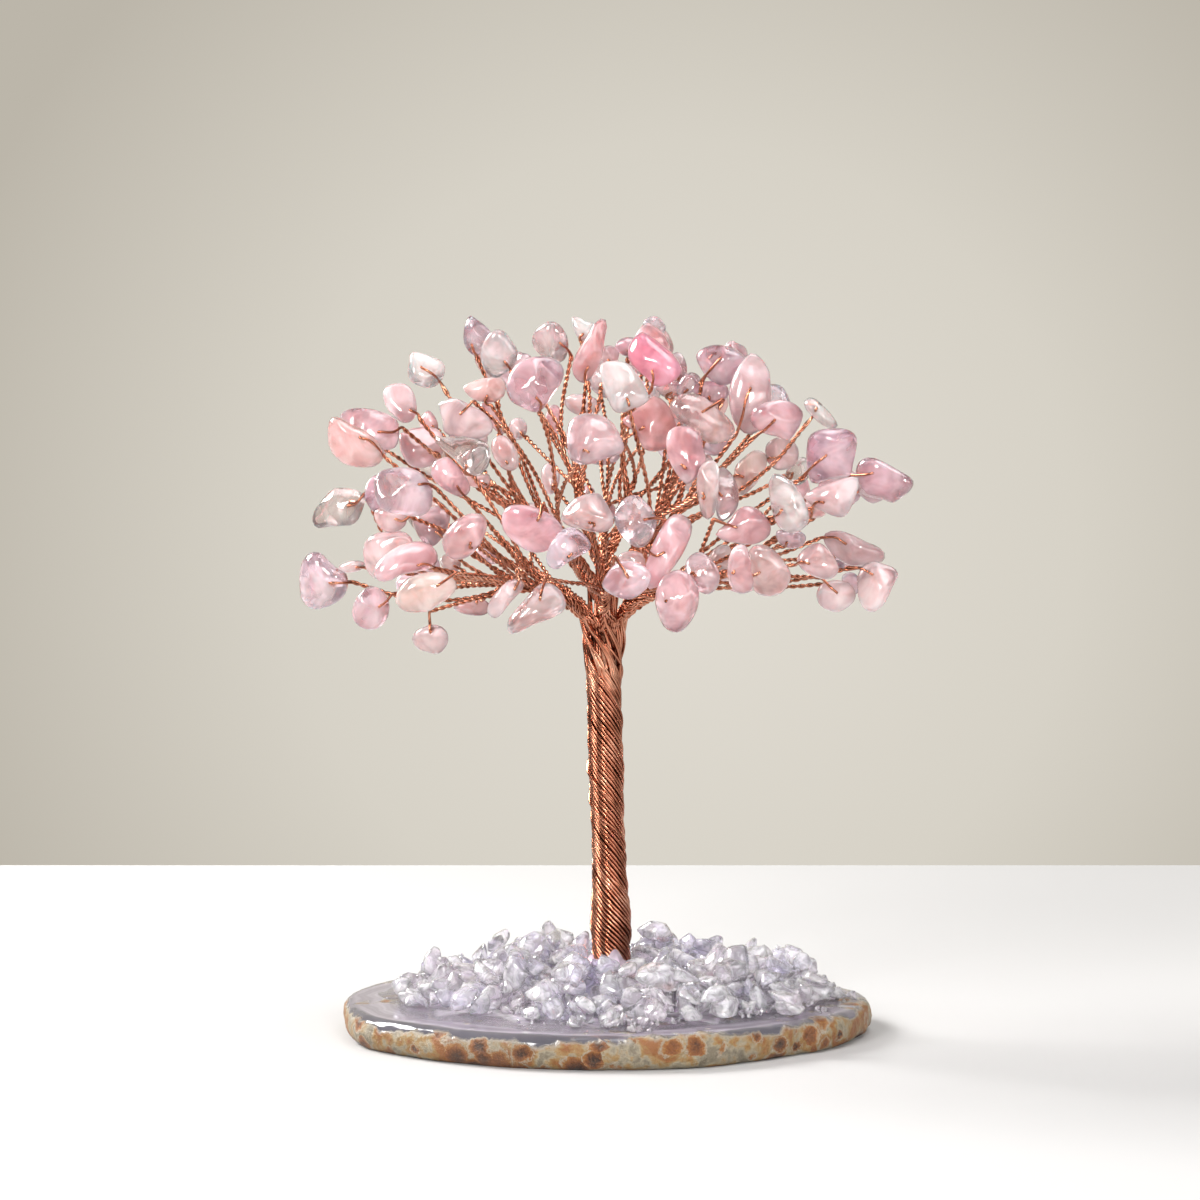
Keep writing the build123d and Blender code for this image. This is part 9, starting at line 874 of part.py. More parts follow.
        ([(-9.312,-6.871,9.103),(-11.449,-6.177,10.025),(-9.148,-9.776,9.901),(-10.626,-10.943,10.765),(-10.842,-5.285,13.115),(-11.833,-7.111,9.483),(-9.683,-8.236,8.587),(-11.355,-5.671,10.872),(-9.213,-7.142,12.229),(-9.433,-10.277,10.38),(-11.817,-10.97,11.052)],
         [(4,5,10),(6,10,5),(6,5,0),(6,0,2),(7,5,4),(7,4,0),(8,2,0),(8,0,4),(8,9,2),(8,4,10),(1,0,5),(1,5,7),(1,7,0),(3,8,10),(3,9,8),(3,2,9),(3,6,2),(3,10,6)]),
        ([(-14.532,-5.006,6.514),(-12.359,-5.085,9.522),(-12.035,-7.785,7.296),(-15.347,-6.971,10.346),(-14.204,-7.889,11.445),(-15.649,-7.456,6.633),(-11.807,-4.68,8.502),(-12.479,-8.907,11.175)],
         [(4,5,7),(2,7,5),(2,6,7),(3,5,4),(0,5,3),(0,2,5),(0,6,2),(1,3,4),(1,7,6),(1,4,7),(1,6,0),(1,0,3)]),
        ([(-5.561,-11.084,12.038),(-6.715,-8.138,14.86),(-8.323,-6.986,11.635),(-9.004,-9.521,10.526),(-5.053,-7.331,12.175),(-8.663,-7.038,12.635),(-6.537,-11.927,12.485),(-8.958,-7.272,11.521),(-5.879,-7.418,15.199),(-9.623,-10.201,12.419),(-5.551,-7.469,10.835)],
         [(3,6,9),(1,9,6),(1,6,8),(1,5,9),(1,8,5),(0,6,3),(0,3,10),(0,10,4),(0,4,8),(0,8,6),(7,10,3),(7,9,5),(7,3,9),(2,7,5),(2,10,7),(2,4,10),(2,8,4),(2,5,8)]),
        ([(-20.009,-17.325,10.991),(-19.209,-17.941,10.279),(-21.173,-15.937,8.546),(-19.684,-15.719,10.134),(-18.116,-16.308,10.481),(-21.576,-18.013,9.131),(-19.29,-18.47,8.887),(-18.15,-14.068,8.486),(-17.367,-15.096,8.267),(-19.889,-18.239,8.363),(-21.728,-18.166,9.284)],
         [(9,6,10),(9,8,6),(1,10,6),(1,0,10),(5,9,10),(2,7,8),(2,8,9),(2,9,5),(2,5,10),(2,3,7),(2,10,0),(2,0,3),(4,0,1),(4,8,7),(4,6,8),(4,1,6),(4,3,0),(4,7,3)]),
        ([(-21.472,-23.301,9.437),(-20.878,-21.698,6.489),(-20.126,-22.003,10.607),(-22.873,-18.428,6.527),(-21.051,-23.391,10.269),(-19.296,-21.794,8.463),(-21.548,-18.193,6.492),(-19.987,-22.863,9.991),(-23.647,-21.004,6.492),(-21.759,-23.027,9.265),(-19.766,-22.97,8.038),(-19.9,-20.792,6.652)],
         [(2,5,6),(1,8,6),(3,6,8),(3,2,6),(9,8,0),(7,5,2),(11,6,5),(11,1,6),(4,7,2),(4,9,0),(4,2,3),(4,3,8),(4,8,9),(10,0,8),(10,8,1),(10,4,0),(10,7,4),(10,5,7),(10,11,5),(10,1,11)]),
        ([(-14.558,-24.591,7.003),(-11.058,-26.198,7.52),(-14.572,-23.736,7.84),(-12.263,-27.32,6.629),(-12.131,-23.164,7.387),(-14.77,-23.057,6.616),(-13.63,-22.453,6.451),(-11.216,-26.042,6.489),(-11.255,-25.444,6.45),(-14.236,-23.029,6.506),(-13.998,-22.302,7.393),(-11.727,-25.675,9.043),(-13.867,-25.663,6.451)],
         [(11,3,1),(2,10,5),(2,11,10),(7,1,3),(7,8,1),(4,11,1),(4,1,8),(4,10,11),(12,5,9),(12,7,3),(12,8,7),(0,3,11),(0,11,2),(0,12,3),(0,2,5),(0,5,12),(6,10,4),(6,5,10),(6,9,5),(6,4,8),(6,8,12),(6,12,9)]),
        ([(-9.984,-21.306,6.477),(-10.306,-18.767,8.746),(-11.378,-18.007,8.018),(-12.21,-23.226,8.6),(-12.75,-21.174,7.389),(-10.105,-22.329,6.626),(-11.113,-22.125,9.555),(-10.878,-18.26,8.458),(-12.655,-21.698,6.477)],
         [(6,2,4),(3,6,4),(8,4,2),(8,2,0),(8,3,4),(5,6,3),(5,0,1),(5,1,6),(5,8,0),(5,3,8),(7,2,6),(7,6,1),(7,0,2),(7,1,0)]),
        ([(-26.647,-17.706,6.512),(-25.76,-20.85,6.513),(-21.681,-18.407,9.29),(-23.974,-16.597,10.773),(-25.578,-16.355,9.276),(-26.239,-18.683,9.533),(-21.764,-17.947,9.774),(-21.71,-17.977,10.558),(-25.267,-20.473,9.151),(-22.176,-17.021,10.366),(-22.703,-19.059,7.116),(-26.622,-17.452,7.12)],
         [(5,0,1),(10,1,0),(10,2,1),(11,0,5),(8,1,2),(8,5,1),(8,3,5),(9,2,10),(9,10,0),(6,2,9),(7,3,8),(7,9,3),(7,6,9),(7,8,2),(7,2,6),(4,0,11),(4,9,0),(4,3,9),(4,5,3),(4,11,5)]),
        ([(-18.613,-13.594,9.568),(-23.021,-11.428,11.76),(-22.613,-10.727,10.64),(-19.136,-14.379,10.794),(-19.814,-10.108,10.342),(-21.499,-8.424,12.253),(-21.95,-10.012,13.92),(-17.986,-14.373,10.695),(-22.209,-9.775,13.756),(-18.384,-10.618,10.837),(-18.71,-9.757,11.694),(-19.731,-14.438,11.454)],
         [(11,6,1),(11,7,6),(8,5,1),(8,1,6),(8,6,5),(10,4,5),(10,6,7),(10,5,6),(2,11,1),(2,4,0),(2,1,5),(2,5,4),(3,7,11),(3,0,7),(3,11,2),(3,2,0),(9,0,4),(9,4,10),(9,7,0),(9,10,7)]),
        ([(-11.093,-14.422,9.167),(-6.422,-14.605,10.432),(-10.456,-13.699,10.736),(-7.968,-15.772,10.68),(-7.529,-16.182,9.148),(-8.657,-15.752,8.558),(-7.557,-15.625,8.489),(-9.283,-16.159,9.544),(-10.591,-15.565,9.982),(-10.327,-15.194,10.884)],
         [(2,1,0),(2,0,9),(2,9,1),(6,0,1),(6,1,4),(3,4,1),(3,1,9),(3,7,4),(3,9,7),(8,9,0),(8,7,9),(5,6,4),(5,4,7),(5,0,6),(5,8,0),(5,7,8)]),
        ([(-8.104,-17.331,7.668),(-8.54,-18.219,10.63),(-8.809,-15.774,8.141),(-10.307,-16.964,11.068),(-11.418,-17.351,11.06),(-11.964,-17.554,10.239),(-9.002,-15.852,6.53),(-10.234,-18.399,6.975),(-10.768,-16.172,10.04),(-8.206,-19.23,9.608),(-9.282,-19.241,10.981)],
         [(7,10,5),(6,7,5),(6,0,7),(4,5,10),(4,10,3),(1,3,10),(9,7,0),(9,10,7),(9,0,1),(9,1,10),(8,4,3),(8,6,5),(8,5,4),(2,3,1),(2,8,3),(2,6,8),(2,0,6),(2,1,0)]),
        ([(-6.431,-0.76,12.709),(-10.203,-4.363,13.9),(-7.661,-1.328,11.308),(-7.814,-1.313,12.192),(-7.4,-3.862,10.457),(-8.021,-6.795,12.324),(-7.101,-6.15,12.535),(-5.691,-1.782,11.448),(-6.247,-5.549,11.725),(-9.556,-6.985,13.045)],
         [(4,9,1),(2,4,1),(2,7,4),(6,1,9),(3,2,1),(0,1,6),(0,3,1),(0,7,2),(0,2,3),(8,4,7),(8,7,0),(8,0,6),(5,6,9),(5,8,6),(5,9,4),(5,4,8)]),
        ([(-15.393,-6.896,15.046),(-16.606,-11.119,14.749),(-14.235,-8.563,14.764),(-17.188,-9.969,9.524),(-18.311,-9.843,10.796),(-12.986,-9.232,11.532),(-16.155,-9.155,8.362),(-15.109,-7.504,9.883),(-16.5,-6.775,15.771),(-15.782,-11.44,8.589),(-13.396,-10.919,11.396),(-15.557,-10.942,8.386)],
         [(1,8,4),(7,4,8),(7,6,4),(2,8,1),(9,1,4),(0,5,7),(0,7,8),(0,2,5),(0,8,2),(11,9,6),(11,7,5),(11,6,7),(10,1,9),(10,5,2),(10,2,1),(10,11,5),(10,9,11),(3,4,6),(3,9,4),(3,6,9)]),
        ([(-3.541,-2.878,11.239),(-7.084,-8.159,16.173),(-6.348,-1.676,14.75),(-6.731,-7.703,16.149),(-4.522,-1.926,15.245),(-3.46,-2.805,14.37),(-3.716,-4.028,11.659),(-8.878,-4.999,13.605),(-3.428,-5.506,13.309),(-4.175,-4.372,15.93),(-7.759,-8.165,16.011)],
         [(0,7,2),(10,8,1),(10,2,7),(6,7,0),(6,0,8),(6,10,7),(6,8,10),(3,2,10),(3,10,1),(3,1,8),(3,8,9),(5,8,0),(5,9,8),(4,2,3),(4,3,9),(4,9,5),(4,0,2),(4,5,0)]),
        ([(-10.827,-9.147,12.617),(-12.899,-10.9,13.223),(-12.395,-9.517,10.82),(-12.78,-10.553,11.446),(-14.275,-10.156,14.151),(-11.546,-8.667,13.573),(-10.601,-9.362,12.968),(-10.764,-11.142,12.364),(-13.022,-10.374,11.691),(-13.889,-7.946,14.654),(-12.65,-9.344,11.025),(-12.871,-8.095,12.273),(-13.374,-10.216,12.072)],
         [(7,6,4),(5,4,6),(5,9,4),(3,2,7),(3,10,2),(0,5,6),(0,6,7),(0,7,2),(11,9,5),(11,5,0),(11,2,10),(11,0,2),(1,7,4),(1,4,3),(1,3,7),(12,3,4),(12,11,10),(12,4,9),(12,9,11),(8,10,3),(8,12,10),(8,3,12)]),
        ([(-2.823,-10.561,13.764),(-6.175,-10.866,15.927),(-3.584,-12.829,14.491),(-5.385,-13.613,15.665),(-8.615,-12.422,13.57),(-4.683,-12.665,11.674),(-4.308,-9.564,14.321),(-7.899,-14.106,12.113),(-3.185,-10.454,12.424),(-8.422,-12.392,12.977)],
         [(2,0,1),(8,0,2),(3,4,7),(3,1,4),(3,7,2),(3,2,1),(9,7,4),(5,2,7),(5,8,2),(5,7,9),(5,9,8),(6,8,9),(6,1,0),(6,0,8),(6,4,1),(6,9,4)]),
        ([(-32.27,-15.362,9.428),(-30.775,-16.324,6.931),(-31.655,-14.597,9.347),(-31.096,-13.487,6.833),(-30.13,-15.688,7.406),(-32.377,-13.954,9.374),(-30.342,-16.602,6.821),(-30.876,-16.687,8.284),(-33.309,-12.496,7.702),(-30.179,-15.425,6.478)],
         [(1,0,8),(1,7,0),(2,7,4),(2,0,7),(9,1,8),(6,4,7),(6,7,1),(6,9,4),(6,1,9),(3,2,4),(3,9,8),(3,4,9),(5,8,0),(5,0,2),(5,3,8),(5,2,3)]),
        ([(-13.236,-25.285,10.978),(-10.628,-22.091,9.557),(-10.125,-23.067,13.334),(-12.17,-21.832,10.567),(-13.964,-23.326,10.056),(-9.549,-26.108,10.949),(-9.53,-24.976,8.522),(-11.619,-25.729,11.065),(-7.37,-22.625,11.54),(-11.13,-25.226,12.299),(-12.485,-26.224,9.398),(-14.112,-23.741,10.557)],
         [(6,1,8),(4,10,11),(4,6,10),(4,1,6),(3,2,8),(3,8,1),(3,1,4),(3,11,2),(3,4,11),(0,2,11),(0,9,2),(0,11,10),(5,8,2),(5,2,9),(5,6,8),(5,10,6),(7,10,5),(7,5,9),(7,0,10),(7,9,0)]),
    ],
    'quartz_chips_front': [
        ([(1.25,-21.709,7.004),(1.317,-19.645,6.455),(5.287,-22.223,6.461),(1.933,-17.623,7.059),(3.51,-20.284,8.864),(7.763,-19.954,6.457),(6.923,-19.44,7.774),(2.265,-19.747,8.799),(6.978,-17.637,6.799)],
         [(1,8,5),(1,3,8),(7,0,4),(7,1,0),(7,3,1),(7,8,3),(7,4,8),(6,5,8),(6,8,4),(2,0,1),(2,1,5),(2,4,0),(2,5,6),(2,6,4)]),
        ([(1.005,-21.15,10.516),(1.611,-23.301,7.563),(-3.083,-22.626,9.895),(0.675,-23.726,6.483),(-1.389,-20.052,7.635),(-1.947,-23.275,9.49),(-2.995,-22.475,6.802),(-2.29,-22.032,6.483),(-2.206,-23.905,7.642),(0.721,-20.072,7.512),(1.514,-21.022,8.221)],
         [(0,4,2),(6,2,4),(9,4,0),(8,2,6),(10,0,1),(10,1,9),(10,9,0),(3,9,1),(3,1,8),(3,8,6),(7,6,4),(7,4,9),(7,3,6),(7,9,3),(5,2,8),(5,8,1),(5,0,2),(5,1,0)]),
        ([(-2.434,-12.412,10.215),(-0.97,-12.201,6.929),(0.337,-12.389,11.045),(-3.04,-14.506,10.261),(0.842,-15.121,7.949),(0.957,-12.633,7.857),(-3.616,-14.989,6.506),(1.5,-14.236,8.975),(-2.017,-15.814,9.124),(1.086,-13.788,9.569),(-0.416,-16.084,6.504)],
         [(10,6,1),(10,8,6),(3,6,8),(3,8,2),(9,7,2),(9,8,7),(9,2,8),(5,10,1),(5,2,7),(5,1,2),(0,2,1),(0,3,2),(0,1,6),(0,6,3),(4,5,7),(4,10,5),(4,7,8),(4,8,10)]),
        ([(-6.237,-20.155,6.477),(-6.902,-19.899,7.712),(-7.014,-19.142,9.674),(-6.579,-14.2,9.57),(-6.589,-13.878,6.482),(-3.701,-19.295,6.94),(-5.816,-13.964,6.686),(-7.612,-17.674,8.362),(-6.915,-13.789,6.478),(-6.816,-14.164,9.443),(-4.37,-20.027,8.409)],
         [(0,7,8),(1,7,0),(9,8,7),(9,3,8),(6,3,5),(6,8,3),(2,7,1),(2,9,7),(2,3,9),(4,6,5),(4,8,6),(4,5,0),(4,0,8),(10,2,1),(10,0,5),(10,1,0),(10,5,3),(10,3,2)]),
        ([(-5.271,-22.731,9.011),(-4.335,-22.673,6.472),(-2.901,-20.198,7.792),(-6.025,-21.773,8.676),(-3.997,-19.976,8.495),(-3.3,-21.894,7.445),(-3.124,-20.259,7.591),(-6.559,-22.69,8.809),(-6.584,-21.426,6.475),(-4.571,-20.32,6.473)],
         [(4,0,2),(9,1,8),(9,8,4),(9,4,2),(5,1,2),(5,2,0),(5,0,1),(7,8,1),(7,1,0),(6,2,1),(6,9,2),(6,1,9),(3,0,4),(3,7,0),(3,4,8),(3,8,7)]),
        ([(0.06,-9.348,6.454),(-0.576,-7.994,7.295),(-0.991,-11.171,8.571),(-0.519,-9.773,8.342),(0.405,-9.836,7.391),(-2.429,-9.351,6.456),(-2.245,-11.856,7.187),(-0.506,-12.135,8.004),(-1.298,-11.175,6.462)],
         [(3,4,1),(3,7,4),(3,2,7),(3,5,2),(3,1,5),(6,5,8),(6,8,7),(6,2,5),(6,7,2),(0,4,7),(0,7,8),(0,1,4),(0,5,1),(0,8,5)]),
        ([(8.412,-24.799,8.621),(8.992,-24.295,6.458),(9.047,-24.992,7.022),(7.195,-22.233,6.457),(9.779,-23.1,8.344),(6.476,-20.745,7.336),(6.532,-22.366,6.502),(9.129,-22.79,6.458),(6.84,-20.602,8.103)],
         [(2,4,0),(8,0,4),(8,7,5),(8,4,7),(6,2,0),(6,8,5),(6,0,8),(1,4,2),(1,7,4),(1,2,6),(3,5,7),(3,6,5),(3,7,1),(3,1,6)]),
        ([(3.125,-11.028,10.556),(3.286,-9.491,10.435),(2.759,-10.597,6.548),(5.548,-10.632,6.496),(3.066,-11.708,7.855),(6.087,-11.234,9.133),(3.843,-11.916,7.434),(6.155,-11.115,8.307),(2.246,-9.724,10.549),(2.062,-9.411,9.682),(5.411,-11.473,7.143)],
         [(1,3,9),(1,7,3),(4,6,0),(10,3,7),(10,6,3),(8,1,9),(8,0,1),(8,9,4),(8,4,0),(5,7,1),(5,1,0),(5,0,6),(5,10,7),(5,6,10),(2,3,6),(2,6,4),(2,9,3),(2,4,9)]),
        ([(0.67,-17.879,13.85),(2.72,-17.865,8.135),(3.177,-19.604,8.907),(-1.324,-20.817,10.839),(-0.71,-18.142,13.212),(2.291,-20.755,9.351),(-0.369,-16.935,8.487),(-1.727,-19.222,8.689),(-1.632,-18.316,11.59),(-0.785,-17.579,12.262)],
         [(1,7,6),(1,0,2),(1,6,0),(8,6,7),(8,7,3),(5,2,0),(5,0,3),(5,3,7),(5,7,1),(5,1,2),(9,0,6),(9,6,8),(4,3,0),(4,8,3),(4,0,9),(4,9,8)]),
        ([(0.979,-17.924,8.241),(-3.169,-16.373,8.712),(0.986,-17.367,7.813),(-1.673,-17.557,6.465),(-3.002,-15.953,8.2),(1.441,-18.262,7.263),(-4.138,-19.839,8.322),(-0.519,-16.827,6.905),(-2.698,-19.042,6.709),(-4.351,-20.09,8.909),(1.547,-18.076,6.469),(1.527,-18.288,7.733)],
         [(8,10,9),(8,3,10),(8,4,3),(7,10,3),(7,3,4),(11,0,9),(1,4,9),(1,9,0),(6,9,4),(6,8,9),(6,4,8),(2,7,4),(2,4,1),(2,1,0),(2,10,7),(2,11,10),(2,0,11),(5,9,10),(5,11,9),(5,10,11)]),
        ([(2.51,-9.361,7.54),(1.749,-8.854,7.095),(1.304,-12.26,9.597),(-1.673,-11.702,9.794),(1.326,-9.909,6.48),(2.498,-9.707,7.713),(2.25,-9.922,7.665),(1.177,-10.411,9.639),(-1.443,-12.123,9.121),(0.614,-8.679,7.704)],
         [(7,3,2),(1,0,4),(8,2,3),(8,4,2),(5,4,0),(5,0,7),(5,7,2),(9,7,0),(9,0,1),(9,3,7),(9,1,4),(9,8,3),(9,4,8),(6,2,4),(6,5,2),(6,4,5)]),
        ([(-1.946,-11.838,6.452),(-5.394,-9.519,7.806),(-4.837,-11.922,8.649),(-5.113,-10.315,7.223),(-5.211,-11.19,7.999),(-1.449,-11.439,6.462),(-3.744,-11.549,6.533)],
         [(2,5,1),(0,5,2),(4,2,1),(6,5,0),(6,0,2),(6,2,4),(3,1,5),(3,5,6),(3,4,1),(3,6,4)]),
        ([(-4.409,-12.058,8.525),(-3.027,-8.554,10.351),(-4.986,-10.744,10.928),(-4.702,-11.652,11.579),(-3.009,-12.958,11.447),(-5.603,-9.58,8.042),(-2.711,-10.57,6.862),(-2.4,-8.657,9.748),(-1.82,-11.95,10.298),(-5.663,-9.5,8.885),(-1.82,-11.15,7.985),(-3.875,-12.8,11.811)],
         [(7,1,8),(2,1,9),(4,8,1),(4,1,11),(5,7,6),(5,9,1),(5,1,7),(10,7,8),(10,6,7),(10,8,4),(3,11,1),(3,1,2),(3,2,9),(3,9,5),(0,4,11),(0,5,6),(0,6,10),(0,10,4),(0,11,3),(0,3,5)]),
        ([(5.636,-14.213,6.785),(4.171,-12.86,7.849),(5.474,-15.181,7.422),(4.084,-15.435,6.458),(2.966,-16.409,8.627),(5.665,-14.322,8.105),(3.148,-13.833,8.265),(5.394,-14.847,8.393),(2.202,-15.188,7.829),(4.493,-12.867,6.47)],
         [(4,8,3),(9,3,8),(9,0,3),(9,1,5),(9,5,0),(6,8,4),(6,9,8),(6,1,9),(2,4,3),(2,0,5),(2,3,0),(7,6,4),(7,2,5),(7,4,2),(7,5,1),(7,1,6)]),
        ([(5.574,-22.562,7.367),(5.572,-22.333,7.085),(7.433,-23.951,7.449),(4.117,-22.922,6.459),(4.215,-24.457,6.598),(5.352,-24.573,9.375),(3.36,-23.089,7.539),(7.71,-25.371,8.347),(7.413,-24.387,6.46),(6.668,-25.708,6.46)],
         [(5,9,7),(3,6,1),(8,7,9),(8,3,1),(8,9,3),(0,1,6),(0,6,5),(4,5,6),(4,9,5),(4,6,3),(4,3,9),(2,7,8),(2,8,1),(2,1,0),(2,5,7),(2,0,5)]),
        ([(2.868,-17.895,7.457),(7.459,-15.67,6.672),(8.127,-16.255,7.361),(5.522,-15.233,7.341),(5.144,-19.098,8.183),(8.13,-17.26,6.799),(3.739,-18.846,8.058),(6.652,-18.04,8.312),(2.916,-18.416,8.201),(3.881,-16.213,7.933),(7.104,-16.027,6.463)],
         [(4,5,7),(10,5,0),(10,0,3),(9,3,0),(9,7,3),(2,7,5),(2,3,7),(6,0,5),(6,5,4),(1,10,3),(1,3,2),(1,5,10),(1,2,5),(8,7,9),(8,4,7),(8,6,4),(8,9,0),(8,0,6)]),
        ([(6.618,-12.529,9.381),(3.428,-12.106,7.765),(5.318,-11.62,8.586),(4.416,-11.551,8.691),(2.975,-13.232,10.505),(4.981,-11.354,9.246),(6.735,-13.413,7.866),(4.952,-14.423,8.985),(2.179,-11.861,10.15),(5.135,-11.502,8.834),(4.3,-14.708,8.508)],
         [(1,10,8),(1,6,10),(3,1,8),(2,6,1),(2,0,6),(2,1,3),(2,3,9),(4,8,10),(4,0,8),(7,10,6),(7,6,0),(7,4,10),(7,0,4),(5,8,0),(5,3,8),(5,9,3),(5,2,9),(5,0,2)]),
        ([(1.936,-9.806,11.754),(1.133,-9.244,11.817),(3.18,-9.322,10.105),(1.369,-5.98,6.563),(-0.732,-8.314,7.669),(2.23,-5.558,7.257),(1.865,-8.647,6.849),(2.386,-5.815,8.281),(0.672,-8.294,7.113)],
         [(6,5,2),(7,4,1),(7,2,5),(3,5,6),(3,4,7),(3,7,5),(0,6,2),(0,2,7),(0,7,1),(0,1,4),(0,4,6),(8,6,4),(8,4,3),(8,3,6)]),
        ([(0.841,-8.73,10.854),(-1.502,-7.732,12.16),(-0.709,-7.937,13.563),(2.302,-7.334,11.888),(0.622,-4.645,12.147),(-2.804,-5.84,9.457),(1.444,-6.65,10.84),(2.174,-7.746,12.84),(-2.137,-3.249,11.575),(-0.623,-6.229,9.383),(-0.211,-8.053,10.139),(-3.281,-3.603,13.361)],
         [(7,11,2),(7,0,3),(7,2,0),(5,11,8),(5,8,9),(6,3,0),(6,0,9),(4,7,3),(4,3,6),(4,11,7),(4,8,11),(4,9,8),(4,6,9),(1,2,11),(1,11,5),(1,0,2),(10,0,1),(10,1,5),(10,9,0),(10,5,9)]),
        ([(1.779,-15.753,11.977),(5.984,-13.364,9.967),(6.076,-15.085,9.011),(5.893,-13.059,9.586),(4.32,-16.776,8.28),(0.859,-17.18,9.776),(0.672,-14.407,10.7),(2.398,-15.213,11.87),(6.037,-13.051,11.1),(1.172,-17.082,8.77),(2.537,-17.52,9.094),(1.817,-17.507,8.716)],
         [(0,10,2),(8,0,2),(1,8,2),(7,6,0),(7,8,6),(7,0,8),(4,2,10),(5,10,0),(5,0,6),(5,6,9),(11,4,10),(11,9,4),(11,10,5),(11,5,9),(3,4,9),(3,9,6),(3,1,2),(3,2,4),(3,6,8),(3,8,1)]),
        ([(4.754,-17.806,8.381),(3.943,-17.683,8.234),(6.147,-13.649,10.762),(7.18,-15.593,11.538),(6.324,-13.41,10.603),(3.951,-15.424,10.553),(7.096,-15.468,11.273),(5.223,-17.981,9.065),(3.571,-17.117,9.981)],
         [(7,3,8),(7,8,1),(5,8,3),(5,1,8),(5,4,1),(6,4,3),(6,3,7),(0,1,4),(0,7,1),(0,4,6),(0,6,7),(2,3,4),(2,5,3),(2,4,5)]),
        ([(0.065,-10.34,10.789),(0.946,-10.07,10.836),(1.013,-10.086,11.654),(0.285,-11.498,11.736),(2.081,-11.063,9.411),(1.355,-12.136,9.665),(-0.426,-10.43,11.519),(0.134,-11.953,10.65),(1.652,-10.339,11.999),(3.264,-11.26,11.055),(-0.216,-10.663,10.197),(2.653,-10.604,10.172)],
         [(4,9,5),(3,5,9),(10,4,5),(10,1,4),(8,6,3),(8,3,9),(11,9,4),(11,4,1),(11,8,9),(7,5,3),(7,10,5),(7,3,6),(7,6,10),(0,6,1),(0,10,6),(0,1,10),(2,1,6),(2,6,8),(2,11,1),(2,8,11)]),
        ([(-4.738,-21.083,9.875),(-3.723,-20.485,9.07),(-3.359,-20.499,9.362),(-3.955,-23.074,8.917),(-4.985,-22.784,8.771),(-3.292,-23.837,7.576),(-3.33,-24.278,6.498),(-3.872,-24.13,7.343),(-3.379,-20.735,8.091),(-4.493,-23.376,8.457)],
         [(8,6,4),(8,5,6),(0,4,3),(0,8,4),(0,1,8),(2,3,5),(2,5,8),(2,8,1),(2,1,0),(2,0,3),(7,6,5),(7,5,3),(7,4,6),(9,3,4),(9,4,7),(9,7,3)]),
        ([(-0.404,-9.372,8.859),(-4.799,-9.008,11.776),(-2.055,-10.127,12.892),(-3.865,-8.741,13.255),(-4.305,-7.902,11.166),(-3.484,-10.34,11.545),(-2.774,-10.327,13.054),(-4.703,-8.343,11.766),(0.392,-9.966,9.086),(-0.09,-8.48,11.58)],
         [(9,4,3),(0,1,4),(0,9,8),(0,4,9),(6,3,1),(7,4,1),(7,1,3),(7,3,4),(5,6,1),(5,8,6),(5,1,0),(5,0,8),(2,8,9),(2,6,8),(2,9,3),(2,3,6)]),
        ([(9.47,-22.713,10.058),(9.849,-21.405,9.137),(6.873,-21.566,9.167),(8.209,-23.001,8.477),(7.505,-22.923,11.106),(6.464,-21.711,11.891),(7.294,-19.907,10.588),(9.638,-20.876,8.986),(7.527,-22.976,9.888),(6.898,-20.13,9.007),(9.46,-22.72,10.097)],
         [(9,5,6),(10,6,5),(10,1,6),(2,5,9),(2,9,3),(7,1,3),(7,3,9),(7,6,1),(7,9,6),(4,10,5),(4,3,10),(0,3,1),(0,1,10),(0,10,3),(8,2,3),(8,3,4),(8,5,2),(8,4,5)]),
        ([(9.217,-26.628,6.485),(6.391,-27.944,6.485),(5.206,-26.828,8.496),(9.822,-28.88,7.971),(9.648,-29.926,7.523),(8.228,-29.02,9.329),(6.348,-29.45,7.498),(6.45,-25.438,10.226),(8.419,-24.151,10.145),(9.031,-28.755,6.487)],
         [(5,3,8),(0,2,8),(0,1,2),(0,8,3),(7,8,2),(7,2,5),(7,5,8),(6,2,1),(6,5,2),(9,1,0),(9,6,1),(4,3,5),(4,5,6),(4,6,9),(4,0,3),(4,9,0)]),
        ([(0.31,-12.219,11.786),(-2.527,-12.797,12.242),(2.08,-13.455,10.794),(-0.212,-14.34,11.744),(-0.684,-15.106,9.614),(2.493,-13.862,9.464),(1.789,-13.182,9.872),(-2.602,-12.62,12.105),(1.703,-14.114,9.115),(-0.458,-14.788,11.008)],
         [(8,4,7),(8,5,4),(6,8,7),(6,5,8),(9,4,5),(9,5,3),(1,9,3),(1,7,4),(1,4,9),(2,3,5),(2,5,6),(0,6,7),(0,2,6),(0,7,1),(0,1,3),(0,3,2)]),
        ([(-7.355,-23.824,7.66),(-8.624,-24.071,6.933),(-9.658,-19.351,9.201),(-8.657,-20.828,11.41),(-8.072,-20.572,11.337),(-8.564,-23.417,6.526),(-9.753,-20.274,6.525),(-7.881,-19.025,8.768),(-8.554,-23.264,10.118),(-8.15,-23.412,9.919),(-8.318,-20.865,11.388),(-8.874,-20.383,11.142)],
         [(2,7,6),(5,6,7),(5,7,0),(4,0,7),(8,2,6),(11,3,4),(11,8,3),(11,2,8),(11,7,2),(11,4,7),(1,5,0),(1,6,5),(1,8,6),(9,0,4),(9,1,0),(9,8,1),(10,3,8),(10,8,9),(10,4,3),(10,9,4)]),
        ([(4.067,-21.002,10.247),(4.154,-22.51,9.42),(4.155,-22.316,10.324),(7.008,-23.483,11.618),(7.507,-22.794,9.39),(5.521,-21.684,7.142),(4.97,-19.029,9.114),(6.794,-22.879,7.607),(6.498,-24.01,8.998),(4.18,-22.678,7.814)],
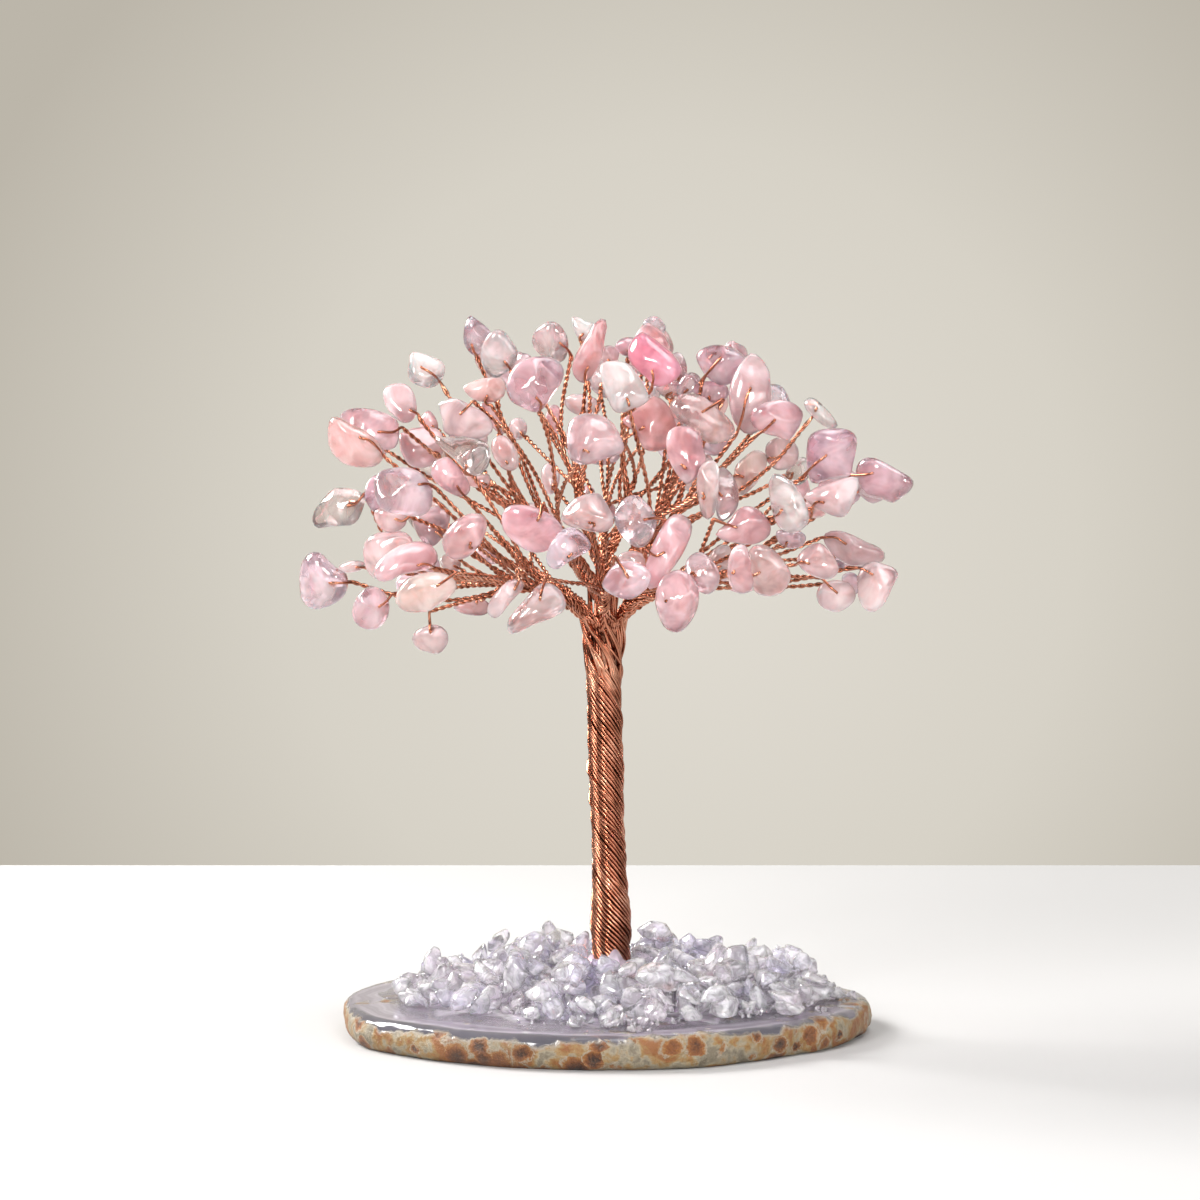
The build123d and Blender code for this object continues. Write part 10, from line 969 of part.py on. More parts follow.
         [(3,6,0),(3,4,6),(3,8,4),(9,0,6),(9,6,5),(7,4,8),(7,6,4),(7,5,6),(7,9,5),(7,8,9),(1,0,9),(1,9,8),(2,8,3),(2,1,8),(2,3,0),(2,0,1)]),
        ([(2.131,-12.074,10.426),(3.391,-11.044,11.565),(4.66,-16.242,13.181),(2.478,-12.294,13.647),(2.574,-15.432,12.195),(3.393,-13.082,14.318),(4.485,-13.442,11.196),(5.105,-12.866,13.978),(1.858,-14.628,11.508),(1.309,-14.198,12.825)],
         [(6,7,2),(5,9,2),(5,2,7),(8,9,0),(8,0,6),(1,7,6),(1,6,0),(4,2,9),(4,9,8),(4,6,2),(4,8,6),(3,5,7),(3,7,1),(3,9,5),(3,0,9),(3,1,0)]),
        ([(-4.353,-19.256,12.324),(-5.268,-15.714,11.431),(-8.057,-17.286,10.082),(-7.713,-21.411,10.006),(-4.83,-16.29,11.749),(-3.927,-19.127,8.936),(-4.241,-16.754,9.507),(-7.187,-19.33,11.851),(-4.432,-17.723,11.877),(-3.389,-22.241,11.345)],
         [(7,1,2),(6,2,1),(6,5,2),(6,9,5),(3,7,2),(3,9,7),(3,2,5),(3,5,9),(0,7,9),(4,1,7),(4,7,0),(4,6,1),(8,0,9),(8,4,0),(8,9,6),(8,6,4)]),
        ([(2.184,-10.122,13.123),(0.758,-8.066,13.439),(-0.924,-10.238,11.467),(0.303,-10.999,11.793),(-1.665,-13.295,13.658),(-1.38,-10.839,15.392),(0.007,-9.225,11.843),(1.919,-10.724,13.8),(1.991,-10.013,12.134),(-2.824,-12.02,11.277),(0.952,-11.574,12.001)],
         [(5,1,9),(4,5,9),(6,9,1),(7,5,4),(7,0,1),(7,1,5),(10,4,9),(10,0,7),(10,7,4),(8,1,0),(8,6,1),(8,0,10),(2,9,6),(2,6,8),(3,8,10),(3,2,8),(3,10,9),(3,9,2)]),
        ([(3.957,-22.549,7.934),(2.477,-24.411,10.6),(4.233,-23.793,11.73),(6.079,-25.099,10.764),(2.273,-23.997,9.543),(1.585,-21.725,8.558),(3.202,-23.57,8.015),(2.692,-22.713,11.059),(2.952,-23.444,11.451),(2.654,-21.764,7.583),(2.601,-24.495,10.781),(6.518,-25.129,10.312)],
         [(7,9,5),(0,2,11),(0,9,7),(0,7,2),(6,9,0),(6,5,9),(6,4,5),(6,11,4),(6,0,11),(3,11,2),(3,10,11),(3,2,10),(1,4,11),(1,11,10),(1,5,4),(1,7,5),(8,2,7),(8,10,2),(8,7,1),(8,1,10)]),
        ([(-7.467,-14.038,11.501),(-7.621,-14.443,14.76),(-3.294,-13.465,11.669),(-2.374,-14.868,12.235),(-5.884,-19.368,12.37),(-4.131,-17.672,14.573),(-10.218,-15.62,12.756),(-4.502,-13.116,12.943),(-8.374,-20.108,13.651),(-7.291,-14.838,10.637),(-9.076,-18.057,11.364)],
         [(1,6,8),(5,1,8),(10,8,6),(7,5,3),(7,1,5),(4,8,10),(4,3,5),(4,5,8),(9,3,4),(9,4,10),(9,10,6),(2,7,3),(2,3,9),(0,9,6),(0,6,1),(0,1,7),(0,7,2),(0,2,9)]),
        ([(-5.302,-18.511,14.453),(-6.747,-22.676,11.779),(-6.049,-20.931,15.373),(-4.935,-22.386,10.61),(-6.915,-20.025,15.004),(-6.863,-22.516,12.393),(-5.658,-23.03,13.271),(-4.64,-22.744,13.477),(-7.394,-19.876,13.563),(-5.261,-22.683,14.079),(-5.966,-23.22,11.784),(-4.006,-20.976,13.979)],
         [(0,3,8),(0,11,3),(0,2,11),(1,8,3),(1,3,10),(9,11,2),(4,0,8),(4,2,0),(7,3,11),(7,11,9),(7,10,3),(5,2,4),(5,1,10),(5,8,1),(5,4,8),(6,10,7),(6,7,9),(6,5,10),(6,9,2),(6,2,5)]),
        ([(-3.787,-26.417,6.46),(-3.878,-26.371,7.722),(-5.02,-27.835,6.543),(-3.78,-26.223,6.478),(-4.697,-27.415,8.458),(-6.317,-26.108,6.458),(-6.691,-27.765,8.265),(-4.295,-27.828,6.46),(-6.27,-27.621,7.1),(-5.938,-25.35,8.835),(-7.852,-25.531,8.624),(-3.55,-27.942,6.871)],
         [(5,10,9),(3,5,9),(6,9,10),(1,11,3),(1,3,9),(0,3,11),(0,5,3),(2,11,6),(4,9,6),(4,1,9),(4,6,11),(4,11,1),(8,5,2),(8,2,6),(8,10,5),(8,6,10),(7,5,0),(7,2,5),(7,0,11),(7,11,2)]),
        ([(9.897,-28.094,8.055),(9.8,-25.355,8.393),(10.684,-27.833,8.681),(8.909,-24.723,9.87),(8.913,-26.776,10.626),(10.38,-25.837,9.848),(7.7,-25.325,11.096),(10.073,-25.412,9.209),(8.728,-27.168,10.031),(11.057,-26.694,7.614)],
         [(5,3,6),(1,0,6),(1,6,3),(1,9,0),(4,5,6),(2,0,9),(2,9,5),(2,5,4),(7,3,5),(7,1,3),(7,5,9),(7,9,1),(8,6,0),(8,4,6),(8,0,2),(8,2,4)]),
        ([(-7.49,-26.955,10.109),(-10.278,-25.675,8.245),(-7.194,-26.538,8.891),(-10.531,-26.027,9.825),(-11.409,-26.323,8.005),(-9.099,-28.274,10.777),(-8.583,-27.964,6.494),(-9.719,-27.685,6.941),(-6.946,-28.211,7.724),(-9.013,-26.89,6.496)],
         [(0,5,8),(9,4,1),(3,1,4),(3,4,5),(3,5,0),(7,5,4),(7,4,9),(2,9,1),(2,1,3),(2,3,0),(2,0,8),(2,8,9),(6,9,8),(6,7,9),(6,8,5),(6,5,7)]),
        ([(-0.506,-30.398,7.503),(1.531,-25.009,7.164),(-0.745,-25.942,6.46),(0.418,-28.967,8.768),(-1.662,-29.774,6.464),(1.057,-27.016,9.307),(2.883,-28.515,6.89),(-2.118,-26.49,7.232),(0.648,-25.037,7.918),(2.572,-28.445,6.463)],
         [(1,5,6),(4,0,7),(3,7,0),(3,5,7),(3,0,6),(3,6,5),(8,7,5),(8,5,1),(9,6,0),(9,0,4),(9,1,6),(2,1,9),(2,9,4),(2,4,7),(2,7,8),(2,8,1)]),
        ([(-5.497,-25.076,10.276),(-2.946,-26.311,7.09),(-2.108,-26.215,8.691),(-6.095,-22.744,9.136),(-5.268,-23.573,7.65),(-2.711,-26.856,9.865),(-2.672,-25.032,8.628),(-5.846,-26.224,9.248),(-2.672,-28.362,8.314),(-1.79,-27.028,8.049),(-4.206,-25.178,10.54)],
         [(4,7,3),(6,3,10),(6,4,3),(5,8,9),(5,6,10),(5,7,8),(0,10,3),(0,3,7),(0,5,10),(0,7,5),(1,9,8),(1,6,9),(1,4,6),(1,8,7),(1,7,4),(2,9,6),(2,5,9),(2,6,5)]),
        ([(-1.551,-25.444,6.902),(0.462,-24.359,7.384),(-1.077,-27.095,8.885),(-2.211,-24.203,7.085),(-2.185,-25.969,8.293),(0.569,-26.626,9.187),(-0.707,-27.299,8.935),(-0.183,-25.927,10.035),(-0.379,-23.245,9.147),(0.715,-24.884,9.415),(-1.595,-26.281,7.511)],
         [(8,7,9),(8,1,3),(8,9,1),(4,8,3),(4,7,8),(0,3,1),(5,1,9),(5,9,7),(5,7,6),(2,6,7),(2,7,4),(10,0,1),(10,1,5),(10,5,6),(10,6,2),(10,2,4),(10,4,3),(10,3,0)]),
    ],
    'quartz_chips_front_right': [
        ([(17.672,-13.975,10.183),(14.857,-15.404,7.447),(17.714,-13.877,6.5),(18.953,-14.647,10.015),(20.109,-14.141,10.526),(21.187,-15.024,8.731),(17.099,-14.496,9.769),(17.569,-12.003,7.714),(17.923,-17.523,6.504),(14.958,-13.452,7.77),(16.863,-15.212,9.132)],
         [(4,5,7),(8,5,4),(0,4,7),(2,7,5),(2,5,8),(2,8,1),(9,0,7),(9,2,1),(9,7,2),(10,1,8),(3,4,0),(3,8,4),(3,10,8),(6,3,0),(6,10,3),(6,1,10),(6,9,1),(6,0,9)]),
        ([(27.494,-22.27,9.198),(31.556,-23.167,6.466),(27.33,-20.909,7.389),(30.142,-24.576,8.497),(32.84,-23.099,8.032),(28.807,-18.478,6.795),(29.27,-19.737,8.442),(28.25,-22.291,6.465),(31.826,-18.87,6.465),(28.639,-18.503,7.02),(31.872,-23.725,7.594)],
         [(3,4,0),(9,5,2),(9,2,0),(7,2,5),(7,1,3),(7,0,2),(7,3,0),(8,4,1),(8,5,9),(8,7,5),(8,1,7),(10,4,3),(10,1,4),(10,3,1),(6,9,0),(6,8,9),(6,0,4),(6,4,8)]),
        ([(18.795,-21.248,6.487),(18.11,-20.435,10.213),(16.701,-23.526,9.514),(21.258,-20.348,8.893),(21.167,-22.385,9.663),(18.743,-26.329,6.488),(15.957,-24.125,7.036),(21.547,-22.827,8.353),(21.413,-23.412,6.489)],
         [(0,6,1),(3,0,1),(2,1,6),(8,3,7),(8,0,3),(4,1,2),(4,7,3),(4,3,1),(5,8,7),(5,7,4),(5,4,2),(5,2,6),(5,6,0),(5,0,8)]),
        ([(13.822,-22.226,7.211),(11.871,-21.508,7.159),(13.74,-21.601,6.495),(13.584,-17.551,8.67),(11.212,-16.958,7.115),(12.301,-16.943,7.43),(14.785,-19.822,7.413),(11.335,-20.05,11.742),(10.949,-20.468,6.495),(13.672,-21.902,9.729),(12.701,-21.038,10.808),(14.003,-18.556,9.977)],
         [(2,5,6),(2,6,0),(1,7,8),(1,8,2),(1,2,0),(4,2,8),(4,5,2),(4,8,7),(4,7,5),(3,5,7),(3,7,11),(3,6,5),(3,11,6),(9,7,1),(9,1,0),(9,0,6),(9,6,11),(10,11,7),(10,7,9),(10,9,11)]),
        ([(23.632,-13.631,8.112),(22.558,-12.97,6.457),(18.943,-14.185,6.459),(21.136,-16.733,6.759),(22.677,-12.966,6.704),(24.263,-16.182,7.468),(23.866,-16.207,8.471),(21.878,-12.242,7.15),(19.094,-13.806,7.582),(22.335,-17.059,6.458),(23.302,-13.698,8.33)],
         [(8,7,2),(1,2,7),(10,7,8),(10,8,6),(9,2,1),(9,1,5),(9,5,6),(0,6,5),(0,10,6),(0,5,1),(0,7,10),(3,6,8),(3,9,6),(3,8,2),(3,2,9),(4,1,7),(4,7,0),(4,0,1)]),
        ([(32.125,-17.613,9.53),(31.733,-18.432,9.219),(32.57,-16.022,6.491),(28.777,-19.242,8.745),(26.003,-15.242,9.501),(28.599,-19.402,9.027),(32.636,-15.076,8.091),(32.048,-19.251,7.375),(26.615,-15.43,9.971),(31.477,-14.138,7.283),(28.299,-16.775,6.49),(31.639,-19.058,6.88)],
         [(10,5,4),(9,10,4),(3,5,10),(3,11,5),(3,10,11),(8,4,5),(8,5,0),(8,0,6),(8,9,4),(8,6,9),(7,5,11),(7,6,0),(2,11,10),(2,10,9),(2,9,6),(2,6,7),(2,7,11),(1,0,5),(1,5,7),(1,7,0)]),
        ([(17.425,-19.819,6.51),(14.214,-22.619,7.05),(18.633,-17.935,9.209),(15.723,-19.352,10.563),(16.476,-22.4,8.182),(18.099,-20.519,9.557),(15.704,-21.179,10.86),(15.914,-18.493,9.767),(14.425,-21.614,6.511),(15.29,-19.442,9.718),(16.531,-22.601,8.768)],
         [(10,6,1),(7,2,0),(4,1,0),(4,10,1),(5,0,2),(5,2,6),(5,6,10),(5,4,0),(5,10,4),(8,0,1),(8,7,0),(9,1,6),(9,8,1),(9,7,8),(3,6,2),(3,2,7),(3,9,6),(3,7,9)]),
        ([(21.264,-11.884,6.62),(22.774,-11.066,8.595),(20.59,-10.873,6.596),(26.871,-8.83,6.456),(22.271,-12.335,6.455),(22.404,-9.886,8.095),(27.416,-9.774,8.538),(27.513,-9.079,6.571),(24.448,-12.19,6.816),(24.525,-11.662,7.737)],
         [(8,4,7),(3,4,2),(3,7,4),(0,2,4),(0,1,2),(0,4,1),(9,1,4),(9,4,8),(6,7,3),(6,1,9),(6,8,7),(6,9,8),(5,1,6),(5,6,3),(5,2,1),(5,3,2)]),
        ([(9.811,-26.283,7.803),(10.04,-23.564,6.767),(12.997,-26.119,6.449),(8.995,-25.359,7.335),(12.163,-26.402,7.615),(9.285,-25.942,7.299),(11.326,-23.769,6.449),(13.162,-24.439,6.602),(13.093,-25.471,7.876),(9.801,-25.761,6.451),(13.257,-24.367,6.904)],
         [(8,2,10),(8,4,2),(7,10,2),(7,6,10),(7,2,6),(1,10,6),(1,8,10),(0,4,8),(0,2,4),(0,3,5),(0,1,3),(0,8,1),(9,6,2),(9,2,0),(9,0,5),(9,1,6),(9,5,3),(9,3,1)]),
        ([(24.575,-20.889,6.461),(23.245,-21.93,7.816),(24.604,-18.521,7.443),(21.69,-18.456,9.034),(22.457,-21.937,6.921),(23.464,-18.059,8.217),(24.171,-21.534,7.108),(22.312,-20.929,6.46),(23.211,-19.252,6.459)],
         [(1,3,4),(5,8,3),(5,2,8),(5,3,1),(5,1,2),(7,4,3),(7,3,8),(0,8,2),(0,4,7),(0,7,8),(6,1,4),(6,4,0),(6,2,1),(6,0,2)]),
        ([(8.362,-7.166,6.446),(8.6,-6.002,8.36),(6.752,-7.77,7.237),(5.146,-6.263,6.884),(5.665,-7.533,6.463),(8.767,-5.608,8.577),(8.778,-5.159,8.385),(7.625,-4.461,6.814),(8.678,-6.817,7.936),(5.316,-6.083,6.458)],
         [(7,3,6),(7,6,0),(5,6,3),(5,3,2),(4,2,3),(4,0,2),(8,2,0),(8,0,6),(8,6,5),(9,7,0),(9,0,4),(9,3,7),(9,4,3),(1,5,2),(1,2,8),(1,8,5)]),
        ([(13.251,-24.775,8.59),(12.828,-25.136,8.214),(13.281,-26.412,9.296),(14.671,-24.53,7.921),(13.411,-28.655,8.394),(14.027,-29.392,6.838),(11.476,-28.416,8.553),(12.349,-28.938,6.481),(15.95,-26.519,6.482),(15.108,-26.733,7.886),(12.573,-26.064,8.747)],
         [(1,7,6),(1,3,8),(1,8,7),(5,6,7),(5,7,8),(9,8,3),(9,3,2),(9,5,8),(10,6,2),(10,1,6),(4,9,2),(4,5,9),(4,2,6),(4,6,5),(0,10,2),(0,1,10),(0,2,3),(0,3,1)]),
        ([(5.11,-6.066,9.369),(8.089,-11.264,7.89),(6.811,-4.871,9.129),(5.148,-10.274,6.919),(5.542,-5.86,7.495),(8.931,-10.786,7.523),(5.629,-5.327,8.932),(7.282,-10.83,6.497),(7.941,-11.048,9.69),(5.958,-10.818,8.889),(8.47,-5.484,8.569),(7.994,-6.044,10.18)],
         [(2,0,11),(8,11,0),(8,5,11),(6,0,2),(6,4,0),(6,2,4),(10,4,2),(10,11,5),(10,2,11),(3,0,4),(1,5,8),(7,3,4),(7,10,5),(7,4,10),(7,5,1),(9,1,8),(9,8,0),(9,0,3),(9,3,7),(9,7,1)]),
        ([(22.774,-12.711,7.317),(23.043,-13.19,8.316),(25.064,-13.646,9.49),(23.627,-12.679,8.852),(28.35,-11.764,6.522),(27.735,-11.602,7.446),(27.125,-11.394,6.479),(27.451,-13.806,6.477),(23.172,-13.149,8.916),(27.696,-14.441,7.521),(28.594,-13.796,7.577),(24.575,-12.627,9.248)],
         [(7,0,6),(4,10,7),(4,7,6),(9,10,2),(9,7,10),(9,2,1),(9,0,7),(9,1,0),(5,6,11),(5,4,6),(5,10,4),(5,2,10),(5,11,2),(8,2,11),(8,1,2),(8,0,1),(3,0,8),(3,8,11),(3,6,0),(3,11,6)]),
        ([(11.081,-13.559,7.833),(14.019,-14.534,7.959),(12.285,-14.63,9.751),(13.427,-14.024,6.817),(11.069,-14.65,8.803),(13.265,-11.574,7.325),(11.547,-13.05,6.743),(10.894,-13.789,7.108),(12.887,-13.177,6.469)],
         [(2,1,5),(4,1,2),(6,8,7),(6,5,8),(3,5,1),(3,8,5),(3,7,8),(3,4,7),(3,1,4),(0,2,5),(0,4,2),(0,7,4),(0,6,7),(0,5,6)]),
        ([(11.868,-14.619,7.294),(10.9,-15.48,7.754),(14.938,-15.382,8.583),(15.534,-15.262,8.409),(14.412,-16.991,9.032),(14.444,-18.212,8.403),(12.094,-15.12,6.473),(12.042,-14.318,7.702),(14.234,-16.665,6.471)],
         [(8,5,1),(8,3,5),(6,8,1),(6,3,8),(4,1,5),(4,5,3),(7,3,6),(7,1,4),(0,6,1),(0,1,7),(0,7,6),(2,4,3),(2,3,7),(2,7,4)]),
        ([(20.16,-12.231,8.405),(21.103,-10.672,9.871),(21.496,-9.35,9.903),(17.725,-11.709,9.085),(21.359,-10.467,9.906),(17.346,-11.834,7.826),(20.199,-12.268,6.511),(22.691,-10.302,9.087),(16.092,-10.942,8.277),(21.343,-9.239,9.714),(21.569,-11.572,8.917)],
         [(9,6,8),(9,7,6),(5,8,6),(5,3,8),(0,5,6),(0,3,5),(2,4,7),(2,7,9),(2,8,3),(2,9,8),(1,3,0),(1,4,2),(1,2,3),(10,1,0),(10,6,7),(10,0,6),(10,7,4),(10,4,1)]),
        ([(8.12,-12.844,6.477),(10.606,-12.822,8.483),(8.851,-11.401,8.817),(10.62,-13.328,7.357),(6.803,-12.626,9.271),(8.294,-15.58,7.27),(10.556,-15.209,7.507),(9.749,-15.888,6.479),(7.059,-11.283,9.03),(9.615,-16.185,8.283),(6.565,-12.332,7.663),(9.023,-15.967,8.132)],
         [(4,8,10),(4,2,8),(0,3,7),(0,2,3),(0,10,8),(0,8,2),(5,7,9),(5,4,10),(5,10,0),(5,0,7),(6,7,3),(6,9,7),(11,9,4),(11,5,9),(11,4,5),(1,9,6),(1,4,9),(1,2,4),(1,3,2),(1,6,3)]),
        ([(14.574,-9.302,8.351),(13.422,-8.959,7.668),(15.34,-9.726,7.884),(15.38,-11.644,10.794),(13.549,-10.619,6.514),(16.95,-15.047,10.228),(12.832,-11.883,10.206),(13.257,-9.705,9.261),(15.639,-14.939,9.202),(16.827,-11.127,8.967),(14.515,-14.503,8.199),(12.914,-13.978,9.539)],
         [(4,6,1),(11,5,6),(11,6,4),(3,6,5),(10,11,4),(7,1,6),(7,6,3),(9,3,5),(9,5,10),(9,10,4),(8,5,11),(8,10,5),(8,11,10),(2,4,1),(2,9,4),(0,1,7),(0,2,1),(0,7,3),(0,3,9),(0,9,2)]),
        ([(11.143,-10.881,9.798),(10.522,-6.604,6.482),(10.683,-12.939,6.496),(13.819,-7.962,6.466),(9.894,-9.016,8.565),(10.074,-12.342,6.466),(10.446,-12.832,7.76),(12.978,-11.673,7.377),(11.3,-6.396,6.742),(11.112,-7.246,8.434),(11.539,-12.836,8.853)],
         [(6,0,4),(5,3,2),(5,1,3),(5,4,1),(5,6,4),(5,2,6),(9,0,3),(9,4,0),(9,1,4),(7,3,0),(7,2,3),(8,3,1),(8,9,3),(8,1,9),(10,0,6),(10,7,0),(10,6,2),(10,2,7)]),
        ([(8.951,-17.396,7.217),(9.6,-21.253,8.663),(8.158,-17.335,6.994),(10.117,-17.349,8.501),(5.499,-19.043,7.901),(11.28,-18.208,9.539),(6.255,-18.449,9.09),(7.176,-21.089,8.741),(9.769,-17.606,7.516),(10.046,-18.632,7.009),(6.596,-20.416,8.651)],
         [(6,2,4),(9,4,2),(9,5,1),(7,1,5),(7,5,6),(7,4,9),(7,9,1),(3,6,5),(3,2,6),(10,6,4),(10,4,7),(10,7,6),(8,5,9),(8,3,5),(0,2,3),(0,3,8),(0,9,2),(0,8,9)]),
        ([(13.388,-6.256,9.288),(15.928,-8.446,6.488),(13.705,-8.994,7.522),(13.569,-5.525,9.221),(13.432,-6.681,9.646),(13.591,-8.613,7.014),(15.477,-7.049,9.293),(15.125,-8.378,9.095),(15.838,-9.664,6.487),(15.35,-9.805,7.627)],
         [(6,8,1),(6,9,8),(5,1,8),(3,6,1),(3,5,0),(3,1,5),(7,9,6),(2,8,9),(2,5,8),(2,9,7),(4,2,7),(4,7,6),(4,0,5),(4,5,2),(4,3,0),(4,6,3)]),
        ([(4.909,-6.922,6.476),(3.777,-6.151,6.633),(3.401,-4.744,8.6),(3.312,-5.623,7.599),(5.533,-3.598,8.227),(4.252,-6.5,9.179),(3.769,-7.079,7.239),(5.429,-3.756,8.802),(3.632,-5.426,6.813),(4.853,-8.111,7.477),(5.263,-4.82,9.692),(3.598,-3.684,8.333)],
         [(10,9,4),(0,4,9),(5,9,10),(7,10,4),(7,4,11),(7,11,10),(6,0,9),(6,5,3),(6,9,5),(8,11,4),(8,4,0),(8,3,11),(2,10,11),(2,5,10),(2,11,3),(2,3,5),(1,0,6),(1,8,0),(1,6,3),(1,3,8)]),
        ([(8.051,-4.667,7.723),(6.873,-4.043,11.398),(8.995,-6.494,10.42),(9.622,-5.918,10.14),(6.581,-2.856,10.26),(7.158,-4.743,11.552),(4.799,-3.844,9.538),(8.92,-5.957,11.413),(9.3,-4.877,9.825),(6.937,-3.479,10.759)],
         [(0,6,4),(8,3,0),(8,0,4),(2,5,6),(2,6,0),(2,0,3),(1,4,6),(1,6,5),(9,8,4),(9,4,1),(7,1,5),(7,3,8),(7,8,9),(7,9,1),(7,2,3),(7,5,2)]),
        ([(11.005,-13.49,9.154),(11.093,-13.988,9.018),(9.854,-12.096,9.738),(10.589,-12.057,9.805),(10.934,-14.549,8.392),(10.796,-12.881,8.647),(9.238,-15.453,9.287),(10.531,-11.857,8.656),(9.838,-15.033,8.427),(8.488,-13.639,9.807),(10.126,-15.378,8.773),(9.84,-11.593,8.817)],
         [(3,9,6),(3,6,1),(5,1,4),(10,4,1),(10,1,6),(2,11,9),(2,9,3),(2,3,11),(0,3,1),(0,1,5),(7,11,3),(7,5,4),(7,3,0),(7,0,5),(8,10,6),(8,9,11),(8,6,9),(8,4,10),(8,11,7),(8,7,4)]),
        ([(10.53,-7.446,8.235),(7.908,-5.378,6.639),(8.859,-7.227,6.956),(9.272,-5.118,7.688),(8.022,-5.231,6.441),(9.754,-4.559,6.768),(10.666,-4.757,6.452),(11.806,-6.295,8.15),(8.757,-4.728,6.669)],
         [(2,0,1),(2,1,4),(2,7,0),(3,1,0),(3,0,7),(6,7,2),(6,2,4),(8,6,4),(8,4,1),(8,1,3),(5,8,3),(5,6,8),(5,3,7),(5,7,6)]),
        ([(11.626,-15.048,9.995),(15.869,-14.934,8.675),(13.758,-16.861,11.926),(14.282,-18.546,10.028),(14.727,-18.967,10.257),(15.074,-18.741,10.97),(11.959,-15.113,8.002),(11.52,-15.154,8.01),(15.685,-14.981,8.632),(16.263,-18.117,9.879),(11.649,-16.847,9.378)],
         [(2,9,1),(6,4,7),(6,9,4),(0,2,1),(0,6,7),(0,1,6),(5,9,2),(5,4,9),(5,2,4),(8,1,9),(8,9,6),(8,6,1),(10,4,2),(10,2,0),(10,0,7),(3,7,4),(3,10,7),(3,4,10)]),
        ([(4.476,-8.655,8.643),(2.378,-8.778,6.467),(3.692,-7.659,7.886),(3.268,-9.95,7.013),(4.462,-9.153,6.463),(2.435,-9.34,8.292),(4.643,-9.062,8.663),(4.688,-7.476,6.464)],
         [(2,7,1),(4,1,7),(4,3,1),(4,7,6),(4,6,3),(5,2,1),(5,1,3),(5,3,6),(0,6,7),(0,7,2),(0,5,6),(0,2,5)]),
        ([(12.097,-4.785,10.153),(13.744,-6.847,7.283),(11.959,-3.018,9.337),(13.014,-6.985,6.889),(12.646,-7.439,8.13),(12.258,-5.442,6.788),(12.03,-6.274,9.436),(10.975,-4.687,9.124),(13.114,-3.649,9.062),(13.774,-5.064,7.649),(14.116,-6.896,7.868)],
         [(5,7,2),(0,2,7),(9,5,2),(4,3,10),(4,7,5),(4,5,3),(8,2,0),(8,9,2),(8,0,10),(8,10,9),(1,3,5),(1,5,9),(1,10,3),(1,9,10),(6,10,0),(6,4,10),(6,0,7),(6,7,4)]),
        ([(18.602,-9.058,9.613),(17.959,-9.031,10.95),(18.795,-9.654,9.876),(13.856,-7.084,10.342),(15.12,-9.426,8.443),(16.223,-10.508,8.827),(17.88,-10.817,9.18),(15.595,-10.47,9.682),(17.237,-9.036,8.33),(18.208,-8.207,10.086)],
         [(8,2,6),(4,3,8),(1,6,2),(5,8,6),(5,4,8),(9,1,2),(9,8,3),(9,3,1),(7,6,1),(7,5,6),(7,1,3),(7,3,4),(7,4,5),(0,2,8),(0,9,2),(0,8,9)]),
        ([(9.84,-9.016,8.618),(11.604,-11.58,10.629),(11.051,-9.549,11.608),(9.017,-10.793,8.523),(9.781,-12.253,10.258),(11.1,-11.973,10.528),(9.674,-11.483,8.695),(11.273,-12.275,11.099),(12.086,-11.403,11.213),(8.79,-10.901,9.239),(9.594,-11.296,8.469),(9.551,-9.833,7.845)],
         [(2,0,9),(2,8,0),(4,2,9),(11,0,8),(11,10,3),(11,9,0),(11,3,9),(7,8,2),(7,2,4),(1,11,8),(1,10,11),(1,8,7),(6,7,4),(6,3,10),(6,10,1),(6,4,9),(6,9,3),(5,1,7),(5,7,6),(5,6,1)]),
        ([(9.892,-16.808,7.071),(10.437,-16.711,10.272),(11.04,-16.469,9.908),(10.404,-17.49,8.976),(9.426,-15.727,10.124),(10.68,-15.858,6.493),(10.574,-17.139,7.091),(10.5,-15.081,8.641),(11.006,-16.923,7.516),(10.822,-17.193,7.558)],
         [(7,4,2),(7,5,4),(7,2,5),(1,2,4),(1,4,3),(1,3,2),(0,3,4),(0,4,5),(8,5,2),(9,2,3),(9,8,2),(6,5,8),(6,8,9),(6,0,5),(6,3,0),(6,9,3)]),
        ([(9.131,-14.65,8.84),(6.094,-14.634,9.735),(5.631,-18.269,8.515),(7.592,-17.196,10.537),(6.208,-18.351,8.337),(9.093,-15.681,9.075),(6.616,-18.111,10.141),(6.936,-16.214,11.036),(8.33,-14.062,9.129),(6.132,-15.019,9.335),(6.466,-14.859,8.577),(6.773,-14.488,9.347)],
         [(7,0,8),(1,2,7),(1,7,8),(10,8,0),(4,2,10),(4,10,0),(9,2,1),(9,10,2),(9,1,10),(11,1,8),(11,8,10),(11,10,1),(5,0,7),(5,7,3),(5,4,0),(6,2,4),(6,7,2),(6,3,7),(6,5,3),(6,4,5)]),
        ([(10.74,-8.317,9.017),(8.774,-8.43,8.838),(9.879,-4.656,8.257),(9.101,-5.39,8.22),(9.452,-8.521,10.665),(8.69,-8.102,8.427),(9.385,-8.876,9.839),(11.651,-5.607,11.39),(9.105,-7.882,7.215),(12.0,-6.212,9.572),(10.147,-5.39,11.011)],
         [(7,9,2),(8,2,9),(10,7,2),(10,4,7),(1,5,8),(1,4,10),(0,8,9),(0,9,7),(0,7,4),(3,10,2),(3,8,5),(3,2,8),(3,5,1),(3,1,10),(6,4,1),(6,0,4),(6,1,8),(6,8,0)]),
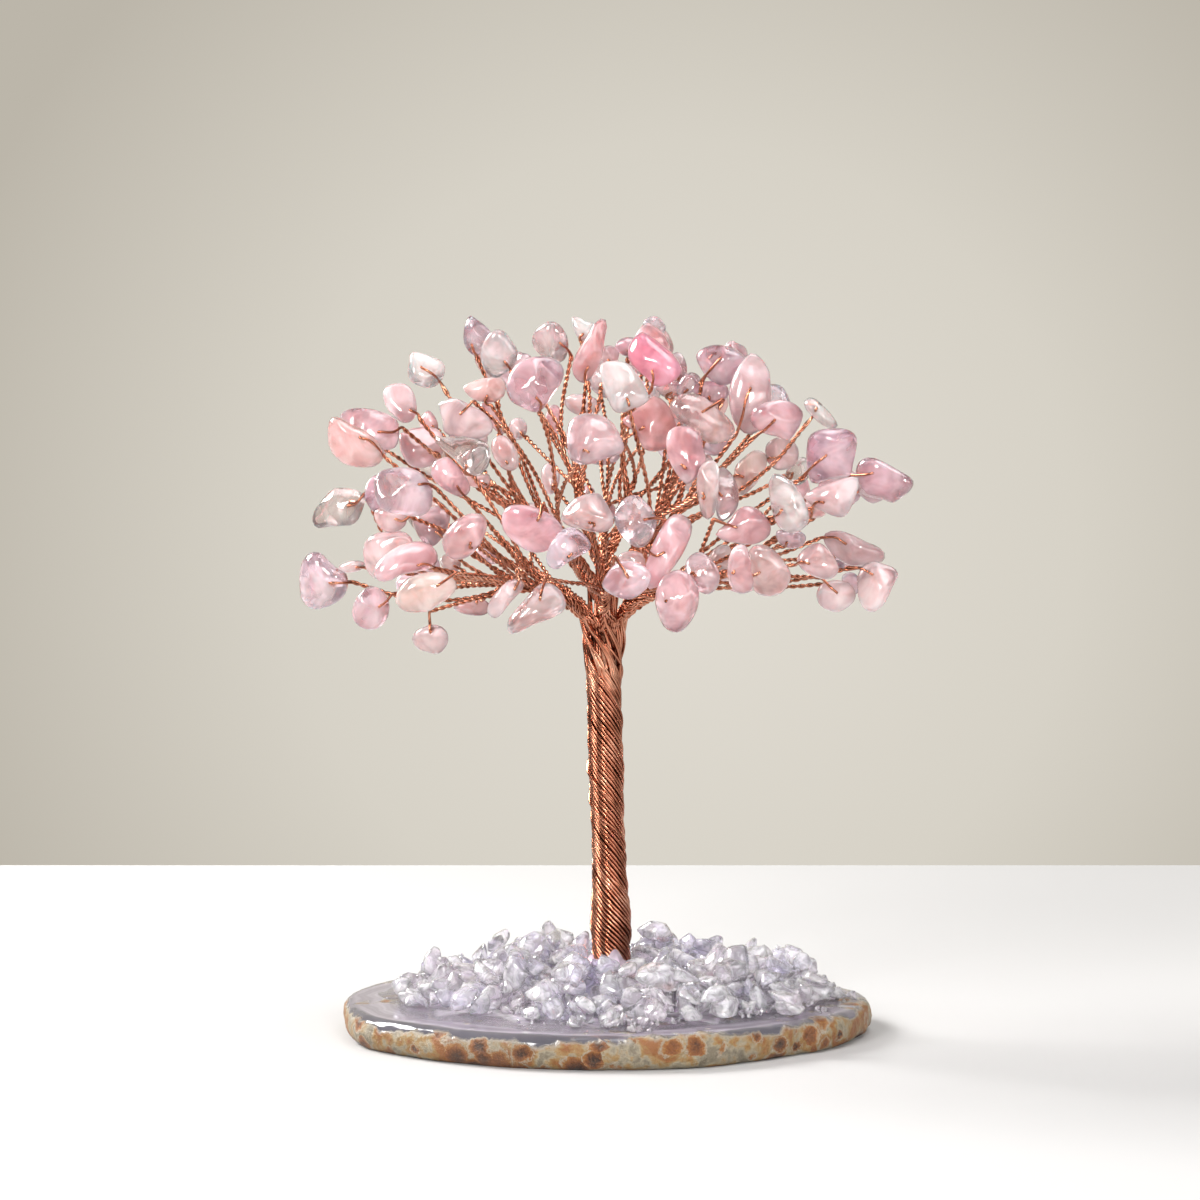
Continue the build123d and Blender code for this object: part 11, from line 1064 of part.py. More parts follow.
        ([(12.77,-7.478,8.14),(11.487,-8.091,8.63),(9.242,-8.171,11.541),(10.533,-6.293,13.681),(13.158,-5.959,10.649),(10.284,-8.581,9.663),(10.289,-9.33,12.154),(13.656,-8.891,7.779),(12.635,-7.789,12.857)],
         [(3,4,2),(3,2,6),(0,4,7),(8,4,3),(8,3,6),(8,7,4),(8,6,7),(5,6,2),(5,7,6),(1,0,7),(1,7,5),(1,5,2),(1,2,4),(1,4,0)]),
        ([(8.113,-9.861,10.689),(5.868,-9.964,10.833),(4.963,-4.873,9.685),(8.508,-6.37,10.365),(5.533,-5.519,10.846),(6.211,-5.385,11.214),(5.753,-4.924,10.718),(6.304,-4.923,10.317),(8.5,-9.958,10.254),(6.81,-9.62,11.193),(5.805,-9.63,9.293)],
         [(10,2,3),(10,1,2),(8,10,3),(8,1,10),(7,3,2),(7,5,3),(4,2,1),(4,1,5),(9,5,1),(9,3,5),(6,2,4),(6,4,5),(6,7,2),(6,5,7),(0,1,8),(0,9,1),(0,8,3),(0,3,9)]),
        ([(21.727,-10.022,9.9),(25.713,-8.962,9.094),(25.021,-12.585,9.743),(22.84,-8.933,9.46),(25.291,-10.173,10.197),(23.45,-12.385,8.137),(23.016,-12.186,9.849),(23.361,-11.725,10.241),(23.766,-8.878,9.992),(23.512,-9.97,10.514)],
         [(5,1,2),(3,5,0),(3,1,5),(6,0,5),(6,5,2),(4,2,1),(8,1,3),(8,4,1),(8,9,4),(8,0,9),(8,3,0),(7,6,2),(7,2,4),(7,4,9),(7,9,0),(7,0,6)]),
        ([(2.458,-7.446,9.568),(2.708,-7.716,10.371),(3.219,-6.785,8.608),(2.531,-7.425,11.464),(2.121,-7.01,9.825),(4.784,-5.653,9.887),(3.89,-7.319,8.79),(1.59,-4.38,9.976),(2.881,-5.843,12.352),(4.543,-7.713,10.256)],
         [(8,5,7),(2,7,5),(3,8,7),(4,7,2),(4,3,7),(4,1,3),(6,2,5),(9,5,8),(9,8,3),(9,6,5),(9,3,1),(9,1,6),(0,4,2),(0,2,6),(0,1,4),(0,6,1)]),
        ([(4.566,-4.397,10.103),(4.866,-4.613,10.163),(4.195,-3.689,9.449),(2.653,-6.19,8.856),(5.311,-4.457,10.036),(3.297,-3.612,9.361),(1.784,-4.874,9.605),(2.946,-5.062,8.325)],
         [(7,3,6),(7,4,3),(5,7,6),(1,6,3),(1,3,4),(2,4,7),(2,7,5),(0,2,5),(0,5,6),(0,6,1),(0,1,4),(0,4,2)]),
        ([(20.345,-11.58,9.238),(19.052,-13.449,10.178),(20.303,-13.246,10.857),(19.997,-12.286,8.638),(21.604,-11.815,9.232),(19.785,-12.453,8.633),(21.475,-12.171,8.298),(22.562,-14.384,9.145),(22.527,-12.678,9.024),(22.926,-14.372,8.346),(21.318,-11.865,9.462),(20.146,-12.754,8.403)],
         [(2,0,1),(11,9,1),(7,1,9),(7,2,1),(5,1,0),(5,11,1),(6,9,11),(8,2,7),(8,7,9),(8,9,6),(3,11,5),(3,6,11),(3,5,0),(3,0,6),(10,0,2),(10,2,8),(4,8,6),(4,10,8),(4,6,0),(4,0,10)]),
        ([(12.335,-21.485,10.884),(13.039,-25.939,11.323),(14.547,-20.563,11.578),(14.728,-20.608,10.149),(15.302,-24.425,8.074),(11.222,-26.242,10.275),(16.318,-24.466,8.884),(12.114,-21.608,11.008),(12.155,-22.019,11.482),(14.611,-21.479,11.295),(14.452,-27.745,9.196)],
         [(0,4,5),(10,1,5),(10,6,1),(10,5,4),(10,4,6),(9,6,2),(9,1,6),(9,2,1),(3,0,2),(3,4,0),(3,2,6),(3,6,4),(8,1,2),(8,5,1),(7,2,0),(7,8,2),(7,0,5),(7,5,8)]),
        ([(9.363,-13.104,12.167),(10.434,-13.226,12.821),(9.972,-13.967,11.991),(9.057,-12.118,10.029),(14.347,-14.211,11.192),(10.817,-11.878,12.218),(12.976,-15.567,12.529),(11.385,-15.206,12.204),(10.01,-14.662,10.276),(11.602,-14.824,9.433),(12.296,-14.93,9.924)],
         [(9,3,4),(5,4,3),(5,6,4),(8,3,9),(8,9,6),(10,4,6),(10,9,4),(10,6,9),(0,5,3),(0,3,8),(1,6,5),(1,5,0),(7,8,6),(7,6,1),(7,1,0),(2,0,8),(2,8,7),(2,7,0)]),
        ([(16.0,-5.488,12.228),(12.935,-7.412,12.16),(14.484,-8.649,11.168),(14.164,-7.222,10.662),(14.22,-5.973,13.494),(16.788,-6.625,12.898),(17.243,-6.882,10.082),(15.865,-9.098,11.898),(15.107,-5.71,13.53),(17.386,-6.325,11.817),(14.131,-8.957,12.639),(15.867,-5.311,11.034)],
         [(6,9,7),(11,9,6),(2,6,7),(10,1,2),(10,2,7),(5,7,9),(5,10,7),(5,8,10),(0,9,11),(0,11,8),(0,5,9),(0,8,5),(3,11,6),(3,6,2),(3,1,11),(3,2,1),(4,1,10),(4,10,8),(4,11,1),(4,8,11)]),
        ([(19.281,-17.861,6.661),(21.495,-20.295,8.16),(19.28,-18.996,11.458),(19.324,-17.723,6.474),(21.056,-17.834,7.453),(21.961,-19.692,8.658),(21.149,-20.442,6.475),(20.32,-17.43,6.77),(20.391,-17.438,8.304),(21.559,-19.595,7.092)],
         [(0,6,2),(8,2,5),(1,5,2),(1,2,6),(1,6,5),(9,5,6),(9,6,7),(3,7,6),(3,6,0),(3,8,7),(3,0,2),(3,2,8),(4,8,5),(4,7,8),(4,5,9),(4,9,7)]),
        ([(17.619,-16.795,9.743),(15.471,-16.113,12.537),(15.06,-15.946,11.495),(16.814,-17.501,9.98),(15.481,-20.175,11.676),(19.222,-16.278,10.347),(19.731,-17.261,10.926),(14.967,-18.017,11.134),(15.271,-19.469,11.697),(17.697,-21.891,12.206),(18.104,-19.877,12.833),(17.968,-18.991,9.735)],
         [(11,6,9),(4,7,11),(4,11,9),(10,9,6),(10,6,1),(10,4,9),(10,1,4),(8,1,7),(8,7,4),(8,4,1),(5,1,6),(5,6,11),(5,11,0),(3,11,7),(3,0,11),(2,1,5),(2,5,0),(2,7,1),(2,3,7),(2,0,3)]),
        ([(23.245,-16.085,10.111),(20.729,-17.906,11.365),(19.839,-16.471,10.837),(21.89,-17.664,10.804),(21.21,-15.343,11.183),(22.368,-17.178,10.964),(18.554,-18.078,9.456),(22.646,-14.318,8.321),(19.29,-16.669,9.106),(20.136,-15.985,7.96)],
         [(4,0,7),(9,7,0),(9,4,7),(3,1,6),(3,6,9),(3,9,0),(2,6,1),(2,1,4),(5,0,4),(5,3,0),(5,4,1),(5,1,3),(8,4,9),(8,2,4),(8,9,6),(8,6,2)]),
        ([(5.641,-12.044,12.461),(7.775,-11.058,12.359),(8.928,-15.398,9.549),(5.995,-13.824,11.607),(7.406,-12.045,9.476),(6.228,-10.838,10.413),(6.492,-12.083,13.234),(8.284,-14.202,12.34),(8.39,-13.82,9.068)],
         [(3,0,5),(3,6,0),(1,5,0),(1,0,6),(8,2,3),(8,1,2),(7,3,2),(7,6,3),(7,2,1),(7,1,6),(4,5,1),(4,1,8),(4,3,5),(4,8,3)]),
        ([(6.55,-10.83,11.105),(6.392,-8.097,11.749),(9.099,-9.459,15.175),(7.311,-11.129,12.729),(9.485,-6.54,12.611),(8.876,-9.866,10.772),(8.489,-6.626,13.816),(6.635,-9.927,12.89),(9.148,-9.069,15.707),(9.254,-10.763,12.925),(10.721,-8.603,15.297)],
         [(4,5,1),(4,10,5),(0,1,5),(9,5,10),(9,3,0),(9,0,5),(7,3,8),(7,1,0),(7,0,3),(6,10,4),(6,8,10),(6,4,1),(6,1,7),(6,7,8),(2,8,3),(2,3,9),(2,10,8),(2,9,10)]),
        ([(7.268,-6.741,11.587),(5.396,-6.994,14.054),(7.028,-6.365,13.604),(6.043,-7.808,13.033),(1.663,-3.741,11.239),(7.527,-5.452,12.439),(2.756,-4.184,10.127),(2.475,-5.934,13.157),(5.789,-7.382,11.617),(6.384,-4.821,11.489)],
         [(9,4,5),(9,6,4),(7,3,1),(7,8,3),(7,4,6),(7,6,8),(2,1,3),(2,5,4),(2,4,7),(2,7,1),(0,6,9),(0,8,6),(0,9,5),(0,3,8),(0,5,2),(0,2,3)]),
        ([(12.246,-17.976,9.647),(6.321,-18.807,9.917),(4.583,-16.705,12.257),(8.908,-13.949,12.44),(3.991,-18.892,12.118),(13.326,-16.939,12.107),(8.469,-20.371,13.85),(9.699,-18.701,15.093),(10.358,-18.835,9.662),(5.086,-16.211,13.909),(7.893,-20.852,12.943),(6.36,-16.053,14.436)],
         [(7,5,3),(0,3,5),(2,4,9),(2,9,3),(6,5,7),(6,0,5),(6,9,4),(6,7,9),(11,7,3),(11,3,9),(11,9,7),(1,4,2),(1,2,3),(1,3,0),(1,0,8),(10,8,0),(10,0,6),(10,1,8),(10,6,4),(10,4,1)]),
        ([(8.387,-11.739,11.547),(11.245,-12.509,13.027),(9.681,-14.748,13.711),(9.558,-10.482,10.76),(10.084,-14.644,16.201),(9.167,-14.336,13.285),(9.538,-13.84,12.849),(9.028,-12.562,11.777),(10.19,-9.615,13.015),(10.107,-14.706,13.671),(7.574,-13.745,13.863)],
         [(4,8,10),(4,1,8),(3,8,1),(9,1,4),(9,3,1),(7,3,9),(0,7,10),(0,3,7),(0,10,8),(0,8,3),(5,10,7),(2,10,5),(2,5,9),(2,4,10),(2,9,4),(6,7,9),(6,9,5),(6,5,7)]),
        ([(16.88,-10.738,12.633),(20.776,-12.623,13.691),(23.843,-10.149,11.785),(20.355,-10.689,14.702),(20.943,-12.8,11.002),(19.796,-12.633,13.143),(23.66,-10.769,13.912),(17.709,-7.8,11.864),(20.094,-13.106,12.742),(21.472,-8.63,10.979),(21.069,-10.566,9.968),(20.655,-8.469,11.086)],
         [(3,7,0),(10,0,7),(9,2,10),(11,10,7),(11,7,9),(11,9,10),(6,2,9),(6,7,3),(6,9,7),(4,10,2),(4,2,6),(4,0,10),(4,8,0),(5,3,0),(5,0,8),(1,6,3),(1,3,5),(1,5,8),(1,8,4),(1,4,6)]),
        ([(14.276,-15.784,13.281),(14.9,-13.308,10.661),(15.728,-9.769,14.331),(18.984,-14.544,12.014),(12.849,-13.56,14.561),(14.907,-11.815,10.788),(18.009,-10.024,14.035),(19.47,-12.577,13.15),(12.945,-14.595,12.296)],
         [(0,7,4),(6,4,7),(6,2,4),(5,4,2),(5,2,6),(5,6,7),(8,0,4),(8,1,0),(8,4,5),(8,5,1),(3,7,0),(3,0,1),(3,5,7),(3,1,5)]),
        ([(26.783,-13.08,9.759),(32.175,-10.73,8.428),(30.128,-11.972,10.748),(27.184,-14.445,10.568),(31.19,-14.029,8.823),(28.333,-12.377,7.359),(29.699,-11.076,9.931),(32.304,-13.153,7.877),(31.869,-11.675,6.9),(26.704,-14.051,10.374),(27.226,-15.142,9.693),(28.378,-11.338,8.615),(30.784,-13.452,6.514)],
         [(2,7,1),(8,11,1),(8,1,7),(8,7,12),(0,10,9),(6,1,11),(6,2,1),(6,11,0),(6,9,2),(6,0,9),(4,7,2),(4,12,7),(4,10,12),(5,8,12),(5,11,8),(5,0,11),(5,12,10),(5,10,0),(3,4,2),(3,10,4),(3,2,9),(3,9,10)]),
        ([(25.209,-18.806,7.149),(26.759,-16.75,6.502),(23.12,-18.055,8.882),(24.354,-16.533,11.111),(24.72,-16.731,6.503),(25.049,-15.125,9.968),(26.643,-16.098,6.559),(23.625,-16.54,9.675),(26.21,-16.782,9.262),(25.537,-17.561,9.913)],
         [(0,2,4),(0,4,1),(7,4,2),(7,5,4),(7,2,3),(7,3,5),(6,1,4),(6,4,5),(9,3,2),(9,2,0),(8,0,1),(8,9,0),(8,1,6),(8,6,5),(8,5,3),(8,3,9)]),
        ([(20.101,-25.089,10.713),(18.368,-27.337,10.342),(16.209,-24.367,9.133),(18.41,-22.673,9.995),(16.404,-23.304,11.455),(18.927,-25.518,9.097),(14.951,-26.736,9.638),(15.215,-25.68,10.071),(16.337,-26.446,11.895),(15.845,-27.939,9.788),(19.219,-25.166,12.393),(15.303,-27.046,9.409)],
         [(10,0,3),(4,10,3),(5,3,0),(8,10,4),(7,6,8),(7,8,4),(2,3,5),(2,6,7),(2,4,3),(2,7,4),(1,5,0),(1,0,10),(1,10,8),(9,5,1),(9,8,6),(9,1,8),(11,9,6),(11,5,9),(11,6,2),(11,2,5)]),
        ([(20.561,-17.801,11.765),(18.653,-17.296,14.059),(20.055,-17.596,11.178),(20.539,-15.266,13.687),(20.564,-16.371,11.204),(18.888,-17.238,13.929),(19.313,-14.976,11.444),(18.437,-16.59,11.275),(16.922,-16.989,12.719),(18.29,-13.623,13.962)],
         [(1,9,8),(3,9,1),(6,8,9),(6,3,4),(6,9,3),(0,1,8),(0,4,3),(7,8,6),(7,6,4),(5,3,1),(5,1,0),(5,0,3),(2,4,0),(2,7,4),(2,0,8),(2,8,7)]),
        ([(25.525,-13.145,9.487),(27.793,-13.542,11.826),(25.679,-14.085,10.053),(28.301,-12.4,10.696),(28.476,-13.618,11.024),(27.885,-13.801,11.565),(28.106,-12.741,11.702),(26.422,-12.115,12.324),(28.075,-12.782,11.826),(25.555,-11.992,12.036)],
         [(2,0,4),(3,4,0),(9,0,2),(9,3,0),(9,7,3),(5,2,4),(6,3,7),(6,7,8),(6,4,3),(6,8,4),(1,8,7),(1,7,9),(1,5,4),(1,4,8),(1,9,2),(1,2,5)]),
        ([(23.611,-15.599,8.665),(22.501,-14.487,9.638),(22.736,-14.253,8.94),(22.914,-14.548,8.902),(22.989,-15.099,9.301),(23.643,-15.698,10.298),(23.04,-15.069,9.161),(24.947,-15.232,9.636),(23.463,-14.065,8.424),(24.986,-13.759,8.627),(23.095,-14.229,12.242),(24.459,-15.114,7.999),(25.188,-14.135,7.868)],
         [(10,1,5),(8,9,12),(8,10,9),(4,5,1),(4,0,5),(11,8,12),(7,10,5),(7,9,10),(7,12,9),(7,11,12),(7,5,0),(7,0,11),(2,1,10),(2,10,8),(2,11,0),(2,8,11),(6,0,4),(6,4,1),(6,1,2),(3,2,0),(3,0,6),(3,6,2)]),
        ([(17.585,-13.127,15.453),(18.169,-17.76,14.829),(20.114,-13.407,16.713),(15.121,-15.351,13.625),(17.459,-14.252,13.041),(17.521,-13.521,16.512),(17.586,-13.548,14.253),(18.237,-13.872,17.61),(16.802,-16.59,12.604),(18.311,-12.518,16.668),(16.637,-15.264,12.714),(19.635,-12.566,16.18)],
         [(7,3,1),(7,1,2),(4,2,1),(8,1,3),(8,4,1),(9,7,2),(10,3,4),(10,8,3),(10,4,8),(11,2,4),(11,9,2),(5,3,7),(5,9,3),(5,7,9),(0,3,9),(6,9,11),(6,0,9),(6,11,4),(6,4,3),(6,3,0)]),
        ([(10.831,-18.979,11.846),(11.924,-18.776,14.178),(11.798,-19.579,14.04),(15.054,-18.92,11.686),(15.035,-20.559,11.686),(11.206,-19.649,11.581),(15.008,-18.397,11.841),(15.403,-20.68,12.126),(13.117,-17.232,12.413),(11.023,-19.526,13.741),(10.705,-19.299,11.792),(11.318,-19.499,14.16)],
         [(9,7,11),(9,11,1),(2,7,1),(2,11,7),(2,1,11),(4,3,7),(0,1,8),(0,10,9),(0,9,1),(5,10,0),(5,3,4),(5,9,10),(5,7,9),(5,4,7),(6,0,8),(6,8,1),(6,3,5),(6,5,0),(6,1,7),(6,7,3)]),
    ],
}

RINGS = [(-1.0, 0.5), (-0.58, 0.86), (0.0, 1.0), (0.58, 0.86), (1.0, 0.5)]


def save(name, solids):
    solids = list(solids)
    export_step(solids[0] if len(solids) == 1 else Compound(children=solids), f"parts/{name}.step")


def polyhedron(points, faces):
    made = [Face(Wire.make_polygon([Vector(*points[k]) for k in f], close=True)) for f in faces]
    solid = Solid(Shell(made))
    return solid if solid.volume > 0 else Solid(Shell([-f for f in made]))


def biggest(shape):
    return max(shape.solids(), key=lambda s: s.volume)


def tube(points, radius):
    """A round tube along straight runs joined by arcs as large as the runs allow."""
    pts = [Vector(*p) for p in points]
    keep = [pts[0]]
    for p, q in zip(pts[1:-1], pts[2:]):
        if (p - keep[-1]).get_angle(q - p) > 1.5:
            keep.append(p)
    keep.append(pts[-1])
    if len(keep) == 2:
        path = Line(keep[0], keep[1])
    else:
        radii = []
        for a, p, q in zip(keep[:-2], keep[1:-1], keep[2:]):
            turn = math.radians((p - a).get_angle(q - p))
            radii.append(0.45 * min((p - a).length, (q - p).length) / math.tan(turn / 2))
        path = FilletPolyline(*keep, radius=radii)
    start = Plane(origin=keep[0], z_dir=path % 0)
    return biggest(sweep(start * Circle(radius), path=path))


def bend(piv, k, q, t):
    return tuple((1 - t) ** 2 * a + 2 * t * (1 - t) * b + t * t * c for a, b, c in zip(piv, k, q))


def stone_solid(middle, half, slant_x, slant_z, outline):
    n, pts = len(outline), []
    for depth, scale in RINGS:
        for x, z in outline:
            x, z = x * scale, z * scale
            pts.append((middle[0] + x, middle[1] + depth * half + slant_x * x + slant_z * z, middle[2] + z))
    faces = [list(range(n)), list(range(4 * n, 5 * n))[::-1]]
    for r in range(4):
        for i in range(n):
            j = (i + 1) % n
            faces.append([r * n + i, (r + 1) * n + i, (r + 1) * n + j, r * n + j])
    return polyhedron(pts, faces)


# agate slice: an uneven oval with a rounded natural rim
def oval(scale_x, scale_y, points=28):
    out = []
    for i in range(points):
        a = 2 * math.pi * i / points
        w = 1 + 0.018 * math.sin(3 * a + 0.7) + 0.012 * math.sin(5 * a + 2.1) + 0.008 * math.sin(9 * a) - 0.024 * math.cos(a)
        out.append((scale_x * w * math.cos(a), scale_y * w * math.sin(a)))
    return out


def oval_block(scale_x, scale_y, z, height):
    edge = Spline(*[(x, y, z) for x, y in oval(scale_x, scale_y)], periodic=True)
    return Solid.extrude(Face(Wire([edge])), Vector(0, 0, height))


slab = oval_block(SLICE_HALF_X, SLICE_HALF_Y, 0, SLICE_T)
slab = biggest(fillet(slab.edges().filter_by(lambda e: e.length > 100), SLICE_EDGE_R))
save("agate_slice", [slab])

# clear glue bed with a hole for the trunk foot
bed = oval_block(SLICE_HALF_X * 0.85, SLICE_HALF_Y * 0.85, SLICE_T, GLUE_T)
foot_hole = Cylinder(FOOT_R + 0.1, 10).moved(Location((0.6, 0, SLICE_T)))
save("glue_bed", [biggest(bed - foot_hole)])

# trunk: the twisted rope of all the wires, tapering where the limbs part from it
TRUNK = [(0.6, SLICE_T, FOOT_R), (0.6, 13.0, FOOT_R), (0.2, 28.0, 2.95), (-0.4, 46.0, 2.95), (-0.8, 62.0, 3.1), (-0.8, 69.0, 3.2),
         (-0.8, 74.0, 2.2), (-0.8, 78.0, 1.35), (-0.8, 81.2, 0.8)]
rope = [Plane(origin=(x, 0, z)) * Circle(r) for x, z, r in TRUNK]
save("trunk_wire_rope", [biggest(loft(rope, ruled=True))])

# glue collar round the foot, above the bed
collar_z = SLICE_T + GLUE_T
collar = Cone(6.1, 3.6, COLLAR_H, align=(Align.CENTER, Align.CENTER, Align.MIN)).moved(Location((0, 0, collar_z)))
bore = Cylinder(FOOT_R + 0.02, 20).moved(Location((0.6, 0, collar_z)))
save("foot_glue_collar", [biggest(collar - bore)])

# splayed wire ends set in the glue bed
roots = []
for i in range(ROOT_WIRES):
    a = 2 * math.pi * (i + 0.3 * math.sin(4.1 * i)) / ROOT_WIRES
    run = 8.0 + 3.0 * math.sin(2.3 * i)
    start = Plane(origin=(0.6 + (FOOT_R + 0.12) * math.cos(a), (FOOT_R + 0.12) * math.sin(a), SLICE_T + 0.4), z_dir=(math.cos(a), math.sin(a), 0))
    roots.append(Solid.make_cylinder(0.3, run, start))
save("root_wires", roots)

# crushed quartz
for name, chips in CHIPS.items():
    save(name, [polyhedron(points, faces) for points, faces in chips])

# limbs and stones
stem_of = {}
for limb, (piv, k, q, radius, heading) in LIMBS.items():
    stem = tube([bend(piv, k, q, t) for t in (0, 0.25, 0.5, 0.75, 1)], radius)
    a = math.radians(heading)
    across = Vector(-math.sin(a), math.cos(a), 0)
    # rounded root of the bundle, a barrel lying along the line that it bends about
    root = Solid.make_cylinder(radius, 1.7 * radius, Plane(origin=Vector(*piv) - across * 0.85 * radius, z_dir=across))
    stem_of[limb] = biggest(stem + root)

wires = {limb: [stem] for limb, stem in stem_of.items()}
gems = {limb: [] for limb in LIMBS}
# poles of the small round corners, kept clear of the wires that meet there
TURN = Vector(0.3, 0.5, 0.8)


def rod(points, radius):
    """Round wire bent at points, with a rounded corner at each."""
    out = None
    for a, b in zip(points, points[1:]):
        leg = Solid.make_cylinder(radius, (Vector(*b) - Vector(*a)).length, Plane(origin=a, z_dir=Vector(*b) - Vector(*a)))
        out = leg if out is None else out + leg
    for p in points[1:-1]:
        out = out + Solid.make_sphere(radius * 1.06, Plane(origin=p, z_dir=TURN), -90, 90, 360)
    return out


def sound(shape):
    return shape.is_valid() if callable(shape.is_valid) else shape.is_valid


for name, limb, middle, half, sx, sz, hole, start, mid, end, tip, outline in STONES:
    stone = stone_solid(middle, half, sx, sz, outline)
    if hole:
        drill = Solid.make_cylinder(HOLE_R, 30, Plane(origin=(hole[0], hole[1] - 15, hole[2]), z_dir=(0, 1, 0)))
        stone = biggest(stone - drill)
        save(LOOSE[name], [stone])
        # the loop runs over both faces at a steady distance from the stone's slanted middle plane
        d = half + 0.5
        y_end = middle[1] + sx * (end[0] - middle[0]) + sz * (end[2] - middle[2])
        y_hole = middle[1] + sx * (hole[0] - middle[0]) + sz * (hole[2] - middle[2])
        tail = rod([end, (end[0], y_end - d, end[2]), (hole[0], y_hole - d, hole[2]), (hole[0], y_hole + d, hole[2]), (end[0], y_end + d, end[2]), end], WIRE_R)
    else:
        tail = Solid.make_cylinder(WIRE_R, (Vector(*tip) - Vector(*end)).length, Plane(origin=end, z_dir=Vector(*tip) - Vector(*end)))
        gems[limb].append(stone)
    best = None
    for trial in (1.0, 1.06, 1.12, 0.97, 1.2, 1.3):
        # two twigs are bent sharply enough to be set out as straight legs
        twist = rod([start, mid, end], TWIG_R) if name in ("S29", "S81") else tube([start, mid, end], TWIG_R)
        eye = Solid.make_sphere(TWIG_R * trial + (0.06 if hole else 0.0), Plane(origin=end, z_dir=TURN), -90, 90, 360)
        twig = biggest(biggest(twist + eye + tail) - stem_of[limb])
        if sound(twig):
            best = twig
            break
    if best is None:
        print("twig is not sound:", name)
        best = twig
    wires[limb].append(best)
for limb in LIMBS:
    save(f"{limb}_wires", wires[limb])
    save(f"{limb}_stones", gems[limb])
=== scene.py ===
import bpy, bmesh, math, random
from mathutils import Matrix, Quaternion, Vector, noise
from mathutils.bvhtree import BVHTree


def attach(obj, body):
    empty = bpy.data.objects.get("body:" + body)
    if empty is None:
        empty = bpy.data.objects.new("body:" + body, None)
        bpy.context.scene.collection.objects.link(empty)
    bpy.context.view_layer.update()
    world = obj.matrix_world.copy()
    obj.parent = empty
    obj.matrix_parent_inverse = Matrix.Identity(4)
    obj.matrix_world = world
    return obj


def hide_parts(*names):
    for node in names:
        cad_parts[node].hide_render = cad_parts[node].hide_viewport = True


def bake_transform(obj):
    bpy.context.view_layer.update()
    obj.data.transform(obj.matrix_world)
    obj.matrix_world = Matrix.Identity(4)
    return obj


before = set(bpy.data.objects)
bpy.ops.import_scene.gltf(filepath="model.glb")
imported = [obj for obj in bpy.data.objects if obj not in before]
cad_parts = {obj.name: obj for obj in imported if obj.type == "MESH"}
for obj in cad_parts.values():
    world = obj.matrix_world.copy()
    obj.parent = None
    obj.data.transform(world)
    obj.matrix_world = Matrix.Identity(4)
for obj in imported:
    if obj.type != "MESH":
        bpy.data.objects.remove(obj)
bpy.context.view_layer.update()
MM = 0.001

# each limb: root, bend control, end of the bundle, bundle radius, heading (mm, degrees)
# each stone: name, limb, tint, middle, half thickness, slant in x and z, hook of the wire over its front face, where its twig leaves the bundle,
# twig start, bend and twist end, outline about the middle (mm)

LIMBS = {
    'right_low': ((3.79, -0.3, 72.5), (9.52, -0.68, 77.67), (21.06, -1.44, 78.7), 1.05, -3.8),
    'back_right_low': ((2.61, 3.09, 72.5), (7.19, 7.23, 78.05), (16.74, 15.88, 77.73), 1.04, 42.1),
    'back_low': ((-1.06, 4.59, 72.5), (-1.36, 10.01, 77.39), (-1.89, 19.51, 81.4), 0.85, 93.2),
    'back_left_low': ((-4.13, 3.18, 72.5), (-7.92, 6.79, 77.21), (-15.47, 14.0, 78.47), 1.05, 136.3),
    'left_low': ((-5.39, -0.35, 72.5), (-10.87, -0.76, 77.45), (-22.08, -1.6, 77.94), 1.05, -175.7),
    'front_left_low': ((-4.47, -2.77, 72.5), (-8.26, -5.64, 76.77), (-16.2, -11.64, 76.37), 1.04, -142.9),
    'front_low': ((-0.71, -4.6, 72.5), (-0.62, -8.91, 76.38), (-0.44, -17.43, 77.62), 1.05, -88.8),
    'front_right_low': ((2.76, -2.92, 72.5), (6.48, -5.97, 76.84), (13.9, -12.06, 78.01), 1.04, -39.4),
    'right_upper': ((2.45, 0.59, 78.5), (7.29, 1.46, 83.91), (14.1, 2.69, 91.26), 1.05, 10.2),
    'back_upper': ((-0.8, 3.3, 78.5), (-0.79, 8.35, 84.05), (-0.78, 15.4, 91.64), 1.05, 89.9),
    'left_upper': ((-4.05, 0.57, 78.5), (-9.26, 1.48, 84.32), (-16.61, 2.77, 92.2), 1.05, 170.1),
    'front_left_upper': ((-3.09, -2.38, 78.5), (-6.21, -5.63, 83.46), (-10.41, -10.0, 90.46), 0.95, -133.9),
    'front_right_upper': ((1.44, -2.42, 78.5), (4.41, -5.62, 83.29), (8.64, -10.18, 89.73), 1.04, -47.2),
    'crown_left': ((-2.19, -0.19, 83.0), (-5.35, -0.64, 89.39), (-5.69, 3.03, 99.33), 1.04, 188.0),
    'crown_right': ((0.59, 0.19, 83.0), (3.65, 0.63, 89.18), (4.71, 2.61, 98.76), 1.05, 8.0),
}
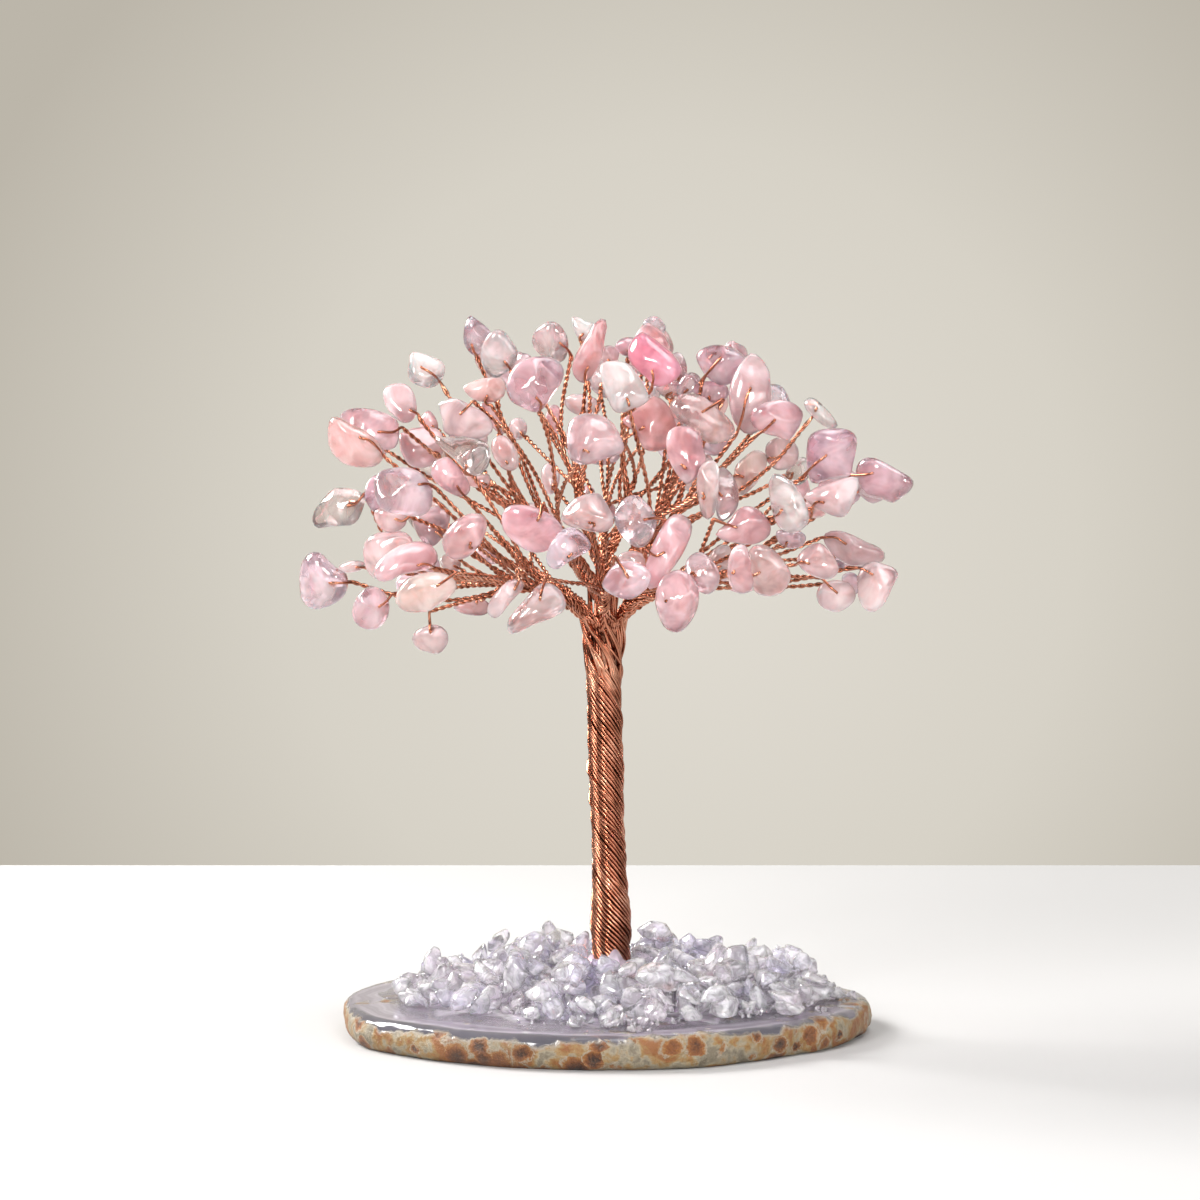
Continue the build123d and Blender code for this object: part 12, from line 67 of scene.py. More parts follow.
STONES = [
    ('S01', 'left_upper', 'W', (-30.89, -1.08, 113.41), 2.23, 0.278, 0.193, [(-31.66, -1.2, 113.92), (-29.79, -0.91, 112.73), (-28.6, -0.84, 111.37), (-27.59, -0.89, 109.68)], 0.5, (-9.79, 1.58, 84.83), (-18.66, -3.95, 94.47), (-27.59, -0.89, 109.68),
     [(-2.97, 1.36), (-3.15, -0.51), (-2.64, -1.87), (-1.28, -2.71), (0.25, -3.05), (1.61, -2.71), (2.8, -1.36), (3.15, 0.51), (2.3, 1.7), (0.26, 2.54), (-1.44, 3.05), (-2.63, 2.88)]),
    ('S02', 'left_upper', 'P', (-35.68, 3.6, 107.74), 1.79, -0.14, 0.261, [(-33.8, 3.05, 106.63), (-32.6, 2.7, 105.94), (-32.09, 2.36, 104.92)], 0.7, (-12.39, 2.03, 87.66), (-22.88, 1.61, 92.1), (-32.09, 2.36, 104.92),
     [(-2.91, 0.77), (-2.23, -0.77), (-1.03, -2.14), (0.51, -3.34), (2.05, -2.99), (2.91, -1.45), (2.75, 0.6), (2.06, 2.31), (0.87, 3.34), (-0.5, 3.51), (-1.87, 3.17), (-2.91, 2.31)]),
    ('S03a', 'left_upper', 'M', (-40.55, -0.86, 103.31), 1.99, 0.225, 0.208, [(-39.02, -0.61, 102.88), (-36.63, -0.07, 102.88), (-35.1, 0.42, 103.56)], 0.65, (-11.73, 1.91, 86.94), (-19.85, 6.17, 90.07), (-35.1, 0.42, 103.56),
     [(-4.93, 0.77), (-3.41, -1.1), (-0.01, -2.8), (3.05, -3.49), (4.59, -2.63), (4.93, -0.42), (4.6, 1.45), (3.24, 2.47), (1.03, 3.32), (-1.35, 3.65), (-3.39, 3.49), (-4.93, 2.64)]),
    ('S03b', 'left_low', 'S', (-42.54, -6.6, 101.3), 3.0, -0.138, -0.155, [(-41.69, -6.83, 102.06), (-40.17, -6.97, 101.56), (-39.0, -6.97, 100.55), (-37.49, -6.87, 98.53)], 0.6, (-14.03, -1.0, 76.83), (-26.35, -9.17, 89.47), (-37.49, -6.87, 98.53),
     [(-4.72, -0.42), (-3.71, -2.44), (-2.03, -3.79), (0.32, -4.38), (2.69, -4.29), (4.21, -3.45), (4.72, -1.77), (3.54, 0.25), (1.53, 1.94), (-0.66, 2.95), (-2.51, 3.96), (-3.86, 4.29), (-4.71, 2.78)]),
    ('S04', 'left_upper', 'K', (-31.46, 18.72, 104.51), 1.5, -0.038, 0.003, None, 0.75, (-13.07, 2.15, 88.39), (-19.26, 8.74, 93.07), (-29.76, 17.19, 103.02),
     [(-1.41, -1.36), (-0.18, -2.06), (1.4, -1.54), (1.58, -0.13), (0.88, 1.27), (0.01, 2.06), (-0.87, 1.62), (-1.58, 0.22)]),
    ('S05', 'left_upper', 'P', (-32.18, 6.91, 100.18), 2.47, 0.347, 0.205, None, 0.85, (-14.45, 2.39, 89.88), (-24.44, 5.67, 94.94), (-28.75, 6.04, 98.18),
     [(-3.71, 0.43), (-3.2, -1.46), (-1.83, -3.19), (0.42, -3.53), (2.49, -2.67), (3.7, -0.77), (3.71, 1.64), (2.68, 3.19), (0.61, 3.53), (-1.98, 3.19), (-3.71, 2.33)]),
    ('S06', 'left_upper', 'MC', (-22.67, 9.44, 119.46), 1.61, 0.342, -0.199, [(-23.54, 9.46, 117.87), (-23.19, 9.82, 116.66), (-22.5, 10.31, 115.36)], 0.6, (-11.07, 1.8, 86.23), (-16.02, 10.48, 100.08), (-22.5, 10.31, 115.36),
     [(-1.72, 2.72), (-2.25, 0.99), (-2.25, -1.25), (-1.39, -2.8), (-0.18, -3.49), (1.21, -2.46), (2.07, -0.9), (2.25, 0.82), (1.04, 2.03), (-0.34, 3.06), (-1.2, 3.49)]),
    ('S07', 'crown_left', 'W', (-18.47, -1.54, 116.16), 1.89, 0.079, -0.319, None, 0.85, (-5.53, 2.02, 96.43), (-10.12, 1.5, 104.35), (-16.36, -0.96, 112.94),
     [(-2.63, 1.99), (-3.14, 0.64), (-3.14, -1.23), (-2.13, -3.26), (-0.77, -4.11), (1.1, -3.26), (2.63, -1.74), (3.14, 0.3), (2.13, 2.16), (0.94, 3.69), (-0.42, 4.11), (-1.78, 3.35)]),
    ('S08', 'left_upper', 'S', (-21.25, 5.46, 110.15), 1.5, 0.01, -0.024, None, 0.55, (-10.43, 1.69, 85.52), (-14.37, 1.65, 100.8), (-20.01, 5.03, 107.32),
     [(-2.32, -1.46), (-0.43, -2.15), (1.63, -2.15), (3.18, -1.29), (3.7, 0.43), (3.01, 1.97), (1.29, 2.15), (-0.77, 1.8), (-2.66, 1.12), (-3.7, 0.26)]),
    ('S09', 'front_left_upper', 'M', (-12.11, -19.44, 110.82), 3.4, 0.09, 0.01, None, 0.8, (-8.78, -8.3, 87.74), (-8.6, -14.26, 100.05), (-11.44, -17.22, 106.21),
     [(-3.96, -2.75), (-1.98, -3.91), (-0.0, -4.65), (1.31, -4.07), (2.96, -1.77), (4.28, 0.21), (4.78, 2.02), (4.29, 3.33), (2.97, 4.32), (0.99, 4.65), (-0.98, 4.32), (-2.8, 3.5), (-4.12, 1.85), (-4.78, -0.61)]),
    ('S10', 'crown_left', 'L', (-10.0, 5.88, 118.26), 2.12, -0.177, -0.342, [(-8.28, 5.62, 118.13), (-6.9, 5.78, 116.93), (-6.39, 6.16, 115.56)], 0.75, (-5.35, 1.45, 94.58), (-10.2, 2.94, 101.19), (-6.39, 6.16, 115.56),
     [(-2.75, -0.98), (-1.38, -2.36), (0.51, -3.56), (2.23, -3.22), (3.09, -1.67), (3.09, 0.56), (2.41, 2.1), (1.21, 3.3), (-0.17, 3.56), (-1.37, 2.96), (-2.58, 1.93), (-3.09, 0.39)]),
    ('S11', 'front_left_upper', 'P', (-23.64, -15.52, 105.18), 2.12, 0.134, -0.21, [(-24.47, -15.79, 105.93), (-23.31, -15.88, 107.09), (-22.31, -15.92, 107.92)], 0.85, (-9.18, -8.71, 88.41), (-12.96, -8.58, 100.54), (-22.31, -15.92, 107.92),
     [(-4.31, 1.08), (-3.82, -0.41), (-3.82, -1.91), (-2.66, -2.9), (-0.17, -3.07), (1.82, -3.4), (3.48, -2.9), (4.48, -1.74), (3.98, -0.08), (2.66, 1.24), (1.0, 2.07), (-0.82, 3.07), (-2.15, 3.4), (-3.48, 3.07), (-4.48, 2.4)]),
    ('S12', 'front_left_low', 'G', (-24.51, -10.44, 98.9), 2.24, -0.347, 0.231, None, 0.7, (-11.81, -8.32, 76.19), (-14.03, -11.86, 82.46), (-22.64, -10.13, 95.56),
     [(-4.19, 1.84), (-2.68, 0.5), (-0.84, -1.0), (0.83, -2.68), (2.5, -3.35), (3.51, -2.85), (4.52, -1.51), (4.85, 0.5), (4.35, 2.01), (3.02, 2.85), (0.67, 3.18), (-1.67, 3.18), (-3.52, 3.18), (-4.85, 3.35)]),
    ('S13', 'left_upper', 'S', (-17.47, -4.67, 99.35), 1.5, -0.163, 0.266, None, 0.95, (-15.88, 2.64, 91.42), (-16.65, 0.69, 93.76), (-17.09, -2.93, 97.47),
     [(-2.37, 0.68), (-1.86, -0.84), (-0.51, -2.54), (1.01, -3.04), (2.2, -2.37), (2.37, -0.84), (1.69, 1.01), (0.51, 2.54), (-1.01, 3.04), (-2.2, 2.03)]),
    ('S14', 'left_upper', 'K', (-19.69, 7.42, 105.26), 1.66, 0.243, 0.098, None, 0.9, (-15.16, 2.52, 90.65), (-17.11, 4.37, 96.62), (-18.76, 6.42, 102.26),
     [(-1.55, 0.0), (-0.18, -1.72), (1.2, -2.76), (2.41, -2.24), (1.72, -0.86), (0.69, 0.86), (-0.51, 2.41), (-1.55, 2.76), (-2.41, 2.07)]),
    ('S15', 'back_upper', 'P', (-16.15, 29.33, 103.29), 1.5, -0.286, 0.029, None, 0.8, (-0.79, 12.66, 88.69), (-7.36, 18.71, 94.61), (-14.57, 27.61, 101.78),
     [(-0.99, -1.43), (0.44, -1.96), (1.52, -0.89), (1.7, 0.71), (0.63, 1.96), (-0.8, 1.79), (-1.7, 0.36)]),
    ('S16', 'back_upper', 'K', (-9.63, 29.62, 104.63), 1.5, 0.26, -0.097, None, 0.85, (-0.79, 13.33, 89.41), (-4.68, 20.01, 95.33), (-8.72, 27.94, 103.06),
     [(-1.43, -1.7), (-0.18, -2.95), (1.07, -1.52), (1.43, 0.63), (0.9, 2.59), (-0.36, 2.95), (-1.43, 1.16)]),
    ('S17', 'crown_left', 'M', (-14.89, 1.74, 114.47), 1.5, -0.309, -0.079, None, 0.95, (-5.65, 2.67, 98.35), (-6.95, 2.54, 101.78), (-13.84, 1.84, 112.64),
     [(-1.88, -1.19), (-0.51, -1.87), (1.2, -0.68), (1.88, 1.02), (0.69, 1.87), (-0.85, 1.7), (-1.88, 0.34)]),
    ('S18', 'left_low', 'W', (-45.93, -0.13, 89.93), 2.19, -0.245, 0.221, [(-44.22, -0.47, 90.27), (-42.68, -0.69, 90.95), (-41.32, -0.73, 92.31)], 0.99, (-22.08, -1.6, 77.94), (-36.67, -1.67, 75.92), (-41.32, -0.73, 92.31),
     [(-3.77, -3.41), (-1.89, -3.24), (0.16, -3.07), (2.21, -2.9), (3.41, -1.88), (4.27, 0.17), (4.61, 2.05), (3.08, 3.07), (1.04, 3.41), (-0.67, 3.41), (-1.87, 2.56), (-3.24, 1.02), (-4.27, -0.51), (-4.61, -2.22)]),
    ('S19', 'front_left_low', 'L', (-33.92, -17.73, 93.07), 2.78, 0.335, 0.063, [(-31.36, -16.79, 94.36), (-29.87, -16.29, 94.36), (-28.38, -15.86, 93.36)], 0.75, (-12.49, -8.84, 76.28), (-21.42, -12.06, 85.58), (-28.38, -15.86, 93.36),
     [(-4.72, -0.21), (-4.07, -2.19), (-2.58, -3.35), (-0.1, -3.85), (2.39, -4.1), (4.04, -3.35), (4.71, -1.69), (4.71, 0.46), (3.73, 2.28), (2.08, 3.6), (0.09, 4.1), (-1.9, 3.93), (-3.72, 3.43), (-4.71, 1.95)]),
    ('S20', 'left_low', 'M', (-39.66, -2.04, 92.44), 1.5, 0.097, 0.124, None, 0.65, (-14.94, -1.06, 77.05), (-26.82, 4.61, 83.51), (-37.45, -1.95, 91.07),
     [(-1.7, -0.76), (-1.2, -1.95), (-0.18, -3.14), (1.18, -2.12), (1.7, 0.26), (1.37, 2.64), (0.01, 3.14), (-1.18, 2.13), (-1.7, 0.6)]),
    ('S21', 'left_low', 'P', (-36.63, -8.71, 88.09), 1.5, -0.042, -0.182, [(-35.71, -8.79, 88.3), (-34.53, -8.78, 87.96), (-33.19, -8.96, 88.64)], 0.85, (-18.85, -1.36, 77.69), (-23.48, -8.38, 85.63), (-33.19, -8.96, 88.64),
     [(-2.27, -0.63), (-1.1, -1.81), (0.58, -2.06), (2.1, -1.3), (2.77, 0.04), (2.27, 1.39), (0.26, 2.06), (-1.76, 2.06), (-2.77, 1.22)]),
    ('S22', 'left_low', 'DM', (-30.03, -4.41, 86.99), 2.15, -0.282, 0.327, None, 0.95, (-20.98, -1.52, 77.88), (-26.07, -2.75, 81.48), (-27.94, -3.74, 84.88),
     [(-2.38, -1.35), (-1.2, -2.88), (0.33, -3.39), (1.35, -2.71), (2.37, -1.19), (3.22, 0.85), (3.05, 2.37), (1.7, 3.39), (0.17, 3.22), (-1.86, 2.37), (-3.22, 1.36)]),
    ('S23', 'front_left_low', 'GP', (-23.48, -26.99, 85.98), 2.35, 0.12, -0.14, None, 0.8, (-13.19, -9.36, 76.35), (-15.55, -15.75, 79.2), (-21.74, -23.99, 84.34),
     [(-2.86, -3.18), (-1.23, -3.83), (0.56, -3.34), (2.03, -2.04), (3.18, -0.08), (3.67, 1.88), (3.18, 3.34), (1.72, 3.83), (0.09, 3.51), (-1.54, 2.53), (-3.01, 0.9), (-3.67, -0.9)]),
    ('S24', 'left_low', 'P', (-37.16, -5.8, 82.04), 3.31, 0.114, -0.258, None, 0.9, (-19.9, -1.44, 77.79), (-26.1, -4.19, 77.8), (-32.71, -4.67, 80.94),
     [(-3.65, -2.62), (-1.79, -4.15), (1.09, -3.3), (3.63, -1.1), (4.31, 1.44), (3.81, 3.13), (2.29, 4.15), (-0.07, 4.15), (-2.44, 3.64), (-3.8, 2.45), (-4.31, 0.42)]),
    ('S25', 'front_left_low', 'K', (-33.61, -18.15, 81.58), 2.64, 0.311, 0.283, None, 0.85, (-13.91, -9.91, 76.39), (-19.87, -11.75, 78.25), (-28.85, -16.16, 80.32),
     [(-4.39, -3.11), (-2.74, -3.27), (-0.58, -2.28), (1.74, -1.78), (4.06, -1.28), (5.22, -0.12), (5.06, 1.53), (3.74, 2.86), (1.75, 3.27), (-0.24, 2.86), (-2.39, 1.86), (-4.38, 0.21), (-5.22, -1.78)]),
    ('S26', 'left_low', 'WM', (-48.48, -0.88, 77.41), 3.03, -0.248, -0.215, [(-47.29, -1.16, 77.32), (-45.41, -1.62, 77.32), (-43.36, -2.13, 77.32)], 0.7, (-15.87, -1.13, 77.24), (-28.45, -1.47, 70.99), (-43.36, -2.13, 77.32),
     [(-4.11, -2.82), (-3.26, -4.18), (-1.73, -4.87), (0.15, -4.53), (2.03, -3.67), (3.57, -2.3), (4.26, -0.25), (3.76, 1.62), (2.22, 2.48), (0.87, 3.67), (-0.32, 4.87), (-1.52, 5.12), (-2.71, 4.7), (-3.74, 3.33), (-4.26, 1.28), (-4.27, -1.11)]),
    ('S27', 'left_low', 'MG', (-39.89, -11.08, 73.4), 2.55, 0.037, -0.224, [(-38.3, -11.1, 73.77), (-37.29, -11.22, 74.45), (-36.11, -11.47, 75.79)], 0.75, (-16.83, -1.21, 77.41), (-25.11, -4.64, 76.51), (-36.11, -11.47, 75.79),
     [(-2.94, -1.8), (-2.11, -2.98), (-0.6, -3.65), (1.08, -3.49), (2.42, -2.31), (3.1, -0.8), (3.11, 1.05), (2.44, 2.56), (1.1, 3.57), (-0.24, 3.65), (-1.58, 2.73), (-2.6, 1.22), (-3.11, -0.63)]),
    ('S28', 'front_left_low', 'PP', (-29.95, -22.12, 76.76), 2.75, 0.099, 0.049, [(-28.05, -21.88, 77.83), (-26.57, -21.69, 78.82), (-25.08, -21.5, 79.64)], 0.9, (-14.66, -10.47, 76.41), (-15.77, -12.02, 79.0), (-25.08, -21.5, 79.64),
     [(-3.71, -3.21), (-1.57, -3.46), (0.57, -3.21), (2.22, -2.06), (3.87, -0.91), (5.02, 0.74), (4.37, 2.22), (2.56, 3.05), (0.26, 3.21), (-1.88, 2.72), (-3.53, 1.89), (-4.69, 0.25), (-5.02, -1.73)]),
    ('S29', 'front_left_low', 'P', (-29.63, -16.34, 68.52), 1.65, -0.062, -0.182, [(-29.5, -16.57, 69.73), (-29.66, -16.86, 71.4), (-29.49, -17.2, 73.23)], 0.95, (-15.42, -11.05, 76.4), (-24.46, -15.64, 74.77), (-29.49, -17.2, 73.23),
     [(-2.21, -1.46), (-0.55, -2.21), (1.28, -2.46), (2.45, -1.46), (3.03, -0.12), (2.79, 1.21), (1.79, 2.21), (0.3, 2.46), (-1.2, 2.04), (-2.53, 1.21), (-3.03, -0.12)]),
    ('S30', 'front_left_low', 'K', (-26.32, -13.5, 95.44), 1.88, 0.263, -0.023, None, 0.65, (-11.15, -7.82, 76.08), (-17.31, -10.13, 83.94), (-23.46, -12.43, 91.79),
     [(-2.75, -0.5), (-1.59, -1.67), (-0.09, -2.67), (1.58, -3.33), (2.91, -2.83), (3.25, -1.33), (2.25, 0.5), (0.92, 2.17), (-0.41, 3.33), (-1.58, 3.17), (-2.74, 2.5), (-3.25, 1.0)]),
    ('S31', 'left_upper', 'S', (-22.33, -1.5, 94.73), 1.5, -0.124, 0.176, None, 1.0, (-16.61, 2.77, 92.2), (-18.65, 0.75, 93.52), (-20.4, -0.06, 93.87),
     [(-1.87, -0.68), (-0.68, -1.19), (1.19, -1.36), (2.21, -0.51), (2.04, 0.85), (0.51, 1.02), (-1.19, 1.36), (-2.21, 0.34)]),
    ('S32', 'front_low', 'K', (-12.21, -32.53, 87.42), 2.32, -0.089, -0.329, [(-11.4, -33.07, 88.83), (-10.92, -33.48, 89.96), (-10.59, -33.99, 91.41)], 0.7, (-0.54, -12.7, 76.64), (-9.47, -23.56, 86.96), (-10.59, -33.99, 91.41),
     [(-4.2, -1.17), (-2.75, -2.46), (-0.81, -3.67), (1.13, -3.91), (2.9, -3.27), (4.36, -2.14), (5.0, -0.52), (4.2, 1.09), (2.75, 2.38), (0.81, 3.35), (-1.13, 3.83), (-2.9, 3.91), (-4.19, 3.51), (-5.0, 2.22), (-5.0, 0.28)]),
    ('S33', 'front_low', 'MC', (-6.46, -35.82, 84.39), 2.08, 0.327, 0.11, None, 0.45, (-0.61, -9.33, 75.46), (-6.02, -20.55, 78.09), (-5.8, -32.83, 83.38),
     [(-2.97, -3.01), (-1.69, -3.33), (-0.24, -2.37), (1.52, -1.4), (3.29, -0.44), (3.61, 0.68), (2.65, 2.13), (1.37, 3.17), (-0.08, 3.33), (-1.36, 2.77), (-2.49, 1.49), (-3.29, -0.12), (-3.61, -1.89)]),
    ('S34', 'front_left_low', 'P', (-17.04, -21.73, 75.59), 2.06, 0.017, 0.261, [(-15.39, -21.29, 77.15), (-14.73, -20.89, 78.64), (-15.22, -20.47, 80.28)], 1.0, (-16.2, -11.64, 76.37), (-14.96, -17.57, 78.2), (-15.22, -20.47, 80.28),
     [(-2.64, -2.72), (-1.65, -3.21), (-0.66, -2.72), (0.49, -1.24), (1.81, 0.25), (2.97, 1.57), (2.97, 2.72), (1.82, 3.21), (0.5, 2.89), (-0.99, 1.57), (-2.31, -0.08), (-2.97, -1.73)]),
    ('S35', 'front_low', 'VP', (-11.72, -29.2, 74.31), 2.85, 0.063, 0.129, [(-11.15, -28.96, 75.89), (-10.82, -28.76, 77.36), (-10.17, -28.48, 79.15)], 0.95, (-0.46, -16.59, 77.49), (-5.01, -23.1, 77.82), (-10.17, -28.48, 79.15),
     [(-3.82, -4.19), (-2.36, -3.62), (-0.41, -2.64), (1.87, -1.83), (3.82, -0.85), (4.8, 0.29), (4.63, 1.59), (3.82, 3.05), (2.52, 4.03), (1.06, 4.19), (-0.24, 3.38), (-1.7, 1.75), (-3.17, 0.12), (-4.47, -1.5), (-4.8, -3.3)]),
    ('S36', 'back_left_low', 'K', (-24.05, 21.01, 72.04), 1.5, 0.013, 0.186, None, 0.95, (-14.72, 13.28, 78.33), (-17.62, 14.94, 76.58), (-22.22, 19.5, 73.27),
     [(-2.66, -0.89), (-0.71, -1.59), (2.12, -1.59), (3.36, -0.35), (2.3, 1.06), (0.0, 1.59), (-2.12, 1.24), (-3.36, 0.0)]),
    ('S37', 'back_left_low', 'K', (-21.48, 21.43, 81.14), 1.5, -0.244, 0.303, None, 1.0, (-15.47, 14.0, 78.47), (-17.48, 16.59, 79.49), (-19.59, 19.1, 80.3),
     [(-1.86, -0.44), (-0.45, -1.5), (1.5, -1.68), (2.21, -0.27), (0.97, 1.33), (-0.79, 1.68), (-2.21, 0.97)]),
    ('S38', 'left_low', 'P', (-27.0, 1.63, 80.38), 1.5, 0.177, 0.217, None, 1.0, (-22.08, -1.6, 77.94), (-23.81, -0.41, 78.4), (-25.08, 0.37, 79.42),
     [(-0.95, -1.29), (0.77, -1.63), (1.8, -0.26), (0.94, 1.11), (-0.77, 1.63), (-1.8, 0.6)]),
    ('S39', 'back_low', 'P', (-3.65, 32.94, 91.95), 1.5, -0.057, 0.221, None, 0.95, (-1.83, 18.57, 81.0), (-2.75, 27.15, 86.79), (-3.42, 31.1, 90.55),
     [(-0.81, -0.9), (0.45, -1.08), (1.35, 0.0), (0.63, 1.08), (-0.63, 1.08), (-1.35, 0.0)]),
    ('S40', 'crown_left', 'W', (-4.36, 13.99, 120.83), 1.5, 0.09, 0.205, None, 0.8, (-5.44, 1.73, 95.5), (-1.39, 6.31, 103.48), (-4.47, 12.71, 118.18),
     [(-1.57, -0.43), (-0.52, -2.0), (0.87, -2.0), (2.09, -0.26), (1.92, 0.96), (0.52, 1.3), (-0.87, 2.0), (-2.09, 1.82)]),
    ('S41', 'crown_left', 'K', (-3.11, 3.78, 116.76), 2.13, 0.158, -0.192, None, 0.9, (-5.6, 2.34, 97.38), (-4.47, 2.29, 103.51), (-3.84, 3.36, 111.1),
     [(-0.17, 3.04), (-1.37, 1.16), (-2.57, -0.89), (-3.08, -3.29), (-2.23, -5.0), (-0.69, -5.51), (0.86, -3.63), (2.06, -1.24), (2.4, 1.16), (2.74, 3.38), (3.08, 4.91), (2.06, 5.51), (1.03, 5.09)]),
    ('S42', 'crown_left', 'P', (0.26, 14.05, 116.13), 1.5, -0.096, -0.224, None, 0.6, (-4.97, 0.75, 91.95), (-3.67, 6.59, 99.6), (-0.17, 12.95, 114.14),
     [(-1.31, -0.96), (-0.09, -1.65), (1.31, -0.96), (1.66, 0.61), (0.61, 1.65), (-0.78, 1.65), (-1.66, 0.61)]),
    ('S43', 'crown_right', 'M', (3.37, 10.95, 117.64), 1.5, 0.314, 0.051, None, 0.75, (4.05, 1.72, 94.18), (1.18, 7.27, 98.59), (3.43, 10.06, 115.37),
     [(-0.95, -1.47), (0.95, -1.64), (2.17, -0.26), (1.82, 1.3), (0.09, 1.64), (-1.47, 1.12), (-2.17, -0.09)]),
    ('S44', 'crown_right', 'H', (7.74, -8.9, 115.02), 2.93, -0.16, 0.316, [(7.32, -9.43, 113.14), (7.49, -9.93, 111.63), (6.99, -10.44, 109.79)], 0.55, (3.35, 1.14, 90.83), (0.23, -4.34, 107.04), (6.99, -10.44, 109.79),
     [(-4.28, -0.04), (-3.1, -1.55), (-1.42, -3.05), (-0.08, -4.39), (1.6, -4.39), (3.27, -3.56), (4.45, -2.22), (4.28, -0.71), (3.1, 0.96), (1.42, 2.47), (-0.26, 3.81), (-1.77, 4.64), (-2.77, 4.39), (-3.78, 3.31), (-4.45, 1.8)]),
    ('S45', 'crown_right', 'K', (7.49, 2.36, 118.66), 1.9, 0.336, 0.011, None, 0.7, (3.89, 1.56, 93.32), (-0.56, -1.25, 101.76), (7.03, 2.26, 115.43),
     [(-2.73, -1.11), (-1.2, -2.13), (1.37, -2.81), (3.08, -1.96), (2.73, -0.26), (1.71, 1.28), (0.17, 2.47), (-1.03, 2.81), (-2.05, 1.96), (-3.08, 0.26)]),
    ('S46', 'crown_right', 'L', (8.05, 11.43, 121.37), 1.5, 0.278, 0.17, None, 0.45, (2.94, 0.9, 89.25), (-0.29, 3.14, 92.94), (7.68, 10.66, 119.01),
     [(-1.65, -0.69), (-0.26, -1.56), (1.3, -1.56), (2.0, -0.52), (1.3, 0.87), (0.26, 1.56), (-0.96, 1.38), (-2.0, 0.52)]),
    ('S47', 'right_upper', 'M', (12.07, 8.39, 114.05), 1.5, -0.051, 0.265, None, 0.59, (8.97, 1.76, 85.69), (9.5, 9.67, 104.8), (11.74, 7.7, 111.08),
     [(-1.55, 0.69), (-1.03, -1.21), (0.18, -2.58), (1.38, -1.9), (1.55, 0.0), (1.03, 1.72), (-0.0, 2.58), (-1.21, 2.07)]),
    ('S47b', 'right_upper', 'M', (10.9, 5.94, 110.33), 1.5, 0.296, -0.302, None, 0.65, (9.57, 1.87, 86.35), (12.26, 3.49, 95.04), (10.78, 5.57, 108.16),
     [(-1.63, -1.29), (0.43, -1.46), (2.5, -0.77), (2.84, 0.77), (0.77, 1.46), (-1.29, 1.46), (-2.84, 0.43)]),
    ('S48', 'front_right_upper', 'WG', (2.63, -20.1, 110.32), 2.81, 0.014, 0.316, None, 0.85, (7.4, -8.84, 87.83), (7.0, -10.01, 93.38), (3.36, -18.38, 106.88),
     [(-3.7, 0.54), (-2.88, -1.76), (-1.89, -3.74), (-0.58, -4.31), (1.24, -3.57), (3.05, -2.92), (4.03, -1.93), (3.54, -0.12), (2.38, 1.85), (1.07, 3.49), (-0.25, 4.31), (-1.89, 4.31), (-3.38, 4.15), (-4.03, 3.16)]),
    ('S49', 'crown_right', 'D', (6.82, -9.35, 104.34), 2.87, 0.214, 0.124, [(5.98, -9.6, 103.75), (4.3, -10.08, 102.75), (2.46, -10.65, 101.41)], 0.85, (4.34, 2.05, 95.96), (4.49, -3.13, 97.9), (2.46, -10.65, 101.41),
     [(-2.52, -1.42), (-1.34, -3.6), (-0.17, -4.61), (1.68, -4.61), (3.36, -3.94), (4.53, -2.26), (4.53, 0.25), (3.69, 2.43), (2.18, 4.11), (0.5, 4.61), (-1.01, 3.27), (-3.02, 1.76), (-4.53, 0.42)]),
    ('S50', 'front_left_upper', 'M', (-2.13, -29.2, 101.74), 3.29, 0.091, 0.33, None, 0.9, (-9.59, -9.14, 89.08), (-6.44, -22.2, 97.32), (-3.38, -25.82, 99.61),
     [(-4.62, -0.85), (-4.3, -2.63), (-3.16, -3.77), (-1.38, -4.01), (0.57, -3.44), (2.51, -2.79), (4.3, -2.14), (4.62, -0.85), (3.81, 1.09), (2.67, 2.88), (0.89, 4.01), (-1.05, 4.33), (-2.84, 4.01), (-4.13, 3.04), (-4.62, 1.26)]),
    ('S51', 'crown_left', 'P', (-4.36, 13.69, 107.52), 1.5, -0.071, -0.208, None, 1.0, (-5.69, 3.03, 99.33), (-5.44, 6.9, 103.18), (-4.61, 11.74, 106.03),
     [(-2.09, -1.22), (0.17, -1.91), (2.44, -1.57), (3.31, -0.17), (2.09, 1.22), (-0.17, 1.91), (-2.27, 1.74), (-3.31, 0.52)]),
    ('S52', 'front_right_upper', 'K', (12.75, -21.01, 99.23), 1.94, -0.201, 0.291, None, 0.95, (8.22, -9.73, 89.09), (10.98, -15.25, 94.58), (11.83, -18.72, 97.17),
     [(-3.13, 0.45), (-2.63, -1.35), (-1.31, -3.49), (0.01, -4.81), (1.32, -4.15), (2.64, -2.67), (3.29, -0.86), (2.79, 1.44), (2.3, 3.41), (1.15, 4.4), (-0.33, 4.81), (-1.81, 4.56), (-2.96, 3.74), (-3.29, 2.1)]),
    ('S53', 'right_upper', 'M', (19.13, -2.19, 114.2), 2.77, -0.271, 0.073, [(18.96, -2.05, 115.43), (17.26, -1.74, 113.39), (15.91, -1.52, 111.36)], 0.35, (6.08, 1.24, 82.52), (15.31, -4.73, 100.86), (15.91, -1.52, 111.36),
     [(-3.39, -0.63), (-1.86, -2.5), (0.18, -3.51), (2.38, -2.67), (3.91, -0.97), (4.24, 0.89), (3.05, 2.24), (1.35, 3.09), (-0.51, 3.51), (-2.21, 3.26), (-3.56, 2.58), (-4.24, 1.4)]),
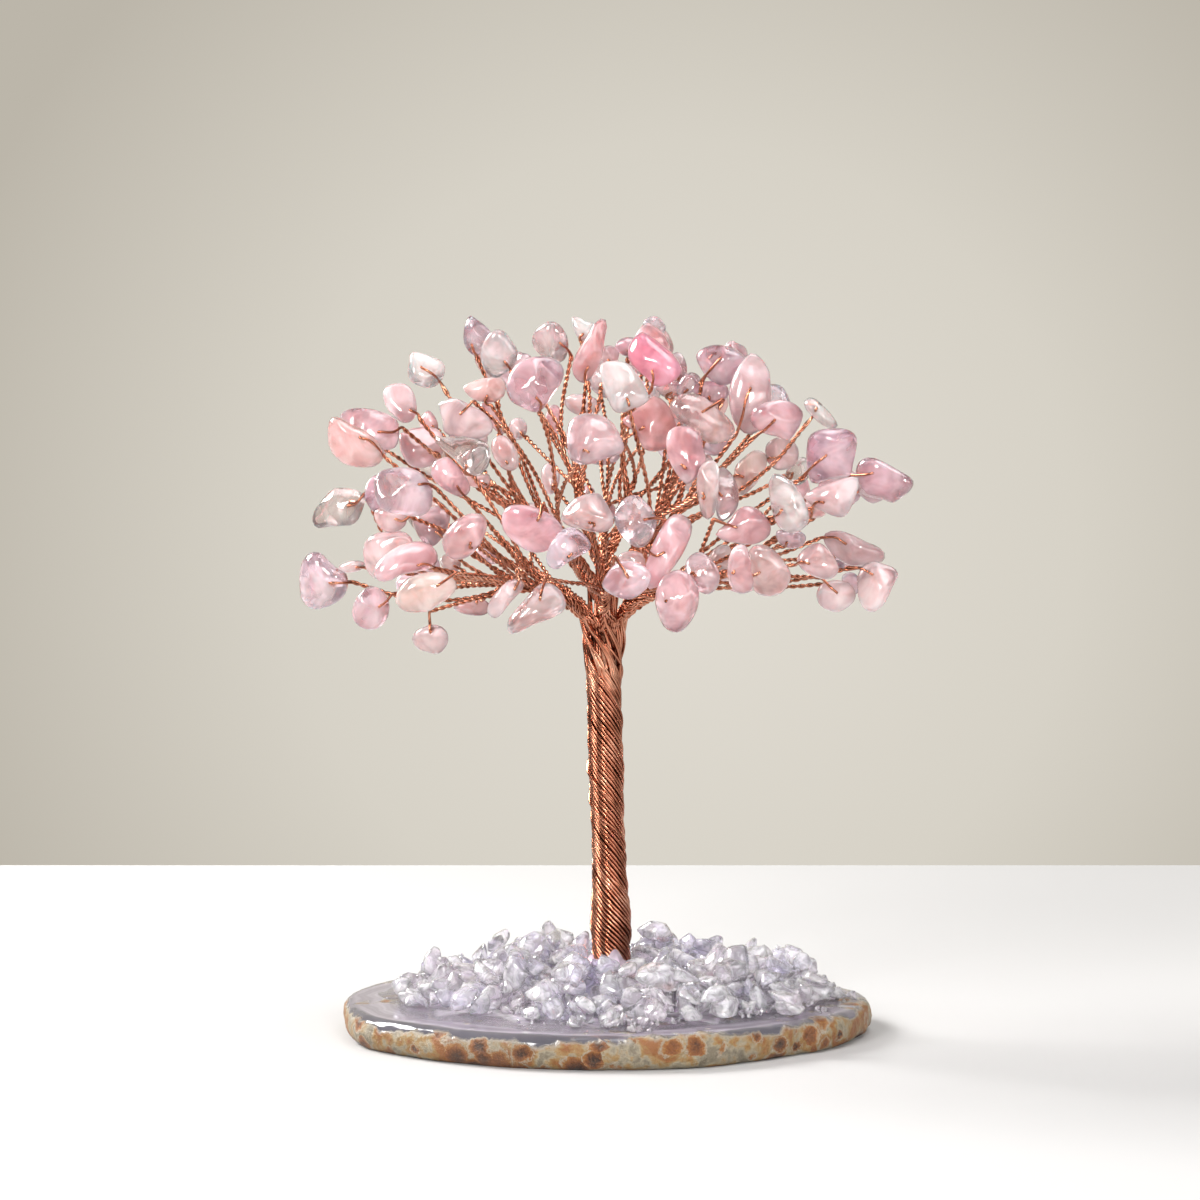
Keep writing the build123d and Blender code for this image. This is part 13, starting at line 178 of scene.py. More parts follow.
    ('S54', 'right_upper', 'P', (23.82, -7.72, 109.41), 2.45, 0.066, 0.111, [(23.82, -7.63, 110.3), (22.98, -7.91, 108.29), (22.48, -8.22, 105.77), (21.48, -8.64, 102.57)], 0.7, (10.19, 1.98, 87.02), (14.09, -1.94, 92.07), (21.48, -8.64, 102.57),
     [(-0.86, 5.92), (-2.03, 4.41), (-3.03, 2.4), (-3.53, 0.38), (-3.53, -1.97), (-2.85, -4.49), (-1.5, -6.34), (0.01, -6.92), (1.69, -6.17), (2.87, -4.15), (3.53, -1.63), (3.53, 0.89), (3.35, 3.4), (2.68, 4.91), (1.5, 6.25), (0.32, 6.92)]),
    ('S55', 'front_right_upper', 'GP', (15.55, -14.97, 105.14), 2.75, 0.323, -0.024, [(15.54, -15.0, 106.26), (17.2, -14.48, 107.25), (19.03, -13.92, 108.25)], 0.75, (6.6, -7.98, 86.61), (14.35, -9.64, 95.79), (19.03, -13.92, 108.25),
     [(-4.49, -0.04), (-2.32, -1.7), (-0.49, -3.19), (1.5, -4.19), (3.66, -3.86), (5.32, -3.03), (5.48, -1.37), (4.32, 0.29), (2.65, 1.78), (0.83, 3.28), (-1.0, 4.11), (-3.0, 4.19), (-4.49, 3.44), (-5.48, 1.95)]),
    ('S56', 'right_upper', 'C', (13.75, 2.99, 111.03), 1.5, 0.095, -0.221, None, 0.5, (7.78, 1.55, 84.39), (10.47, 2.2, 96.4), (13.16, 2.85, 108.41),
     [(-1.62, -2.01), (-0.08, -1.84), (1.46, -0.81), (2.14, 0.56), (1.45, 1.75), (0.08, 2.01), (-1.29, 0.9), (-2.14, -0.81)]),
    ('S57', 'right_upper', 'M', (17.43, 0.33, 109.77), 1.5, -0.062, 0.185, None, 0.8, (11.46, 2.21, 88.4), (14.49, 0.25, 99.15), (16.73, 0.55, 107.27),
     [(-2.3, -0.94), (-0.42, -1.79), (1.96, -1.79), (3.15, -0.43), (2.64, 1.11), (0.59, 1.79), (-1.62, 1.62), (-3.15, 0.6)]),
    ('S58', 'right_upper', 'K', (27.97, -12.36, 104.93), 2.65, 0.161, -0.271, [(27.64, -12.42, 104.93), (25.97, -12.23, 103.26), (23.81, -12.13, 101.6)], 0.45, (7.2, 1.44, 83.76), (15.51, -5.34, 92.68), (23.81, -12.13, 101.6),
     [(-3.67, -1.33), (-1.83, -2.33), (0.34, -2.83), (2.18, -3.33), (3.51, -1.83), (4.34, -0.17), (4.5, 1.33), (3.17, 2.67), (1.33, 3.33), (-0.67, 3.17), (-2.51, 2.67), (-3.84, 1.83), (-4.5, 0.33)]),
    ('S59', 'right_upper', 'W', (36.19, -1.14, 106.07), 2.16, 0.211, 0.264, [(35.33, -1.08, 106.96), (34.66, -1.63, 105.43), (33.64, -2.16, 104.24)], 0.55, (8.37, 1.65, 85.04), (26.67, -8.5, 93.55), (33.64, -2.16, 104.24),
     [(-2.55, 0.55), (-1.36, -0.81), (0.18, -2.0), (1.88, -2.67), (2.9, -2.0), (1.87, -0.3), (0.51, 1.23), (-0.86, 2.42), (-2.05, 2.67), (-2.9, 1.91)]),
    ('S60', 'right_low', 'M', (37.66, -6.16, 98.86), 3.03, 0.291, -0.317, [(36.57, -6.53, 99.03), (34.72, -6.59, 97.51), (32.7, -6.42, 95.15)], 0.4, (9.3, -0.67, 75.97), (21.99, -3.66, 88.75), (32.7, -6.42, 95.15),
     [(-4.3, -1.01), (-3.95, -3.37), (-2.93, -4.72), (-0.91, -4.22), (1.28, -3.88), (3.31, -3.37), (3.81, -1.18), (4.3, 1.18), (4.3, 3.04), (3.28, 4.22), (1.42, 4.72), (-0.77, 4.64), (-2.79, 4.22), (-3.97, 3.2), (-4.3, 1.35)]),
    ('S61', 'right_low', 'M', (47.14, -0.92, 94.63), 2.16, -0.336, -0.173, [(44.92, -0.39, 95.91), (43.22, 0.24, 95.57), (41.18, 0.98, 95.23)], 0.6, (12.76, -0.9, 77.21), (27.28, 4.39, 88.27), (41.18, 0.98, 95.23),
     [(-4.77, -0.76), (-3.91, -2.3), (-2.03, -2.98), (-0.16, -3.32), (1.38, -3.83), (2.91, -2.81), (4.26, -1.62), (4.77, -0.25), (3.91, 0.77), (2.2, 1.79), (0.16, 2.98), (-1.72, 3.83), (-3.42, 3.83), (-4.61, 2.81), (-4.95, 1.11)]),
    ('S62', 'right_low', 'P', (37.41, -9.01, 92.0), 2.12, -0.219, 0.047, None, 0.7, (14.66, -1.02, 77.71), (26.16, -2.17, 88.13), (34.23, -7.89, 90.0),
     [(-3.69, -1.01), (-1.84, -2.18), (0.35, -3.19), (2.03, -3.36), (3.04, -2.35), (3.87, -0.34), (4.53, 1.68), (4.36, 3.36), (2.85, 3.36), (1.0, 2.86), (-1.18, 2.18), (-3.03, 1.34), (-4.53, 0.17)]),
    ('S63', 'right_low', 'K', (35.38, 0.07, 89.75), 1.5, 0.063, -0.234, None, 0.85, (17.73, -1.22, 78.3), (25.59, -1.64, 82.63), (33.38, -0.08, 88.45),
     [(-1.62, -0.51), (-0.59, -1.54), (1.11, -1.37), (1.96, -0.34), (1.11, 0.85), (-0.6, 1.54), (-1.96, 1.02)]),
    ('S64', 'front_right_low', 'L', (29.74, -20.47, 91.24), 2.52, -0.335, -0.133, None, 0.93, (12.81, -11.16, 77.81), (28.36, -15.66, 86.49), (26.63, -18.76, 88.77),
     [(-3.13, 0.7), (-2.63, -1.77), (-1.8, -3.75), (-0.48, -4.74), (1.0, -4.9), (2.48, -4.08), (3.3, -2.59), (2.97, -0.78), (2.14, 1.2), (1.14, 2.84), (-0.34, 4.16), (-1.83, 4.9), (-2.81, 4.65), (-3.3, 3.17)]),
    ('S65', 'front_right_low', 'GP', (34.89, -15.03, 81.45), 2.52, 0.027, 0.218, None, 0.8, (11.08, -9.75, 77.41), (22.37, -9.66, 80.78), (31.06, -14.18, 80.8),
     [(-3.16, -0.79), (-2.16, -1.79), (-0.49, -2.62), (1.34, -3.04), (2.67, -2.62), (3.5, -1.29), (2.83, 0.38), (1.66, 2.04), (0.32, 3.04), (-1.18, 2.71), (-2.5, 1.87), (-3.5, 0.54)]),
    ('S66', 'right_low', 'DM', (41.89, -1.14, 83.13), 2.22, 0.078, -0.216, [(40.35, -1.44, 83.99), (38.47, -1.81, 85.01), (36.09, -1.95, 84.84)], 0.75, (15.65, -1.09, 77.93), (22.77, 2.97, 78.98), (36.09, -1.95, 84.84),
     [(-4.26, -0.34), (-2.72, -1.88), (-0.84, -2.9), (1.38, -3.07), (3.59, -2.9), (5.12, -2.22), (5.29, -0.85), (3.92, 0.34), (1.87, 1.19), (-0.18, 2.22), (-2.06, 2.9), (-3.76, 2.98), (-4.95, 2.56), (-5.29, 1.36)]),
    ('S67', 'right_low', 'P', (45.35, -9.29, 76.88), 2.43, -0.322, 0.211, [(44.34, -8.5, 79.07), (42.65, -7.78, 79.91), (40.64, -7.13, 79.91)], 0.5, (10.97, -0.78, 76.63), (23.7, -4.08, 75.35), (40.64, -7.13, 79.91),
     [(-3.36, -0.17), (-3.18, -2.02), (-2.33, -3.7), (-0.82, -4.21), (0.69, -3.2), (1.7, -1.51), (2.53, 0.34), (3.36, 2.02), (2.68, 3.2), (1.0, 3.87), (-0.85, 4.21), (-2.53, 3.37), (-3.36, 1.69)]),
    ('S68', 'right_low', 'P', (38.49, -6.38, 75.17), 2.26, 0.248, -0.315, [(38.49, -6.61, 75.89), (37.14, -7.32, 77.07), (35.61, -8.12, 78.43)], 0.95, (19.92, -1.37, 78.59), (29.55, -5.29, 78.56), (35.61, -8.12, 78.43),
     [(-2.87, -1.31), (-1.51, -2.33), (0.35, -2.75), (2.04, -1.99), (3.22, -0.8), (3.38, 0.72), (2.19, 2.24), (0.33, 2.75), (-1.53, 2.58), (-2.88, 1.74), (-3.38, 0.21)]),
    ('S69', 'right_low', 'M', (41.57, 1.27, 77.05), 1.5, -0.127, -0.271, None, 0.8, (16.68, -1.16, 78.12), (26.26, 1.27, 75.29), (39.32, 1.05, 77.15),
     [(-1.37, -0.51), (-0.33, -1.89), (1.04, -1.89), (1.54, -0.34), (1.02, 1.37), (-0.35, 1.89), (-1.54, 1.2)]),
    ('S70', 'front_right_low', 'D', (22.22, -19.25, 87.53), 2.41, 0.208, -0.13, [(21.06, -19.46, 87.29), (19.41, -19.87, 87.78), (17.26, -20.4, 88.44)], 0.95, (13.17, -11.46, 77.88), (15.03, -16.06, 82.1), (17.26, -20.4, 88.44),
     [(-3.47, -2.4), (-1.32, -2.89), (1.0, -3.22), (3.14, -2.73), (4.46, -1.57), (4.62, 0.08), (3.63, 1.74), (2.14, 2.89), (0.49, 3.22), (-1.0, 2.56), (-1.99, 1.24), (-3.47, -0.25), (-4.62, -1.24)]),
    ('S71', 'front_right_low', 'SG', (26.57, -18.47, 80.14), 2.96, 0.208, -0.26, None, 1.0, (13.9, -12.06, 78.01), (19.75, -15.42, 78.99), (23.05, -16.69, 79.55),
     [(-3.64, 1.16), (-3.31, -0.83), (-2.81, -2.98), (-1.64, -4.14), (0.18, -4.47), (2.0, -3.98), (3.32, -2.48), (3.64, -0.5), (2.48, 1.49), (0.99, 3.15), (-0.67, 4.14), (-2.49, 4.14), (-3.48, 2.98)]),
    ('S72', 'front_right_low', 'K', (21.63, -24.21, 80.64), 1.76, 0.268, -0.212, None, 0.9, (12.45, -10.87, 77.74), (15.02, -14.87, 78.06), (20.06, -21.94, 80.14),
     [(-2.21, -0.9), (-1.55, -3.03), (-0.24, -4.02), (1.23, -4.02), (2.21, -2.71), (1.88, -0.57), (1.55, 1.89), (0.89, 3.69), (-0.26, 4.02), (-1.4, 3.2), (-2.05, 1.4)]),
    ('S73', 'right_low', 'P', (19.01, -4.9, 81.41), 1.52, 0.097, 0.077, None, 0.9, (18.81, -1.3, 78.46), (18.84, -2.37, 79.16), (18.89, -2.79, 79.68),
     [(-1.44, -2.03), (0.09, -2.37), (1.61, -1.53), (2.12, 0.51), (1.44, 2.2), (-0.09, 2.37), (-1.44, 1.36), (-2.12, -0.51)]),
    ('S74', 'front_low', 'M', (15.23, -29.78, 80.11), 1.73, 0.113, 0.092, None, 0.55, (-0.58, -10.61, 75.97), (6.35, -17.44, 75.79), (13.39, -27.55, 79.63),
     [(-2.03, -1.75), (-0.4, -3.05), (1.06, -3.45), (2.36, -2.4), (2.84, -0.45), (2.19, 1.34), (0.89, 2.8), (-0.57, 3.45), (-1.87, 2.96), (-2.68, 1.83), (-2.84, 0.04)]),
    ('S75', 'front_low', 'K', (11.06, -33.3, 75.9), 2.96, 0.212, -0.121, None, 0.75, (-0.52, -13.43, 76.83), (4.39, -22.81, 76.46), (9.08, -29.91, 76.06),
     [(-3.43, -1.09), (-2.94, -2.7), (-1.97, -4.48), (-0.52, -5.29), (0.93, -4.97), (2.39, -3.35), (3.35, -1.25), (3.59, 1.01), (3.02, 2.95), (1.73, 4.4), (-0.05, 4.97), (-1.82, 4.24), (-3.11, 2.63), (-3.59, 0.37)]),
    ('S76', 'front_low', 'K', (9.75, -27.68, 83.56), 3.01, 0.257, 0.275, [(9.02, -27.89, 83.48), (7.56, -28.4, 82.99), (5.6, -28.63, 83.97)], 0.65, (-0.55, -11.98, 76.43), (9.69, -26.82, 76.4), (5.6, -28.63, 83.97),
     [(-2.36, 1.71), (-3.17, -0.24), (-3.82, -2.69), (-3.82, -4.97), (-3.01, -6.11), (-1.54, -5.46), (0.09, -3.5), (1.71, -1.38), (3.01, 0.9), (3.82, 3.02), (3.82, 4.64), (2.68, 5.78), (1.22, 6.11), (-0.25, 5.13), (-1.39, 3.51)]),
    ('S77', 'front_low', 'P', (2.86, -35.14, 79.26), 1.94, -0.331, 0.106, [(3.1, -35.17, 79.75), (2.14, -34.68, 81.35), (0.85, -34.09, 82.96)], 0.8, (-0.51, -14.19, 77.02), (-0.82, -19.49, 73.9), (0.85, -34.09, 82.96),
     [(-2.97, -2.09), (-1.2, -2.9), (0.56, -3.06), (2.17, -2.25), (3.46, -0.96), (3.94, 0.97), (2.65, 2.41), (0.88, 3.06), (-0.88, 3.06), (-2.33, 2.09), (-3.46, 0.48), (-3.94, -0.96)]),
    ('S78', 'front_low', 'C', (4.39, -26.2, 88.44), 2.25, 0.045, 0.311, [(5.78, -26.03, 88.81), (7.41, -25.9, 88.97), (9.04, -25.93, 88.65)], 0.9, (-0.48, -15.77, 77.34), (3.44, -19.33, 80.95), (9.04, -25.93, 88.65),
     [(-3.34, -0.28), (-2.53, -1.92), (-1.22, -3.39), (0.41, -4.28), (1.88, -3.71), (3.02, -1.92), (3.51, 0.04), (2.85, 1.67), (1.55, 3.31), (0.08, 4.28), (-1.39, 3.96), (-2.69, 2.82), (-3.51, 1.18)]),
    ('S79', 'front_low', 'P', (-3.51, -27.91, 89.88), 2.16, -0.173, -0.03, None, 0.85, (-0.49, -14.97, 77.19), (-1.61, -17.16, 80.69), (-2.93, -25.39, 87.41),
     [(-3.09, -2.15), (-1.14, -2.64), (0.98, -3.13), (2.93, -3.13), (4.23, -1.99), (4.07, -0.2), (3.09, 1.75), (1.95, 3.13), (0.16, 3.05), (-1.79, 2.4), (-3.42, 0.94), (-4.23, -1.02)]),
    ('S80', 'front_right_upper', 'P', (16.26, -24.69, 93.47), 1.5, -0.279, -0.084, None, 0.9, (7.8, -9.28, 88.46), (11.62, -15.34, 90.39), (14.92, -22.26, 92.68),
     [(-1.79, 0.04), (-1.46, -2.08), (-0.97, -4.05), (0.18, -4.86), (1.16, -3.55), (1.64, -1.26), (1.8, 1.19), (1.8, 3.64), (0.98, 4.86), (-0.17, 4.78), (-1.31, 3.8), (-1.8, 2.0)]),
    ('S81', 'front_right_upper', 'MG', (19.82, -14.51, 92.63), 1.5, 0.114, 0.231, None, 1.0, (8.64, -10.18, 89.73), (13.75, -12.66, 91.97), (17.4, -13.57, 92.0),
     [(-1.92, 0.33), (-1.91, -3.16), (-1.07, -4.49), (0.42, -3.83), (1.59, -2.33), (1.92, -0.5), (1.58, 1.67), (0.58, 3.5), (-0.76, 4.49), (-1.75, 3.66)]),
    ('S82', 'right_upper', 'PP', (24.2, -1.62, 95.92), 1.74, -0.09, 0.028, None, 1.0, (14.1, 2.69, 91.26), (19.22, 0.2, 93.95), (21.1, -0.3, 94.49),
     [(-2.63, -1.87), (-1.78, -3.91), (-0.25, -3.06), (1.45, -1.19), (2.64, 0.85), (2.63, 3.06), (0.93, 3.91), (-1.11, 2.72), (-2.64, 0.85)]),
    ('S83', 'right_upper', 'P', (29.57, -1.21, 99.14), 1.67, -0.177, -0.119, None, 0.99, (14.1, 2.69, 91.26), (23.66, 2.47, 93.59), (26.33, -0.39, 97.49),
     [(-2.55, -1.19), (-0.84, -2.72), (1.37, -2.38), (2.73, -0.85), (2.55, 1.36), (0.84, 2.72), (-1.2, 2.72), (-2.73, 1.36)]),
    ('S84', 'right_upper', 'C', (32.77, 7.06, 96.12), 1.5, -0.293, 0.177, None, 0.75, (10.82, 2.1, 87.71), (23.34, 5.64, 90.83), (30.28, 6.5, 95.17),
     [(-1.55, -1.9), (0.18, -2.41), (1.73, -1.21), (2.07, 1.04), (1.03, 2.41), (-0.87, 1.73), (-2.07, -0.17)]),
    ('S85', 'right_low', 'MG', (30.81, -7.31, 84.89), 1.5, -0.14, -0.296, None, 1.0, (21.06, -1.44, 78.7), (24.24, -3.19, 81.14), (28.72, -6.05, 83.56),
     [(-2.02, -0.67), (-0.16, -1.69), (1.86, -1.18), (2.53, 0.34), (1.18, 1.52), (-0.85, 1.69), (-2.53, 1.18)]),
    ('S91', 'left_low', 'P', (-44.25, 5.69, 79.69), 1.5, -0.258, -0.257, None, 0.8, (-17.83, -1.28, 77.56), (-21.48, 2.15, 76.59), (-41.5, 4.97, 79.47),
     [(-1.82, -1.12), (-0.26, -1.12), (1.64, -0.6), (2.33, 0.6), (1.12, 1.12), (-0.77, 0.78), (-2.33, -0.09)]),
    ('S93', 'back_low', 'VP', (-10.3, 32.16, 94.3), 1.5, -0.293, 0.284, None, 0.9, (-1.78, 17.65, 80.59), (-4.28, 22.83, 87.01), (-9.03, 30.0, 92.26),
     [(-1.35, -1.26), (-0.09, -2.88), (1.35, -1.44), (1.71, 0.9), (0.81, 2.88), (-0.81, 2.88), (-1.71, 1.26)]),
    ('S95', 'front_low', 'P', (4.25, -24.54, 81.47), 1.5, -0.136, 0.233, None, 1.0, (-0.44, -17.43, 77.62), (1.28, -21.08, 79.18), (2.96, -22.58, 80.41),
     [(-1.56, -1.06), (0.9, -2.05), (2.54, -1.39), (2.87, 0.25), (1.39, 1.56), (-0.41, 2.05), (-2.05, 1.72), (-2.87, 0.57)]),
    ('H01', 'back_right_low', 'L', (17.65, 39.41, 76.79), 1.91, 0.268, -0.095, None, 0.95, (15.8, 15.02, 77.74), (19.18, 28.11, 77.31), (17.44, 36.55, 76.9),
     [(4.43, -0.85), (4.37, 1.37), (3.41, 2.38), (0.8, 3.22), (-2.33, 1.98), (-4.35, -0.11), (-4.43, -2.09), (-2.52, -3.22), (1.9, -2.47)]),
    ('H02', 'back_left_low', 'VP', (-32.67, 31.78, 87.88), 2.66, -0.478, -0.172, None, 0.8, (-12.6, 11.26, 77.83), (-21.69, 17.23, 87.71), (-29.31, 28.35, 86.2),
     [(-3.51, 1.55), (-3.73, -0.22), (-2.3, -2.53), (-0.43, -3.77), (2.54, -2.74), (3.73, -1.46), (3.06, 1.02), (0.97, 3.43), (-1.17, 3.77)]),
    ('H03', 'right_upper', 'M', (21.72, 15.38, 114.98), 1.88, 0.456, -0.464, None, 0.4, (6.64, 1.34, 83.14), (11.5, 11.67, 98.99), (20.31, 14.06, 112.01),
     [(-2.8, -0.07), (-2.67, -2.57), (-1.12, -3.71), (1.47, -2.79), (2.8, 0.19), (2.35, 2.49), (0.8, 3.34), (-0.45, 3.71), (-1.99, 2.05)]),
    ('H04', 'back_left_low', 'VP', (-31.81, 27.93, 98.26), 2.79, -0.094, 0.127, None, 0.75, (-11.93, 10.62, 77.62), (-21.9, 12.02, 87.81), (-29.02, 25.49, 95.36),
     [(-3.67, 1.02), (-3.05, -1.98), (-1.13, -3.79), (0.7, -3.55), (2.66, -2.65), (3.67, -0.15), (2.43, 2.56), (0.92, 3.79), (-2.26, 2.86)]),
    ('H05', 'right_upper', 'M', (17.02, 9.27, 102.93), 1.86, 0.142, 0.354, None, 0.95, (13.43, 2.57, 90.53), (15.75, 5.07, 95.97), (15.91, 7.19, 99.08),
     [(-4.31, 2.18), (-4.5, -0.72), (-2.58, -2.48), (0.97, -4.2), (3.77, -3.09), (4.5, 0.33), (3.84, 2.22), (-0.1, 4.2), (-2.51, 3.39)]),
    ('H06', 'back_left_low', 'M', (-34.06, 31.21, 77.06), 2.69, 0.146, 0.451, None, 0.7, (-11.27, 10.0, 77.4), (-22.33, 23.85, 74.12), (-31.29, 28.63, 77.1),
     [(-3.74, -0.47), (-3.8, -2.45), (-1.97, -3.58), (-0.78, -3.99), (2.58, -1.49), (3.8, 0.92), (3.51, 2.81), (1.94, 3.99), (-0.62, 2.71)]),
    ('H07', 'right_low', 'MG', (46.33, 11.75, 94.16), 2.2, -0.002, -0.244, None, 0.65, (13.69, -0.96, 77.47), (22.9, 7.31, 79.49), (43.03, 10.46, 92.48),
     [(-3.02, 0.69), (-3.31, -1.23), (-1.13, -3.47), (0.61, -3.64), (3.18, -1.81), (3.31, -0.07), (3.11, 2.03), (0.24, 3.64), (-1.17, 3.1)]),
    ('H08', 'back_left_low', 'MG', (-25.14, 30.4, 101.19), 2.04, 0.473, -0.105, None, 0.65, (-10.64, 9.39, 77.16), (-17.23, 18.93, 88.08), (-23.81, 28.48, 98.99),
     [(-0.89, -3.72), (1.27, -3.78), (3.24, -1.4), (3.55, 0.94), (2.22, 3.21), (-0.46, 3.78), (-2.35, 2.58), (-3.55, -0.25), (-2.08, -2.73)]),
    ('H09', 'back_upper', 'S', (18.53, 28.1, 107.82), 2.01, 0.001, 0.018, None, 0.5, (-0.79, 8.85, 84.56), (7.52, 15.25, 92.68), (16.66, 26.23, 105.56),
     [(-2.74, 0.88), (-2.97, -1.15), (-1.14, -2.7), (0.87, -2.91), (1.96, -2.24), (2.97, -0.27), (2.61, 2.17), (1.25, 2.91), (-0.96, 2.49)]),
    ('H10', 'back_upper', 'MG', (-15.44, 23.33, 112.98), 2.25, -0.265, 0.206, None, 0.6, (-0.79, 10.08, 85.9), (-11.01, 17.81, 103.22), (-13.05, 21.18, 108.58),
     [(-3.94, 2.39), (-3.87, -0.35), (-1.97, -2.48), (0.43, -4.06), (2.62, -3.84), (3.94, -1.71), (3.81, 0.57), (1.34, 3.04), (-0.65, 4.06)]),
    ('H11', 'left_upper', 'P', (-42.33, 11.55, 101.86), 2.03, 0.476, 0.371, None, 0.4, (-8.56, 1.36, 83.48), (-27.7, 5.48, 92.39), (-38.91, 10.52, 100.0),
     [(-1.38, -3.86), (2.07, -4.07), (3.6, -3.12), (4.07, 0.48), (3.26, 2.49), (1.23, 4.07), (-2.56, 3.84), (-4.07, 0.77), (-2.64, -2.13)]),
    ('H12', 'back_upper', 'L', (4.58, 30.63, 109.13), 2.73, 0.334, -0.157, None, 0.75, (-0.79, 12.0, 87.98), (-0.68, 24.87, 93.02), (3.89, 28.23, 106.4),
     [(-1.39, -2.75), (2.03, -2.94), (3.24, -1.98), (4.87, 0.14), (3.92, 2.21), (0.39, 2.94), (-3.0, 2.23), (-4.87, 0.29), (-4.06, -1.35)]),
    ('H13', 'crown_right', 'P', (7.49, 19.66, 116.86), 2.66, 0.095, 0.255, None, 0.65, (3.72, 1.41, 92.47), (7.42, 7.03, 100.19), (6.89, 16.77, 113.0),
     [(-4.12, 0.19), (-3.93, -3.01), (-2.12, -3.88), (0.2, -3.54), (2.93, -1.74), (4.12, 0.68), (2.88, 3.66), (1.31, 3.88), (-2.06, 2.71)]),
    ('H14', 'back_left_low', 'VP', (-12.36, 27.24, 86.4), 2.12, 0.434, 0.146, None, 0.9, (-13.99, 12.59, 78.18), (-13.19, 20.56, 82.48), (-12.72, 24.03, 84.6),
     [(-3.28, 2.64), (-4.19, 0.73), (-2.72, -1.71), (-0.24, -3.73), (1.65, -3.8), (4.19, -1.41), (3.67, 1.25), (1.17, 3.19), (-1.59, 3.8)]),
    ('H15', 'back_right_low', 'M', (43.02, 22.93, 80.93), 2.07, 0.412, -0.122, None, 0.8, (13.12, 12.6, 77.62), (28.74, 16.16, 80.74), (38.19, 21.26, 80.4),
     [(-3.08, 1.82), (-4.13, 0.23), (-4.05, -1.01), (-1.97, -2.71), (0.54, -2.74), (2.7, -1.95), (4.13, -0.24), (2.29, 2.18), (0.62, 2.74)]),
    ('H16', 'back_upper', 'P', (15.97, 22.23, 95.29), 2.58, 0.268, -0.279, None, 0.95, (-0.78, 14.7, 90.89), (7.38, 17.68, 91.84), (11.59, 20.26, 94.14),
     [(-3.97, 1.12), (-3.91, -1.44), (-2.22, -2.82), (0.4, -3.62), (2.64, -2.47), (3.97, -0.3), (2.63, 2.68), (1.4, 3.62), (-2.54, 2.72)]),
    ('H17', 'back_right_low', 'L', (25.75, 36.24, 77.37), 2.78, 0.239, 0.423, None, 0.85, (13.99, 13.38, 77.69), (18.32, 24.57, 80.19), (23.72, 32.29, 77.42),
     [(0.45, 3.45), (-2.1, 3.16), (-2.99, 1.74), (-3.86, -0.42), (-0.97, -3.0), (0.1, -3.45), (3.39, -1.98), (3.86, 0.19), (2.25, 2.46)]),
    ('H18', 'right_upper', 'L', (29.17, 22.27, 107.03), 2.42, -0.461, 0.395, None, 0.6, (8.97, 1.76, 85.69), (22.08, 14.56, 98.78), (26.82, 19.88, 104.55),
     [(-2.78, 2.4), (-3.35, 0.01), (-2.83, -2.9), (-0.1, -4.02), (1.76, -4.03), (3.35, -1.16), (3.07, 1.0), (1.54, 3.89), (-1.27, 4.03)]),
    ('H19', 'back_right_low', 'M', (41.01, 22.46, 92.55), 2.01, -0.335, -0.099, None, 0.75, (12.28, 11.83, 77.52), (24.5, 14.18, 87.4), (38.03, 21.36, 90.99),
     [(-3.31, 2.44), (-3.68, -1.43), (-2.88, -3.07), (0.18, -4.0), (2.97, -2.07), (3.68, -0.89), (3.51, 2.32), (0.7, 4.0), (-0.87, 3.67)]),
    ('H20', 'back_upper', 'M', (13.68, 35.61, 100.39), 1.85, 0.038, 0.451, None, 0.65, (-0.79, 10.71, 86.58), (9.9, 25.18, 94.06), (11.81, 32.39, 98.6),
     [(-2.35, 1.67), (-4.66, -0.48), (-3.77, -2.36), (-1.79, -3.21), (2.18, -2.4), (4.66, -0.41), (4.35, 1.47), (2.09, 3.18), (0.03, 3.21)]),
    ('H21', 'back_right_low', 'K', (32.51, 30.38, 92.27), 1.8, 0.423, 0.124, None, 0.9, (14.88, 14.19, 77.73), (23.61, 21.57, 82.94), (29.85, 27.94, 90.09),
     [(-3.33, 2.12), (-3.75, 0.31), (-3.13, -1.22), (-0.98, -3.17), (1.8, -2.84), (3.75, -1.0), (3.7, 1.24), (2.76, 2.44), (0.04, 3.17)]),
    ('H22', 'back_upper', 'M', (-1.47, 22.83, 100.59), 2.12, -0.318, -0.232, None, 1.0, (-0.78, 15.4, 91.64), (-1.03, 18.93, 95.78), (-1.27, 20.66, 97.98),
     [(-4.41, 0.73), (-3.8, -2.1), (-0.99, -3.54), (2.14, -3.44), (3.51, -2.4), (4.41, 0.28), (2.67, 2.63), (0.54, 3.54), (-3.29, 2.46)]),
    ('H23', 'back_low', 'MG', (5.93, 31.19, 86.79), 2.01, -0.435, 0.137, None, 1.0, (-1.89, 19.51, 81.4), (0.68, 23.81, 83.84), (4.41, 28.93, 85.75),
     [(-1.08, -3.17), (0.34, -3.97), (2.36, -3.84), (2.92, -1.22), (2.71, 1.2), (1.04, 3.22), (-0.85, 3.97), (-2.92, 2.38), (-2.52, -0.11)]),
    ('H24', 'back_low', 'K', (-2.84, 41.43, 88.2), 2.79, -0.071, 0.319, None, 0.85, (-1.73, 16.75, 80.18), (-4.17, 30.09, 79.84), (-2.66, 37.45, 86.9),
     [(-4.32, 0.13), (-3.43, -2.28), (-0.76, -3.51), (1.43, -3.26), (4.08, -0.9), (4.32, 0.71), (2.63, 2.24), (-0.59, 3.51), (-3.15, 2.23)]),
    ('H25', 'back_left_low', 'VP', (-31.21, 13.12, 88.24), 2.62, -0.145, 0.273, None, 0.85, (-13.29, 11.91, 78.01), (-17.39, 11.0, 80.73), (-27.88, 12.89, 86.34),
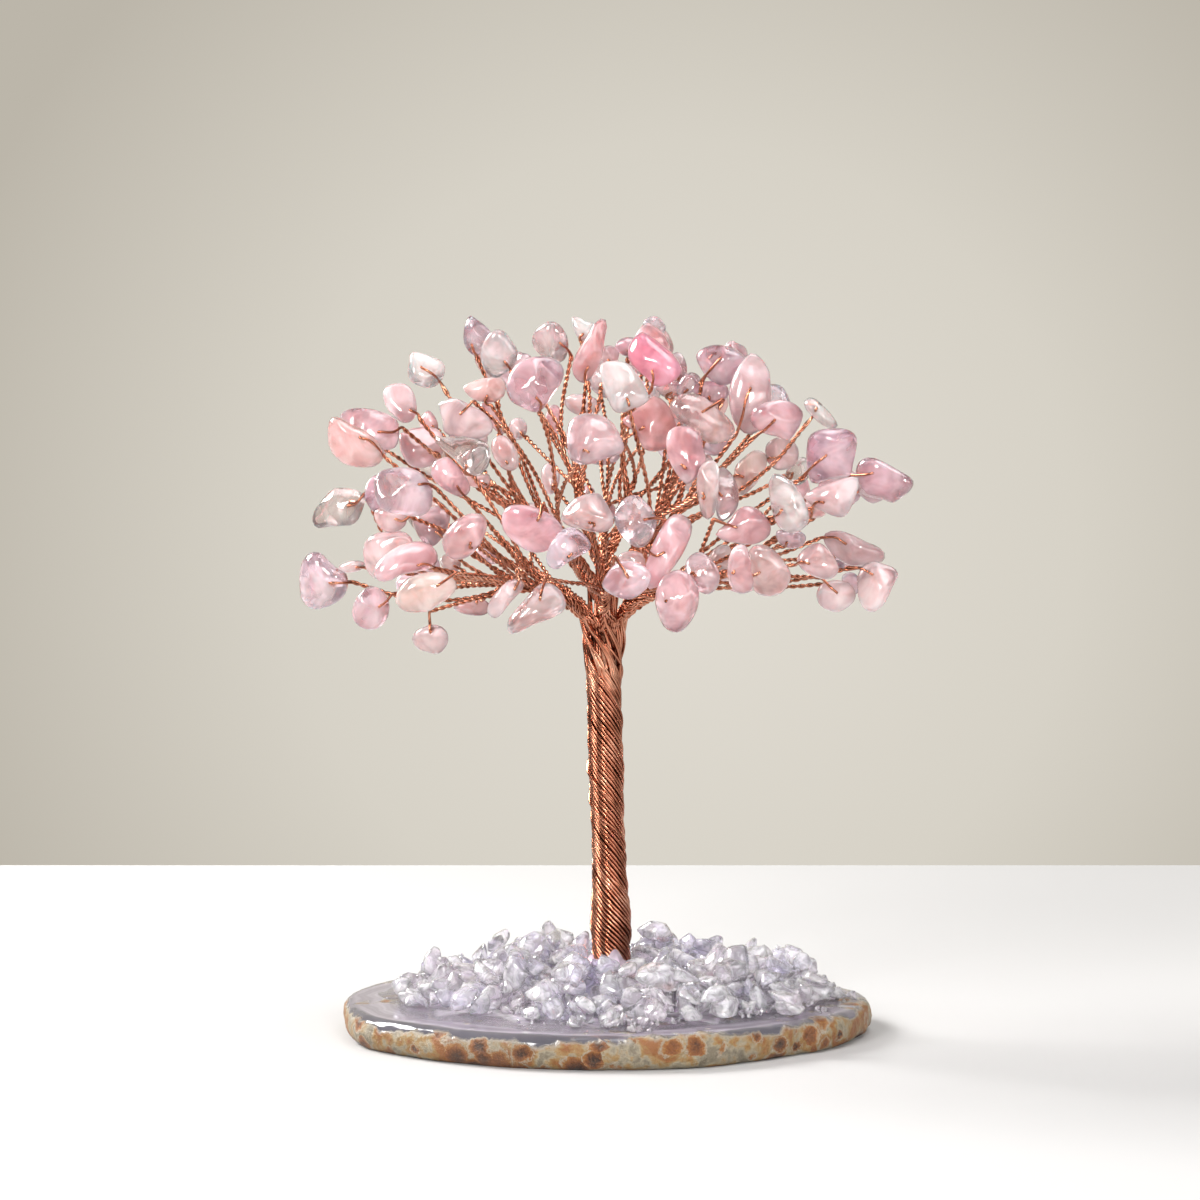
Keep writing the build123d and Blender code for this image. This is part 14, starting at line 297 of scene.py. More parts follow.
     [(-2.42, -2.44), (-0.01, -2.97), (2.76, -1.51), (3.58, 0.32), (3.14, 1.52), (0.8, 2.97), (-2.73, 2.32), (-3.58, 0.48), (-3.41, -0.99)]),
    ('H26', 'back_upper', 'L', (-1.18, 25.38, 113.76), 2.02, 0.105, 0.362, None, 0.7, (-0.79, 11.35, 87.27), (1.08, 15.42, 100.4), (-1.1, 22.67, 108.65),
     [(-3.44, 1.29), (-2.56, -2.42), (-0.08, -4.73), (1.54, -4.73), (3.19, -2.32), (3.44, 0.91), (1.71, 3.75), (-1.07, 4.73), (-2.18, 4.04)]),
    ('H27', 'back_upper', 'M', (7.77, 25.0, 103.61), 2.47, 0.486, 0.075, None, 0.9, (-0.79, 14.01, 90.15), (2.39, 19.65, 96.82), (5.56, 22.16, 100.13),
     [(-3.59, -0.4), (-2.31, -3.19), (-0.27, -3.65), (2.05, -2.8), (3.55, -1.57), (3.59, 1.59), (1.95, 3.55), (-0.91, 3.65), (-2.98, 2.35)]),
    ('H28', 'back_right_low', 'K', (25.32, 20.57, 77.79), 2.07, -0.017, -0.427, None, 1.0, (16.74, 15.88, 77.73), (20.1, 17.97, 77.72), (22.03, 18.77, 77.76),
     [(4.13, 0.33), (4.06, 3.56), (1.88, 3.42), (-1.01, 2.79), (-2.64, 1.56), (-4.13, -2.33), (-2.84, -3.33), (-0.72, -3.56), (3.11, -1.27)]),
    ('H29', 'left_upper', 'S', (-20.14, 16.23, 115.54), 2.27, -0.267, -0.349, None, 0.8, (-13.76, 2.27, 89.13), (-18.74, 7.67, 95.92), (-19.43, 14.66, 112.58),
     [(0.11, 3.47), (-1.49, 3.01), (-3.08, 0.66), (-3.09, -0.71), (-1.16, -3.44), (0.33, -3.47), (2.94, -1.79), (3.09, -0.66), (2.73, 2.28)]),
    ('H30', 'right_upper', 'MG', (13.78, 16.24, 103.95), 1.92, 0.222, -0.197, None, 0.9, (12.76, 2.45, 89.81), (13.0, 7.7, 94.85), (13.62, 14.05, 101.7),
     [(-3.0, -0.42), (-2.67, -2.31), (-1.5, -3.13), (0.59, -2.97), (2.82, -1.04), (3.0, 1.12), (2.39, 2.73), (0.77, 3.13), (-1.92, 2.13)]),
]
LOOSE = {'S29': 'hanging_stone', 'S26': 'left_tip_stone', 'S61': 'right_tip_stone', 'S01': 'upper_left_tip_stone', 'S67': 'lower_right_tip_stone'}

rnd = random.Random(4)


def lin(r, g, b):
    def f(v):
        v /= 255.0
        return v / 12.92 if v <= 0.04045 else ((v + 0.055) / 1.055) ** 2.4
    return (f(r), f(g), f(b), 1.0)


# tint classes of the stones: colour, how clear the stone is
TINTS = {
    "W": ((243, 232, 229), 0.60), "WM": ((230, 206, 210), 0.55), "WG": ((222, 211, 210), 0.30), "L": ((231, 213, 220), 0.50),
    "P": ((233, 190, 190), 0.40), "VP": ((236, 208, 205), 0.45), "K": ((232, 160, 167), 0.36), "S": ((232, 167, 158), 0.36),
    "PP": ((238, 200, 190), 0.42), "D": ((214, 124, 130), 0.32), "M": ((211, 166, 181), 0.44), "DM": ((166, 116, 125), 0.36),
    "G": ((196, 180, 173), 0.72), "GP": ((226, 184, 184), 0.42), "MG": ((212, 172, 182), 0.46), "SG": ((222, 164, 164), 0.40),
    "C": ((228, 216, 219), 0.78), "H": ((233, 106, 138), 0.30), "MC": ((208, 180, 193), 0.64),
}


# ---------------------------------------------------------------- materials
def new_mat(name):
    m = bpy.data.materials.new(name)
    m.use_nodes = True
    nt = m.node_tree
    return m, nt, nt.nodes["Principled BSDF"]


def node(nt, kind, **values):
    n = nt.nodes.new(kind)
    for k, v in values.items():
        if k in n.inputs:
            n.inputs[k].default_value = v
        else:
            setattr(n, k, v)
    return n


def coords(nt, scale=(1000.0, 1000.0, 1000.0)):
    tc = node(nt, "ShaderNodeTexCoord")
    mp = node(nt, "ShaderNodeMapping")
    mp.inputs["Scale"].default_value = scale
    nt.links.new(tc.outputs["Object"], mp.inputs["Vector"])
    return mp.outputs["Vector"]


def noise_tex(nt, vec, scale, detail=4.0, rough=0.55, distort=0.0):
    n = node(nt, "ShaderNodeTexNoise")
    n.inputs["Scale"].default_value = scale
    n.inputs["Detail"].default_value = detail
    n.inputs["Roughness"].default_value = rough
    n.inputs["Distortion"].default_value = distort
    nt.links.new(vec, n.inputs["Vector"])
    return n.outputs["Fac"]


def ramp(nt, fac, stops):
    r = node(nt, "ShaderNodeValToRGB")
    e = r.color_ramp.elements
    while len(e) > len(stops):
        e.remove(e[-1])
    while len(e) < len(stops):
        e.new(0.5)
    for el, (pos, col) in zip(e, stops):
        el.position = pos
        el.color = col if len(col) == 4 else (*col, 1.0)
    nt.links.new(fac, r.inputs["Fac"])
    return r.outputs["Color"]


def mix(nt, fac, a, b, blend="MIX"):
    m = nt.nodes.new("ShaderNodeMix")
    m.data_type = "RGBA"
    m.blend_type = blend
    for sock, v in ((m.inputs[0], fac), (m.inputs[6], a), (m.inputs[7], b)):
        if isinstance(v, (int, float)):
            sock.default_value = v
        elif isinstance(v, tuple):
            sock.default_value = v
        else:
            nt.links.new(v, sock)
    return m.outputs[2]


def maths(nt, op, a, b=0.0, clamp=False):
    m = nt.nodes.new("ShaderNodeMath")
    m.operation = op
    m.use_clamp = clamp
    for sock, v in zip(m.inputs, (a, b)):
        if isinstance(v, (int, float)):
            sock.default_value = v
        else:
            nt.links.new(v, sock)
    return m.outputs[0]


def attr(nt, name):
    a = nt.nodes.new("ShaderNodeAttribute")
    a.attribute_name = name
    return a


def bump(nt, bsdf, height, strength, distance):
    b = nt.nodes.new("ShaderNodeBump")
    b.inputs["Strength"].default_value = strength
    b.inputs["Distance"].default_value = distance
    nt.links.new(height, b.inputs["Height"])
    nt.links.new(b.outputs["Normal"], bsdf.inputs["Normal"])


def rose_material():
    m, nt, b = new_mat("rose_quartz")
    v = coords(nt)
    tint = mix(nt, 0.20, attr(nt, "tint").outputs["Color"], (1.0, 0.93, 0.95, 1.0))
    clear = attr(nt, "clear").outputs["Fac"]
    veil = ramp(nt, noise_tex(nt, v, 0.15, 3.0, 0.5, 0.6), [(0.34, (0, 0, 0)), (0.68, (1, 1, 1))])
    pale = mix(nt, 0.55, tint, (1.0, 0.96, 0.97, 1.0))
    col = mix(nt, maths(nt, "MULTIPLY", veil, 0.55), tint, pale)
    flush = ramp(nt, noise_tex(nt, v, 0.11, 2.0, 0.5, 0.3), [(0.40, (0, 0, 0)), (0.66, (1, 1, 1))])
    col = mix(nt, maths(nt, "MULTIPLY", flush, 0.35), col, mix(nt, 1.0, col, (0.92, 0.66, 0.68, 1.0), "MULTIPLY"))
    specks = ramp(nt, noise_tex(nt, v, 2.2, 2.0, 0.6), [(0.72, (0, 0, 0)), (0.78, (1, 1, 1))])
    col = mix(nt, maths(nt, "MULTIPLY", specks, 0.35), col, (0.30, 0.18, 0.18, 1.0))
    nt.links.new(col, b.inputs["Base Color"])
    b.inputs["Subsurface Weight"].default_value = 0.85
    b.inputs["Subsurface Radius"].default_value = (1.0, 0.62, 0.62)
    b.inputs["Subsurface Scale"].default_value = 0.0045
    b.inputs["IOR"].default_value = 1.54
    tr = maths(nt, "MULTIPLY", maths(nt, "ADD", clear, 0.38), maths(nt, "SUBTRACT", 1.1, maths(nt, "MULTIPLY", veil, 0.5)))
    tr = maths(nt, "MINIMUM", tr, 0.92)
    nt.links.new(tr, b.inputs["Transmission Weight"])
    rg = ramp(nt, noise_tex(nt, v, 0.5, 3.0), [(0.3, (0.07,) * 3), (0.75, (0.16,) * 3)])
    nt.links.new(rg, b.inputs["Roughness"])
    b.inputs["Coat Weight"].default_value = 0.7
    b.inputs["Coat Roughness"].default_value = 0.04
    bump(nt, b, noise_tex(nt, v, 0.55, 3.0, 0.5), 0.08, 0.0005)
    return m


def node_vec(nt, v, scale):
    n = node(nt, "ShaderNodeTexNoise")
    n.inputs["Scale"].default_value = scale
    n.inputs["Detail"].default_value = 2.0
    nt.links.new(v, n.inputs["Vector"])
    return n.outputs["Color"]


def copper_material():
    m, nt, b = new_mat("copper_wire")
    v = coords(nt)
    n1 = noise_tex(nt, v, 0.25, 4.0)
    col = ramp(nt, n1, [(0.32, lin(144, 87, 64)), (0.52, lin(182, 120, 94)), (0.72, lin(220, 166, 138))])
    n2 = noise_tex(nt, v, 1.6, 3.0)
    col = mix(nt, maths(nt, "MULTIPLY", ramp(nt, n2, [(0.55, (0, 0, 0)), (0.75, (1, 1, 1))]), 0.35), col, lin(108, 58, 41))
    nt.links.new(col, b.inputs["Base Color"])
    b.inputs["Metallic"].default_value = 1.0
    nt.links.new(ramp(nt, n1, [(0.2, (0.12,) * 3), (0.8, (0.24,) * 3)]), b.inputs["Roughness"])
    bump(nt, b, noise_tex(nt, v, 3.0, 2.0), 0.10, 0.0001)
    return m


def quartz_material():
    m, nt, b = new_mat("clear_quartz")
    v = coords(nt)
    n1 = noise_tex(nt, v, 0.09, 2.0)
    col = ramp(nt, n1, [(0.34, lin(232, 228, 251)), (0.5, lin(249, 247, 254)), (0.66, lin(250, 241, 251))])
    veil = ramp(nt, noise_tex(nt, v, 0.40, 5.0, 0.6, 1.0), [(0.44, (0, 0, 0)), (0.70, (1, 1, 1))])
    nt.links.new(col, b.inputs["Base Color"])
    nt.links.new(maths(nt, "SUBTRACT", 0.88, maths(nt, "MULTIPLY", veil, 0.42)), b.inputs["Transmission Weight"])
    nt.links.new(ramp(nt, veil, [(0.0, (0.015,) * 3), (1.0, (0.09,) * 3)]), b.inputs["Roughness"])
    b.inputs["IOR"].default_value = 1.36
    b.inputs["Coat Weight"].default_value = 1.0
    b.inputs["Coat Roughness"].default_value = 0.03
    b.inputs["Subsurface Weight"].default_value = 0.9
    b.inputs["Subsurface Radius"].default_value = (1.0, 0.95, 1.0)
    b.inputs["Subsurface Scale"].default_value = 0.0025
    bump(nt, b, noise_tex(nt, v, 0.4, 2.0, 0.5, 0.4), 0.08, 0.0005)
    return m


def glue_material():
    m, nt, b = new_mat("clear_glue")
    v = coords(nt)
    n1 = noise_tex(nt, v, 0.2, 4.0)
    flat = coords(nt, (1000.0 / 38.8, 1000.0 / 31.9, 0.0))
    ln = node(nt, "ShaderNodeVectorMath", operation="LENGTH")
    nt.links.new(flat, ln.inputs[0])
    milk = ramp(nt, n1, [(0.3, lin(234, 228, 240)), (0.7, lin(247, 241, 246))])
    rosy = ramp(nt, ln.outputs["Value"], [(0.13, (1, 1, 1)), (0.26, (0, 0, 0))])
    nt.links.new(mix(nt, maths(nt, "MULTIPLY", rosy, 0.8), milk, lin(226, 196, 220)), b.inputs["Base Color"])
    film = ramp(nt, maths(nt, "ADD", ln.outputs["Value"], maths(nt, "MULTIPLY", maths(nt, "SUBTRACT", n1, 0.5), 0.5)), [(0.66, (0.15,) * 3), (0.92, (0.9,) * 3)])
    nt.links.new(film, b.inputs["Transmission Weight"])
    b.inputs["Subsurface Weight"].default_value = 0.6
    b.inputs["Subsurface Radius"].default_value = (1.0, 0.9, 1.0)
    b.inputs["Subsurface Scale"].default_value = 0.002
    b.inputs["IOR"].default_value = 1.46
    nt.links.new(ramp(nt, n1, [(0.2, (0.03,) * 3), (0.9, (0.16,) * 3)]), b.inputs["Roughness"])
    bump(nt, b, noise_tex(nt, v, 0.5, 4.0), 0.4, 0.0006)
    return m


def agate_material():
    m, nt, b = new_mat("agate")
    v = coords(nt)
    edge = attr(nt, "edge").outputs["Fac"]      # mm in from the rim along the top
    rim = attr(nt, "rim").outputs["Fac"]        # grows from the top edge down the rim
    wob = noise_tex(nt, v, 0.06, 3.0)
    d = maths(nt, "ADD", edge, maths(nt, "MULTIPLY", wob, 9.0))
    bands = maths(nt, "SINE", maths(nt, "MULTIPLY", d, 1.5))
    fine = maths(nt, "SINE", maths(nt, "MULTIPLY", d, 6.1))
    band = maths(nt, "ADD", maths(nt, "MULTIPLY", bands, 0.26), maths(nt, "MULTIPLY", fine, 0.10))
    band = maths(nt, "ADD", band, 0.5, True)
    top = ramp(nt, band, [(0.0, lin(112, 106, 115)), (0.45, lin(132, 125, 135)), (0.8, lin(147, 140, 150)), (1.0, lin(166, 160, 167))])
    near = ramp(nt, maths(nt, "ADD", maths(nt, "MULTIPLY", edge, 0.3), maths(nt, "MULTIPLY", wob, 1.1)), [(0.60, (1, 1, 1)), (0.84, (0, 0, 0))])
    top = mix(nt, maths(nt, "MULTIPLY", near, 0.8), top, lin(70, 70, 76))
    # rind: stained cream crust with rust eyes, each in a pale ring
    fineN = noise_tex(nt, v, 0.9, 5.0, 0.65)
    grain = noise_tex(nt, v, 3.2, 3.0, 0.7)
    vd = mix(nt, 0.9, v, node_vec(nt, v, 0.4), "ADD")
    vd = mix(nt, 0.35, vd, node_vec(nt, v, 1.6), "ADD")
    vo = node(nt, "ShaderNodeTexVoronoi")
    vo.inputs["Scale"].default_value = 0.255
    nt.links.new(vd, vo.inputs["Vector"])
    sep = node(nt, "ShaderNodeSeparateColor")
    nt.links.new(vo.outputs["Color"], sep.inputs["Color"])
    dist = maths(nt, "ADD", vo.outputs["Distance"], maths(nt, "ADD", maths(nt, "MULTIPLY", maths(nt, "SUBTRACT", fineN, 0.5), 0.55), maths(nt, "MULTIPLY", maths(nt, "SUBTRACT", grain, 0.5), 0.28)))
    eye = maths(nt, "DIVIDE", dist, maths(nt, "ADD", maths(nt, "MULTIPLY", sep.outputs["Red"], 0.50), 0.20))
    eye = maths(nt, "ADD", eye, maths(nt, "MULTIPLY", maths(nt, "LESS_THAN", sep.outputs["Green"], 0.18), 2.0))
    eye = maths(nt, "ADD", eye, maths(nt, "MULTIPLY", maths(nt, "SUBTRACT", 1.1, rim), 0.25))
    eye = maths(nt, "MULTIPLY", eye, 0.57)
    crust = ramp(nt, noise_tex(nt, v, 0.22, 4.0, 0.6, 0.4), [(0.38, lin(114, 104, 86)), (0.45, lin(146, 136, 115)), (0.51, lin(142, 112, 66)), (0.60, lin(130, 80, 34))])
    crust = mix(nt, maths(nt, "MULTIPLY", ramp(nt, grain, [(0.58, (0, 0, 0)), (0.72, (1, 1, 1))]), 0.35), crust, lin(84, 58, 36))
    rust = ramp(nt, eye, [(0.08, lin(54, 38, 30)), (0.22, lin(84, 50, 30)), (0.40, lin(128, 76, 36)), (0.49, lin(150, 104, 52)), (0.56, lin(160, 150, 134))])
    rust = mix(nt, maths(nt, "MULTIPLY", ramp(nt, grain, [(0.50, (0, 0, 0)), (0.62, (1, 1, 1))]), 0.45), rust, mix(nt, 0.5, rust, lin(160, 108, 62)))
    rind = mix(nt, ramp(nt, eye, [(0.57, (1, 1, 1)), (0.66, (0, 0, 0))]), crust, rust)
    greyish = ramp(nt, noise_tex(nt, v, 0.12, 3.0), [(0.5, (0, 0, 0)), (0.7, (1, 1, 1))])
    rind = mix(nt, maths(nt, "MULTIPLY", greyish, 0.35), rind, lin(108, 99, 86))
    n2 = noise_tex(nt, v, 0.075, 2.0, 0.5, 0.2)
    n3 = noise_tex(nt, v, 0.42, 3.0, 0.55, 0.3)
    q = maths(nt, "ADD", rim, maths(nt, "MULTIPLY", maths(nt, "SUBTRACT", n2, 0.47), 1.9))
    q = maths(nt, "ADD", q, maths(nt, "MULTIPLY", maths(nt, "SUBTRACT", n3, 0.5), 0.9))
    q = maths(nt, "ADD", q, maths(nt, "MULTIPLY", ramp(nt, eye, [(0.48, (1, 1, 1)), (0.68, (0, 0, 0))]), 0.24))
    rm = ramp(nt, q, [(0.37, (0, 0, 0)), (0.50, (1, 1, 1))])
    frost = ramp(nt, q, [(0.30, (0, 0, 0)), (0.44, (1, 1, 1)), (0.50, (1, 1, 1)), (0.66, (0, 0, 0))])
    body = mix(nt, rm, top, rind)
    body = mix(nt, maths(nt, "MULTIPLY", frost, 0.65), body, lin(156, 150, 141))
    nt.links.new(body, b.inputs["Base Color"])
    nt.links.new(ramp(nt, rm, [(0.0, (0.09,) * 3), (1.0, (0.42,) * 3)]), b.inputs["Roughness"])
    b.inputs["Subsurface Weight"].default_value = 0.3
    b.inputs["Subsurface Radius"].default_value = (1.0, 0.85, 0.8)
    b.inputs["Subsurface Scale"].default_value = 0.0012
    b.inputs["IOR"].default_value = 1.54
    h = maths(nt, "MULTIPLY", maths(nt, "ADD", fineN, maths(nt, "MULTIPLY", maths(nt, "MINIMUM", eye, 0.6), 2.0)), rm)
    bump(nt, b, h, 0.7, 0.0010)
    return m


# painted shade: near-black copper for the rope's heart, standing in for the shadow that falls between the strands
def shade_material():
    m, nt, b = new_mat("painted_shade_copper")
    v = coords(nt)
    nt.links.new(ramp(nt, noise_tex(nt, v, 0.6, 3.0), [(0.3, lin(34, 17, 12)), (0.7, lin(58, 30, 20))]), b.inputs["Base Color"])
    b.inputs["Metallic"].default_value = 1.0
    b.inputs["Roughness"].default_value = 0.55
    return m


SHADE = shade_material()
ROSE, COPPER, QUARTZ, GLUE, AGATE = rose_material(), copper_material(), quartz_material(), glue_material(), agate_material()


# ---------------------------------------------------------------- geometry helpers (mm)
def make(name, verts, faces, mat, body, nodes, smooth=True):
    me = bpy.data.meshes.new(name)
    me.from_pydata([(x * MM, y * MM, z * MM) for x, y, z in verts], [], faces)
    me.materials.append(mat)
    if smooth:
        me.shade_smooth()
    o = bpy.data.objects.new(name, me)
    bpy.context.scene.collection.objects.link(o)
    if nodes:
        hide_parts(*nodes)
    if body:
        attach(o, body)
    return o


def spline(points, step):
    """Smooth line through the points, at even steps."""
    p = [Vector(q) for q in points]
    p = [p[0] * 2 - p[1]] + p + [p[-1] * 2 - p[-2]]
    fine = []
    for i in range(1, len(p) - 2):
        a, b, c, d = p[i - 1:i + 3]
        n = max(4, int((c - b).length / (step * 0.5)))
        for k in range(n):
            t = k / n
            fine.append(0.5 * (2 * b + (c - a) * t + (2 * a - 5 * b + 4 * c - d) * t * t + (3 * b - a - 3 * c + d) * t ** 3))
    fine.append(p[-2])
    out, run = [fine[0]], 0.0
    for a, b in zip(fine, fine[1:]):
        run += (b - a).length
        if run >= step:
            out.append(b)
            run = 0.0
    if (out[-1] - fine[-1]).length > step * 0.3:
        out.append(fine[-1])
    return out


def frames(pts):
    """A steady frame along a line."""
    out = []
    t0 = (pts[1] - pts[0]).normalized()
    n = t0.orthogonal().normalized()
    for i, p in enumerate(pts):
        t = (pts[min(i + 1, len(pts) - 1)] - pts[max(i - 1, 0)]).normalized()
        n = (n - t * n.dot(t)).normalized()
        out.append((p, n, t.cross(n)))
    return out


def tube(V, F, pts, r, sides=6):
    fr = frames(pts)
    base = len(V)
    for p, n, b in fr:
        for k in range(sides):
            a = 2 * math.pi * k / sides
            V.append(tuple(p + n * (r * math.cos(a)) + b * (r * math.sin(a))))
    for i in range(len(pts) - 1):
        for k in range(sides):
            j = (k + 1) % sides
            F.append((base + i * sides + k, base + i * sides + j, base + (i + 1) * sides + j, base + (i + 1) * sides + k))
    F.append(tuple(base + k for k in range(sides))[::-1])
    F.append(tuple(base + (len(pts) - 1) * sides + k for k in range(sides)))


def twisted(V, F, pts, pitch=2.5, r=0.205, off=0.205, phase=0.0):
    """A twisted pair along a line; returns the two strands' last points."""
    fr = frames(pts)
    ends = []
    for k in (0, 1):
        run, line = 0.0, []
        for i, (p, n, b) in enumerate(fr):
            if i:
                run += (p - fr[i - 1][0]).length
            a = phase + math.pi * k + 2 * math.pi * run / pitch
            line.append(p + n * (off * math.cos(a)) + b * (off * math.sin(a)))
        tube(V, F, line, r)
        ends.append(line[-1])
    return ends


def trunk_at(z):
    """Middle x and radius of the trunk rope at a height."""
    T = [(5.6, 0.6, 3.2), (13.0, 0.6, 3.2), (28.0, 0.2, 2.95), (46.0, -0.4, 2.95), (62.0, -0.8, 3.1), (69.0, -0.8, 3.2), (74.0, -0.8, 2.3), (78.0, -0.8, 1.4), (82.0, -0.8, 0.8)]
    for (z0, x0, r0), (z1, x1, r1) in zip(T, T[1:]):
        if z <= z1:
            t = max(0.0, (z - z0) / (z1 - z0))
            return x0 + (x1 - x0) * t, r0 + (r1 - r0) * t
    return T[-1][1], T[-1][2]


# ---------------------------------------------------------------- stones
def hull_planes(c, half, sx, sz, outline):
    """Support radius of the outline in a direction, used to keep wires on the surface."""
    def radius(dx, dz):
        best = 1e9
        n = len(outline)
        for i in range(n):
            (x0, z0), (x1, z1) = outline[i], outline[(i + 1) % n]
            ex, ez = x1 - x0, z1 - z0
            den = dx * ez - dz * ex
            if abs(den) < 1e-9:
                continue
            t = (x0 * ez - z0 * ex) / den
            u = (x0 * dz - z0 * dx) / den
            if t > 0 and -0.001 <= u <= 1.001:
                best = min(best, t)
        return best if best < 1e8 else 4.0
    return radius


PROFILE = 0.82


def half_depth(q, half):
    """Half thickness at a share q of the way from the middle to the outline."""
    q = min(max(q, 0.0), 1.0)
    return half * (1 - q ** (2 / PROFILE)) ** 0.5


def stone_mesh(c, half, sx, sz, outline, seed):
    R = random.Random(seed)
    na, nl = 40, 17
    n = len(outline)
    # smooth closed outline by angle
    pts = [Vector((x, z, 0)) for x, z in outline]
    fine = []
    for i in range(n):
        a, b, d, e = pts[i - 1], pts[i], pts[(i + 1) % n], pts[(i + 2) % n]
        for k in range(8):
            t = k / 8
            fine.append(0.5 * (2 * b + (d - a) * t + (2 * a - 5 * b + 4 * d - e) * t * t + (3 * b - a - 3 * d + e) * t ** 3))
    ang = sorted((math.atan2(p.y, p.x), p.length) for p in fine)
    def rad(a):
        a = (a + math.pi) % (2 * math.pi) - math.pi
        for (a0, r0), (a1, r1) in zip(ang, ang[1:]):
            if a0 <= a <= a1:
                return r0 + (r1 - r0) * (a - a0) / max(1e-9, a1 - a0)
        (a0, r0), (a1, r1) = ang[-1], (ang[0][0] + 2 * math.pi, ang[0][1])
        if a < a0:
            a += 2 * math.pi
        return r0 + (r1 - r0) * (a - a0) / max(1e-9, a1 - a0)
    size = max(max(abs(x), abs(z)) for x, z in outline)
    cuts = []
    for k in range(R.randint(3, 5)):
        d = Vector((R.uniform(-1, 1), R.choice((-1, 1)) * R.uniform(0.5, 1.3), R.uniform(-1, 1))).normalized()
        cuts.append((d, R.uniform(0.72, 0.95)))
    off = Vector((R.uniform(-50, 50), R.uniform(-50, 50), R.uniform(-50, 50)))
    V, F = [], []
    for l in range(nl):
        ph = -math.pi / 2 + math.pi * l / (nl - 1)
        cs, sn = max(0.0, math.cos(ph)) ** PROFILE, math.sin(ph)
        if l in (0, nl - 1):
            ring = [(0.0, sn * half, 0.0)]
        else:
            ring = []
            for k in range(na):
                a = 2 * math.pi * k / na
                r = rad(a) * cs
                ring.append((r * math.cos(a), sn * half, r * math.sin(a)))
        for p in ring:
            p = Vector(p)
            for d, share in cuts:
                s = p.x * d.x + p.y * d.y + p.z * d.z - share * (abs(d.y) * half + (1 - abs(d.y)) * size * 0.8)
                if s > 0:
                    keep = abs(p.y) / half
                    p = p - d * (s * 0.75 * min(1.0, keep * 1.6))
            w = noise.noise((p + off) * 0.26) * 0.26
            k = abs(sn)
            p = p + Vector((0, (1 if sn >= 0 else -1) * w * k, 0))
            V.append((c[0] + p.x, c[1] + p.y + sx * p.x + sz * p.z, c[2] + p.z))
    def idx(l, k):
        if l == 0:
            return 0
        if l == nl - 1:
            return 1 + (nl - 2) * na
        return 1 + (l - 1) * na + k % na
    for l in range(nl - 1):
        for k in range(na):
            if l == 0:
                F.append((idx(0, 0), idx(1, k + 1), idx(1, k)))
            elif l == nl - 2:
                F.append((idx(l, k), idx(l, k + 1), idx(nl - 1, 0)))
            else:
                F.append((idx(l, k), idx(l, k + 1), idx(l + 1, k + 1), idx(l + 1, k)))
    return V, [f[::-1] for f in F]


def stone_object(name, items, body, nodes):
    V, F, tints, clears = [], [], [], []
    for s in items:
        sid, limb, tint, c, half, sx, sz, hook, along, A, M, e, outline = s
        v, f = stone_mesh(c, half, sx, sz, outline, sid)
        base = len(V)
        V += v
        F += [tuple(i + base for i in q) for q in f]
        R = random.Random(sid + "t")
        col, clear = TINTS[tint]
        g = R.uniform(0.96, 1.05)
        col = lin(*[min(255, max(0, (x * 0.74 + y * 0.26) * g + R.uniform(-5, 5))) for x, y in zip(col, (242, 220, 224))])
        tints += [col] * len(v)
        clears += [min(1.0, clear * R.uniform(0.8, 1.2))] * len(v)
    o = make(name, V, F, ROSE, None, nodes)
    at = o.data.attributes.new("tint", "FLOAT_COLOR", "POINT")
    at.data.foreach_set("color", [x for t in tints for x in t])
    at = o.data.attributes.new("clear", "FLOAT", "POINT")
    at.data.foreach_set("value", clears)
    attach(o, body)
    return o


by_limb = {n: [s for s in STONES if s[1] == n] for n in LIMBS}
for limb, items in by_limb.items():
    stone_object(f"{limb}_pebbles", [s for s in items if s[0] not in LOOSE], limb, [f"{limb}_stones"])
for s in STONES:
    if s[0] in LOOSE:
        stone_object(f"{LOOSE[s[0]]}_pebble", [s], LOOSE[s[0]], [LOOSE[s[0]]])


# ---------------------------------------------------------------- wires of the limbs
def quad(a, b, c, t):
    return a * (1 - t) ** 2 + b * (2 * t * (1 - t)) + c * t * t


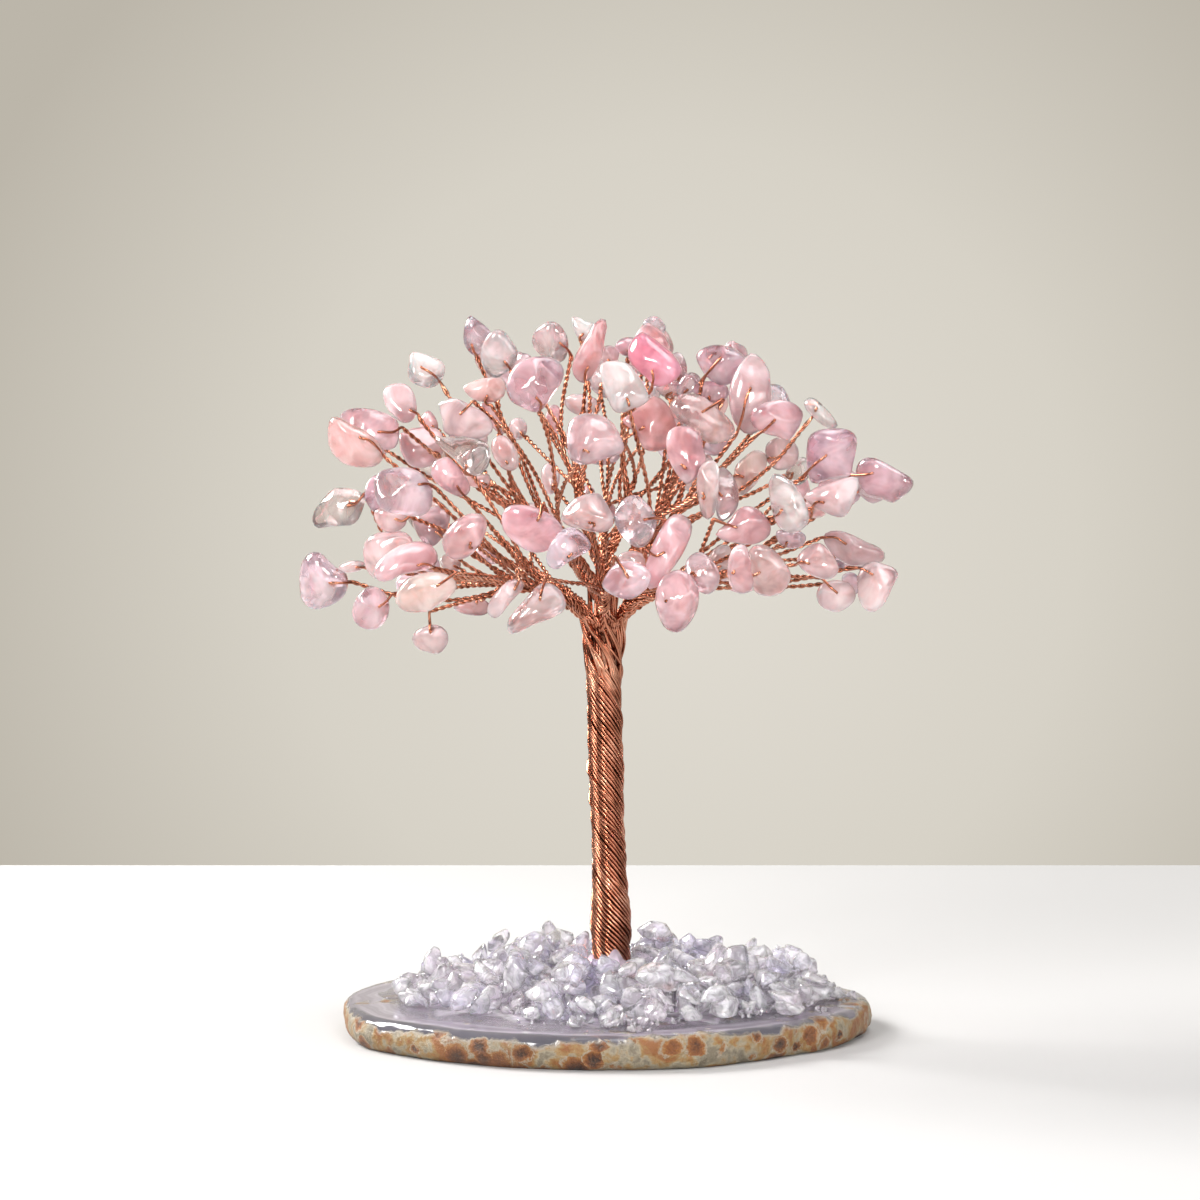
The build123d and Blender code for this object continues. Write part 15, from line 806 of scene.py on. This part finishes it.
def wire_loop(V, F, s, ends, arrive):
    """The single wire that passes through the stone's hole: over one face, through, and back over the other."""
    sid, limb, tint, c, half, sx, sz, hook, along, A, M, e, outline = s
    c, e = Vector(c), Vector(e)
    rad = hull_planes(c, half, sx, sz, outline)
    def surf(x, z, side, lift):
        r = math.hypot(x, z)
        q = r / max(0.01, rad(x / r, z / r)) if r > 1e-6 else 0.0
        return Vector((c.x + x, c.y + sx * x + sz * z + side * (half_depth(q, half) + lift), c.z + z))
    if hook:
        hole = Vector(hook[0])
    else:
        d = e - c
        dl = math.hypot(d.x, d.z)
        if dl < 0.35 * d.length:
            R = random.Random(sid + "h")
            a = R.uniform(0, 2 * math.pi)
            dx, dz = math.cos(a), math.sin(a)
        else:
            dx, dz = d.x / dl, d.z / dl
        r = rad(dx, dz) * 0.5
        hole = Vector((c.x + dx * r, 0, c.z + dz * r))
    hx, hz = hole.x - c.x, hole.z - c.z
    ex, ez = e.x - c.x, e.z - c.z
    if hook and len(hook) > 2:
        via = [(h[0] - c.x, h[2] - c.z) for h in hook[1:-1]][::-1]
    else:
        R = random.Random(sid + "v")
        bow = R.uniform(-0.9, 0.9)
        nx, nz = -(hz - ez), hx - ex
        nl = max(0.01, math.hypot(nx, nz))
        via = [(ex + (hx - ex) * t + nx / nl * bow * math.sin(math.pi * t), ez + (hz - ez) * t + nz / nl * bow * math.sin(math.pi * t)) for t in (0.3, 0.65)]
    order = (0, 1) if ends[0].y < ends[1].y else (1, 0)
    for side, k in ((-1, order[0]), (1, order[1])):
        mouth = surf(hx, hz, side, 0.24)
        inner = surf(hx, hz, side, -0.6)
        pts = [ends[k] - arrive.normalized() * 0.5, ends[k] + arrive.normalized() * 0.2]
        for i, (x, z) in enumerate(via):
            r = math.hypot(x, z)
            lim = rad(x / r, z / r) if r > 1e-6 else 1.0
            t = (i + 1) / (len(via) + 1)
            if r < lim * 0.98:
                pts.append(surf(x, z, side, 0.36))
            else:
                plane = c.y + sx * x + sz * z
                want = plane + side * 0.45
                pts.append(Vector((c.x + x, ends[k].y + (want - ends[k].y) * min(1.0, t * 1.6), c.z + z)))
        pts += [mouth + Vector(((ex - hx) * 0.05, side * 0.12, (ez - hz) * 0.05)), mouth * 0.6 + inner * 0.4, inner]
        tube(V, F, spline(pts, 0.22), 0.235)


for limb, (piv, K, Q, rad, heading) in LIMBS.items():
    V, F = [], []
    P0, K0, Q0 = Vector(piv), Vector(K), Vector(Q)
    items = sorted(by_limb[limb], key=lambda s: s[8])
    n = len(items)
    a = math.radians(heading)
    low = piv[2] < 75
    for i, s in enumerate(items):
        sid, _, tint, c, half, sx, sz, hook, along, A, M, e, outline = s
        R = random.Random(sid + "w")
        ring = (i + 0.5) / n
        rho = rad * 0.78 * math.sqrt(ring) if n > 2 else 0.3
        ang = i * 2.39996
        pts = []
        # along the trunk below the root
        for dz, share in ((4.2, 0.45), (2.0, 0.72)):
            th = a + 0.16 * dz + (i / n - 0.5) * 0.9
            rr = math.hypot(piv[0] + 0.8, piv[1]) * share
            pts.append(Vector((-0.8 + rr * math.cos(th), rr * math.sin(th), piv[2] - dz)))
        # inside the bundle, laid round each other
        t_end = max(0.12, along - 0.10)
        steps = max(3, int(t_end * 9))
        length = (Q0 - P0).length
        for k in range(steps + 1):
            t = t_end * k / steps
            p = quad(P0, K0, Q0, t)
            d = (quad(P0, K0, Q0, t + 0.01) - p).normalized()
            u = d.cross(Vector((0, 0, 1)))
            u = u.normalized() if u.length > 1e-3 else Vector((1, 0, 0))
            w = d.cross(u)
            sh = rho * (1 - 0.35 * t)
            ph = ang + 2 * math.pi * t * length / 11.0
            pts.append(p + u * (sh * math.cos(ph)) + w * (sh * math.sin(ph)))
        A, M, e = Vector(A), Vector(M), Vector(e)
        pts += [quad(A, M, e, 0.32), quad(A, M, e, 0.66), e]
        line = spline(pts, 0.33)
        ends = twisted(V, F, line, pitch=R.uniform(2.2, 3.0), phase=R.uniform(0, 6.28))
        wire_loop(V, F, s, ends, line[-1] - line[-3])
    o = make(f"{limb}_twists", V, F, COPPER, None, [f"{limb}_wires"])
    out = (quad(P0, K0, Q0, 0.2) - P0).normalized()
    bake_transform(o)


# ---------------------------------------------------------------- trunk rope
V, F = [], []
N, PITCH = 23, 21.5
order = []
total = sum(len(v) for v in by_limb.values())
for limb, (piv, K, Q, rad, heading) in LIMBS.items():
    share = max(1, round(N * len(by_limb[limb]) / total))
    order += [(heading % 360, limb, k, share) for k in range(share)]
order.sort()
N = len(order)


def lay(z):
    """Turn of the rope at a height."""
    return -2 * math.pi * (z - 0.004 * max(0.0, z - 45) ** 2) / PITCH


def rope_radius(z, th):
    """Surface of the rope: five thick ropes laid round each other."""
    tx, tr = trunk_at(z)
    foot = 0.5 * max(0.0, (13.0 - z) / 6.0) ** 1.5
    lump = 0.09 * math.cos(5 * (th - lay(z)) + 0.9 * math.sin(z * 0.09))
    flare = 0.5 * math.exp(-((z - 18.5) / 4.0) ** 2)
    return tx, tr - 0.29 + lump + foot + flare + 0.08 * math.sin(z * 0.31 + 2 * th)


lines = [(i, o, False) for i, o in enumerate(order)]
lines += [(i + 0.5, o, True) for i, o in enumerate(order)]
for i, (heading, limb, k, share), extra in lines:
    R = random.Random(int(100 + 2 * i))
    piv, K, Q, rad, _ = LIMBS[limb]
    a = math.radians(heading)
    zh = 61.5 if piv[2] < 75 else 64.0
    slot = 2 * math.pi * i / N + 1.15 + lay(zh) - lay(62.0)
    ph, amp = R.uniform(0, 6.28), R.uniform(0.008, 0.04)
    line = []
    z = zh - R.uniform(2.5, 6.0) if extra else 6.6 + R.uniform(-0.3, 0.5)
    z_first = z
    while z < zh:
        th = slot + lay(z) - lay(zh) + amp * math.sin(z * 0.17 + ph)
        tx, r = rope_radius(z, th)
        r += 0.05 * math.sin(z * 0.23 + 3 * ph)
        if extra:
            r -= 0.5 * max(0.0, 1 - (z - z_first) / 2.5)
        line.append(Vector((tx + r * math.cos(th), r * math.sin(th), z)))
        z += 0.55
    turn = (a - slot + math.pi) % (2 * math.pi) - math.pi
    if turn > 0.5:
        turn -= 2 * math.pi
    out = (quad(Vector(piv), Vector(K), Vector(Q), 0.12) - Vector(piv)).normalized()
    rp = math.hypot(piv[0] + 0.8, piv[1])
    steps = 24
    top = piv[2] - 0.3
    for q in range(1, steps + 1):
        t = q / steps
        z = zh + (top - zh) * t
        th = slot + turn * (t * t * (3 - 2 * t)) + amp * math.sin(z * 0.17 + ph) * (1 - t)
        tx, r0 = rope_radius(z, th)
        if piv[2] < 75:
            r = r0 + (rp - 0.3 - r0) * t ** 2.2
        else:
            r = r0 * (1 - 0.1 * math.sin(math.pi * t)) + (rp - 0.2 - r0) * t ** 2.5
        r += 0.25 * math.sin(math.pi * t) * math.sin(7.1 * i)
        line.append(Vector((tx + r * math.cos(th), r * math.sin(th), z)))
    side = Vector((-math.sin(a), math.cos(a), 0)) * ((k + (0.5 if not extra else 0.0)) / share - 0.5) * 1.5 * rad
    line.append(Vector(piv) + out * 1.2 + side)
    tube(V, F, spline(line, 0.5), 0.262, 8)
# heart of the rope: painted shade, a dark copper core that shows as shadow between the strands
heart_first = len(F)
line = [Vector((trunk_at(z)[0], 0, z)) for z in [6.4 + 1.0 * k for k in range(76)]]
fr = frames(line)
base, sides = len(V), 24
for p, n, b in fr:
    r = trunk_at(p.z)[1] - 0.62 + 0.5 * math.exp(-((p.z - 18.5) / 4.0) ** 2) + 0.5 * max(0.0, (13.0 - p.z) / 6.0) ** 1.5 - 0.3 * min(1.0, max(0.0, (p.z - 60.0) / 3.0))
    for k in range(sides):
        q = 2 * math.pi * k / sides
        V.append(tuple(p + n * (r * math.cos(q)) + b * (r * math.sin(q))))
for i in range(len(line) - 1):
    for k in range(sides):
        j = (k + 1) % sides
        F.append((base + i * sides + k, base + i * sides + j, base + (i + 1) * sides + j, base + (i + 1) * sides + k))
heart_last = len(F)
# stray strands that ride over the lay
for k in range(6):
    R = random.Random(900 + k)
    z0, slot = R.uniform(9, 50), R.uniform(0, 6.28)
    span, extra = R.uniform(12, 26), R.choice((1, 1, -1)) * R.uniform(0.03, 0.07)
    line = []
    for i in range(60):
        z = z0 + span * i / 59
        th = slot + lay(z) - lay(z0) - extra * (z - z0)
        tx, r = rope_radius(z, th)
        r += -0.25 + 0.55 * math.sin(math.pi * i / 59) ** 0.5
        line.append(Vector((tx + r * math.cos(th), r * math.sin(th), z)))
    tube(V, F, line, 0.262, 8)
o = make("trunk_rope", V, F, COPPER, "base", ["trunk_wire_rope"])
o.data.materials.append(SHADE)
# painted shade: heart faces below 59 mm take the dark copper, the heart in the head above takes plain copper
for p in o.data.polygons[heart_first:heart_last]:
    p.material_index = 1 if p.center.z < 59.0 * MM else 0


# ---------------------------------------------------------------- agate slice
HX, HY, TH = 45.6, 37.5, 5.6


def oval(a, s=1.0):
    w = 1 + 0.018 * math.sin(3 * a + 0.7) + 0.012 * math.sin(5 * a + 2.1) + 0.008 * math.sin(9 * a) - 0.024 * math.cos(a)
    return HX * w * math.cos(a) * s, HY * w * math.sin(a) * s


V, F, edge, rim = [], [], [], []
NA = 300
prof = [(0.0, TH, 0), (0.3, TH, 0), (0.5, TH, 0), (0.65, TH, 0), (0.76, TH, 0), (0.84, TH, 0), (0.90, TH, 0), (0.935, TH, 0), (0.955, TH - 0.02, 0.12), (0.968, TH - 0.12, 0.35),
        (0.98, TH - 0.4, 0.6), (0.99, TH - 0.9, 0.9), (0.996, TH - 1.5, 1), (1.0, TH - 2.2, 1), (1.0, TH - 3.0, 1), (0.998, TH - 3.8, 1), (0.992, TH - 4.5, 1), (0.982, TH - 5.05, 1), (0.968, TH - 5.45, 1), (0.952, 0.0, 0.8), (0.8, 0.0, 0), (0.4, 0.0, 0), (0.0, 0.0, 0)]
for l, (s, z, r) in enumerate(prof):
    for k in range(NA):
        a = 2 * math.pi * k / NA
        x, y = oval(a, s)
        if r > 0 and z > 0:
            q = Vector((x, y, z))
            w = noise.fractal(q * 0.16, 0.9, 2.0, 5) * 0.55 + noise.noise(q * 0.9) * 0.16
            g = 1 + min(0.35, w) * 0.022 * r
            x, y = x * g - 0.35 * r * math.cos(a) * 0.4, y * g - 0.35 * r * math.sin(a) * 0.4
            z2 = z - 0.14 * r * (0.5 + 0.5 * noise.noise(q * 0.5)) if z > TH * 0.6 else z
        else:
            z2 = z
        V.append((x, y, z2))
        edge.append(max(0.0, (0.96 - s) * 42.0) if z > 1 else 30.0)
        rim.append(min(1.6, max(0.0, (TH - z) / 2.4)) if s > 0.94 else (0.0 if z > 1 else 1.2))
for l in range(len(prof) - 1):
    for k in range(NA):
        j = (k + 1) % NA
        F.append((l * NA + k, (l + 1) * NA + k, (l + 1) * NA + j, l * NA + j))
o = make("agate_base", V, F, AGATE, None, ["agate_slice"])
for nm, data in (("edge", edge), ("rim", rim)):
    at = o.data.attributes.new(nm, "FLOAT", "POINT")
    at.data.foreach_set("value", data)
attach(o, "base")


# ---------------------------------------------------------------- glue
def lumpy(name, node_name, cuts, amount, freq, soften=0):
    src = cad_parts[node_name]
    me = src.data.copy()
    me.name = name
    bm = bmesh.new()
    bm.from_mesh(me)
    bmesh.ops.remove_doubles(bm, verts=bm.verts, dist=1e-6)
    bmesh.ops.triangulate(bm, faces=bm.faces)
    bmesh.ops.subdivide_edges(bm, edges=bm.edges, cuts=cuts, use_grid_fill=True)
    for k in range(soften):
        bmesh.ops.smooth_vert(bm, verts=bm.verts, factor=0.5, use_axis_x=True, use_axis_y=True, use_axis_z=True)
    bm.normal_update()
    moves = []
    for v in bm.verts:
        q = v.co * 1000
        w = noise.fractal(q * freq, 0.8, 2.0, 4)
        moves.append(v.normal * (w * amount * MM))
    for v, d in zip(bm.verts, moves):
        v.co += d
    bm.to_mesh(me)
    bm.free()
    me.materials.clear()
    o = bpy.data.objects.new(name, me)
    bpy.context.scene.collection.objects.link(o)
    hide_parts(node_name)
    return o


o = lumpy("foot_glue", "foot_glue_collar", 6, 0.35, 0.35)
for v in o.data.vertices:
    q = v.co * 1000
    if q.z > 9:
        v.co.z += MM * (q.z - 9) * 1.1 * max(0.0, 0.35 + noise.noise(Vector((q.x * 0.35, q.y * 0.35, 3.0))))
o.data.materials.append(GLUE)
o.data.shade_smooth()
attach(o, "base")
V, F = [], []
NR, NG = 30, 220
for i in range(NR + 1):
    s = i / NR
    for k in range(NG):
        a = 2 * math.pi * k / NG
        reach = 0.845 + 0.018 * math.sin(3 * a + 1) + 0.02 * math.sin(7 * a + 0.4) + 0.035 * noise.fractal(Vector((math.cos(a) * 4, math.sin(a) * 4, 1.7)), 0.8, 2.0, 4)
        x, y = oval(a, reach * s)
        swell = 1 - max(0.0, (s - 0.72) / 0.28) ** 1.6
        V.append((x, y, 5.61 + 0.75 * swell * (1 + 0.22 * noise.noise(Vector((x * 0.35, y * 0.35, 4.0))))))
for i in range(NR):
    for k in range(NG):
        j = (k + 1) % NG
        F.append((i * NG + k, (i + 1) * NG + k, (i + 1) * NG + j, i * NG + j))
make("glue_film", V, F, GLUE, "base", ["glue_bed"])
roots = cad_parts["root_wires"]
roots.data.materials.clear()
roots.data.materials.append(COPPER)

# ---------------------------------------------------------------- crushed quartz
SECTORS = ["right", "back_right", "back", "back_left", "left", "front_left", "front", "front_right"]
heap = {}
for sector in SECTORS:
    heap[sector] = lumpy("crushed_quartz_" + sector, "quartz_chips_" + sector, 3, 0.05, 0.35, 2)
tv, tf = [], []
for o in heap.values():
    base = len(tv)
    tv += [v.co * 1000 for v in o.data.vertices]
    tf += [tuple(i + base for i in q.vertices) for q in o.data.polygons]
tree = BVHTree.FromPolygons(tv, tf)
shapes = []
for k in range(10):
    R = random.Random(40 + k)
    bm = bmesh.new()
    flat = (1.0, R.uniform(0.6, 0.95), R.uniform(0.4, 0.75))
    for i in range(11):
        d = Vector((R.gauss(0, 1), R.gauss(0, 1), R.gauss(0, 1))).normalized() * R.uniform(0.8, 1.0)
        bm.verts.new((d.x * flat[0], d.y * flat[1], d.z * flat[2]))
    got = bmesh.ops.convex_hull(bm, input=bm.verts)
    bmesh.ops.delete(bm, geom=[g for g in got["geom_interior"] if isinstance(g, bmesh.types.BMVert)], context="VERTS")
    bmesh.ops.bevel(bm, geom=list(bm.edges), offset=0.05, segments=1, affect="EDGES", clamp_overlap=True)
    bmesh.ops.triangulate(bm, faces=bm.faces)
    bm.verts.index_update()
    shapes.append(([v.co.copy() for v in bm.verts], [tuple(v.index for v in f.verts) for f in bm.faces]))
    bm.free()
extra = {s: ([], []) for s in SECTORS}
R = random.Random(77)
placed = 0
while placed < 620:
    x, y = R.uniform(-39, 43), R.uniform(-33, 33)
    ang = math.atan2(y / 33.0, (x - 1.8) / 40.5)
    reach = 0.93 + 0.05 * math.sin(3 * ang + 1) + 0.04 * math.sin(7 * ang) + 0.05 * math.sin(13 * ang + 2)
    if -2.9 < ang < -2.0:
        reach -= 0.13
    if math.hypot((x - 1.8) / 40.5, y / 33.0) > reach or math.hypot(x - 0.6, y) < 4.6:
        continue
    hit = tree.ray_cast(Vector((x, y, 40)), Vector((0, 0, -1)))
    z = hit[0].z if hit[0] is not None else 6.35
    ex, ey = oval(math.atan2(y / HY, x / HX), 0.85)
    if hit[0] is None and math.hypot(x, y) > math.hypot(ex, ey):
        z = 5.6
    if R.random() > max(0.04, min(1.0, 1.15 - (z - 6.0) / 4.5)):
        continue
    size = R.uniform(0.5, 1.0) if R.random() < 0.65 else R.uniform(1.0, 1.9)
    if z > 8.5:
        size = min(size, 1.0)
    rot = Quaternion((R.gauss(0, 1), R.gauss(0, 1), R.gauss(0, 1), R.gauss(0, 1))).normalized()
    sv, sf = shapes[R.randrange(len(shapes))]
    V, F = extra[SECTORS[int(((math.degrees(math.atan2(y, x)) + 22.5) % 360) // 45)]]
    base = len(V)
    for q in sv:
        w = rot @ q * size
        V.append((x + w.x, y + w.y, max(5.65, z + 0.3 * size + w.z)))
    F += [tuple(i + base for i in f) for f in sf]
    placed += 1
for sector, o in heap.items():
    bm = bmesh.new()
    bm.from_mesh(o.data)
    V, F = extra[sector]
    vs = [bm.verts.new((x * MM, y * MM, z * MM)) for x, y, z in V]
    for f in F:
        bm.faces.new([vs[i] for i in f])
    bm.to_mesh(o.data)
    bm.free()
    o.data.materials.append(QUARTZ)
    o.data.shade_smooth()
    o.data.set_sharp_from_angle(angle=math.radians(50))
    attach(o, "base")

# ---------------------------------------------------------------- stage, light, camera
m, nt, b = new_mat("pale_floor")
b.inputs["Base Color"].default_value = lin(186, 186, 187)
b.inputs["Roughness"].default_value = 0.55
v = coords(nt)
bump(nt, b, noise_tex(nt, v, 0.4, 3.0), 0.02, 0.0003)
me = bpy.data.meshes.new("floor")
me.from_pydata([(-1.6, -1.6, 0), (1.6, -1.6, 0), (1.6, 0.222, 0), (-1.6, 0.222, 0)], [], [(0, 1, 2, 3)])
me.materials.append(m)
floor = bpy.data.objects.new("floor", me)
bpy.context.scene.collection.objects.link(floor)

# painted light: the backdrop glows by itself, brightest round a spot behind the object and darker outwards, standing
# in for light falling on it
m, nt, b = new_mat("backdrop")
tc = node(nt, "ShaderNodeTexCoord")
ln = node(nt, "ShaderNodeVectorMath", operation="LENGTH")
sub = node(nt, "ShaderNodeVectorMath", operation="SUBTRACT")
sub.inputs[1].default_value = (0.03, 0.8, 0.055)
nt.links.new(tc.outputs["Object"], sub.inputs[0])
nt.links.new(sub.outputs["Vector"], ln.inputs[0])
painted_glow = ramp(nt, ln.outputs["Value"], [(0.02, lin(224, 219, 209)), (0.16, lin(215, 210, 199)), (0.31, lin(188, 182, 170))])
b.inputs["Base Color"].default_value = (0, 0, 0, 1)
b.inputs["Roughness"].default_value = 1.0
b.inputs["Specular IOR Level"].default_value = 0.0
nt.links.new(painted_glow, b.inputs["Emission Color"])
b.inputs["Emission Strength"].default_value = 1.0
me = bpy.data.meshes.new("backdrop")
me.from_pydata([(-1.4, 0.8, -0.8), (1.4, 0.8, -0.8), (1.4, 0.8, 1.4), (-1.4, 0.8, 1.4)], [], [(0, 1, 2, 3)])
me.materials.append(m)
back = bpy.data.objects.new("backdrop", me)
bpy.context.scene.collection.objects.link(back)

world = bpy.data.worlds.new("studio")
bpy.context.scene.world = world
world.use_nodes = True
bg = world.node_tree.nodes["Background"]
bg.inputs["Color"].default_value = lin(222, 218, 214)
bg.inputs["Strength"].default_value = 0.24


def area(name, loc, target, size, energy, color=(1, 1, 1), size_y=None):
    l = bpy.data.lights.new(name, "AREA")
    l.energy = energy
    l.color = color
    l.size = size
    if size_y:
        l.shape = "RECTANGLE"
        l.size_y = size_y
    o = bpy.data.objects.new(name, l)
    o.location = loc
    d = Vector(target) - Vector(loc)
    o.rotation_euler = d.to_track_quat("-Z", "Y").to_euler()
    bpy.context.scene.collection.objects.link(o)
    return o


area("key", (-0.54, 0.22, 0.48), (0, 0, 0.07), 0.30, 9.9, (1.0, 0.98, 0.95))
area("softbox", (-0.36, -0.55, 0.42), (0, 0, 0.07), 0.18, 3.9, (1.0, 0.99, 0.98), 0.28)
area("top", (0.22, -0.06, 0.8), (0.03, 0, 0.06), 0.5, 3.4)
area("right", (0.55, -0.50, 0.17), (0, 0, 0.07), 0.70, 1.65, (1.0, 0.98, 0.97), 0.22)
area("front", (0.2, -0.66, 0.27), (0, 0, 0.07), 0.13, 2.3, (1.0, 0.99, 0.97))

cam = bpy.data.cameras.new("camera")
cam.sensor_width = 36.0
cam.lens = 3488.4 * 36.0 / 1200.0
cam.clip_start = 0.01
co = bpy.data.objects.new("camera", cam)
tilt = math.radians(3.0)
target = Vector((-1.4, 74.1 * math.sin(tilt), 74.1 * math.cos(tilt))) * MM
co.location = target - Vector((0, math.cos(tilt), -math.sin(tilt))) * 0.6
co.rotation_euler = (math.radians(87.0), 0, 0)
bpy.context.scene.collection.objects.link(co)
bpy.context.scene.camera = co
bpy.context.scene.view_settings.view_transform = "Standard"
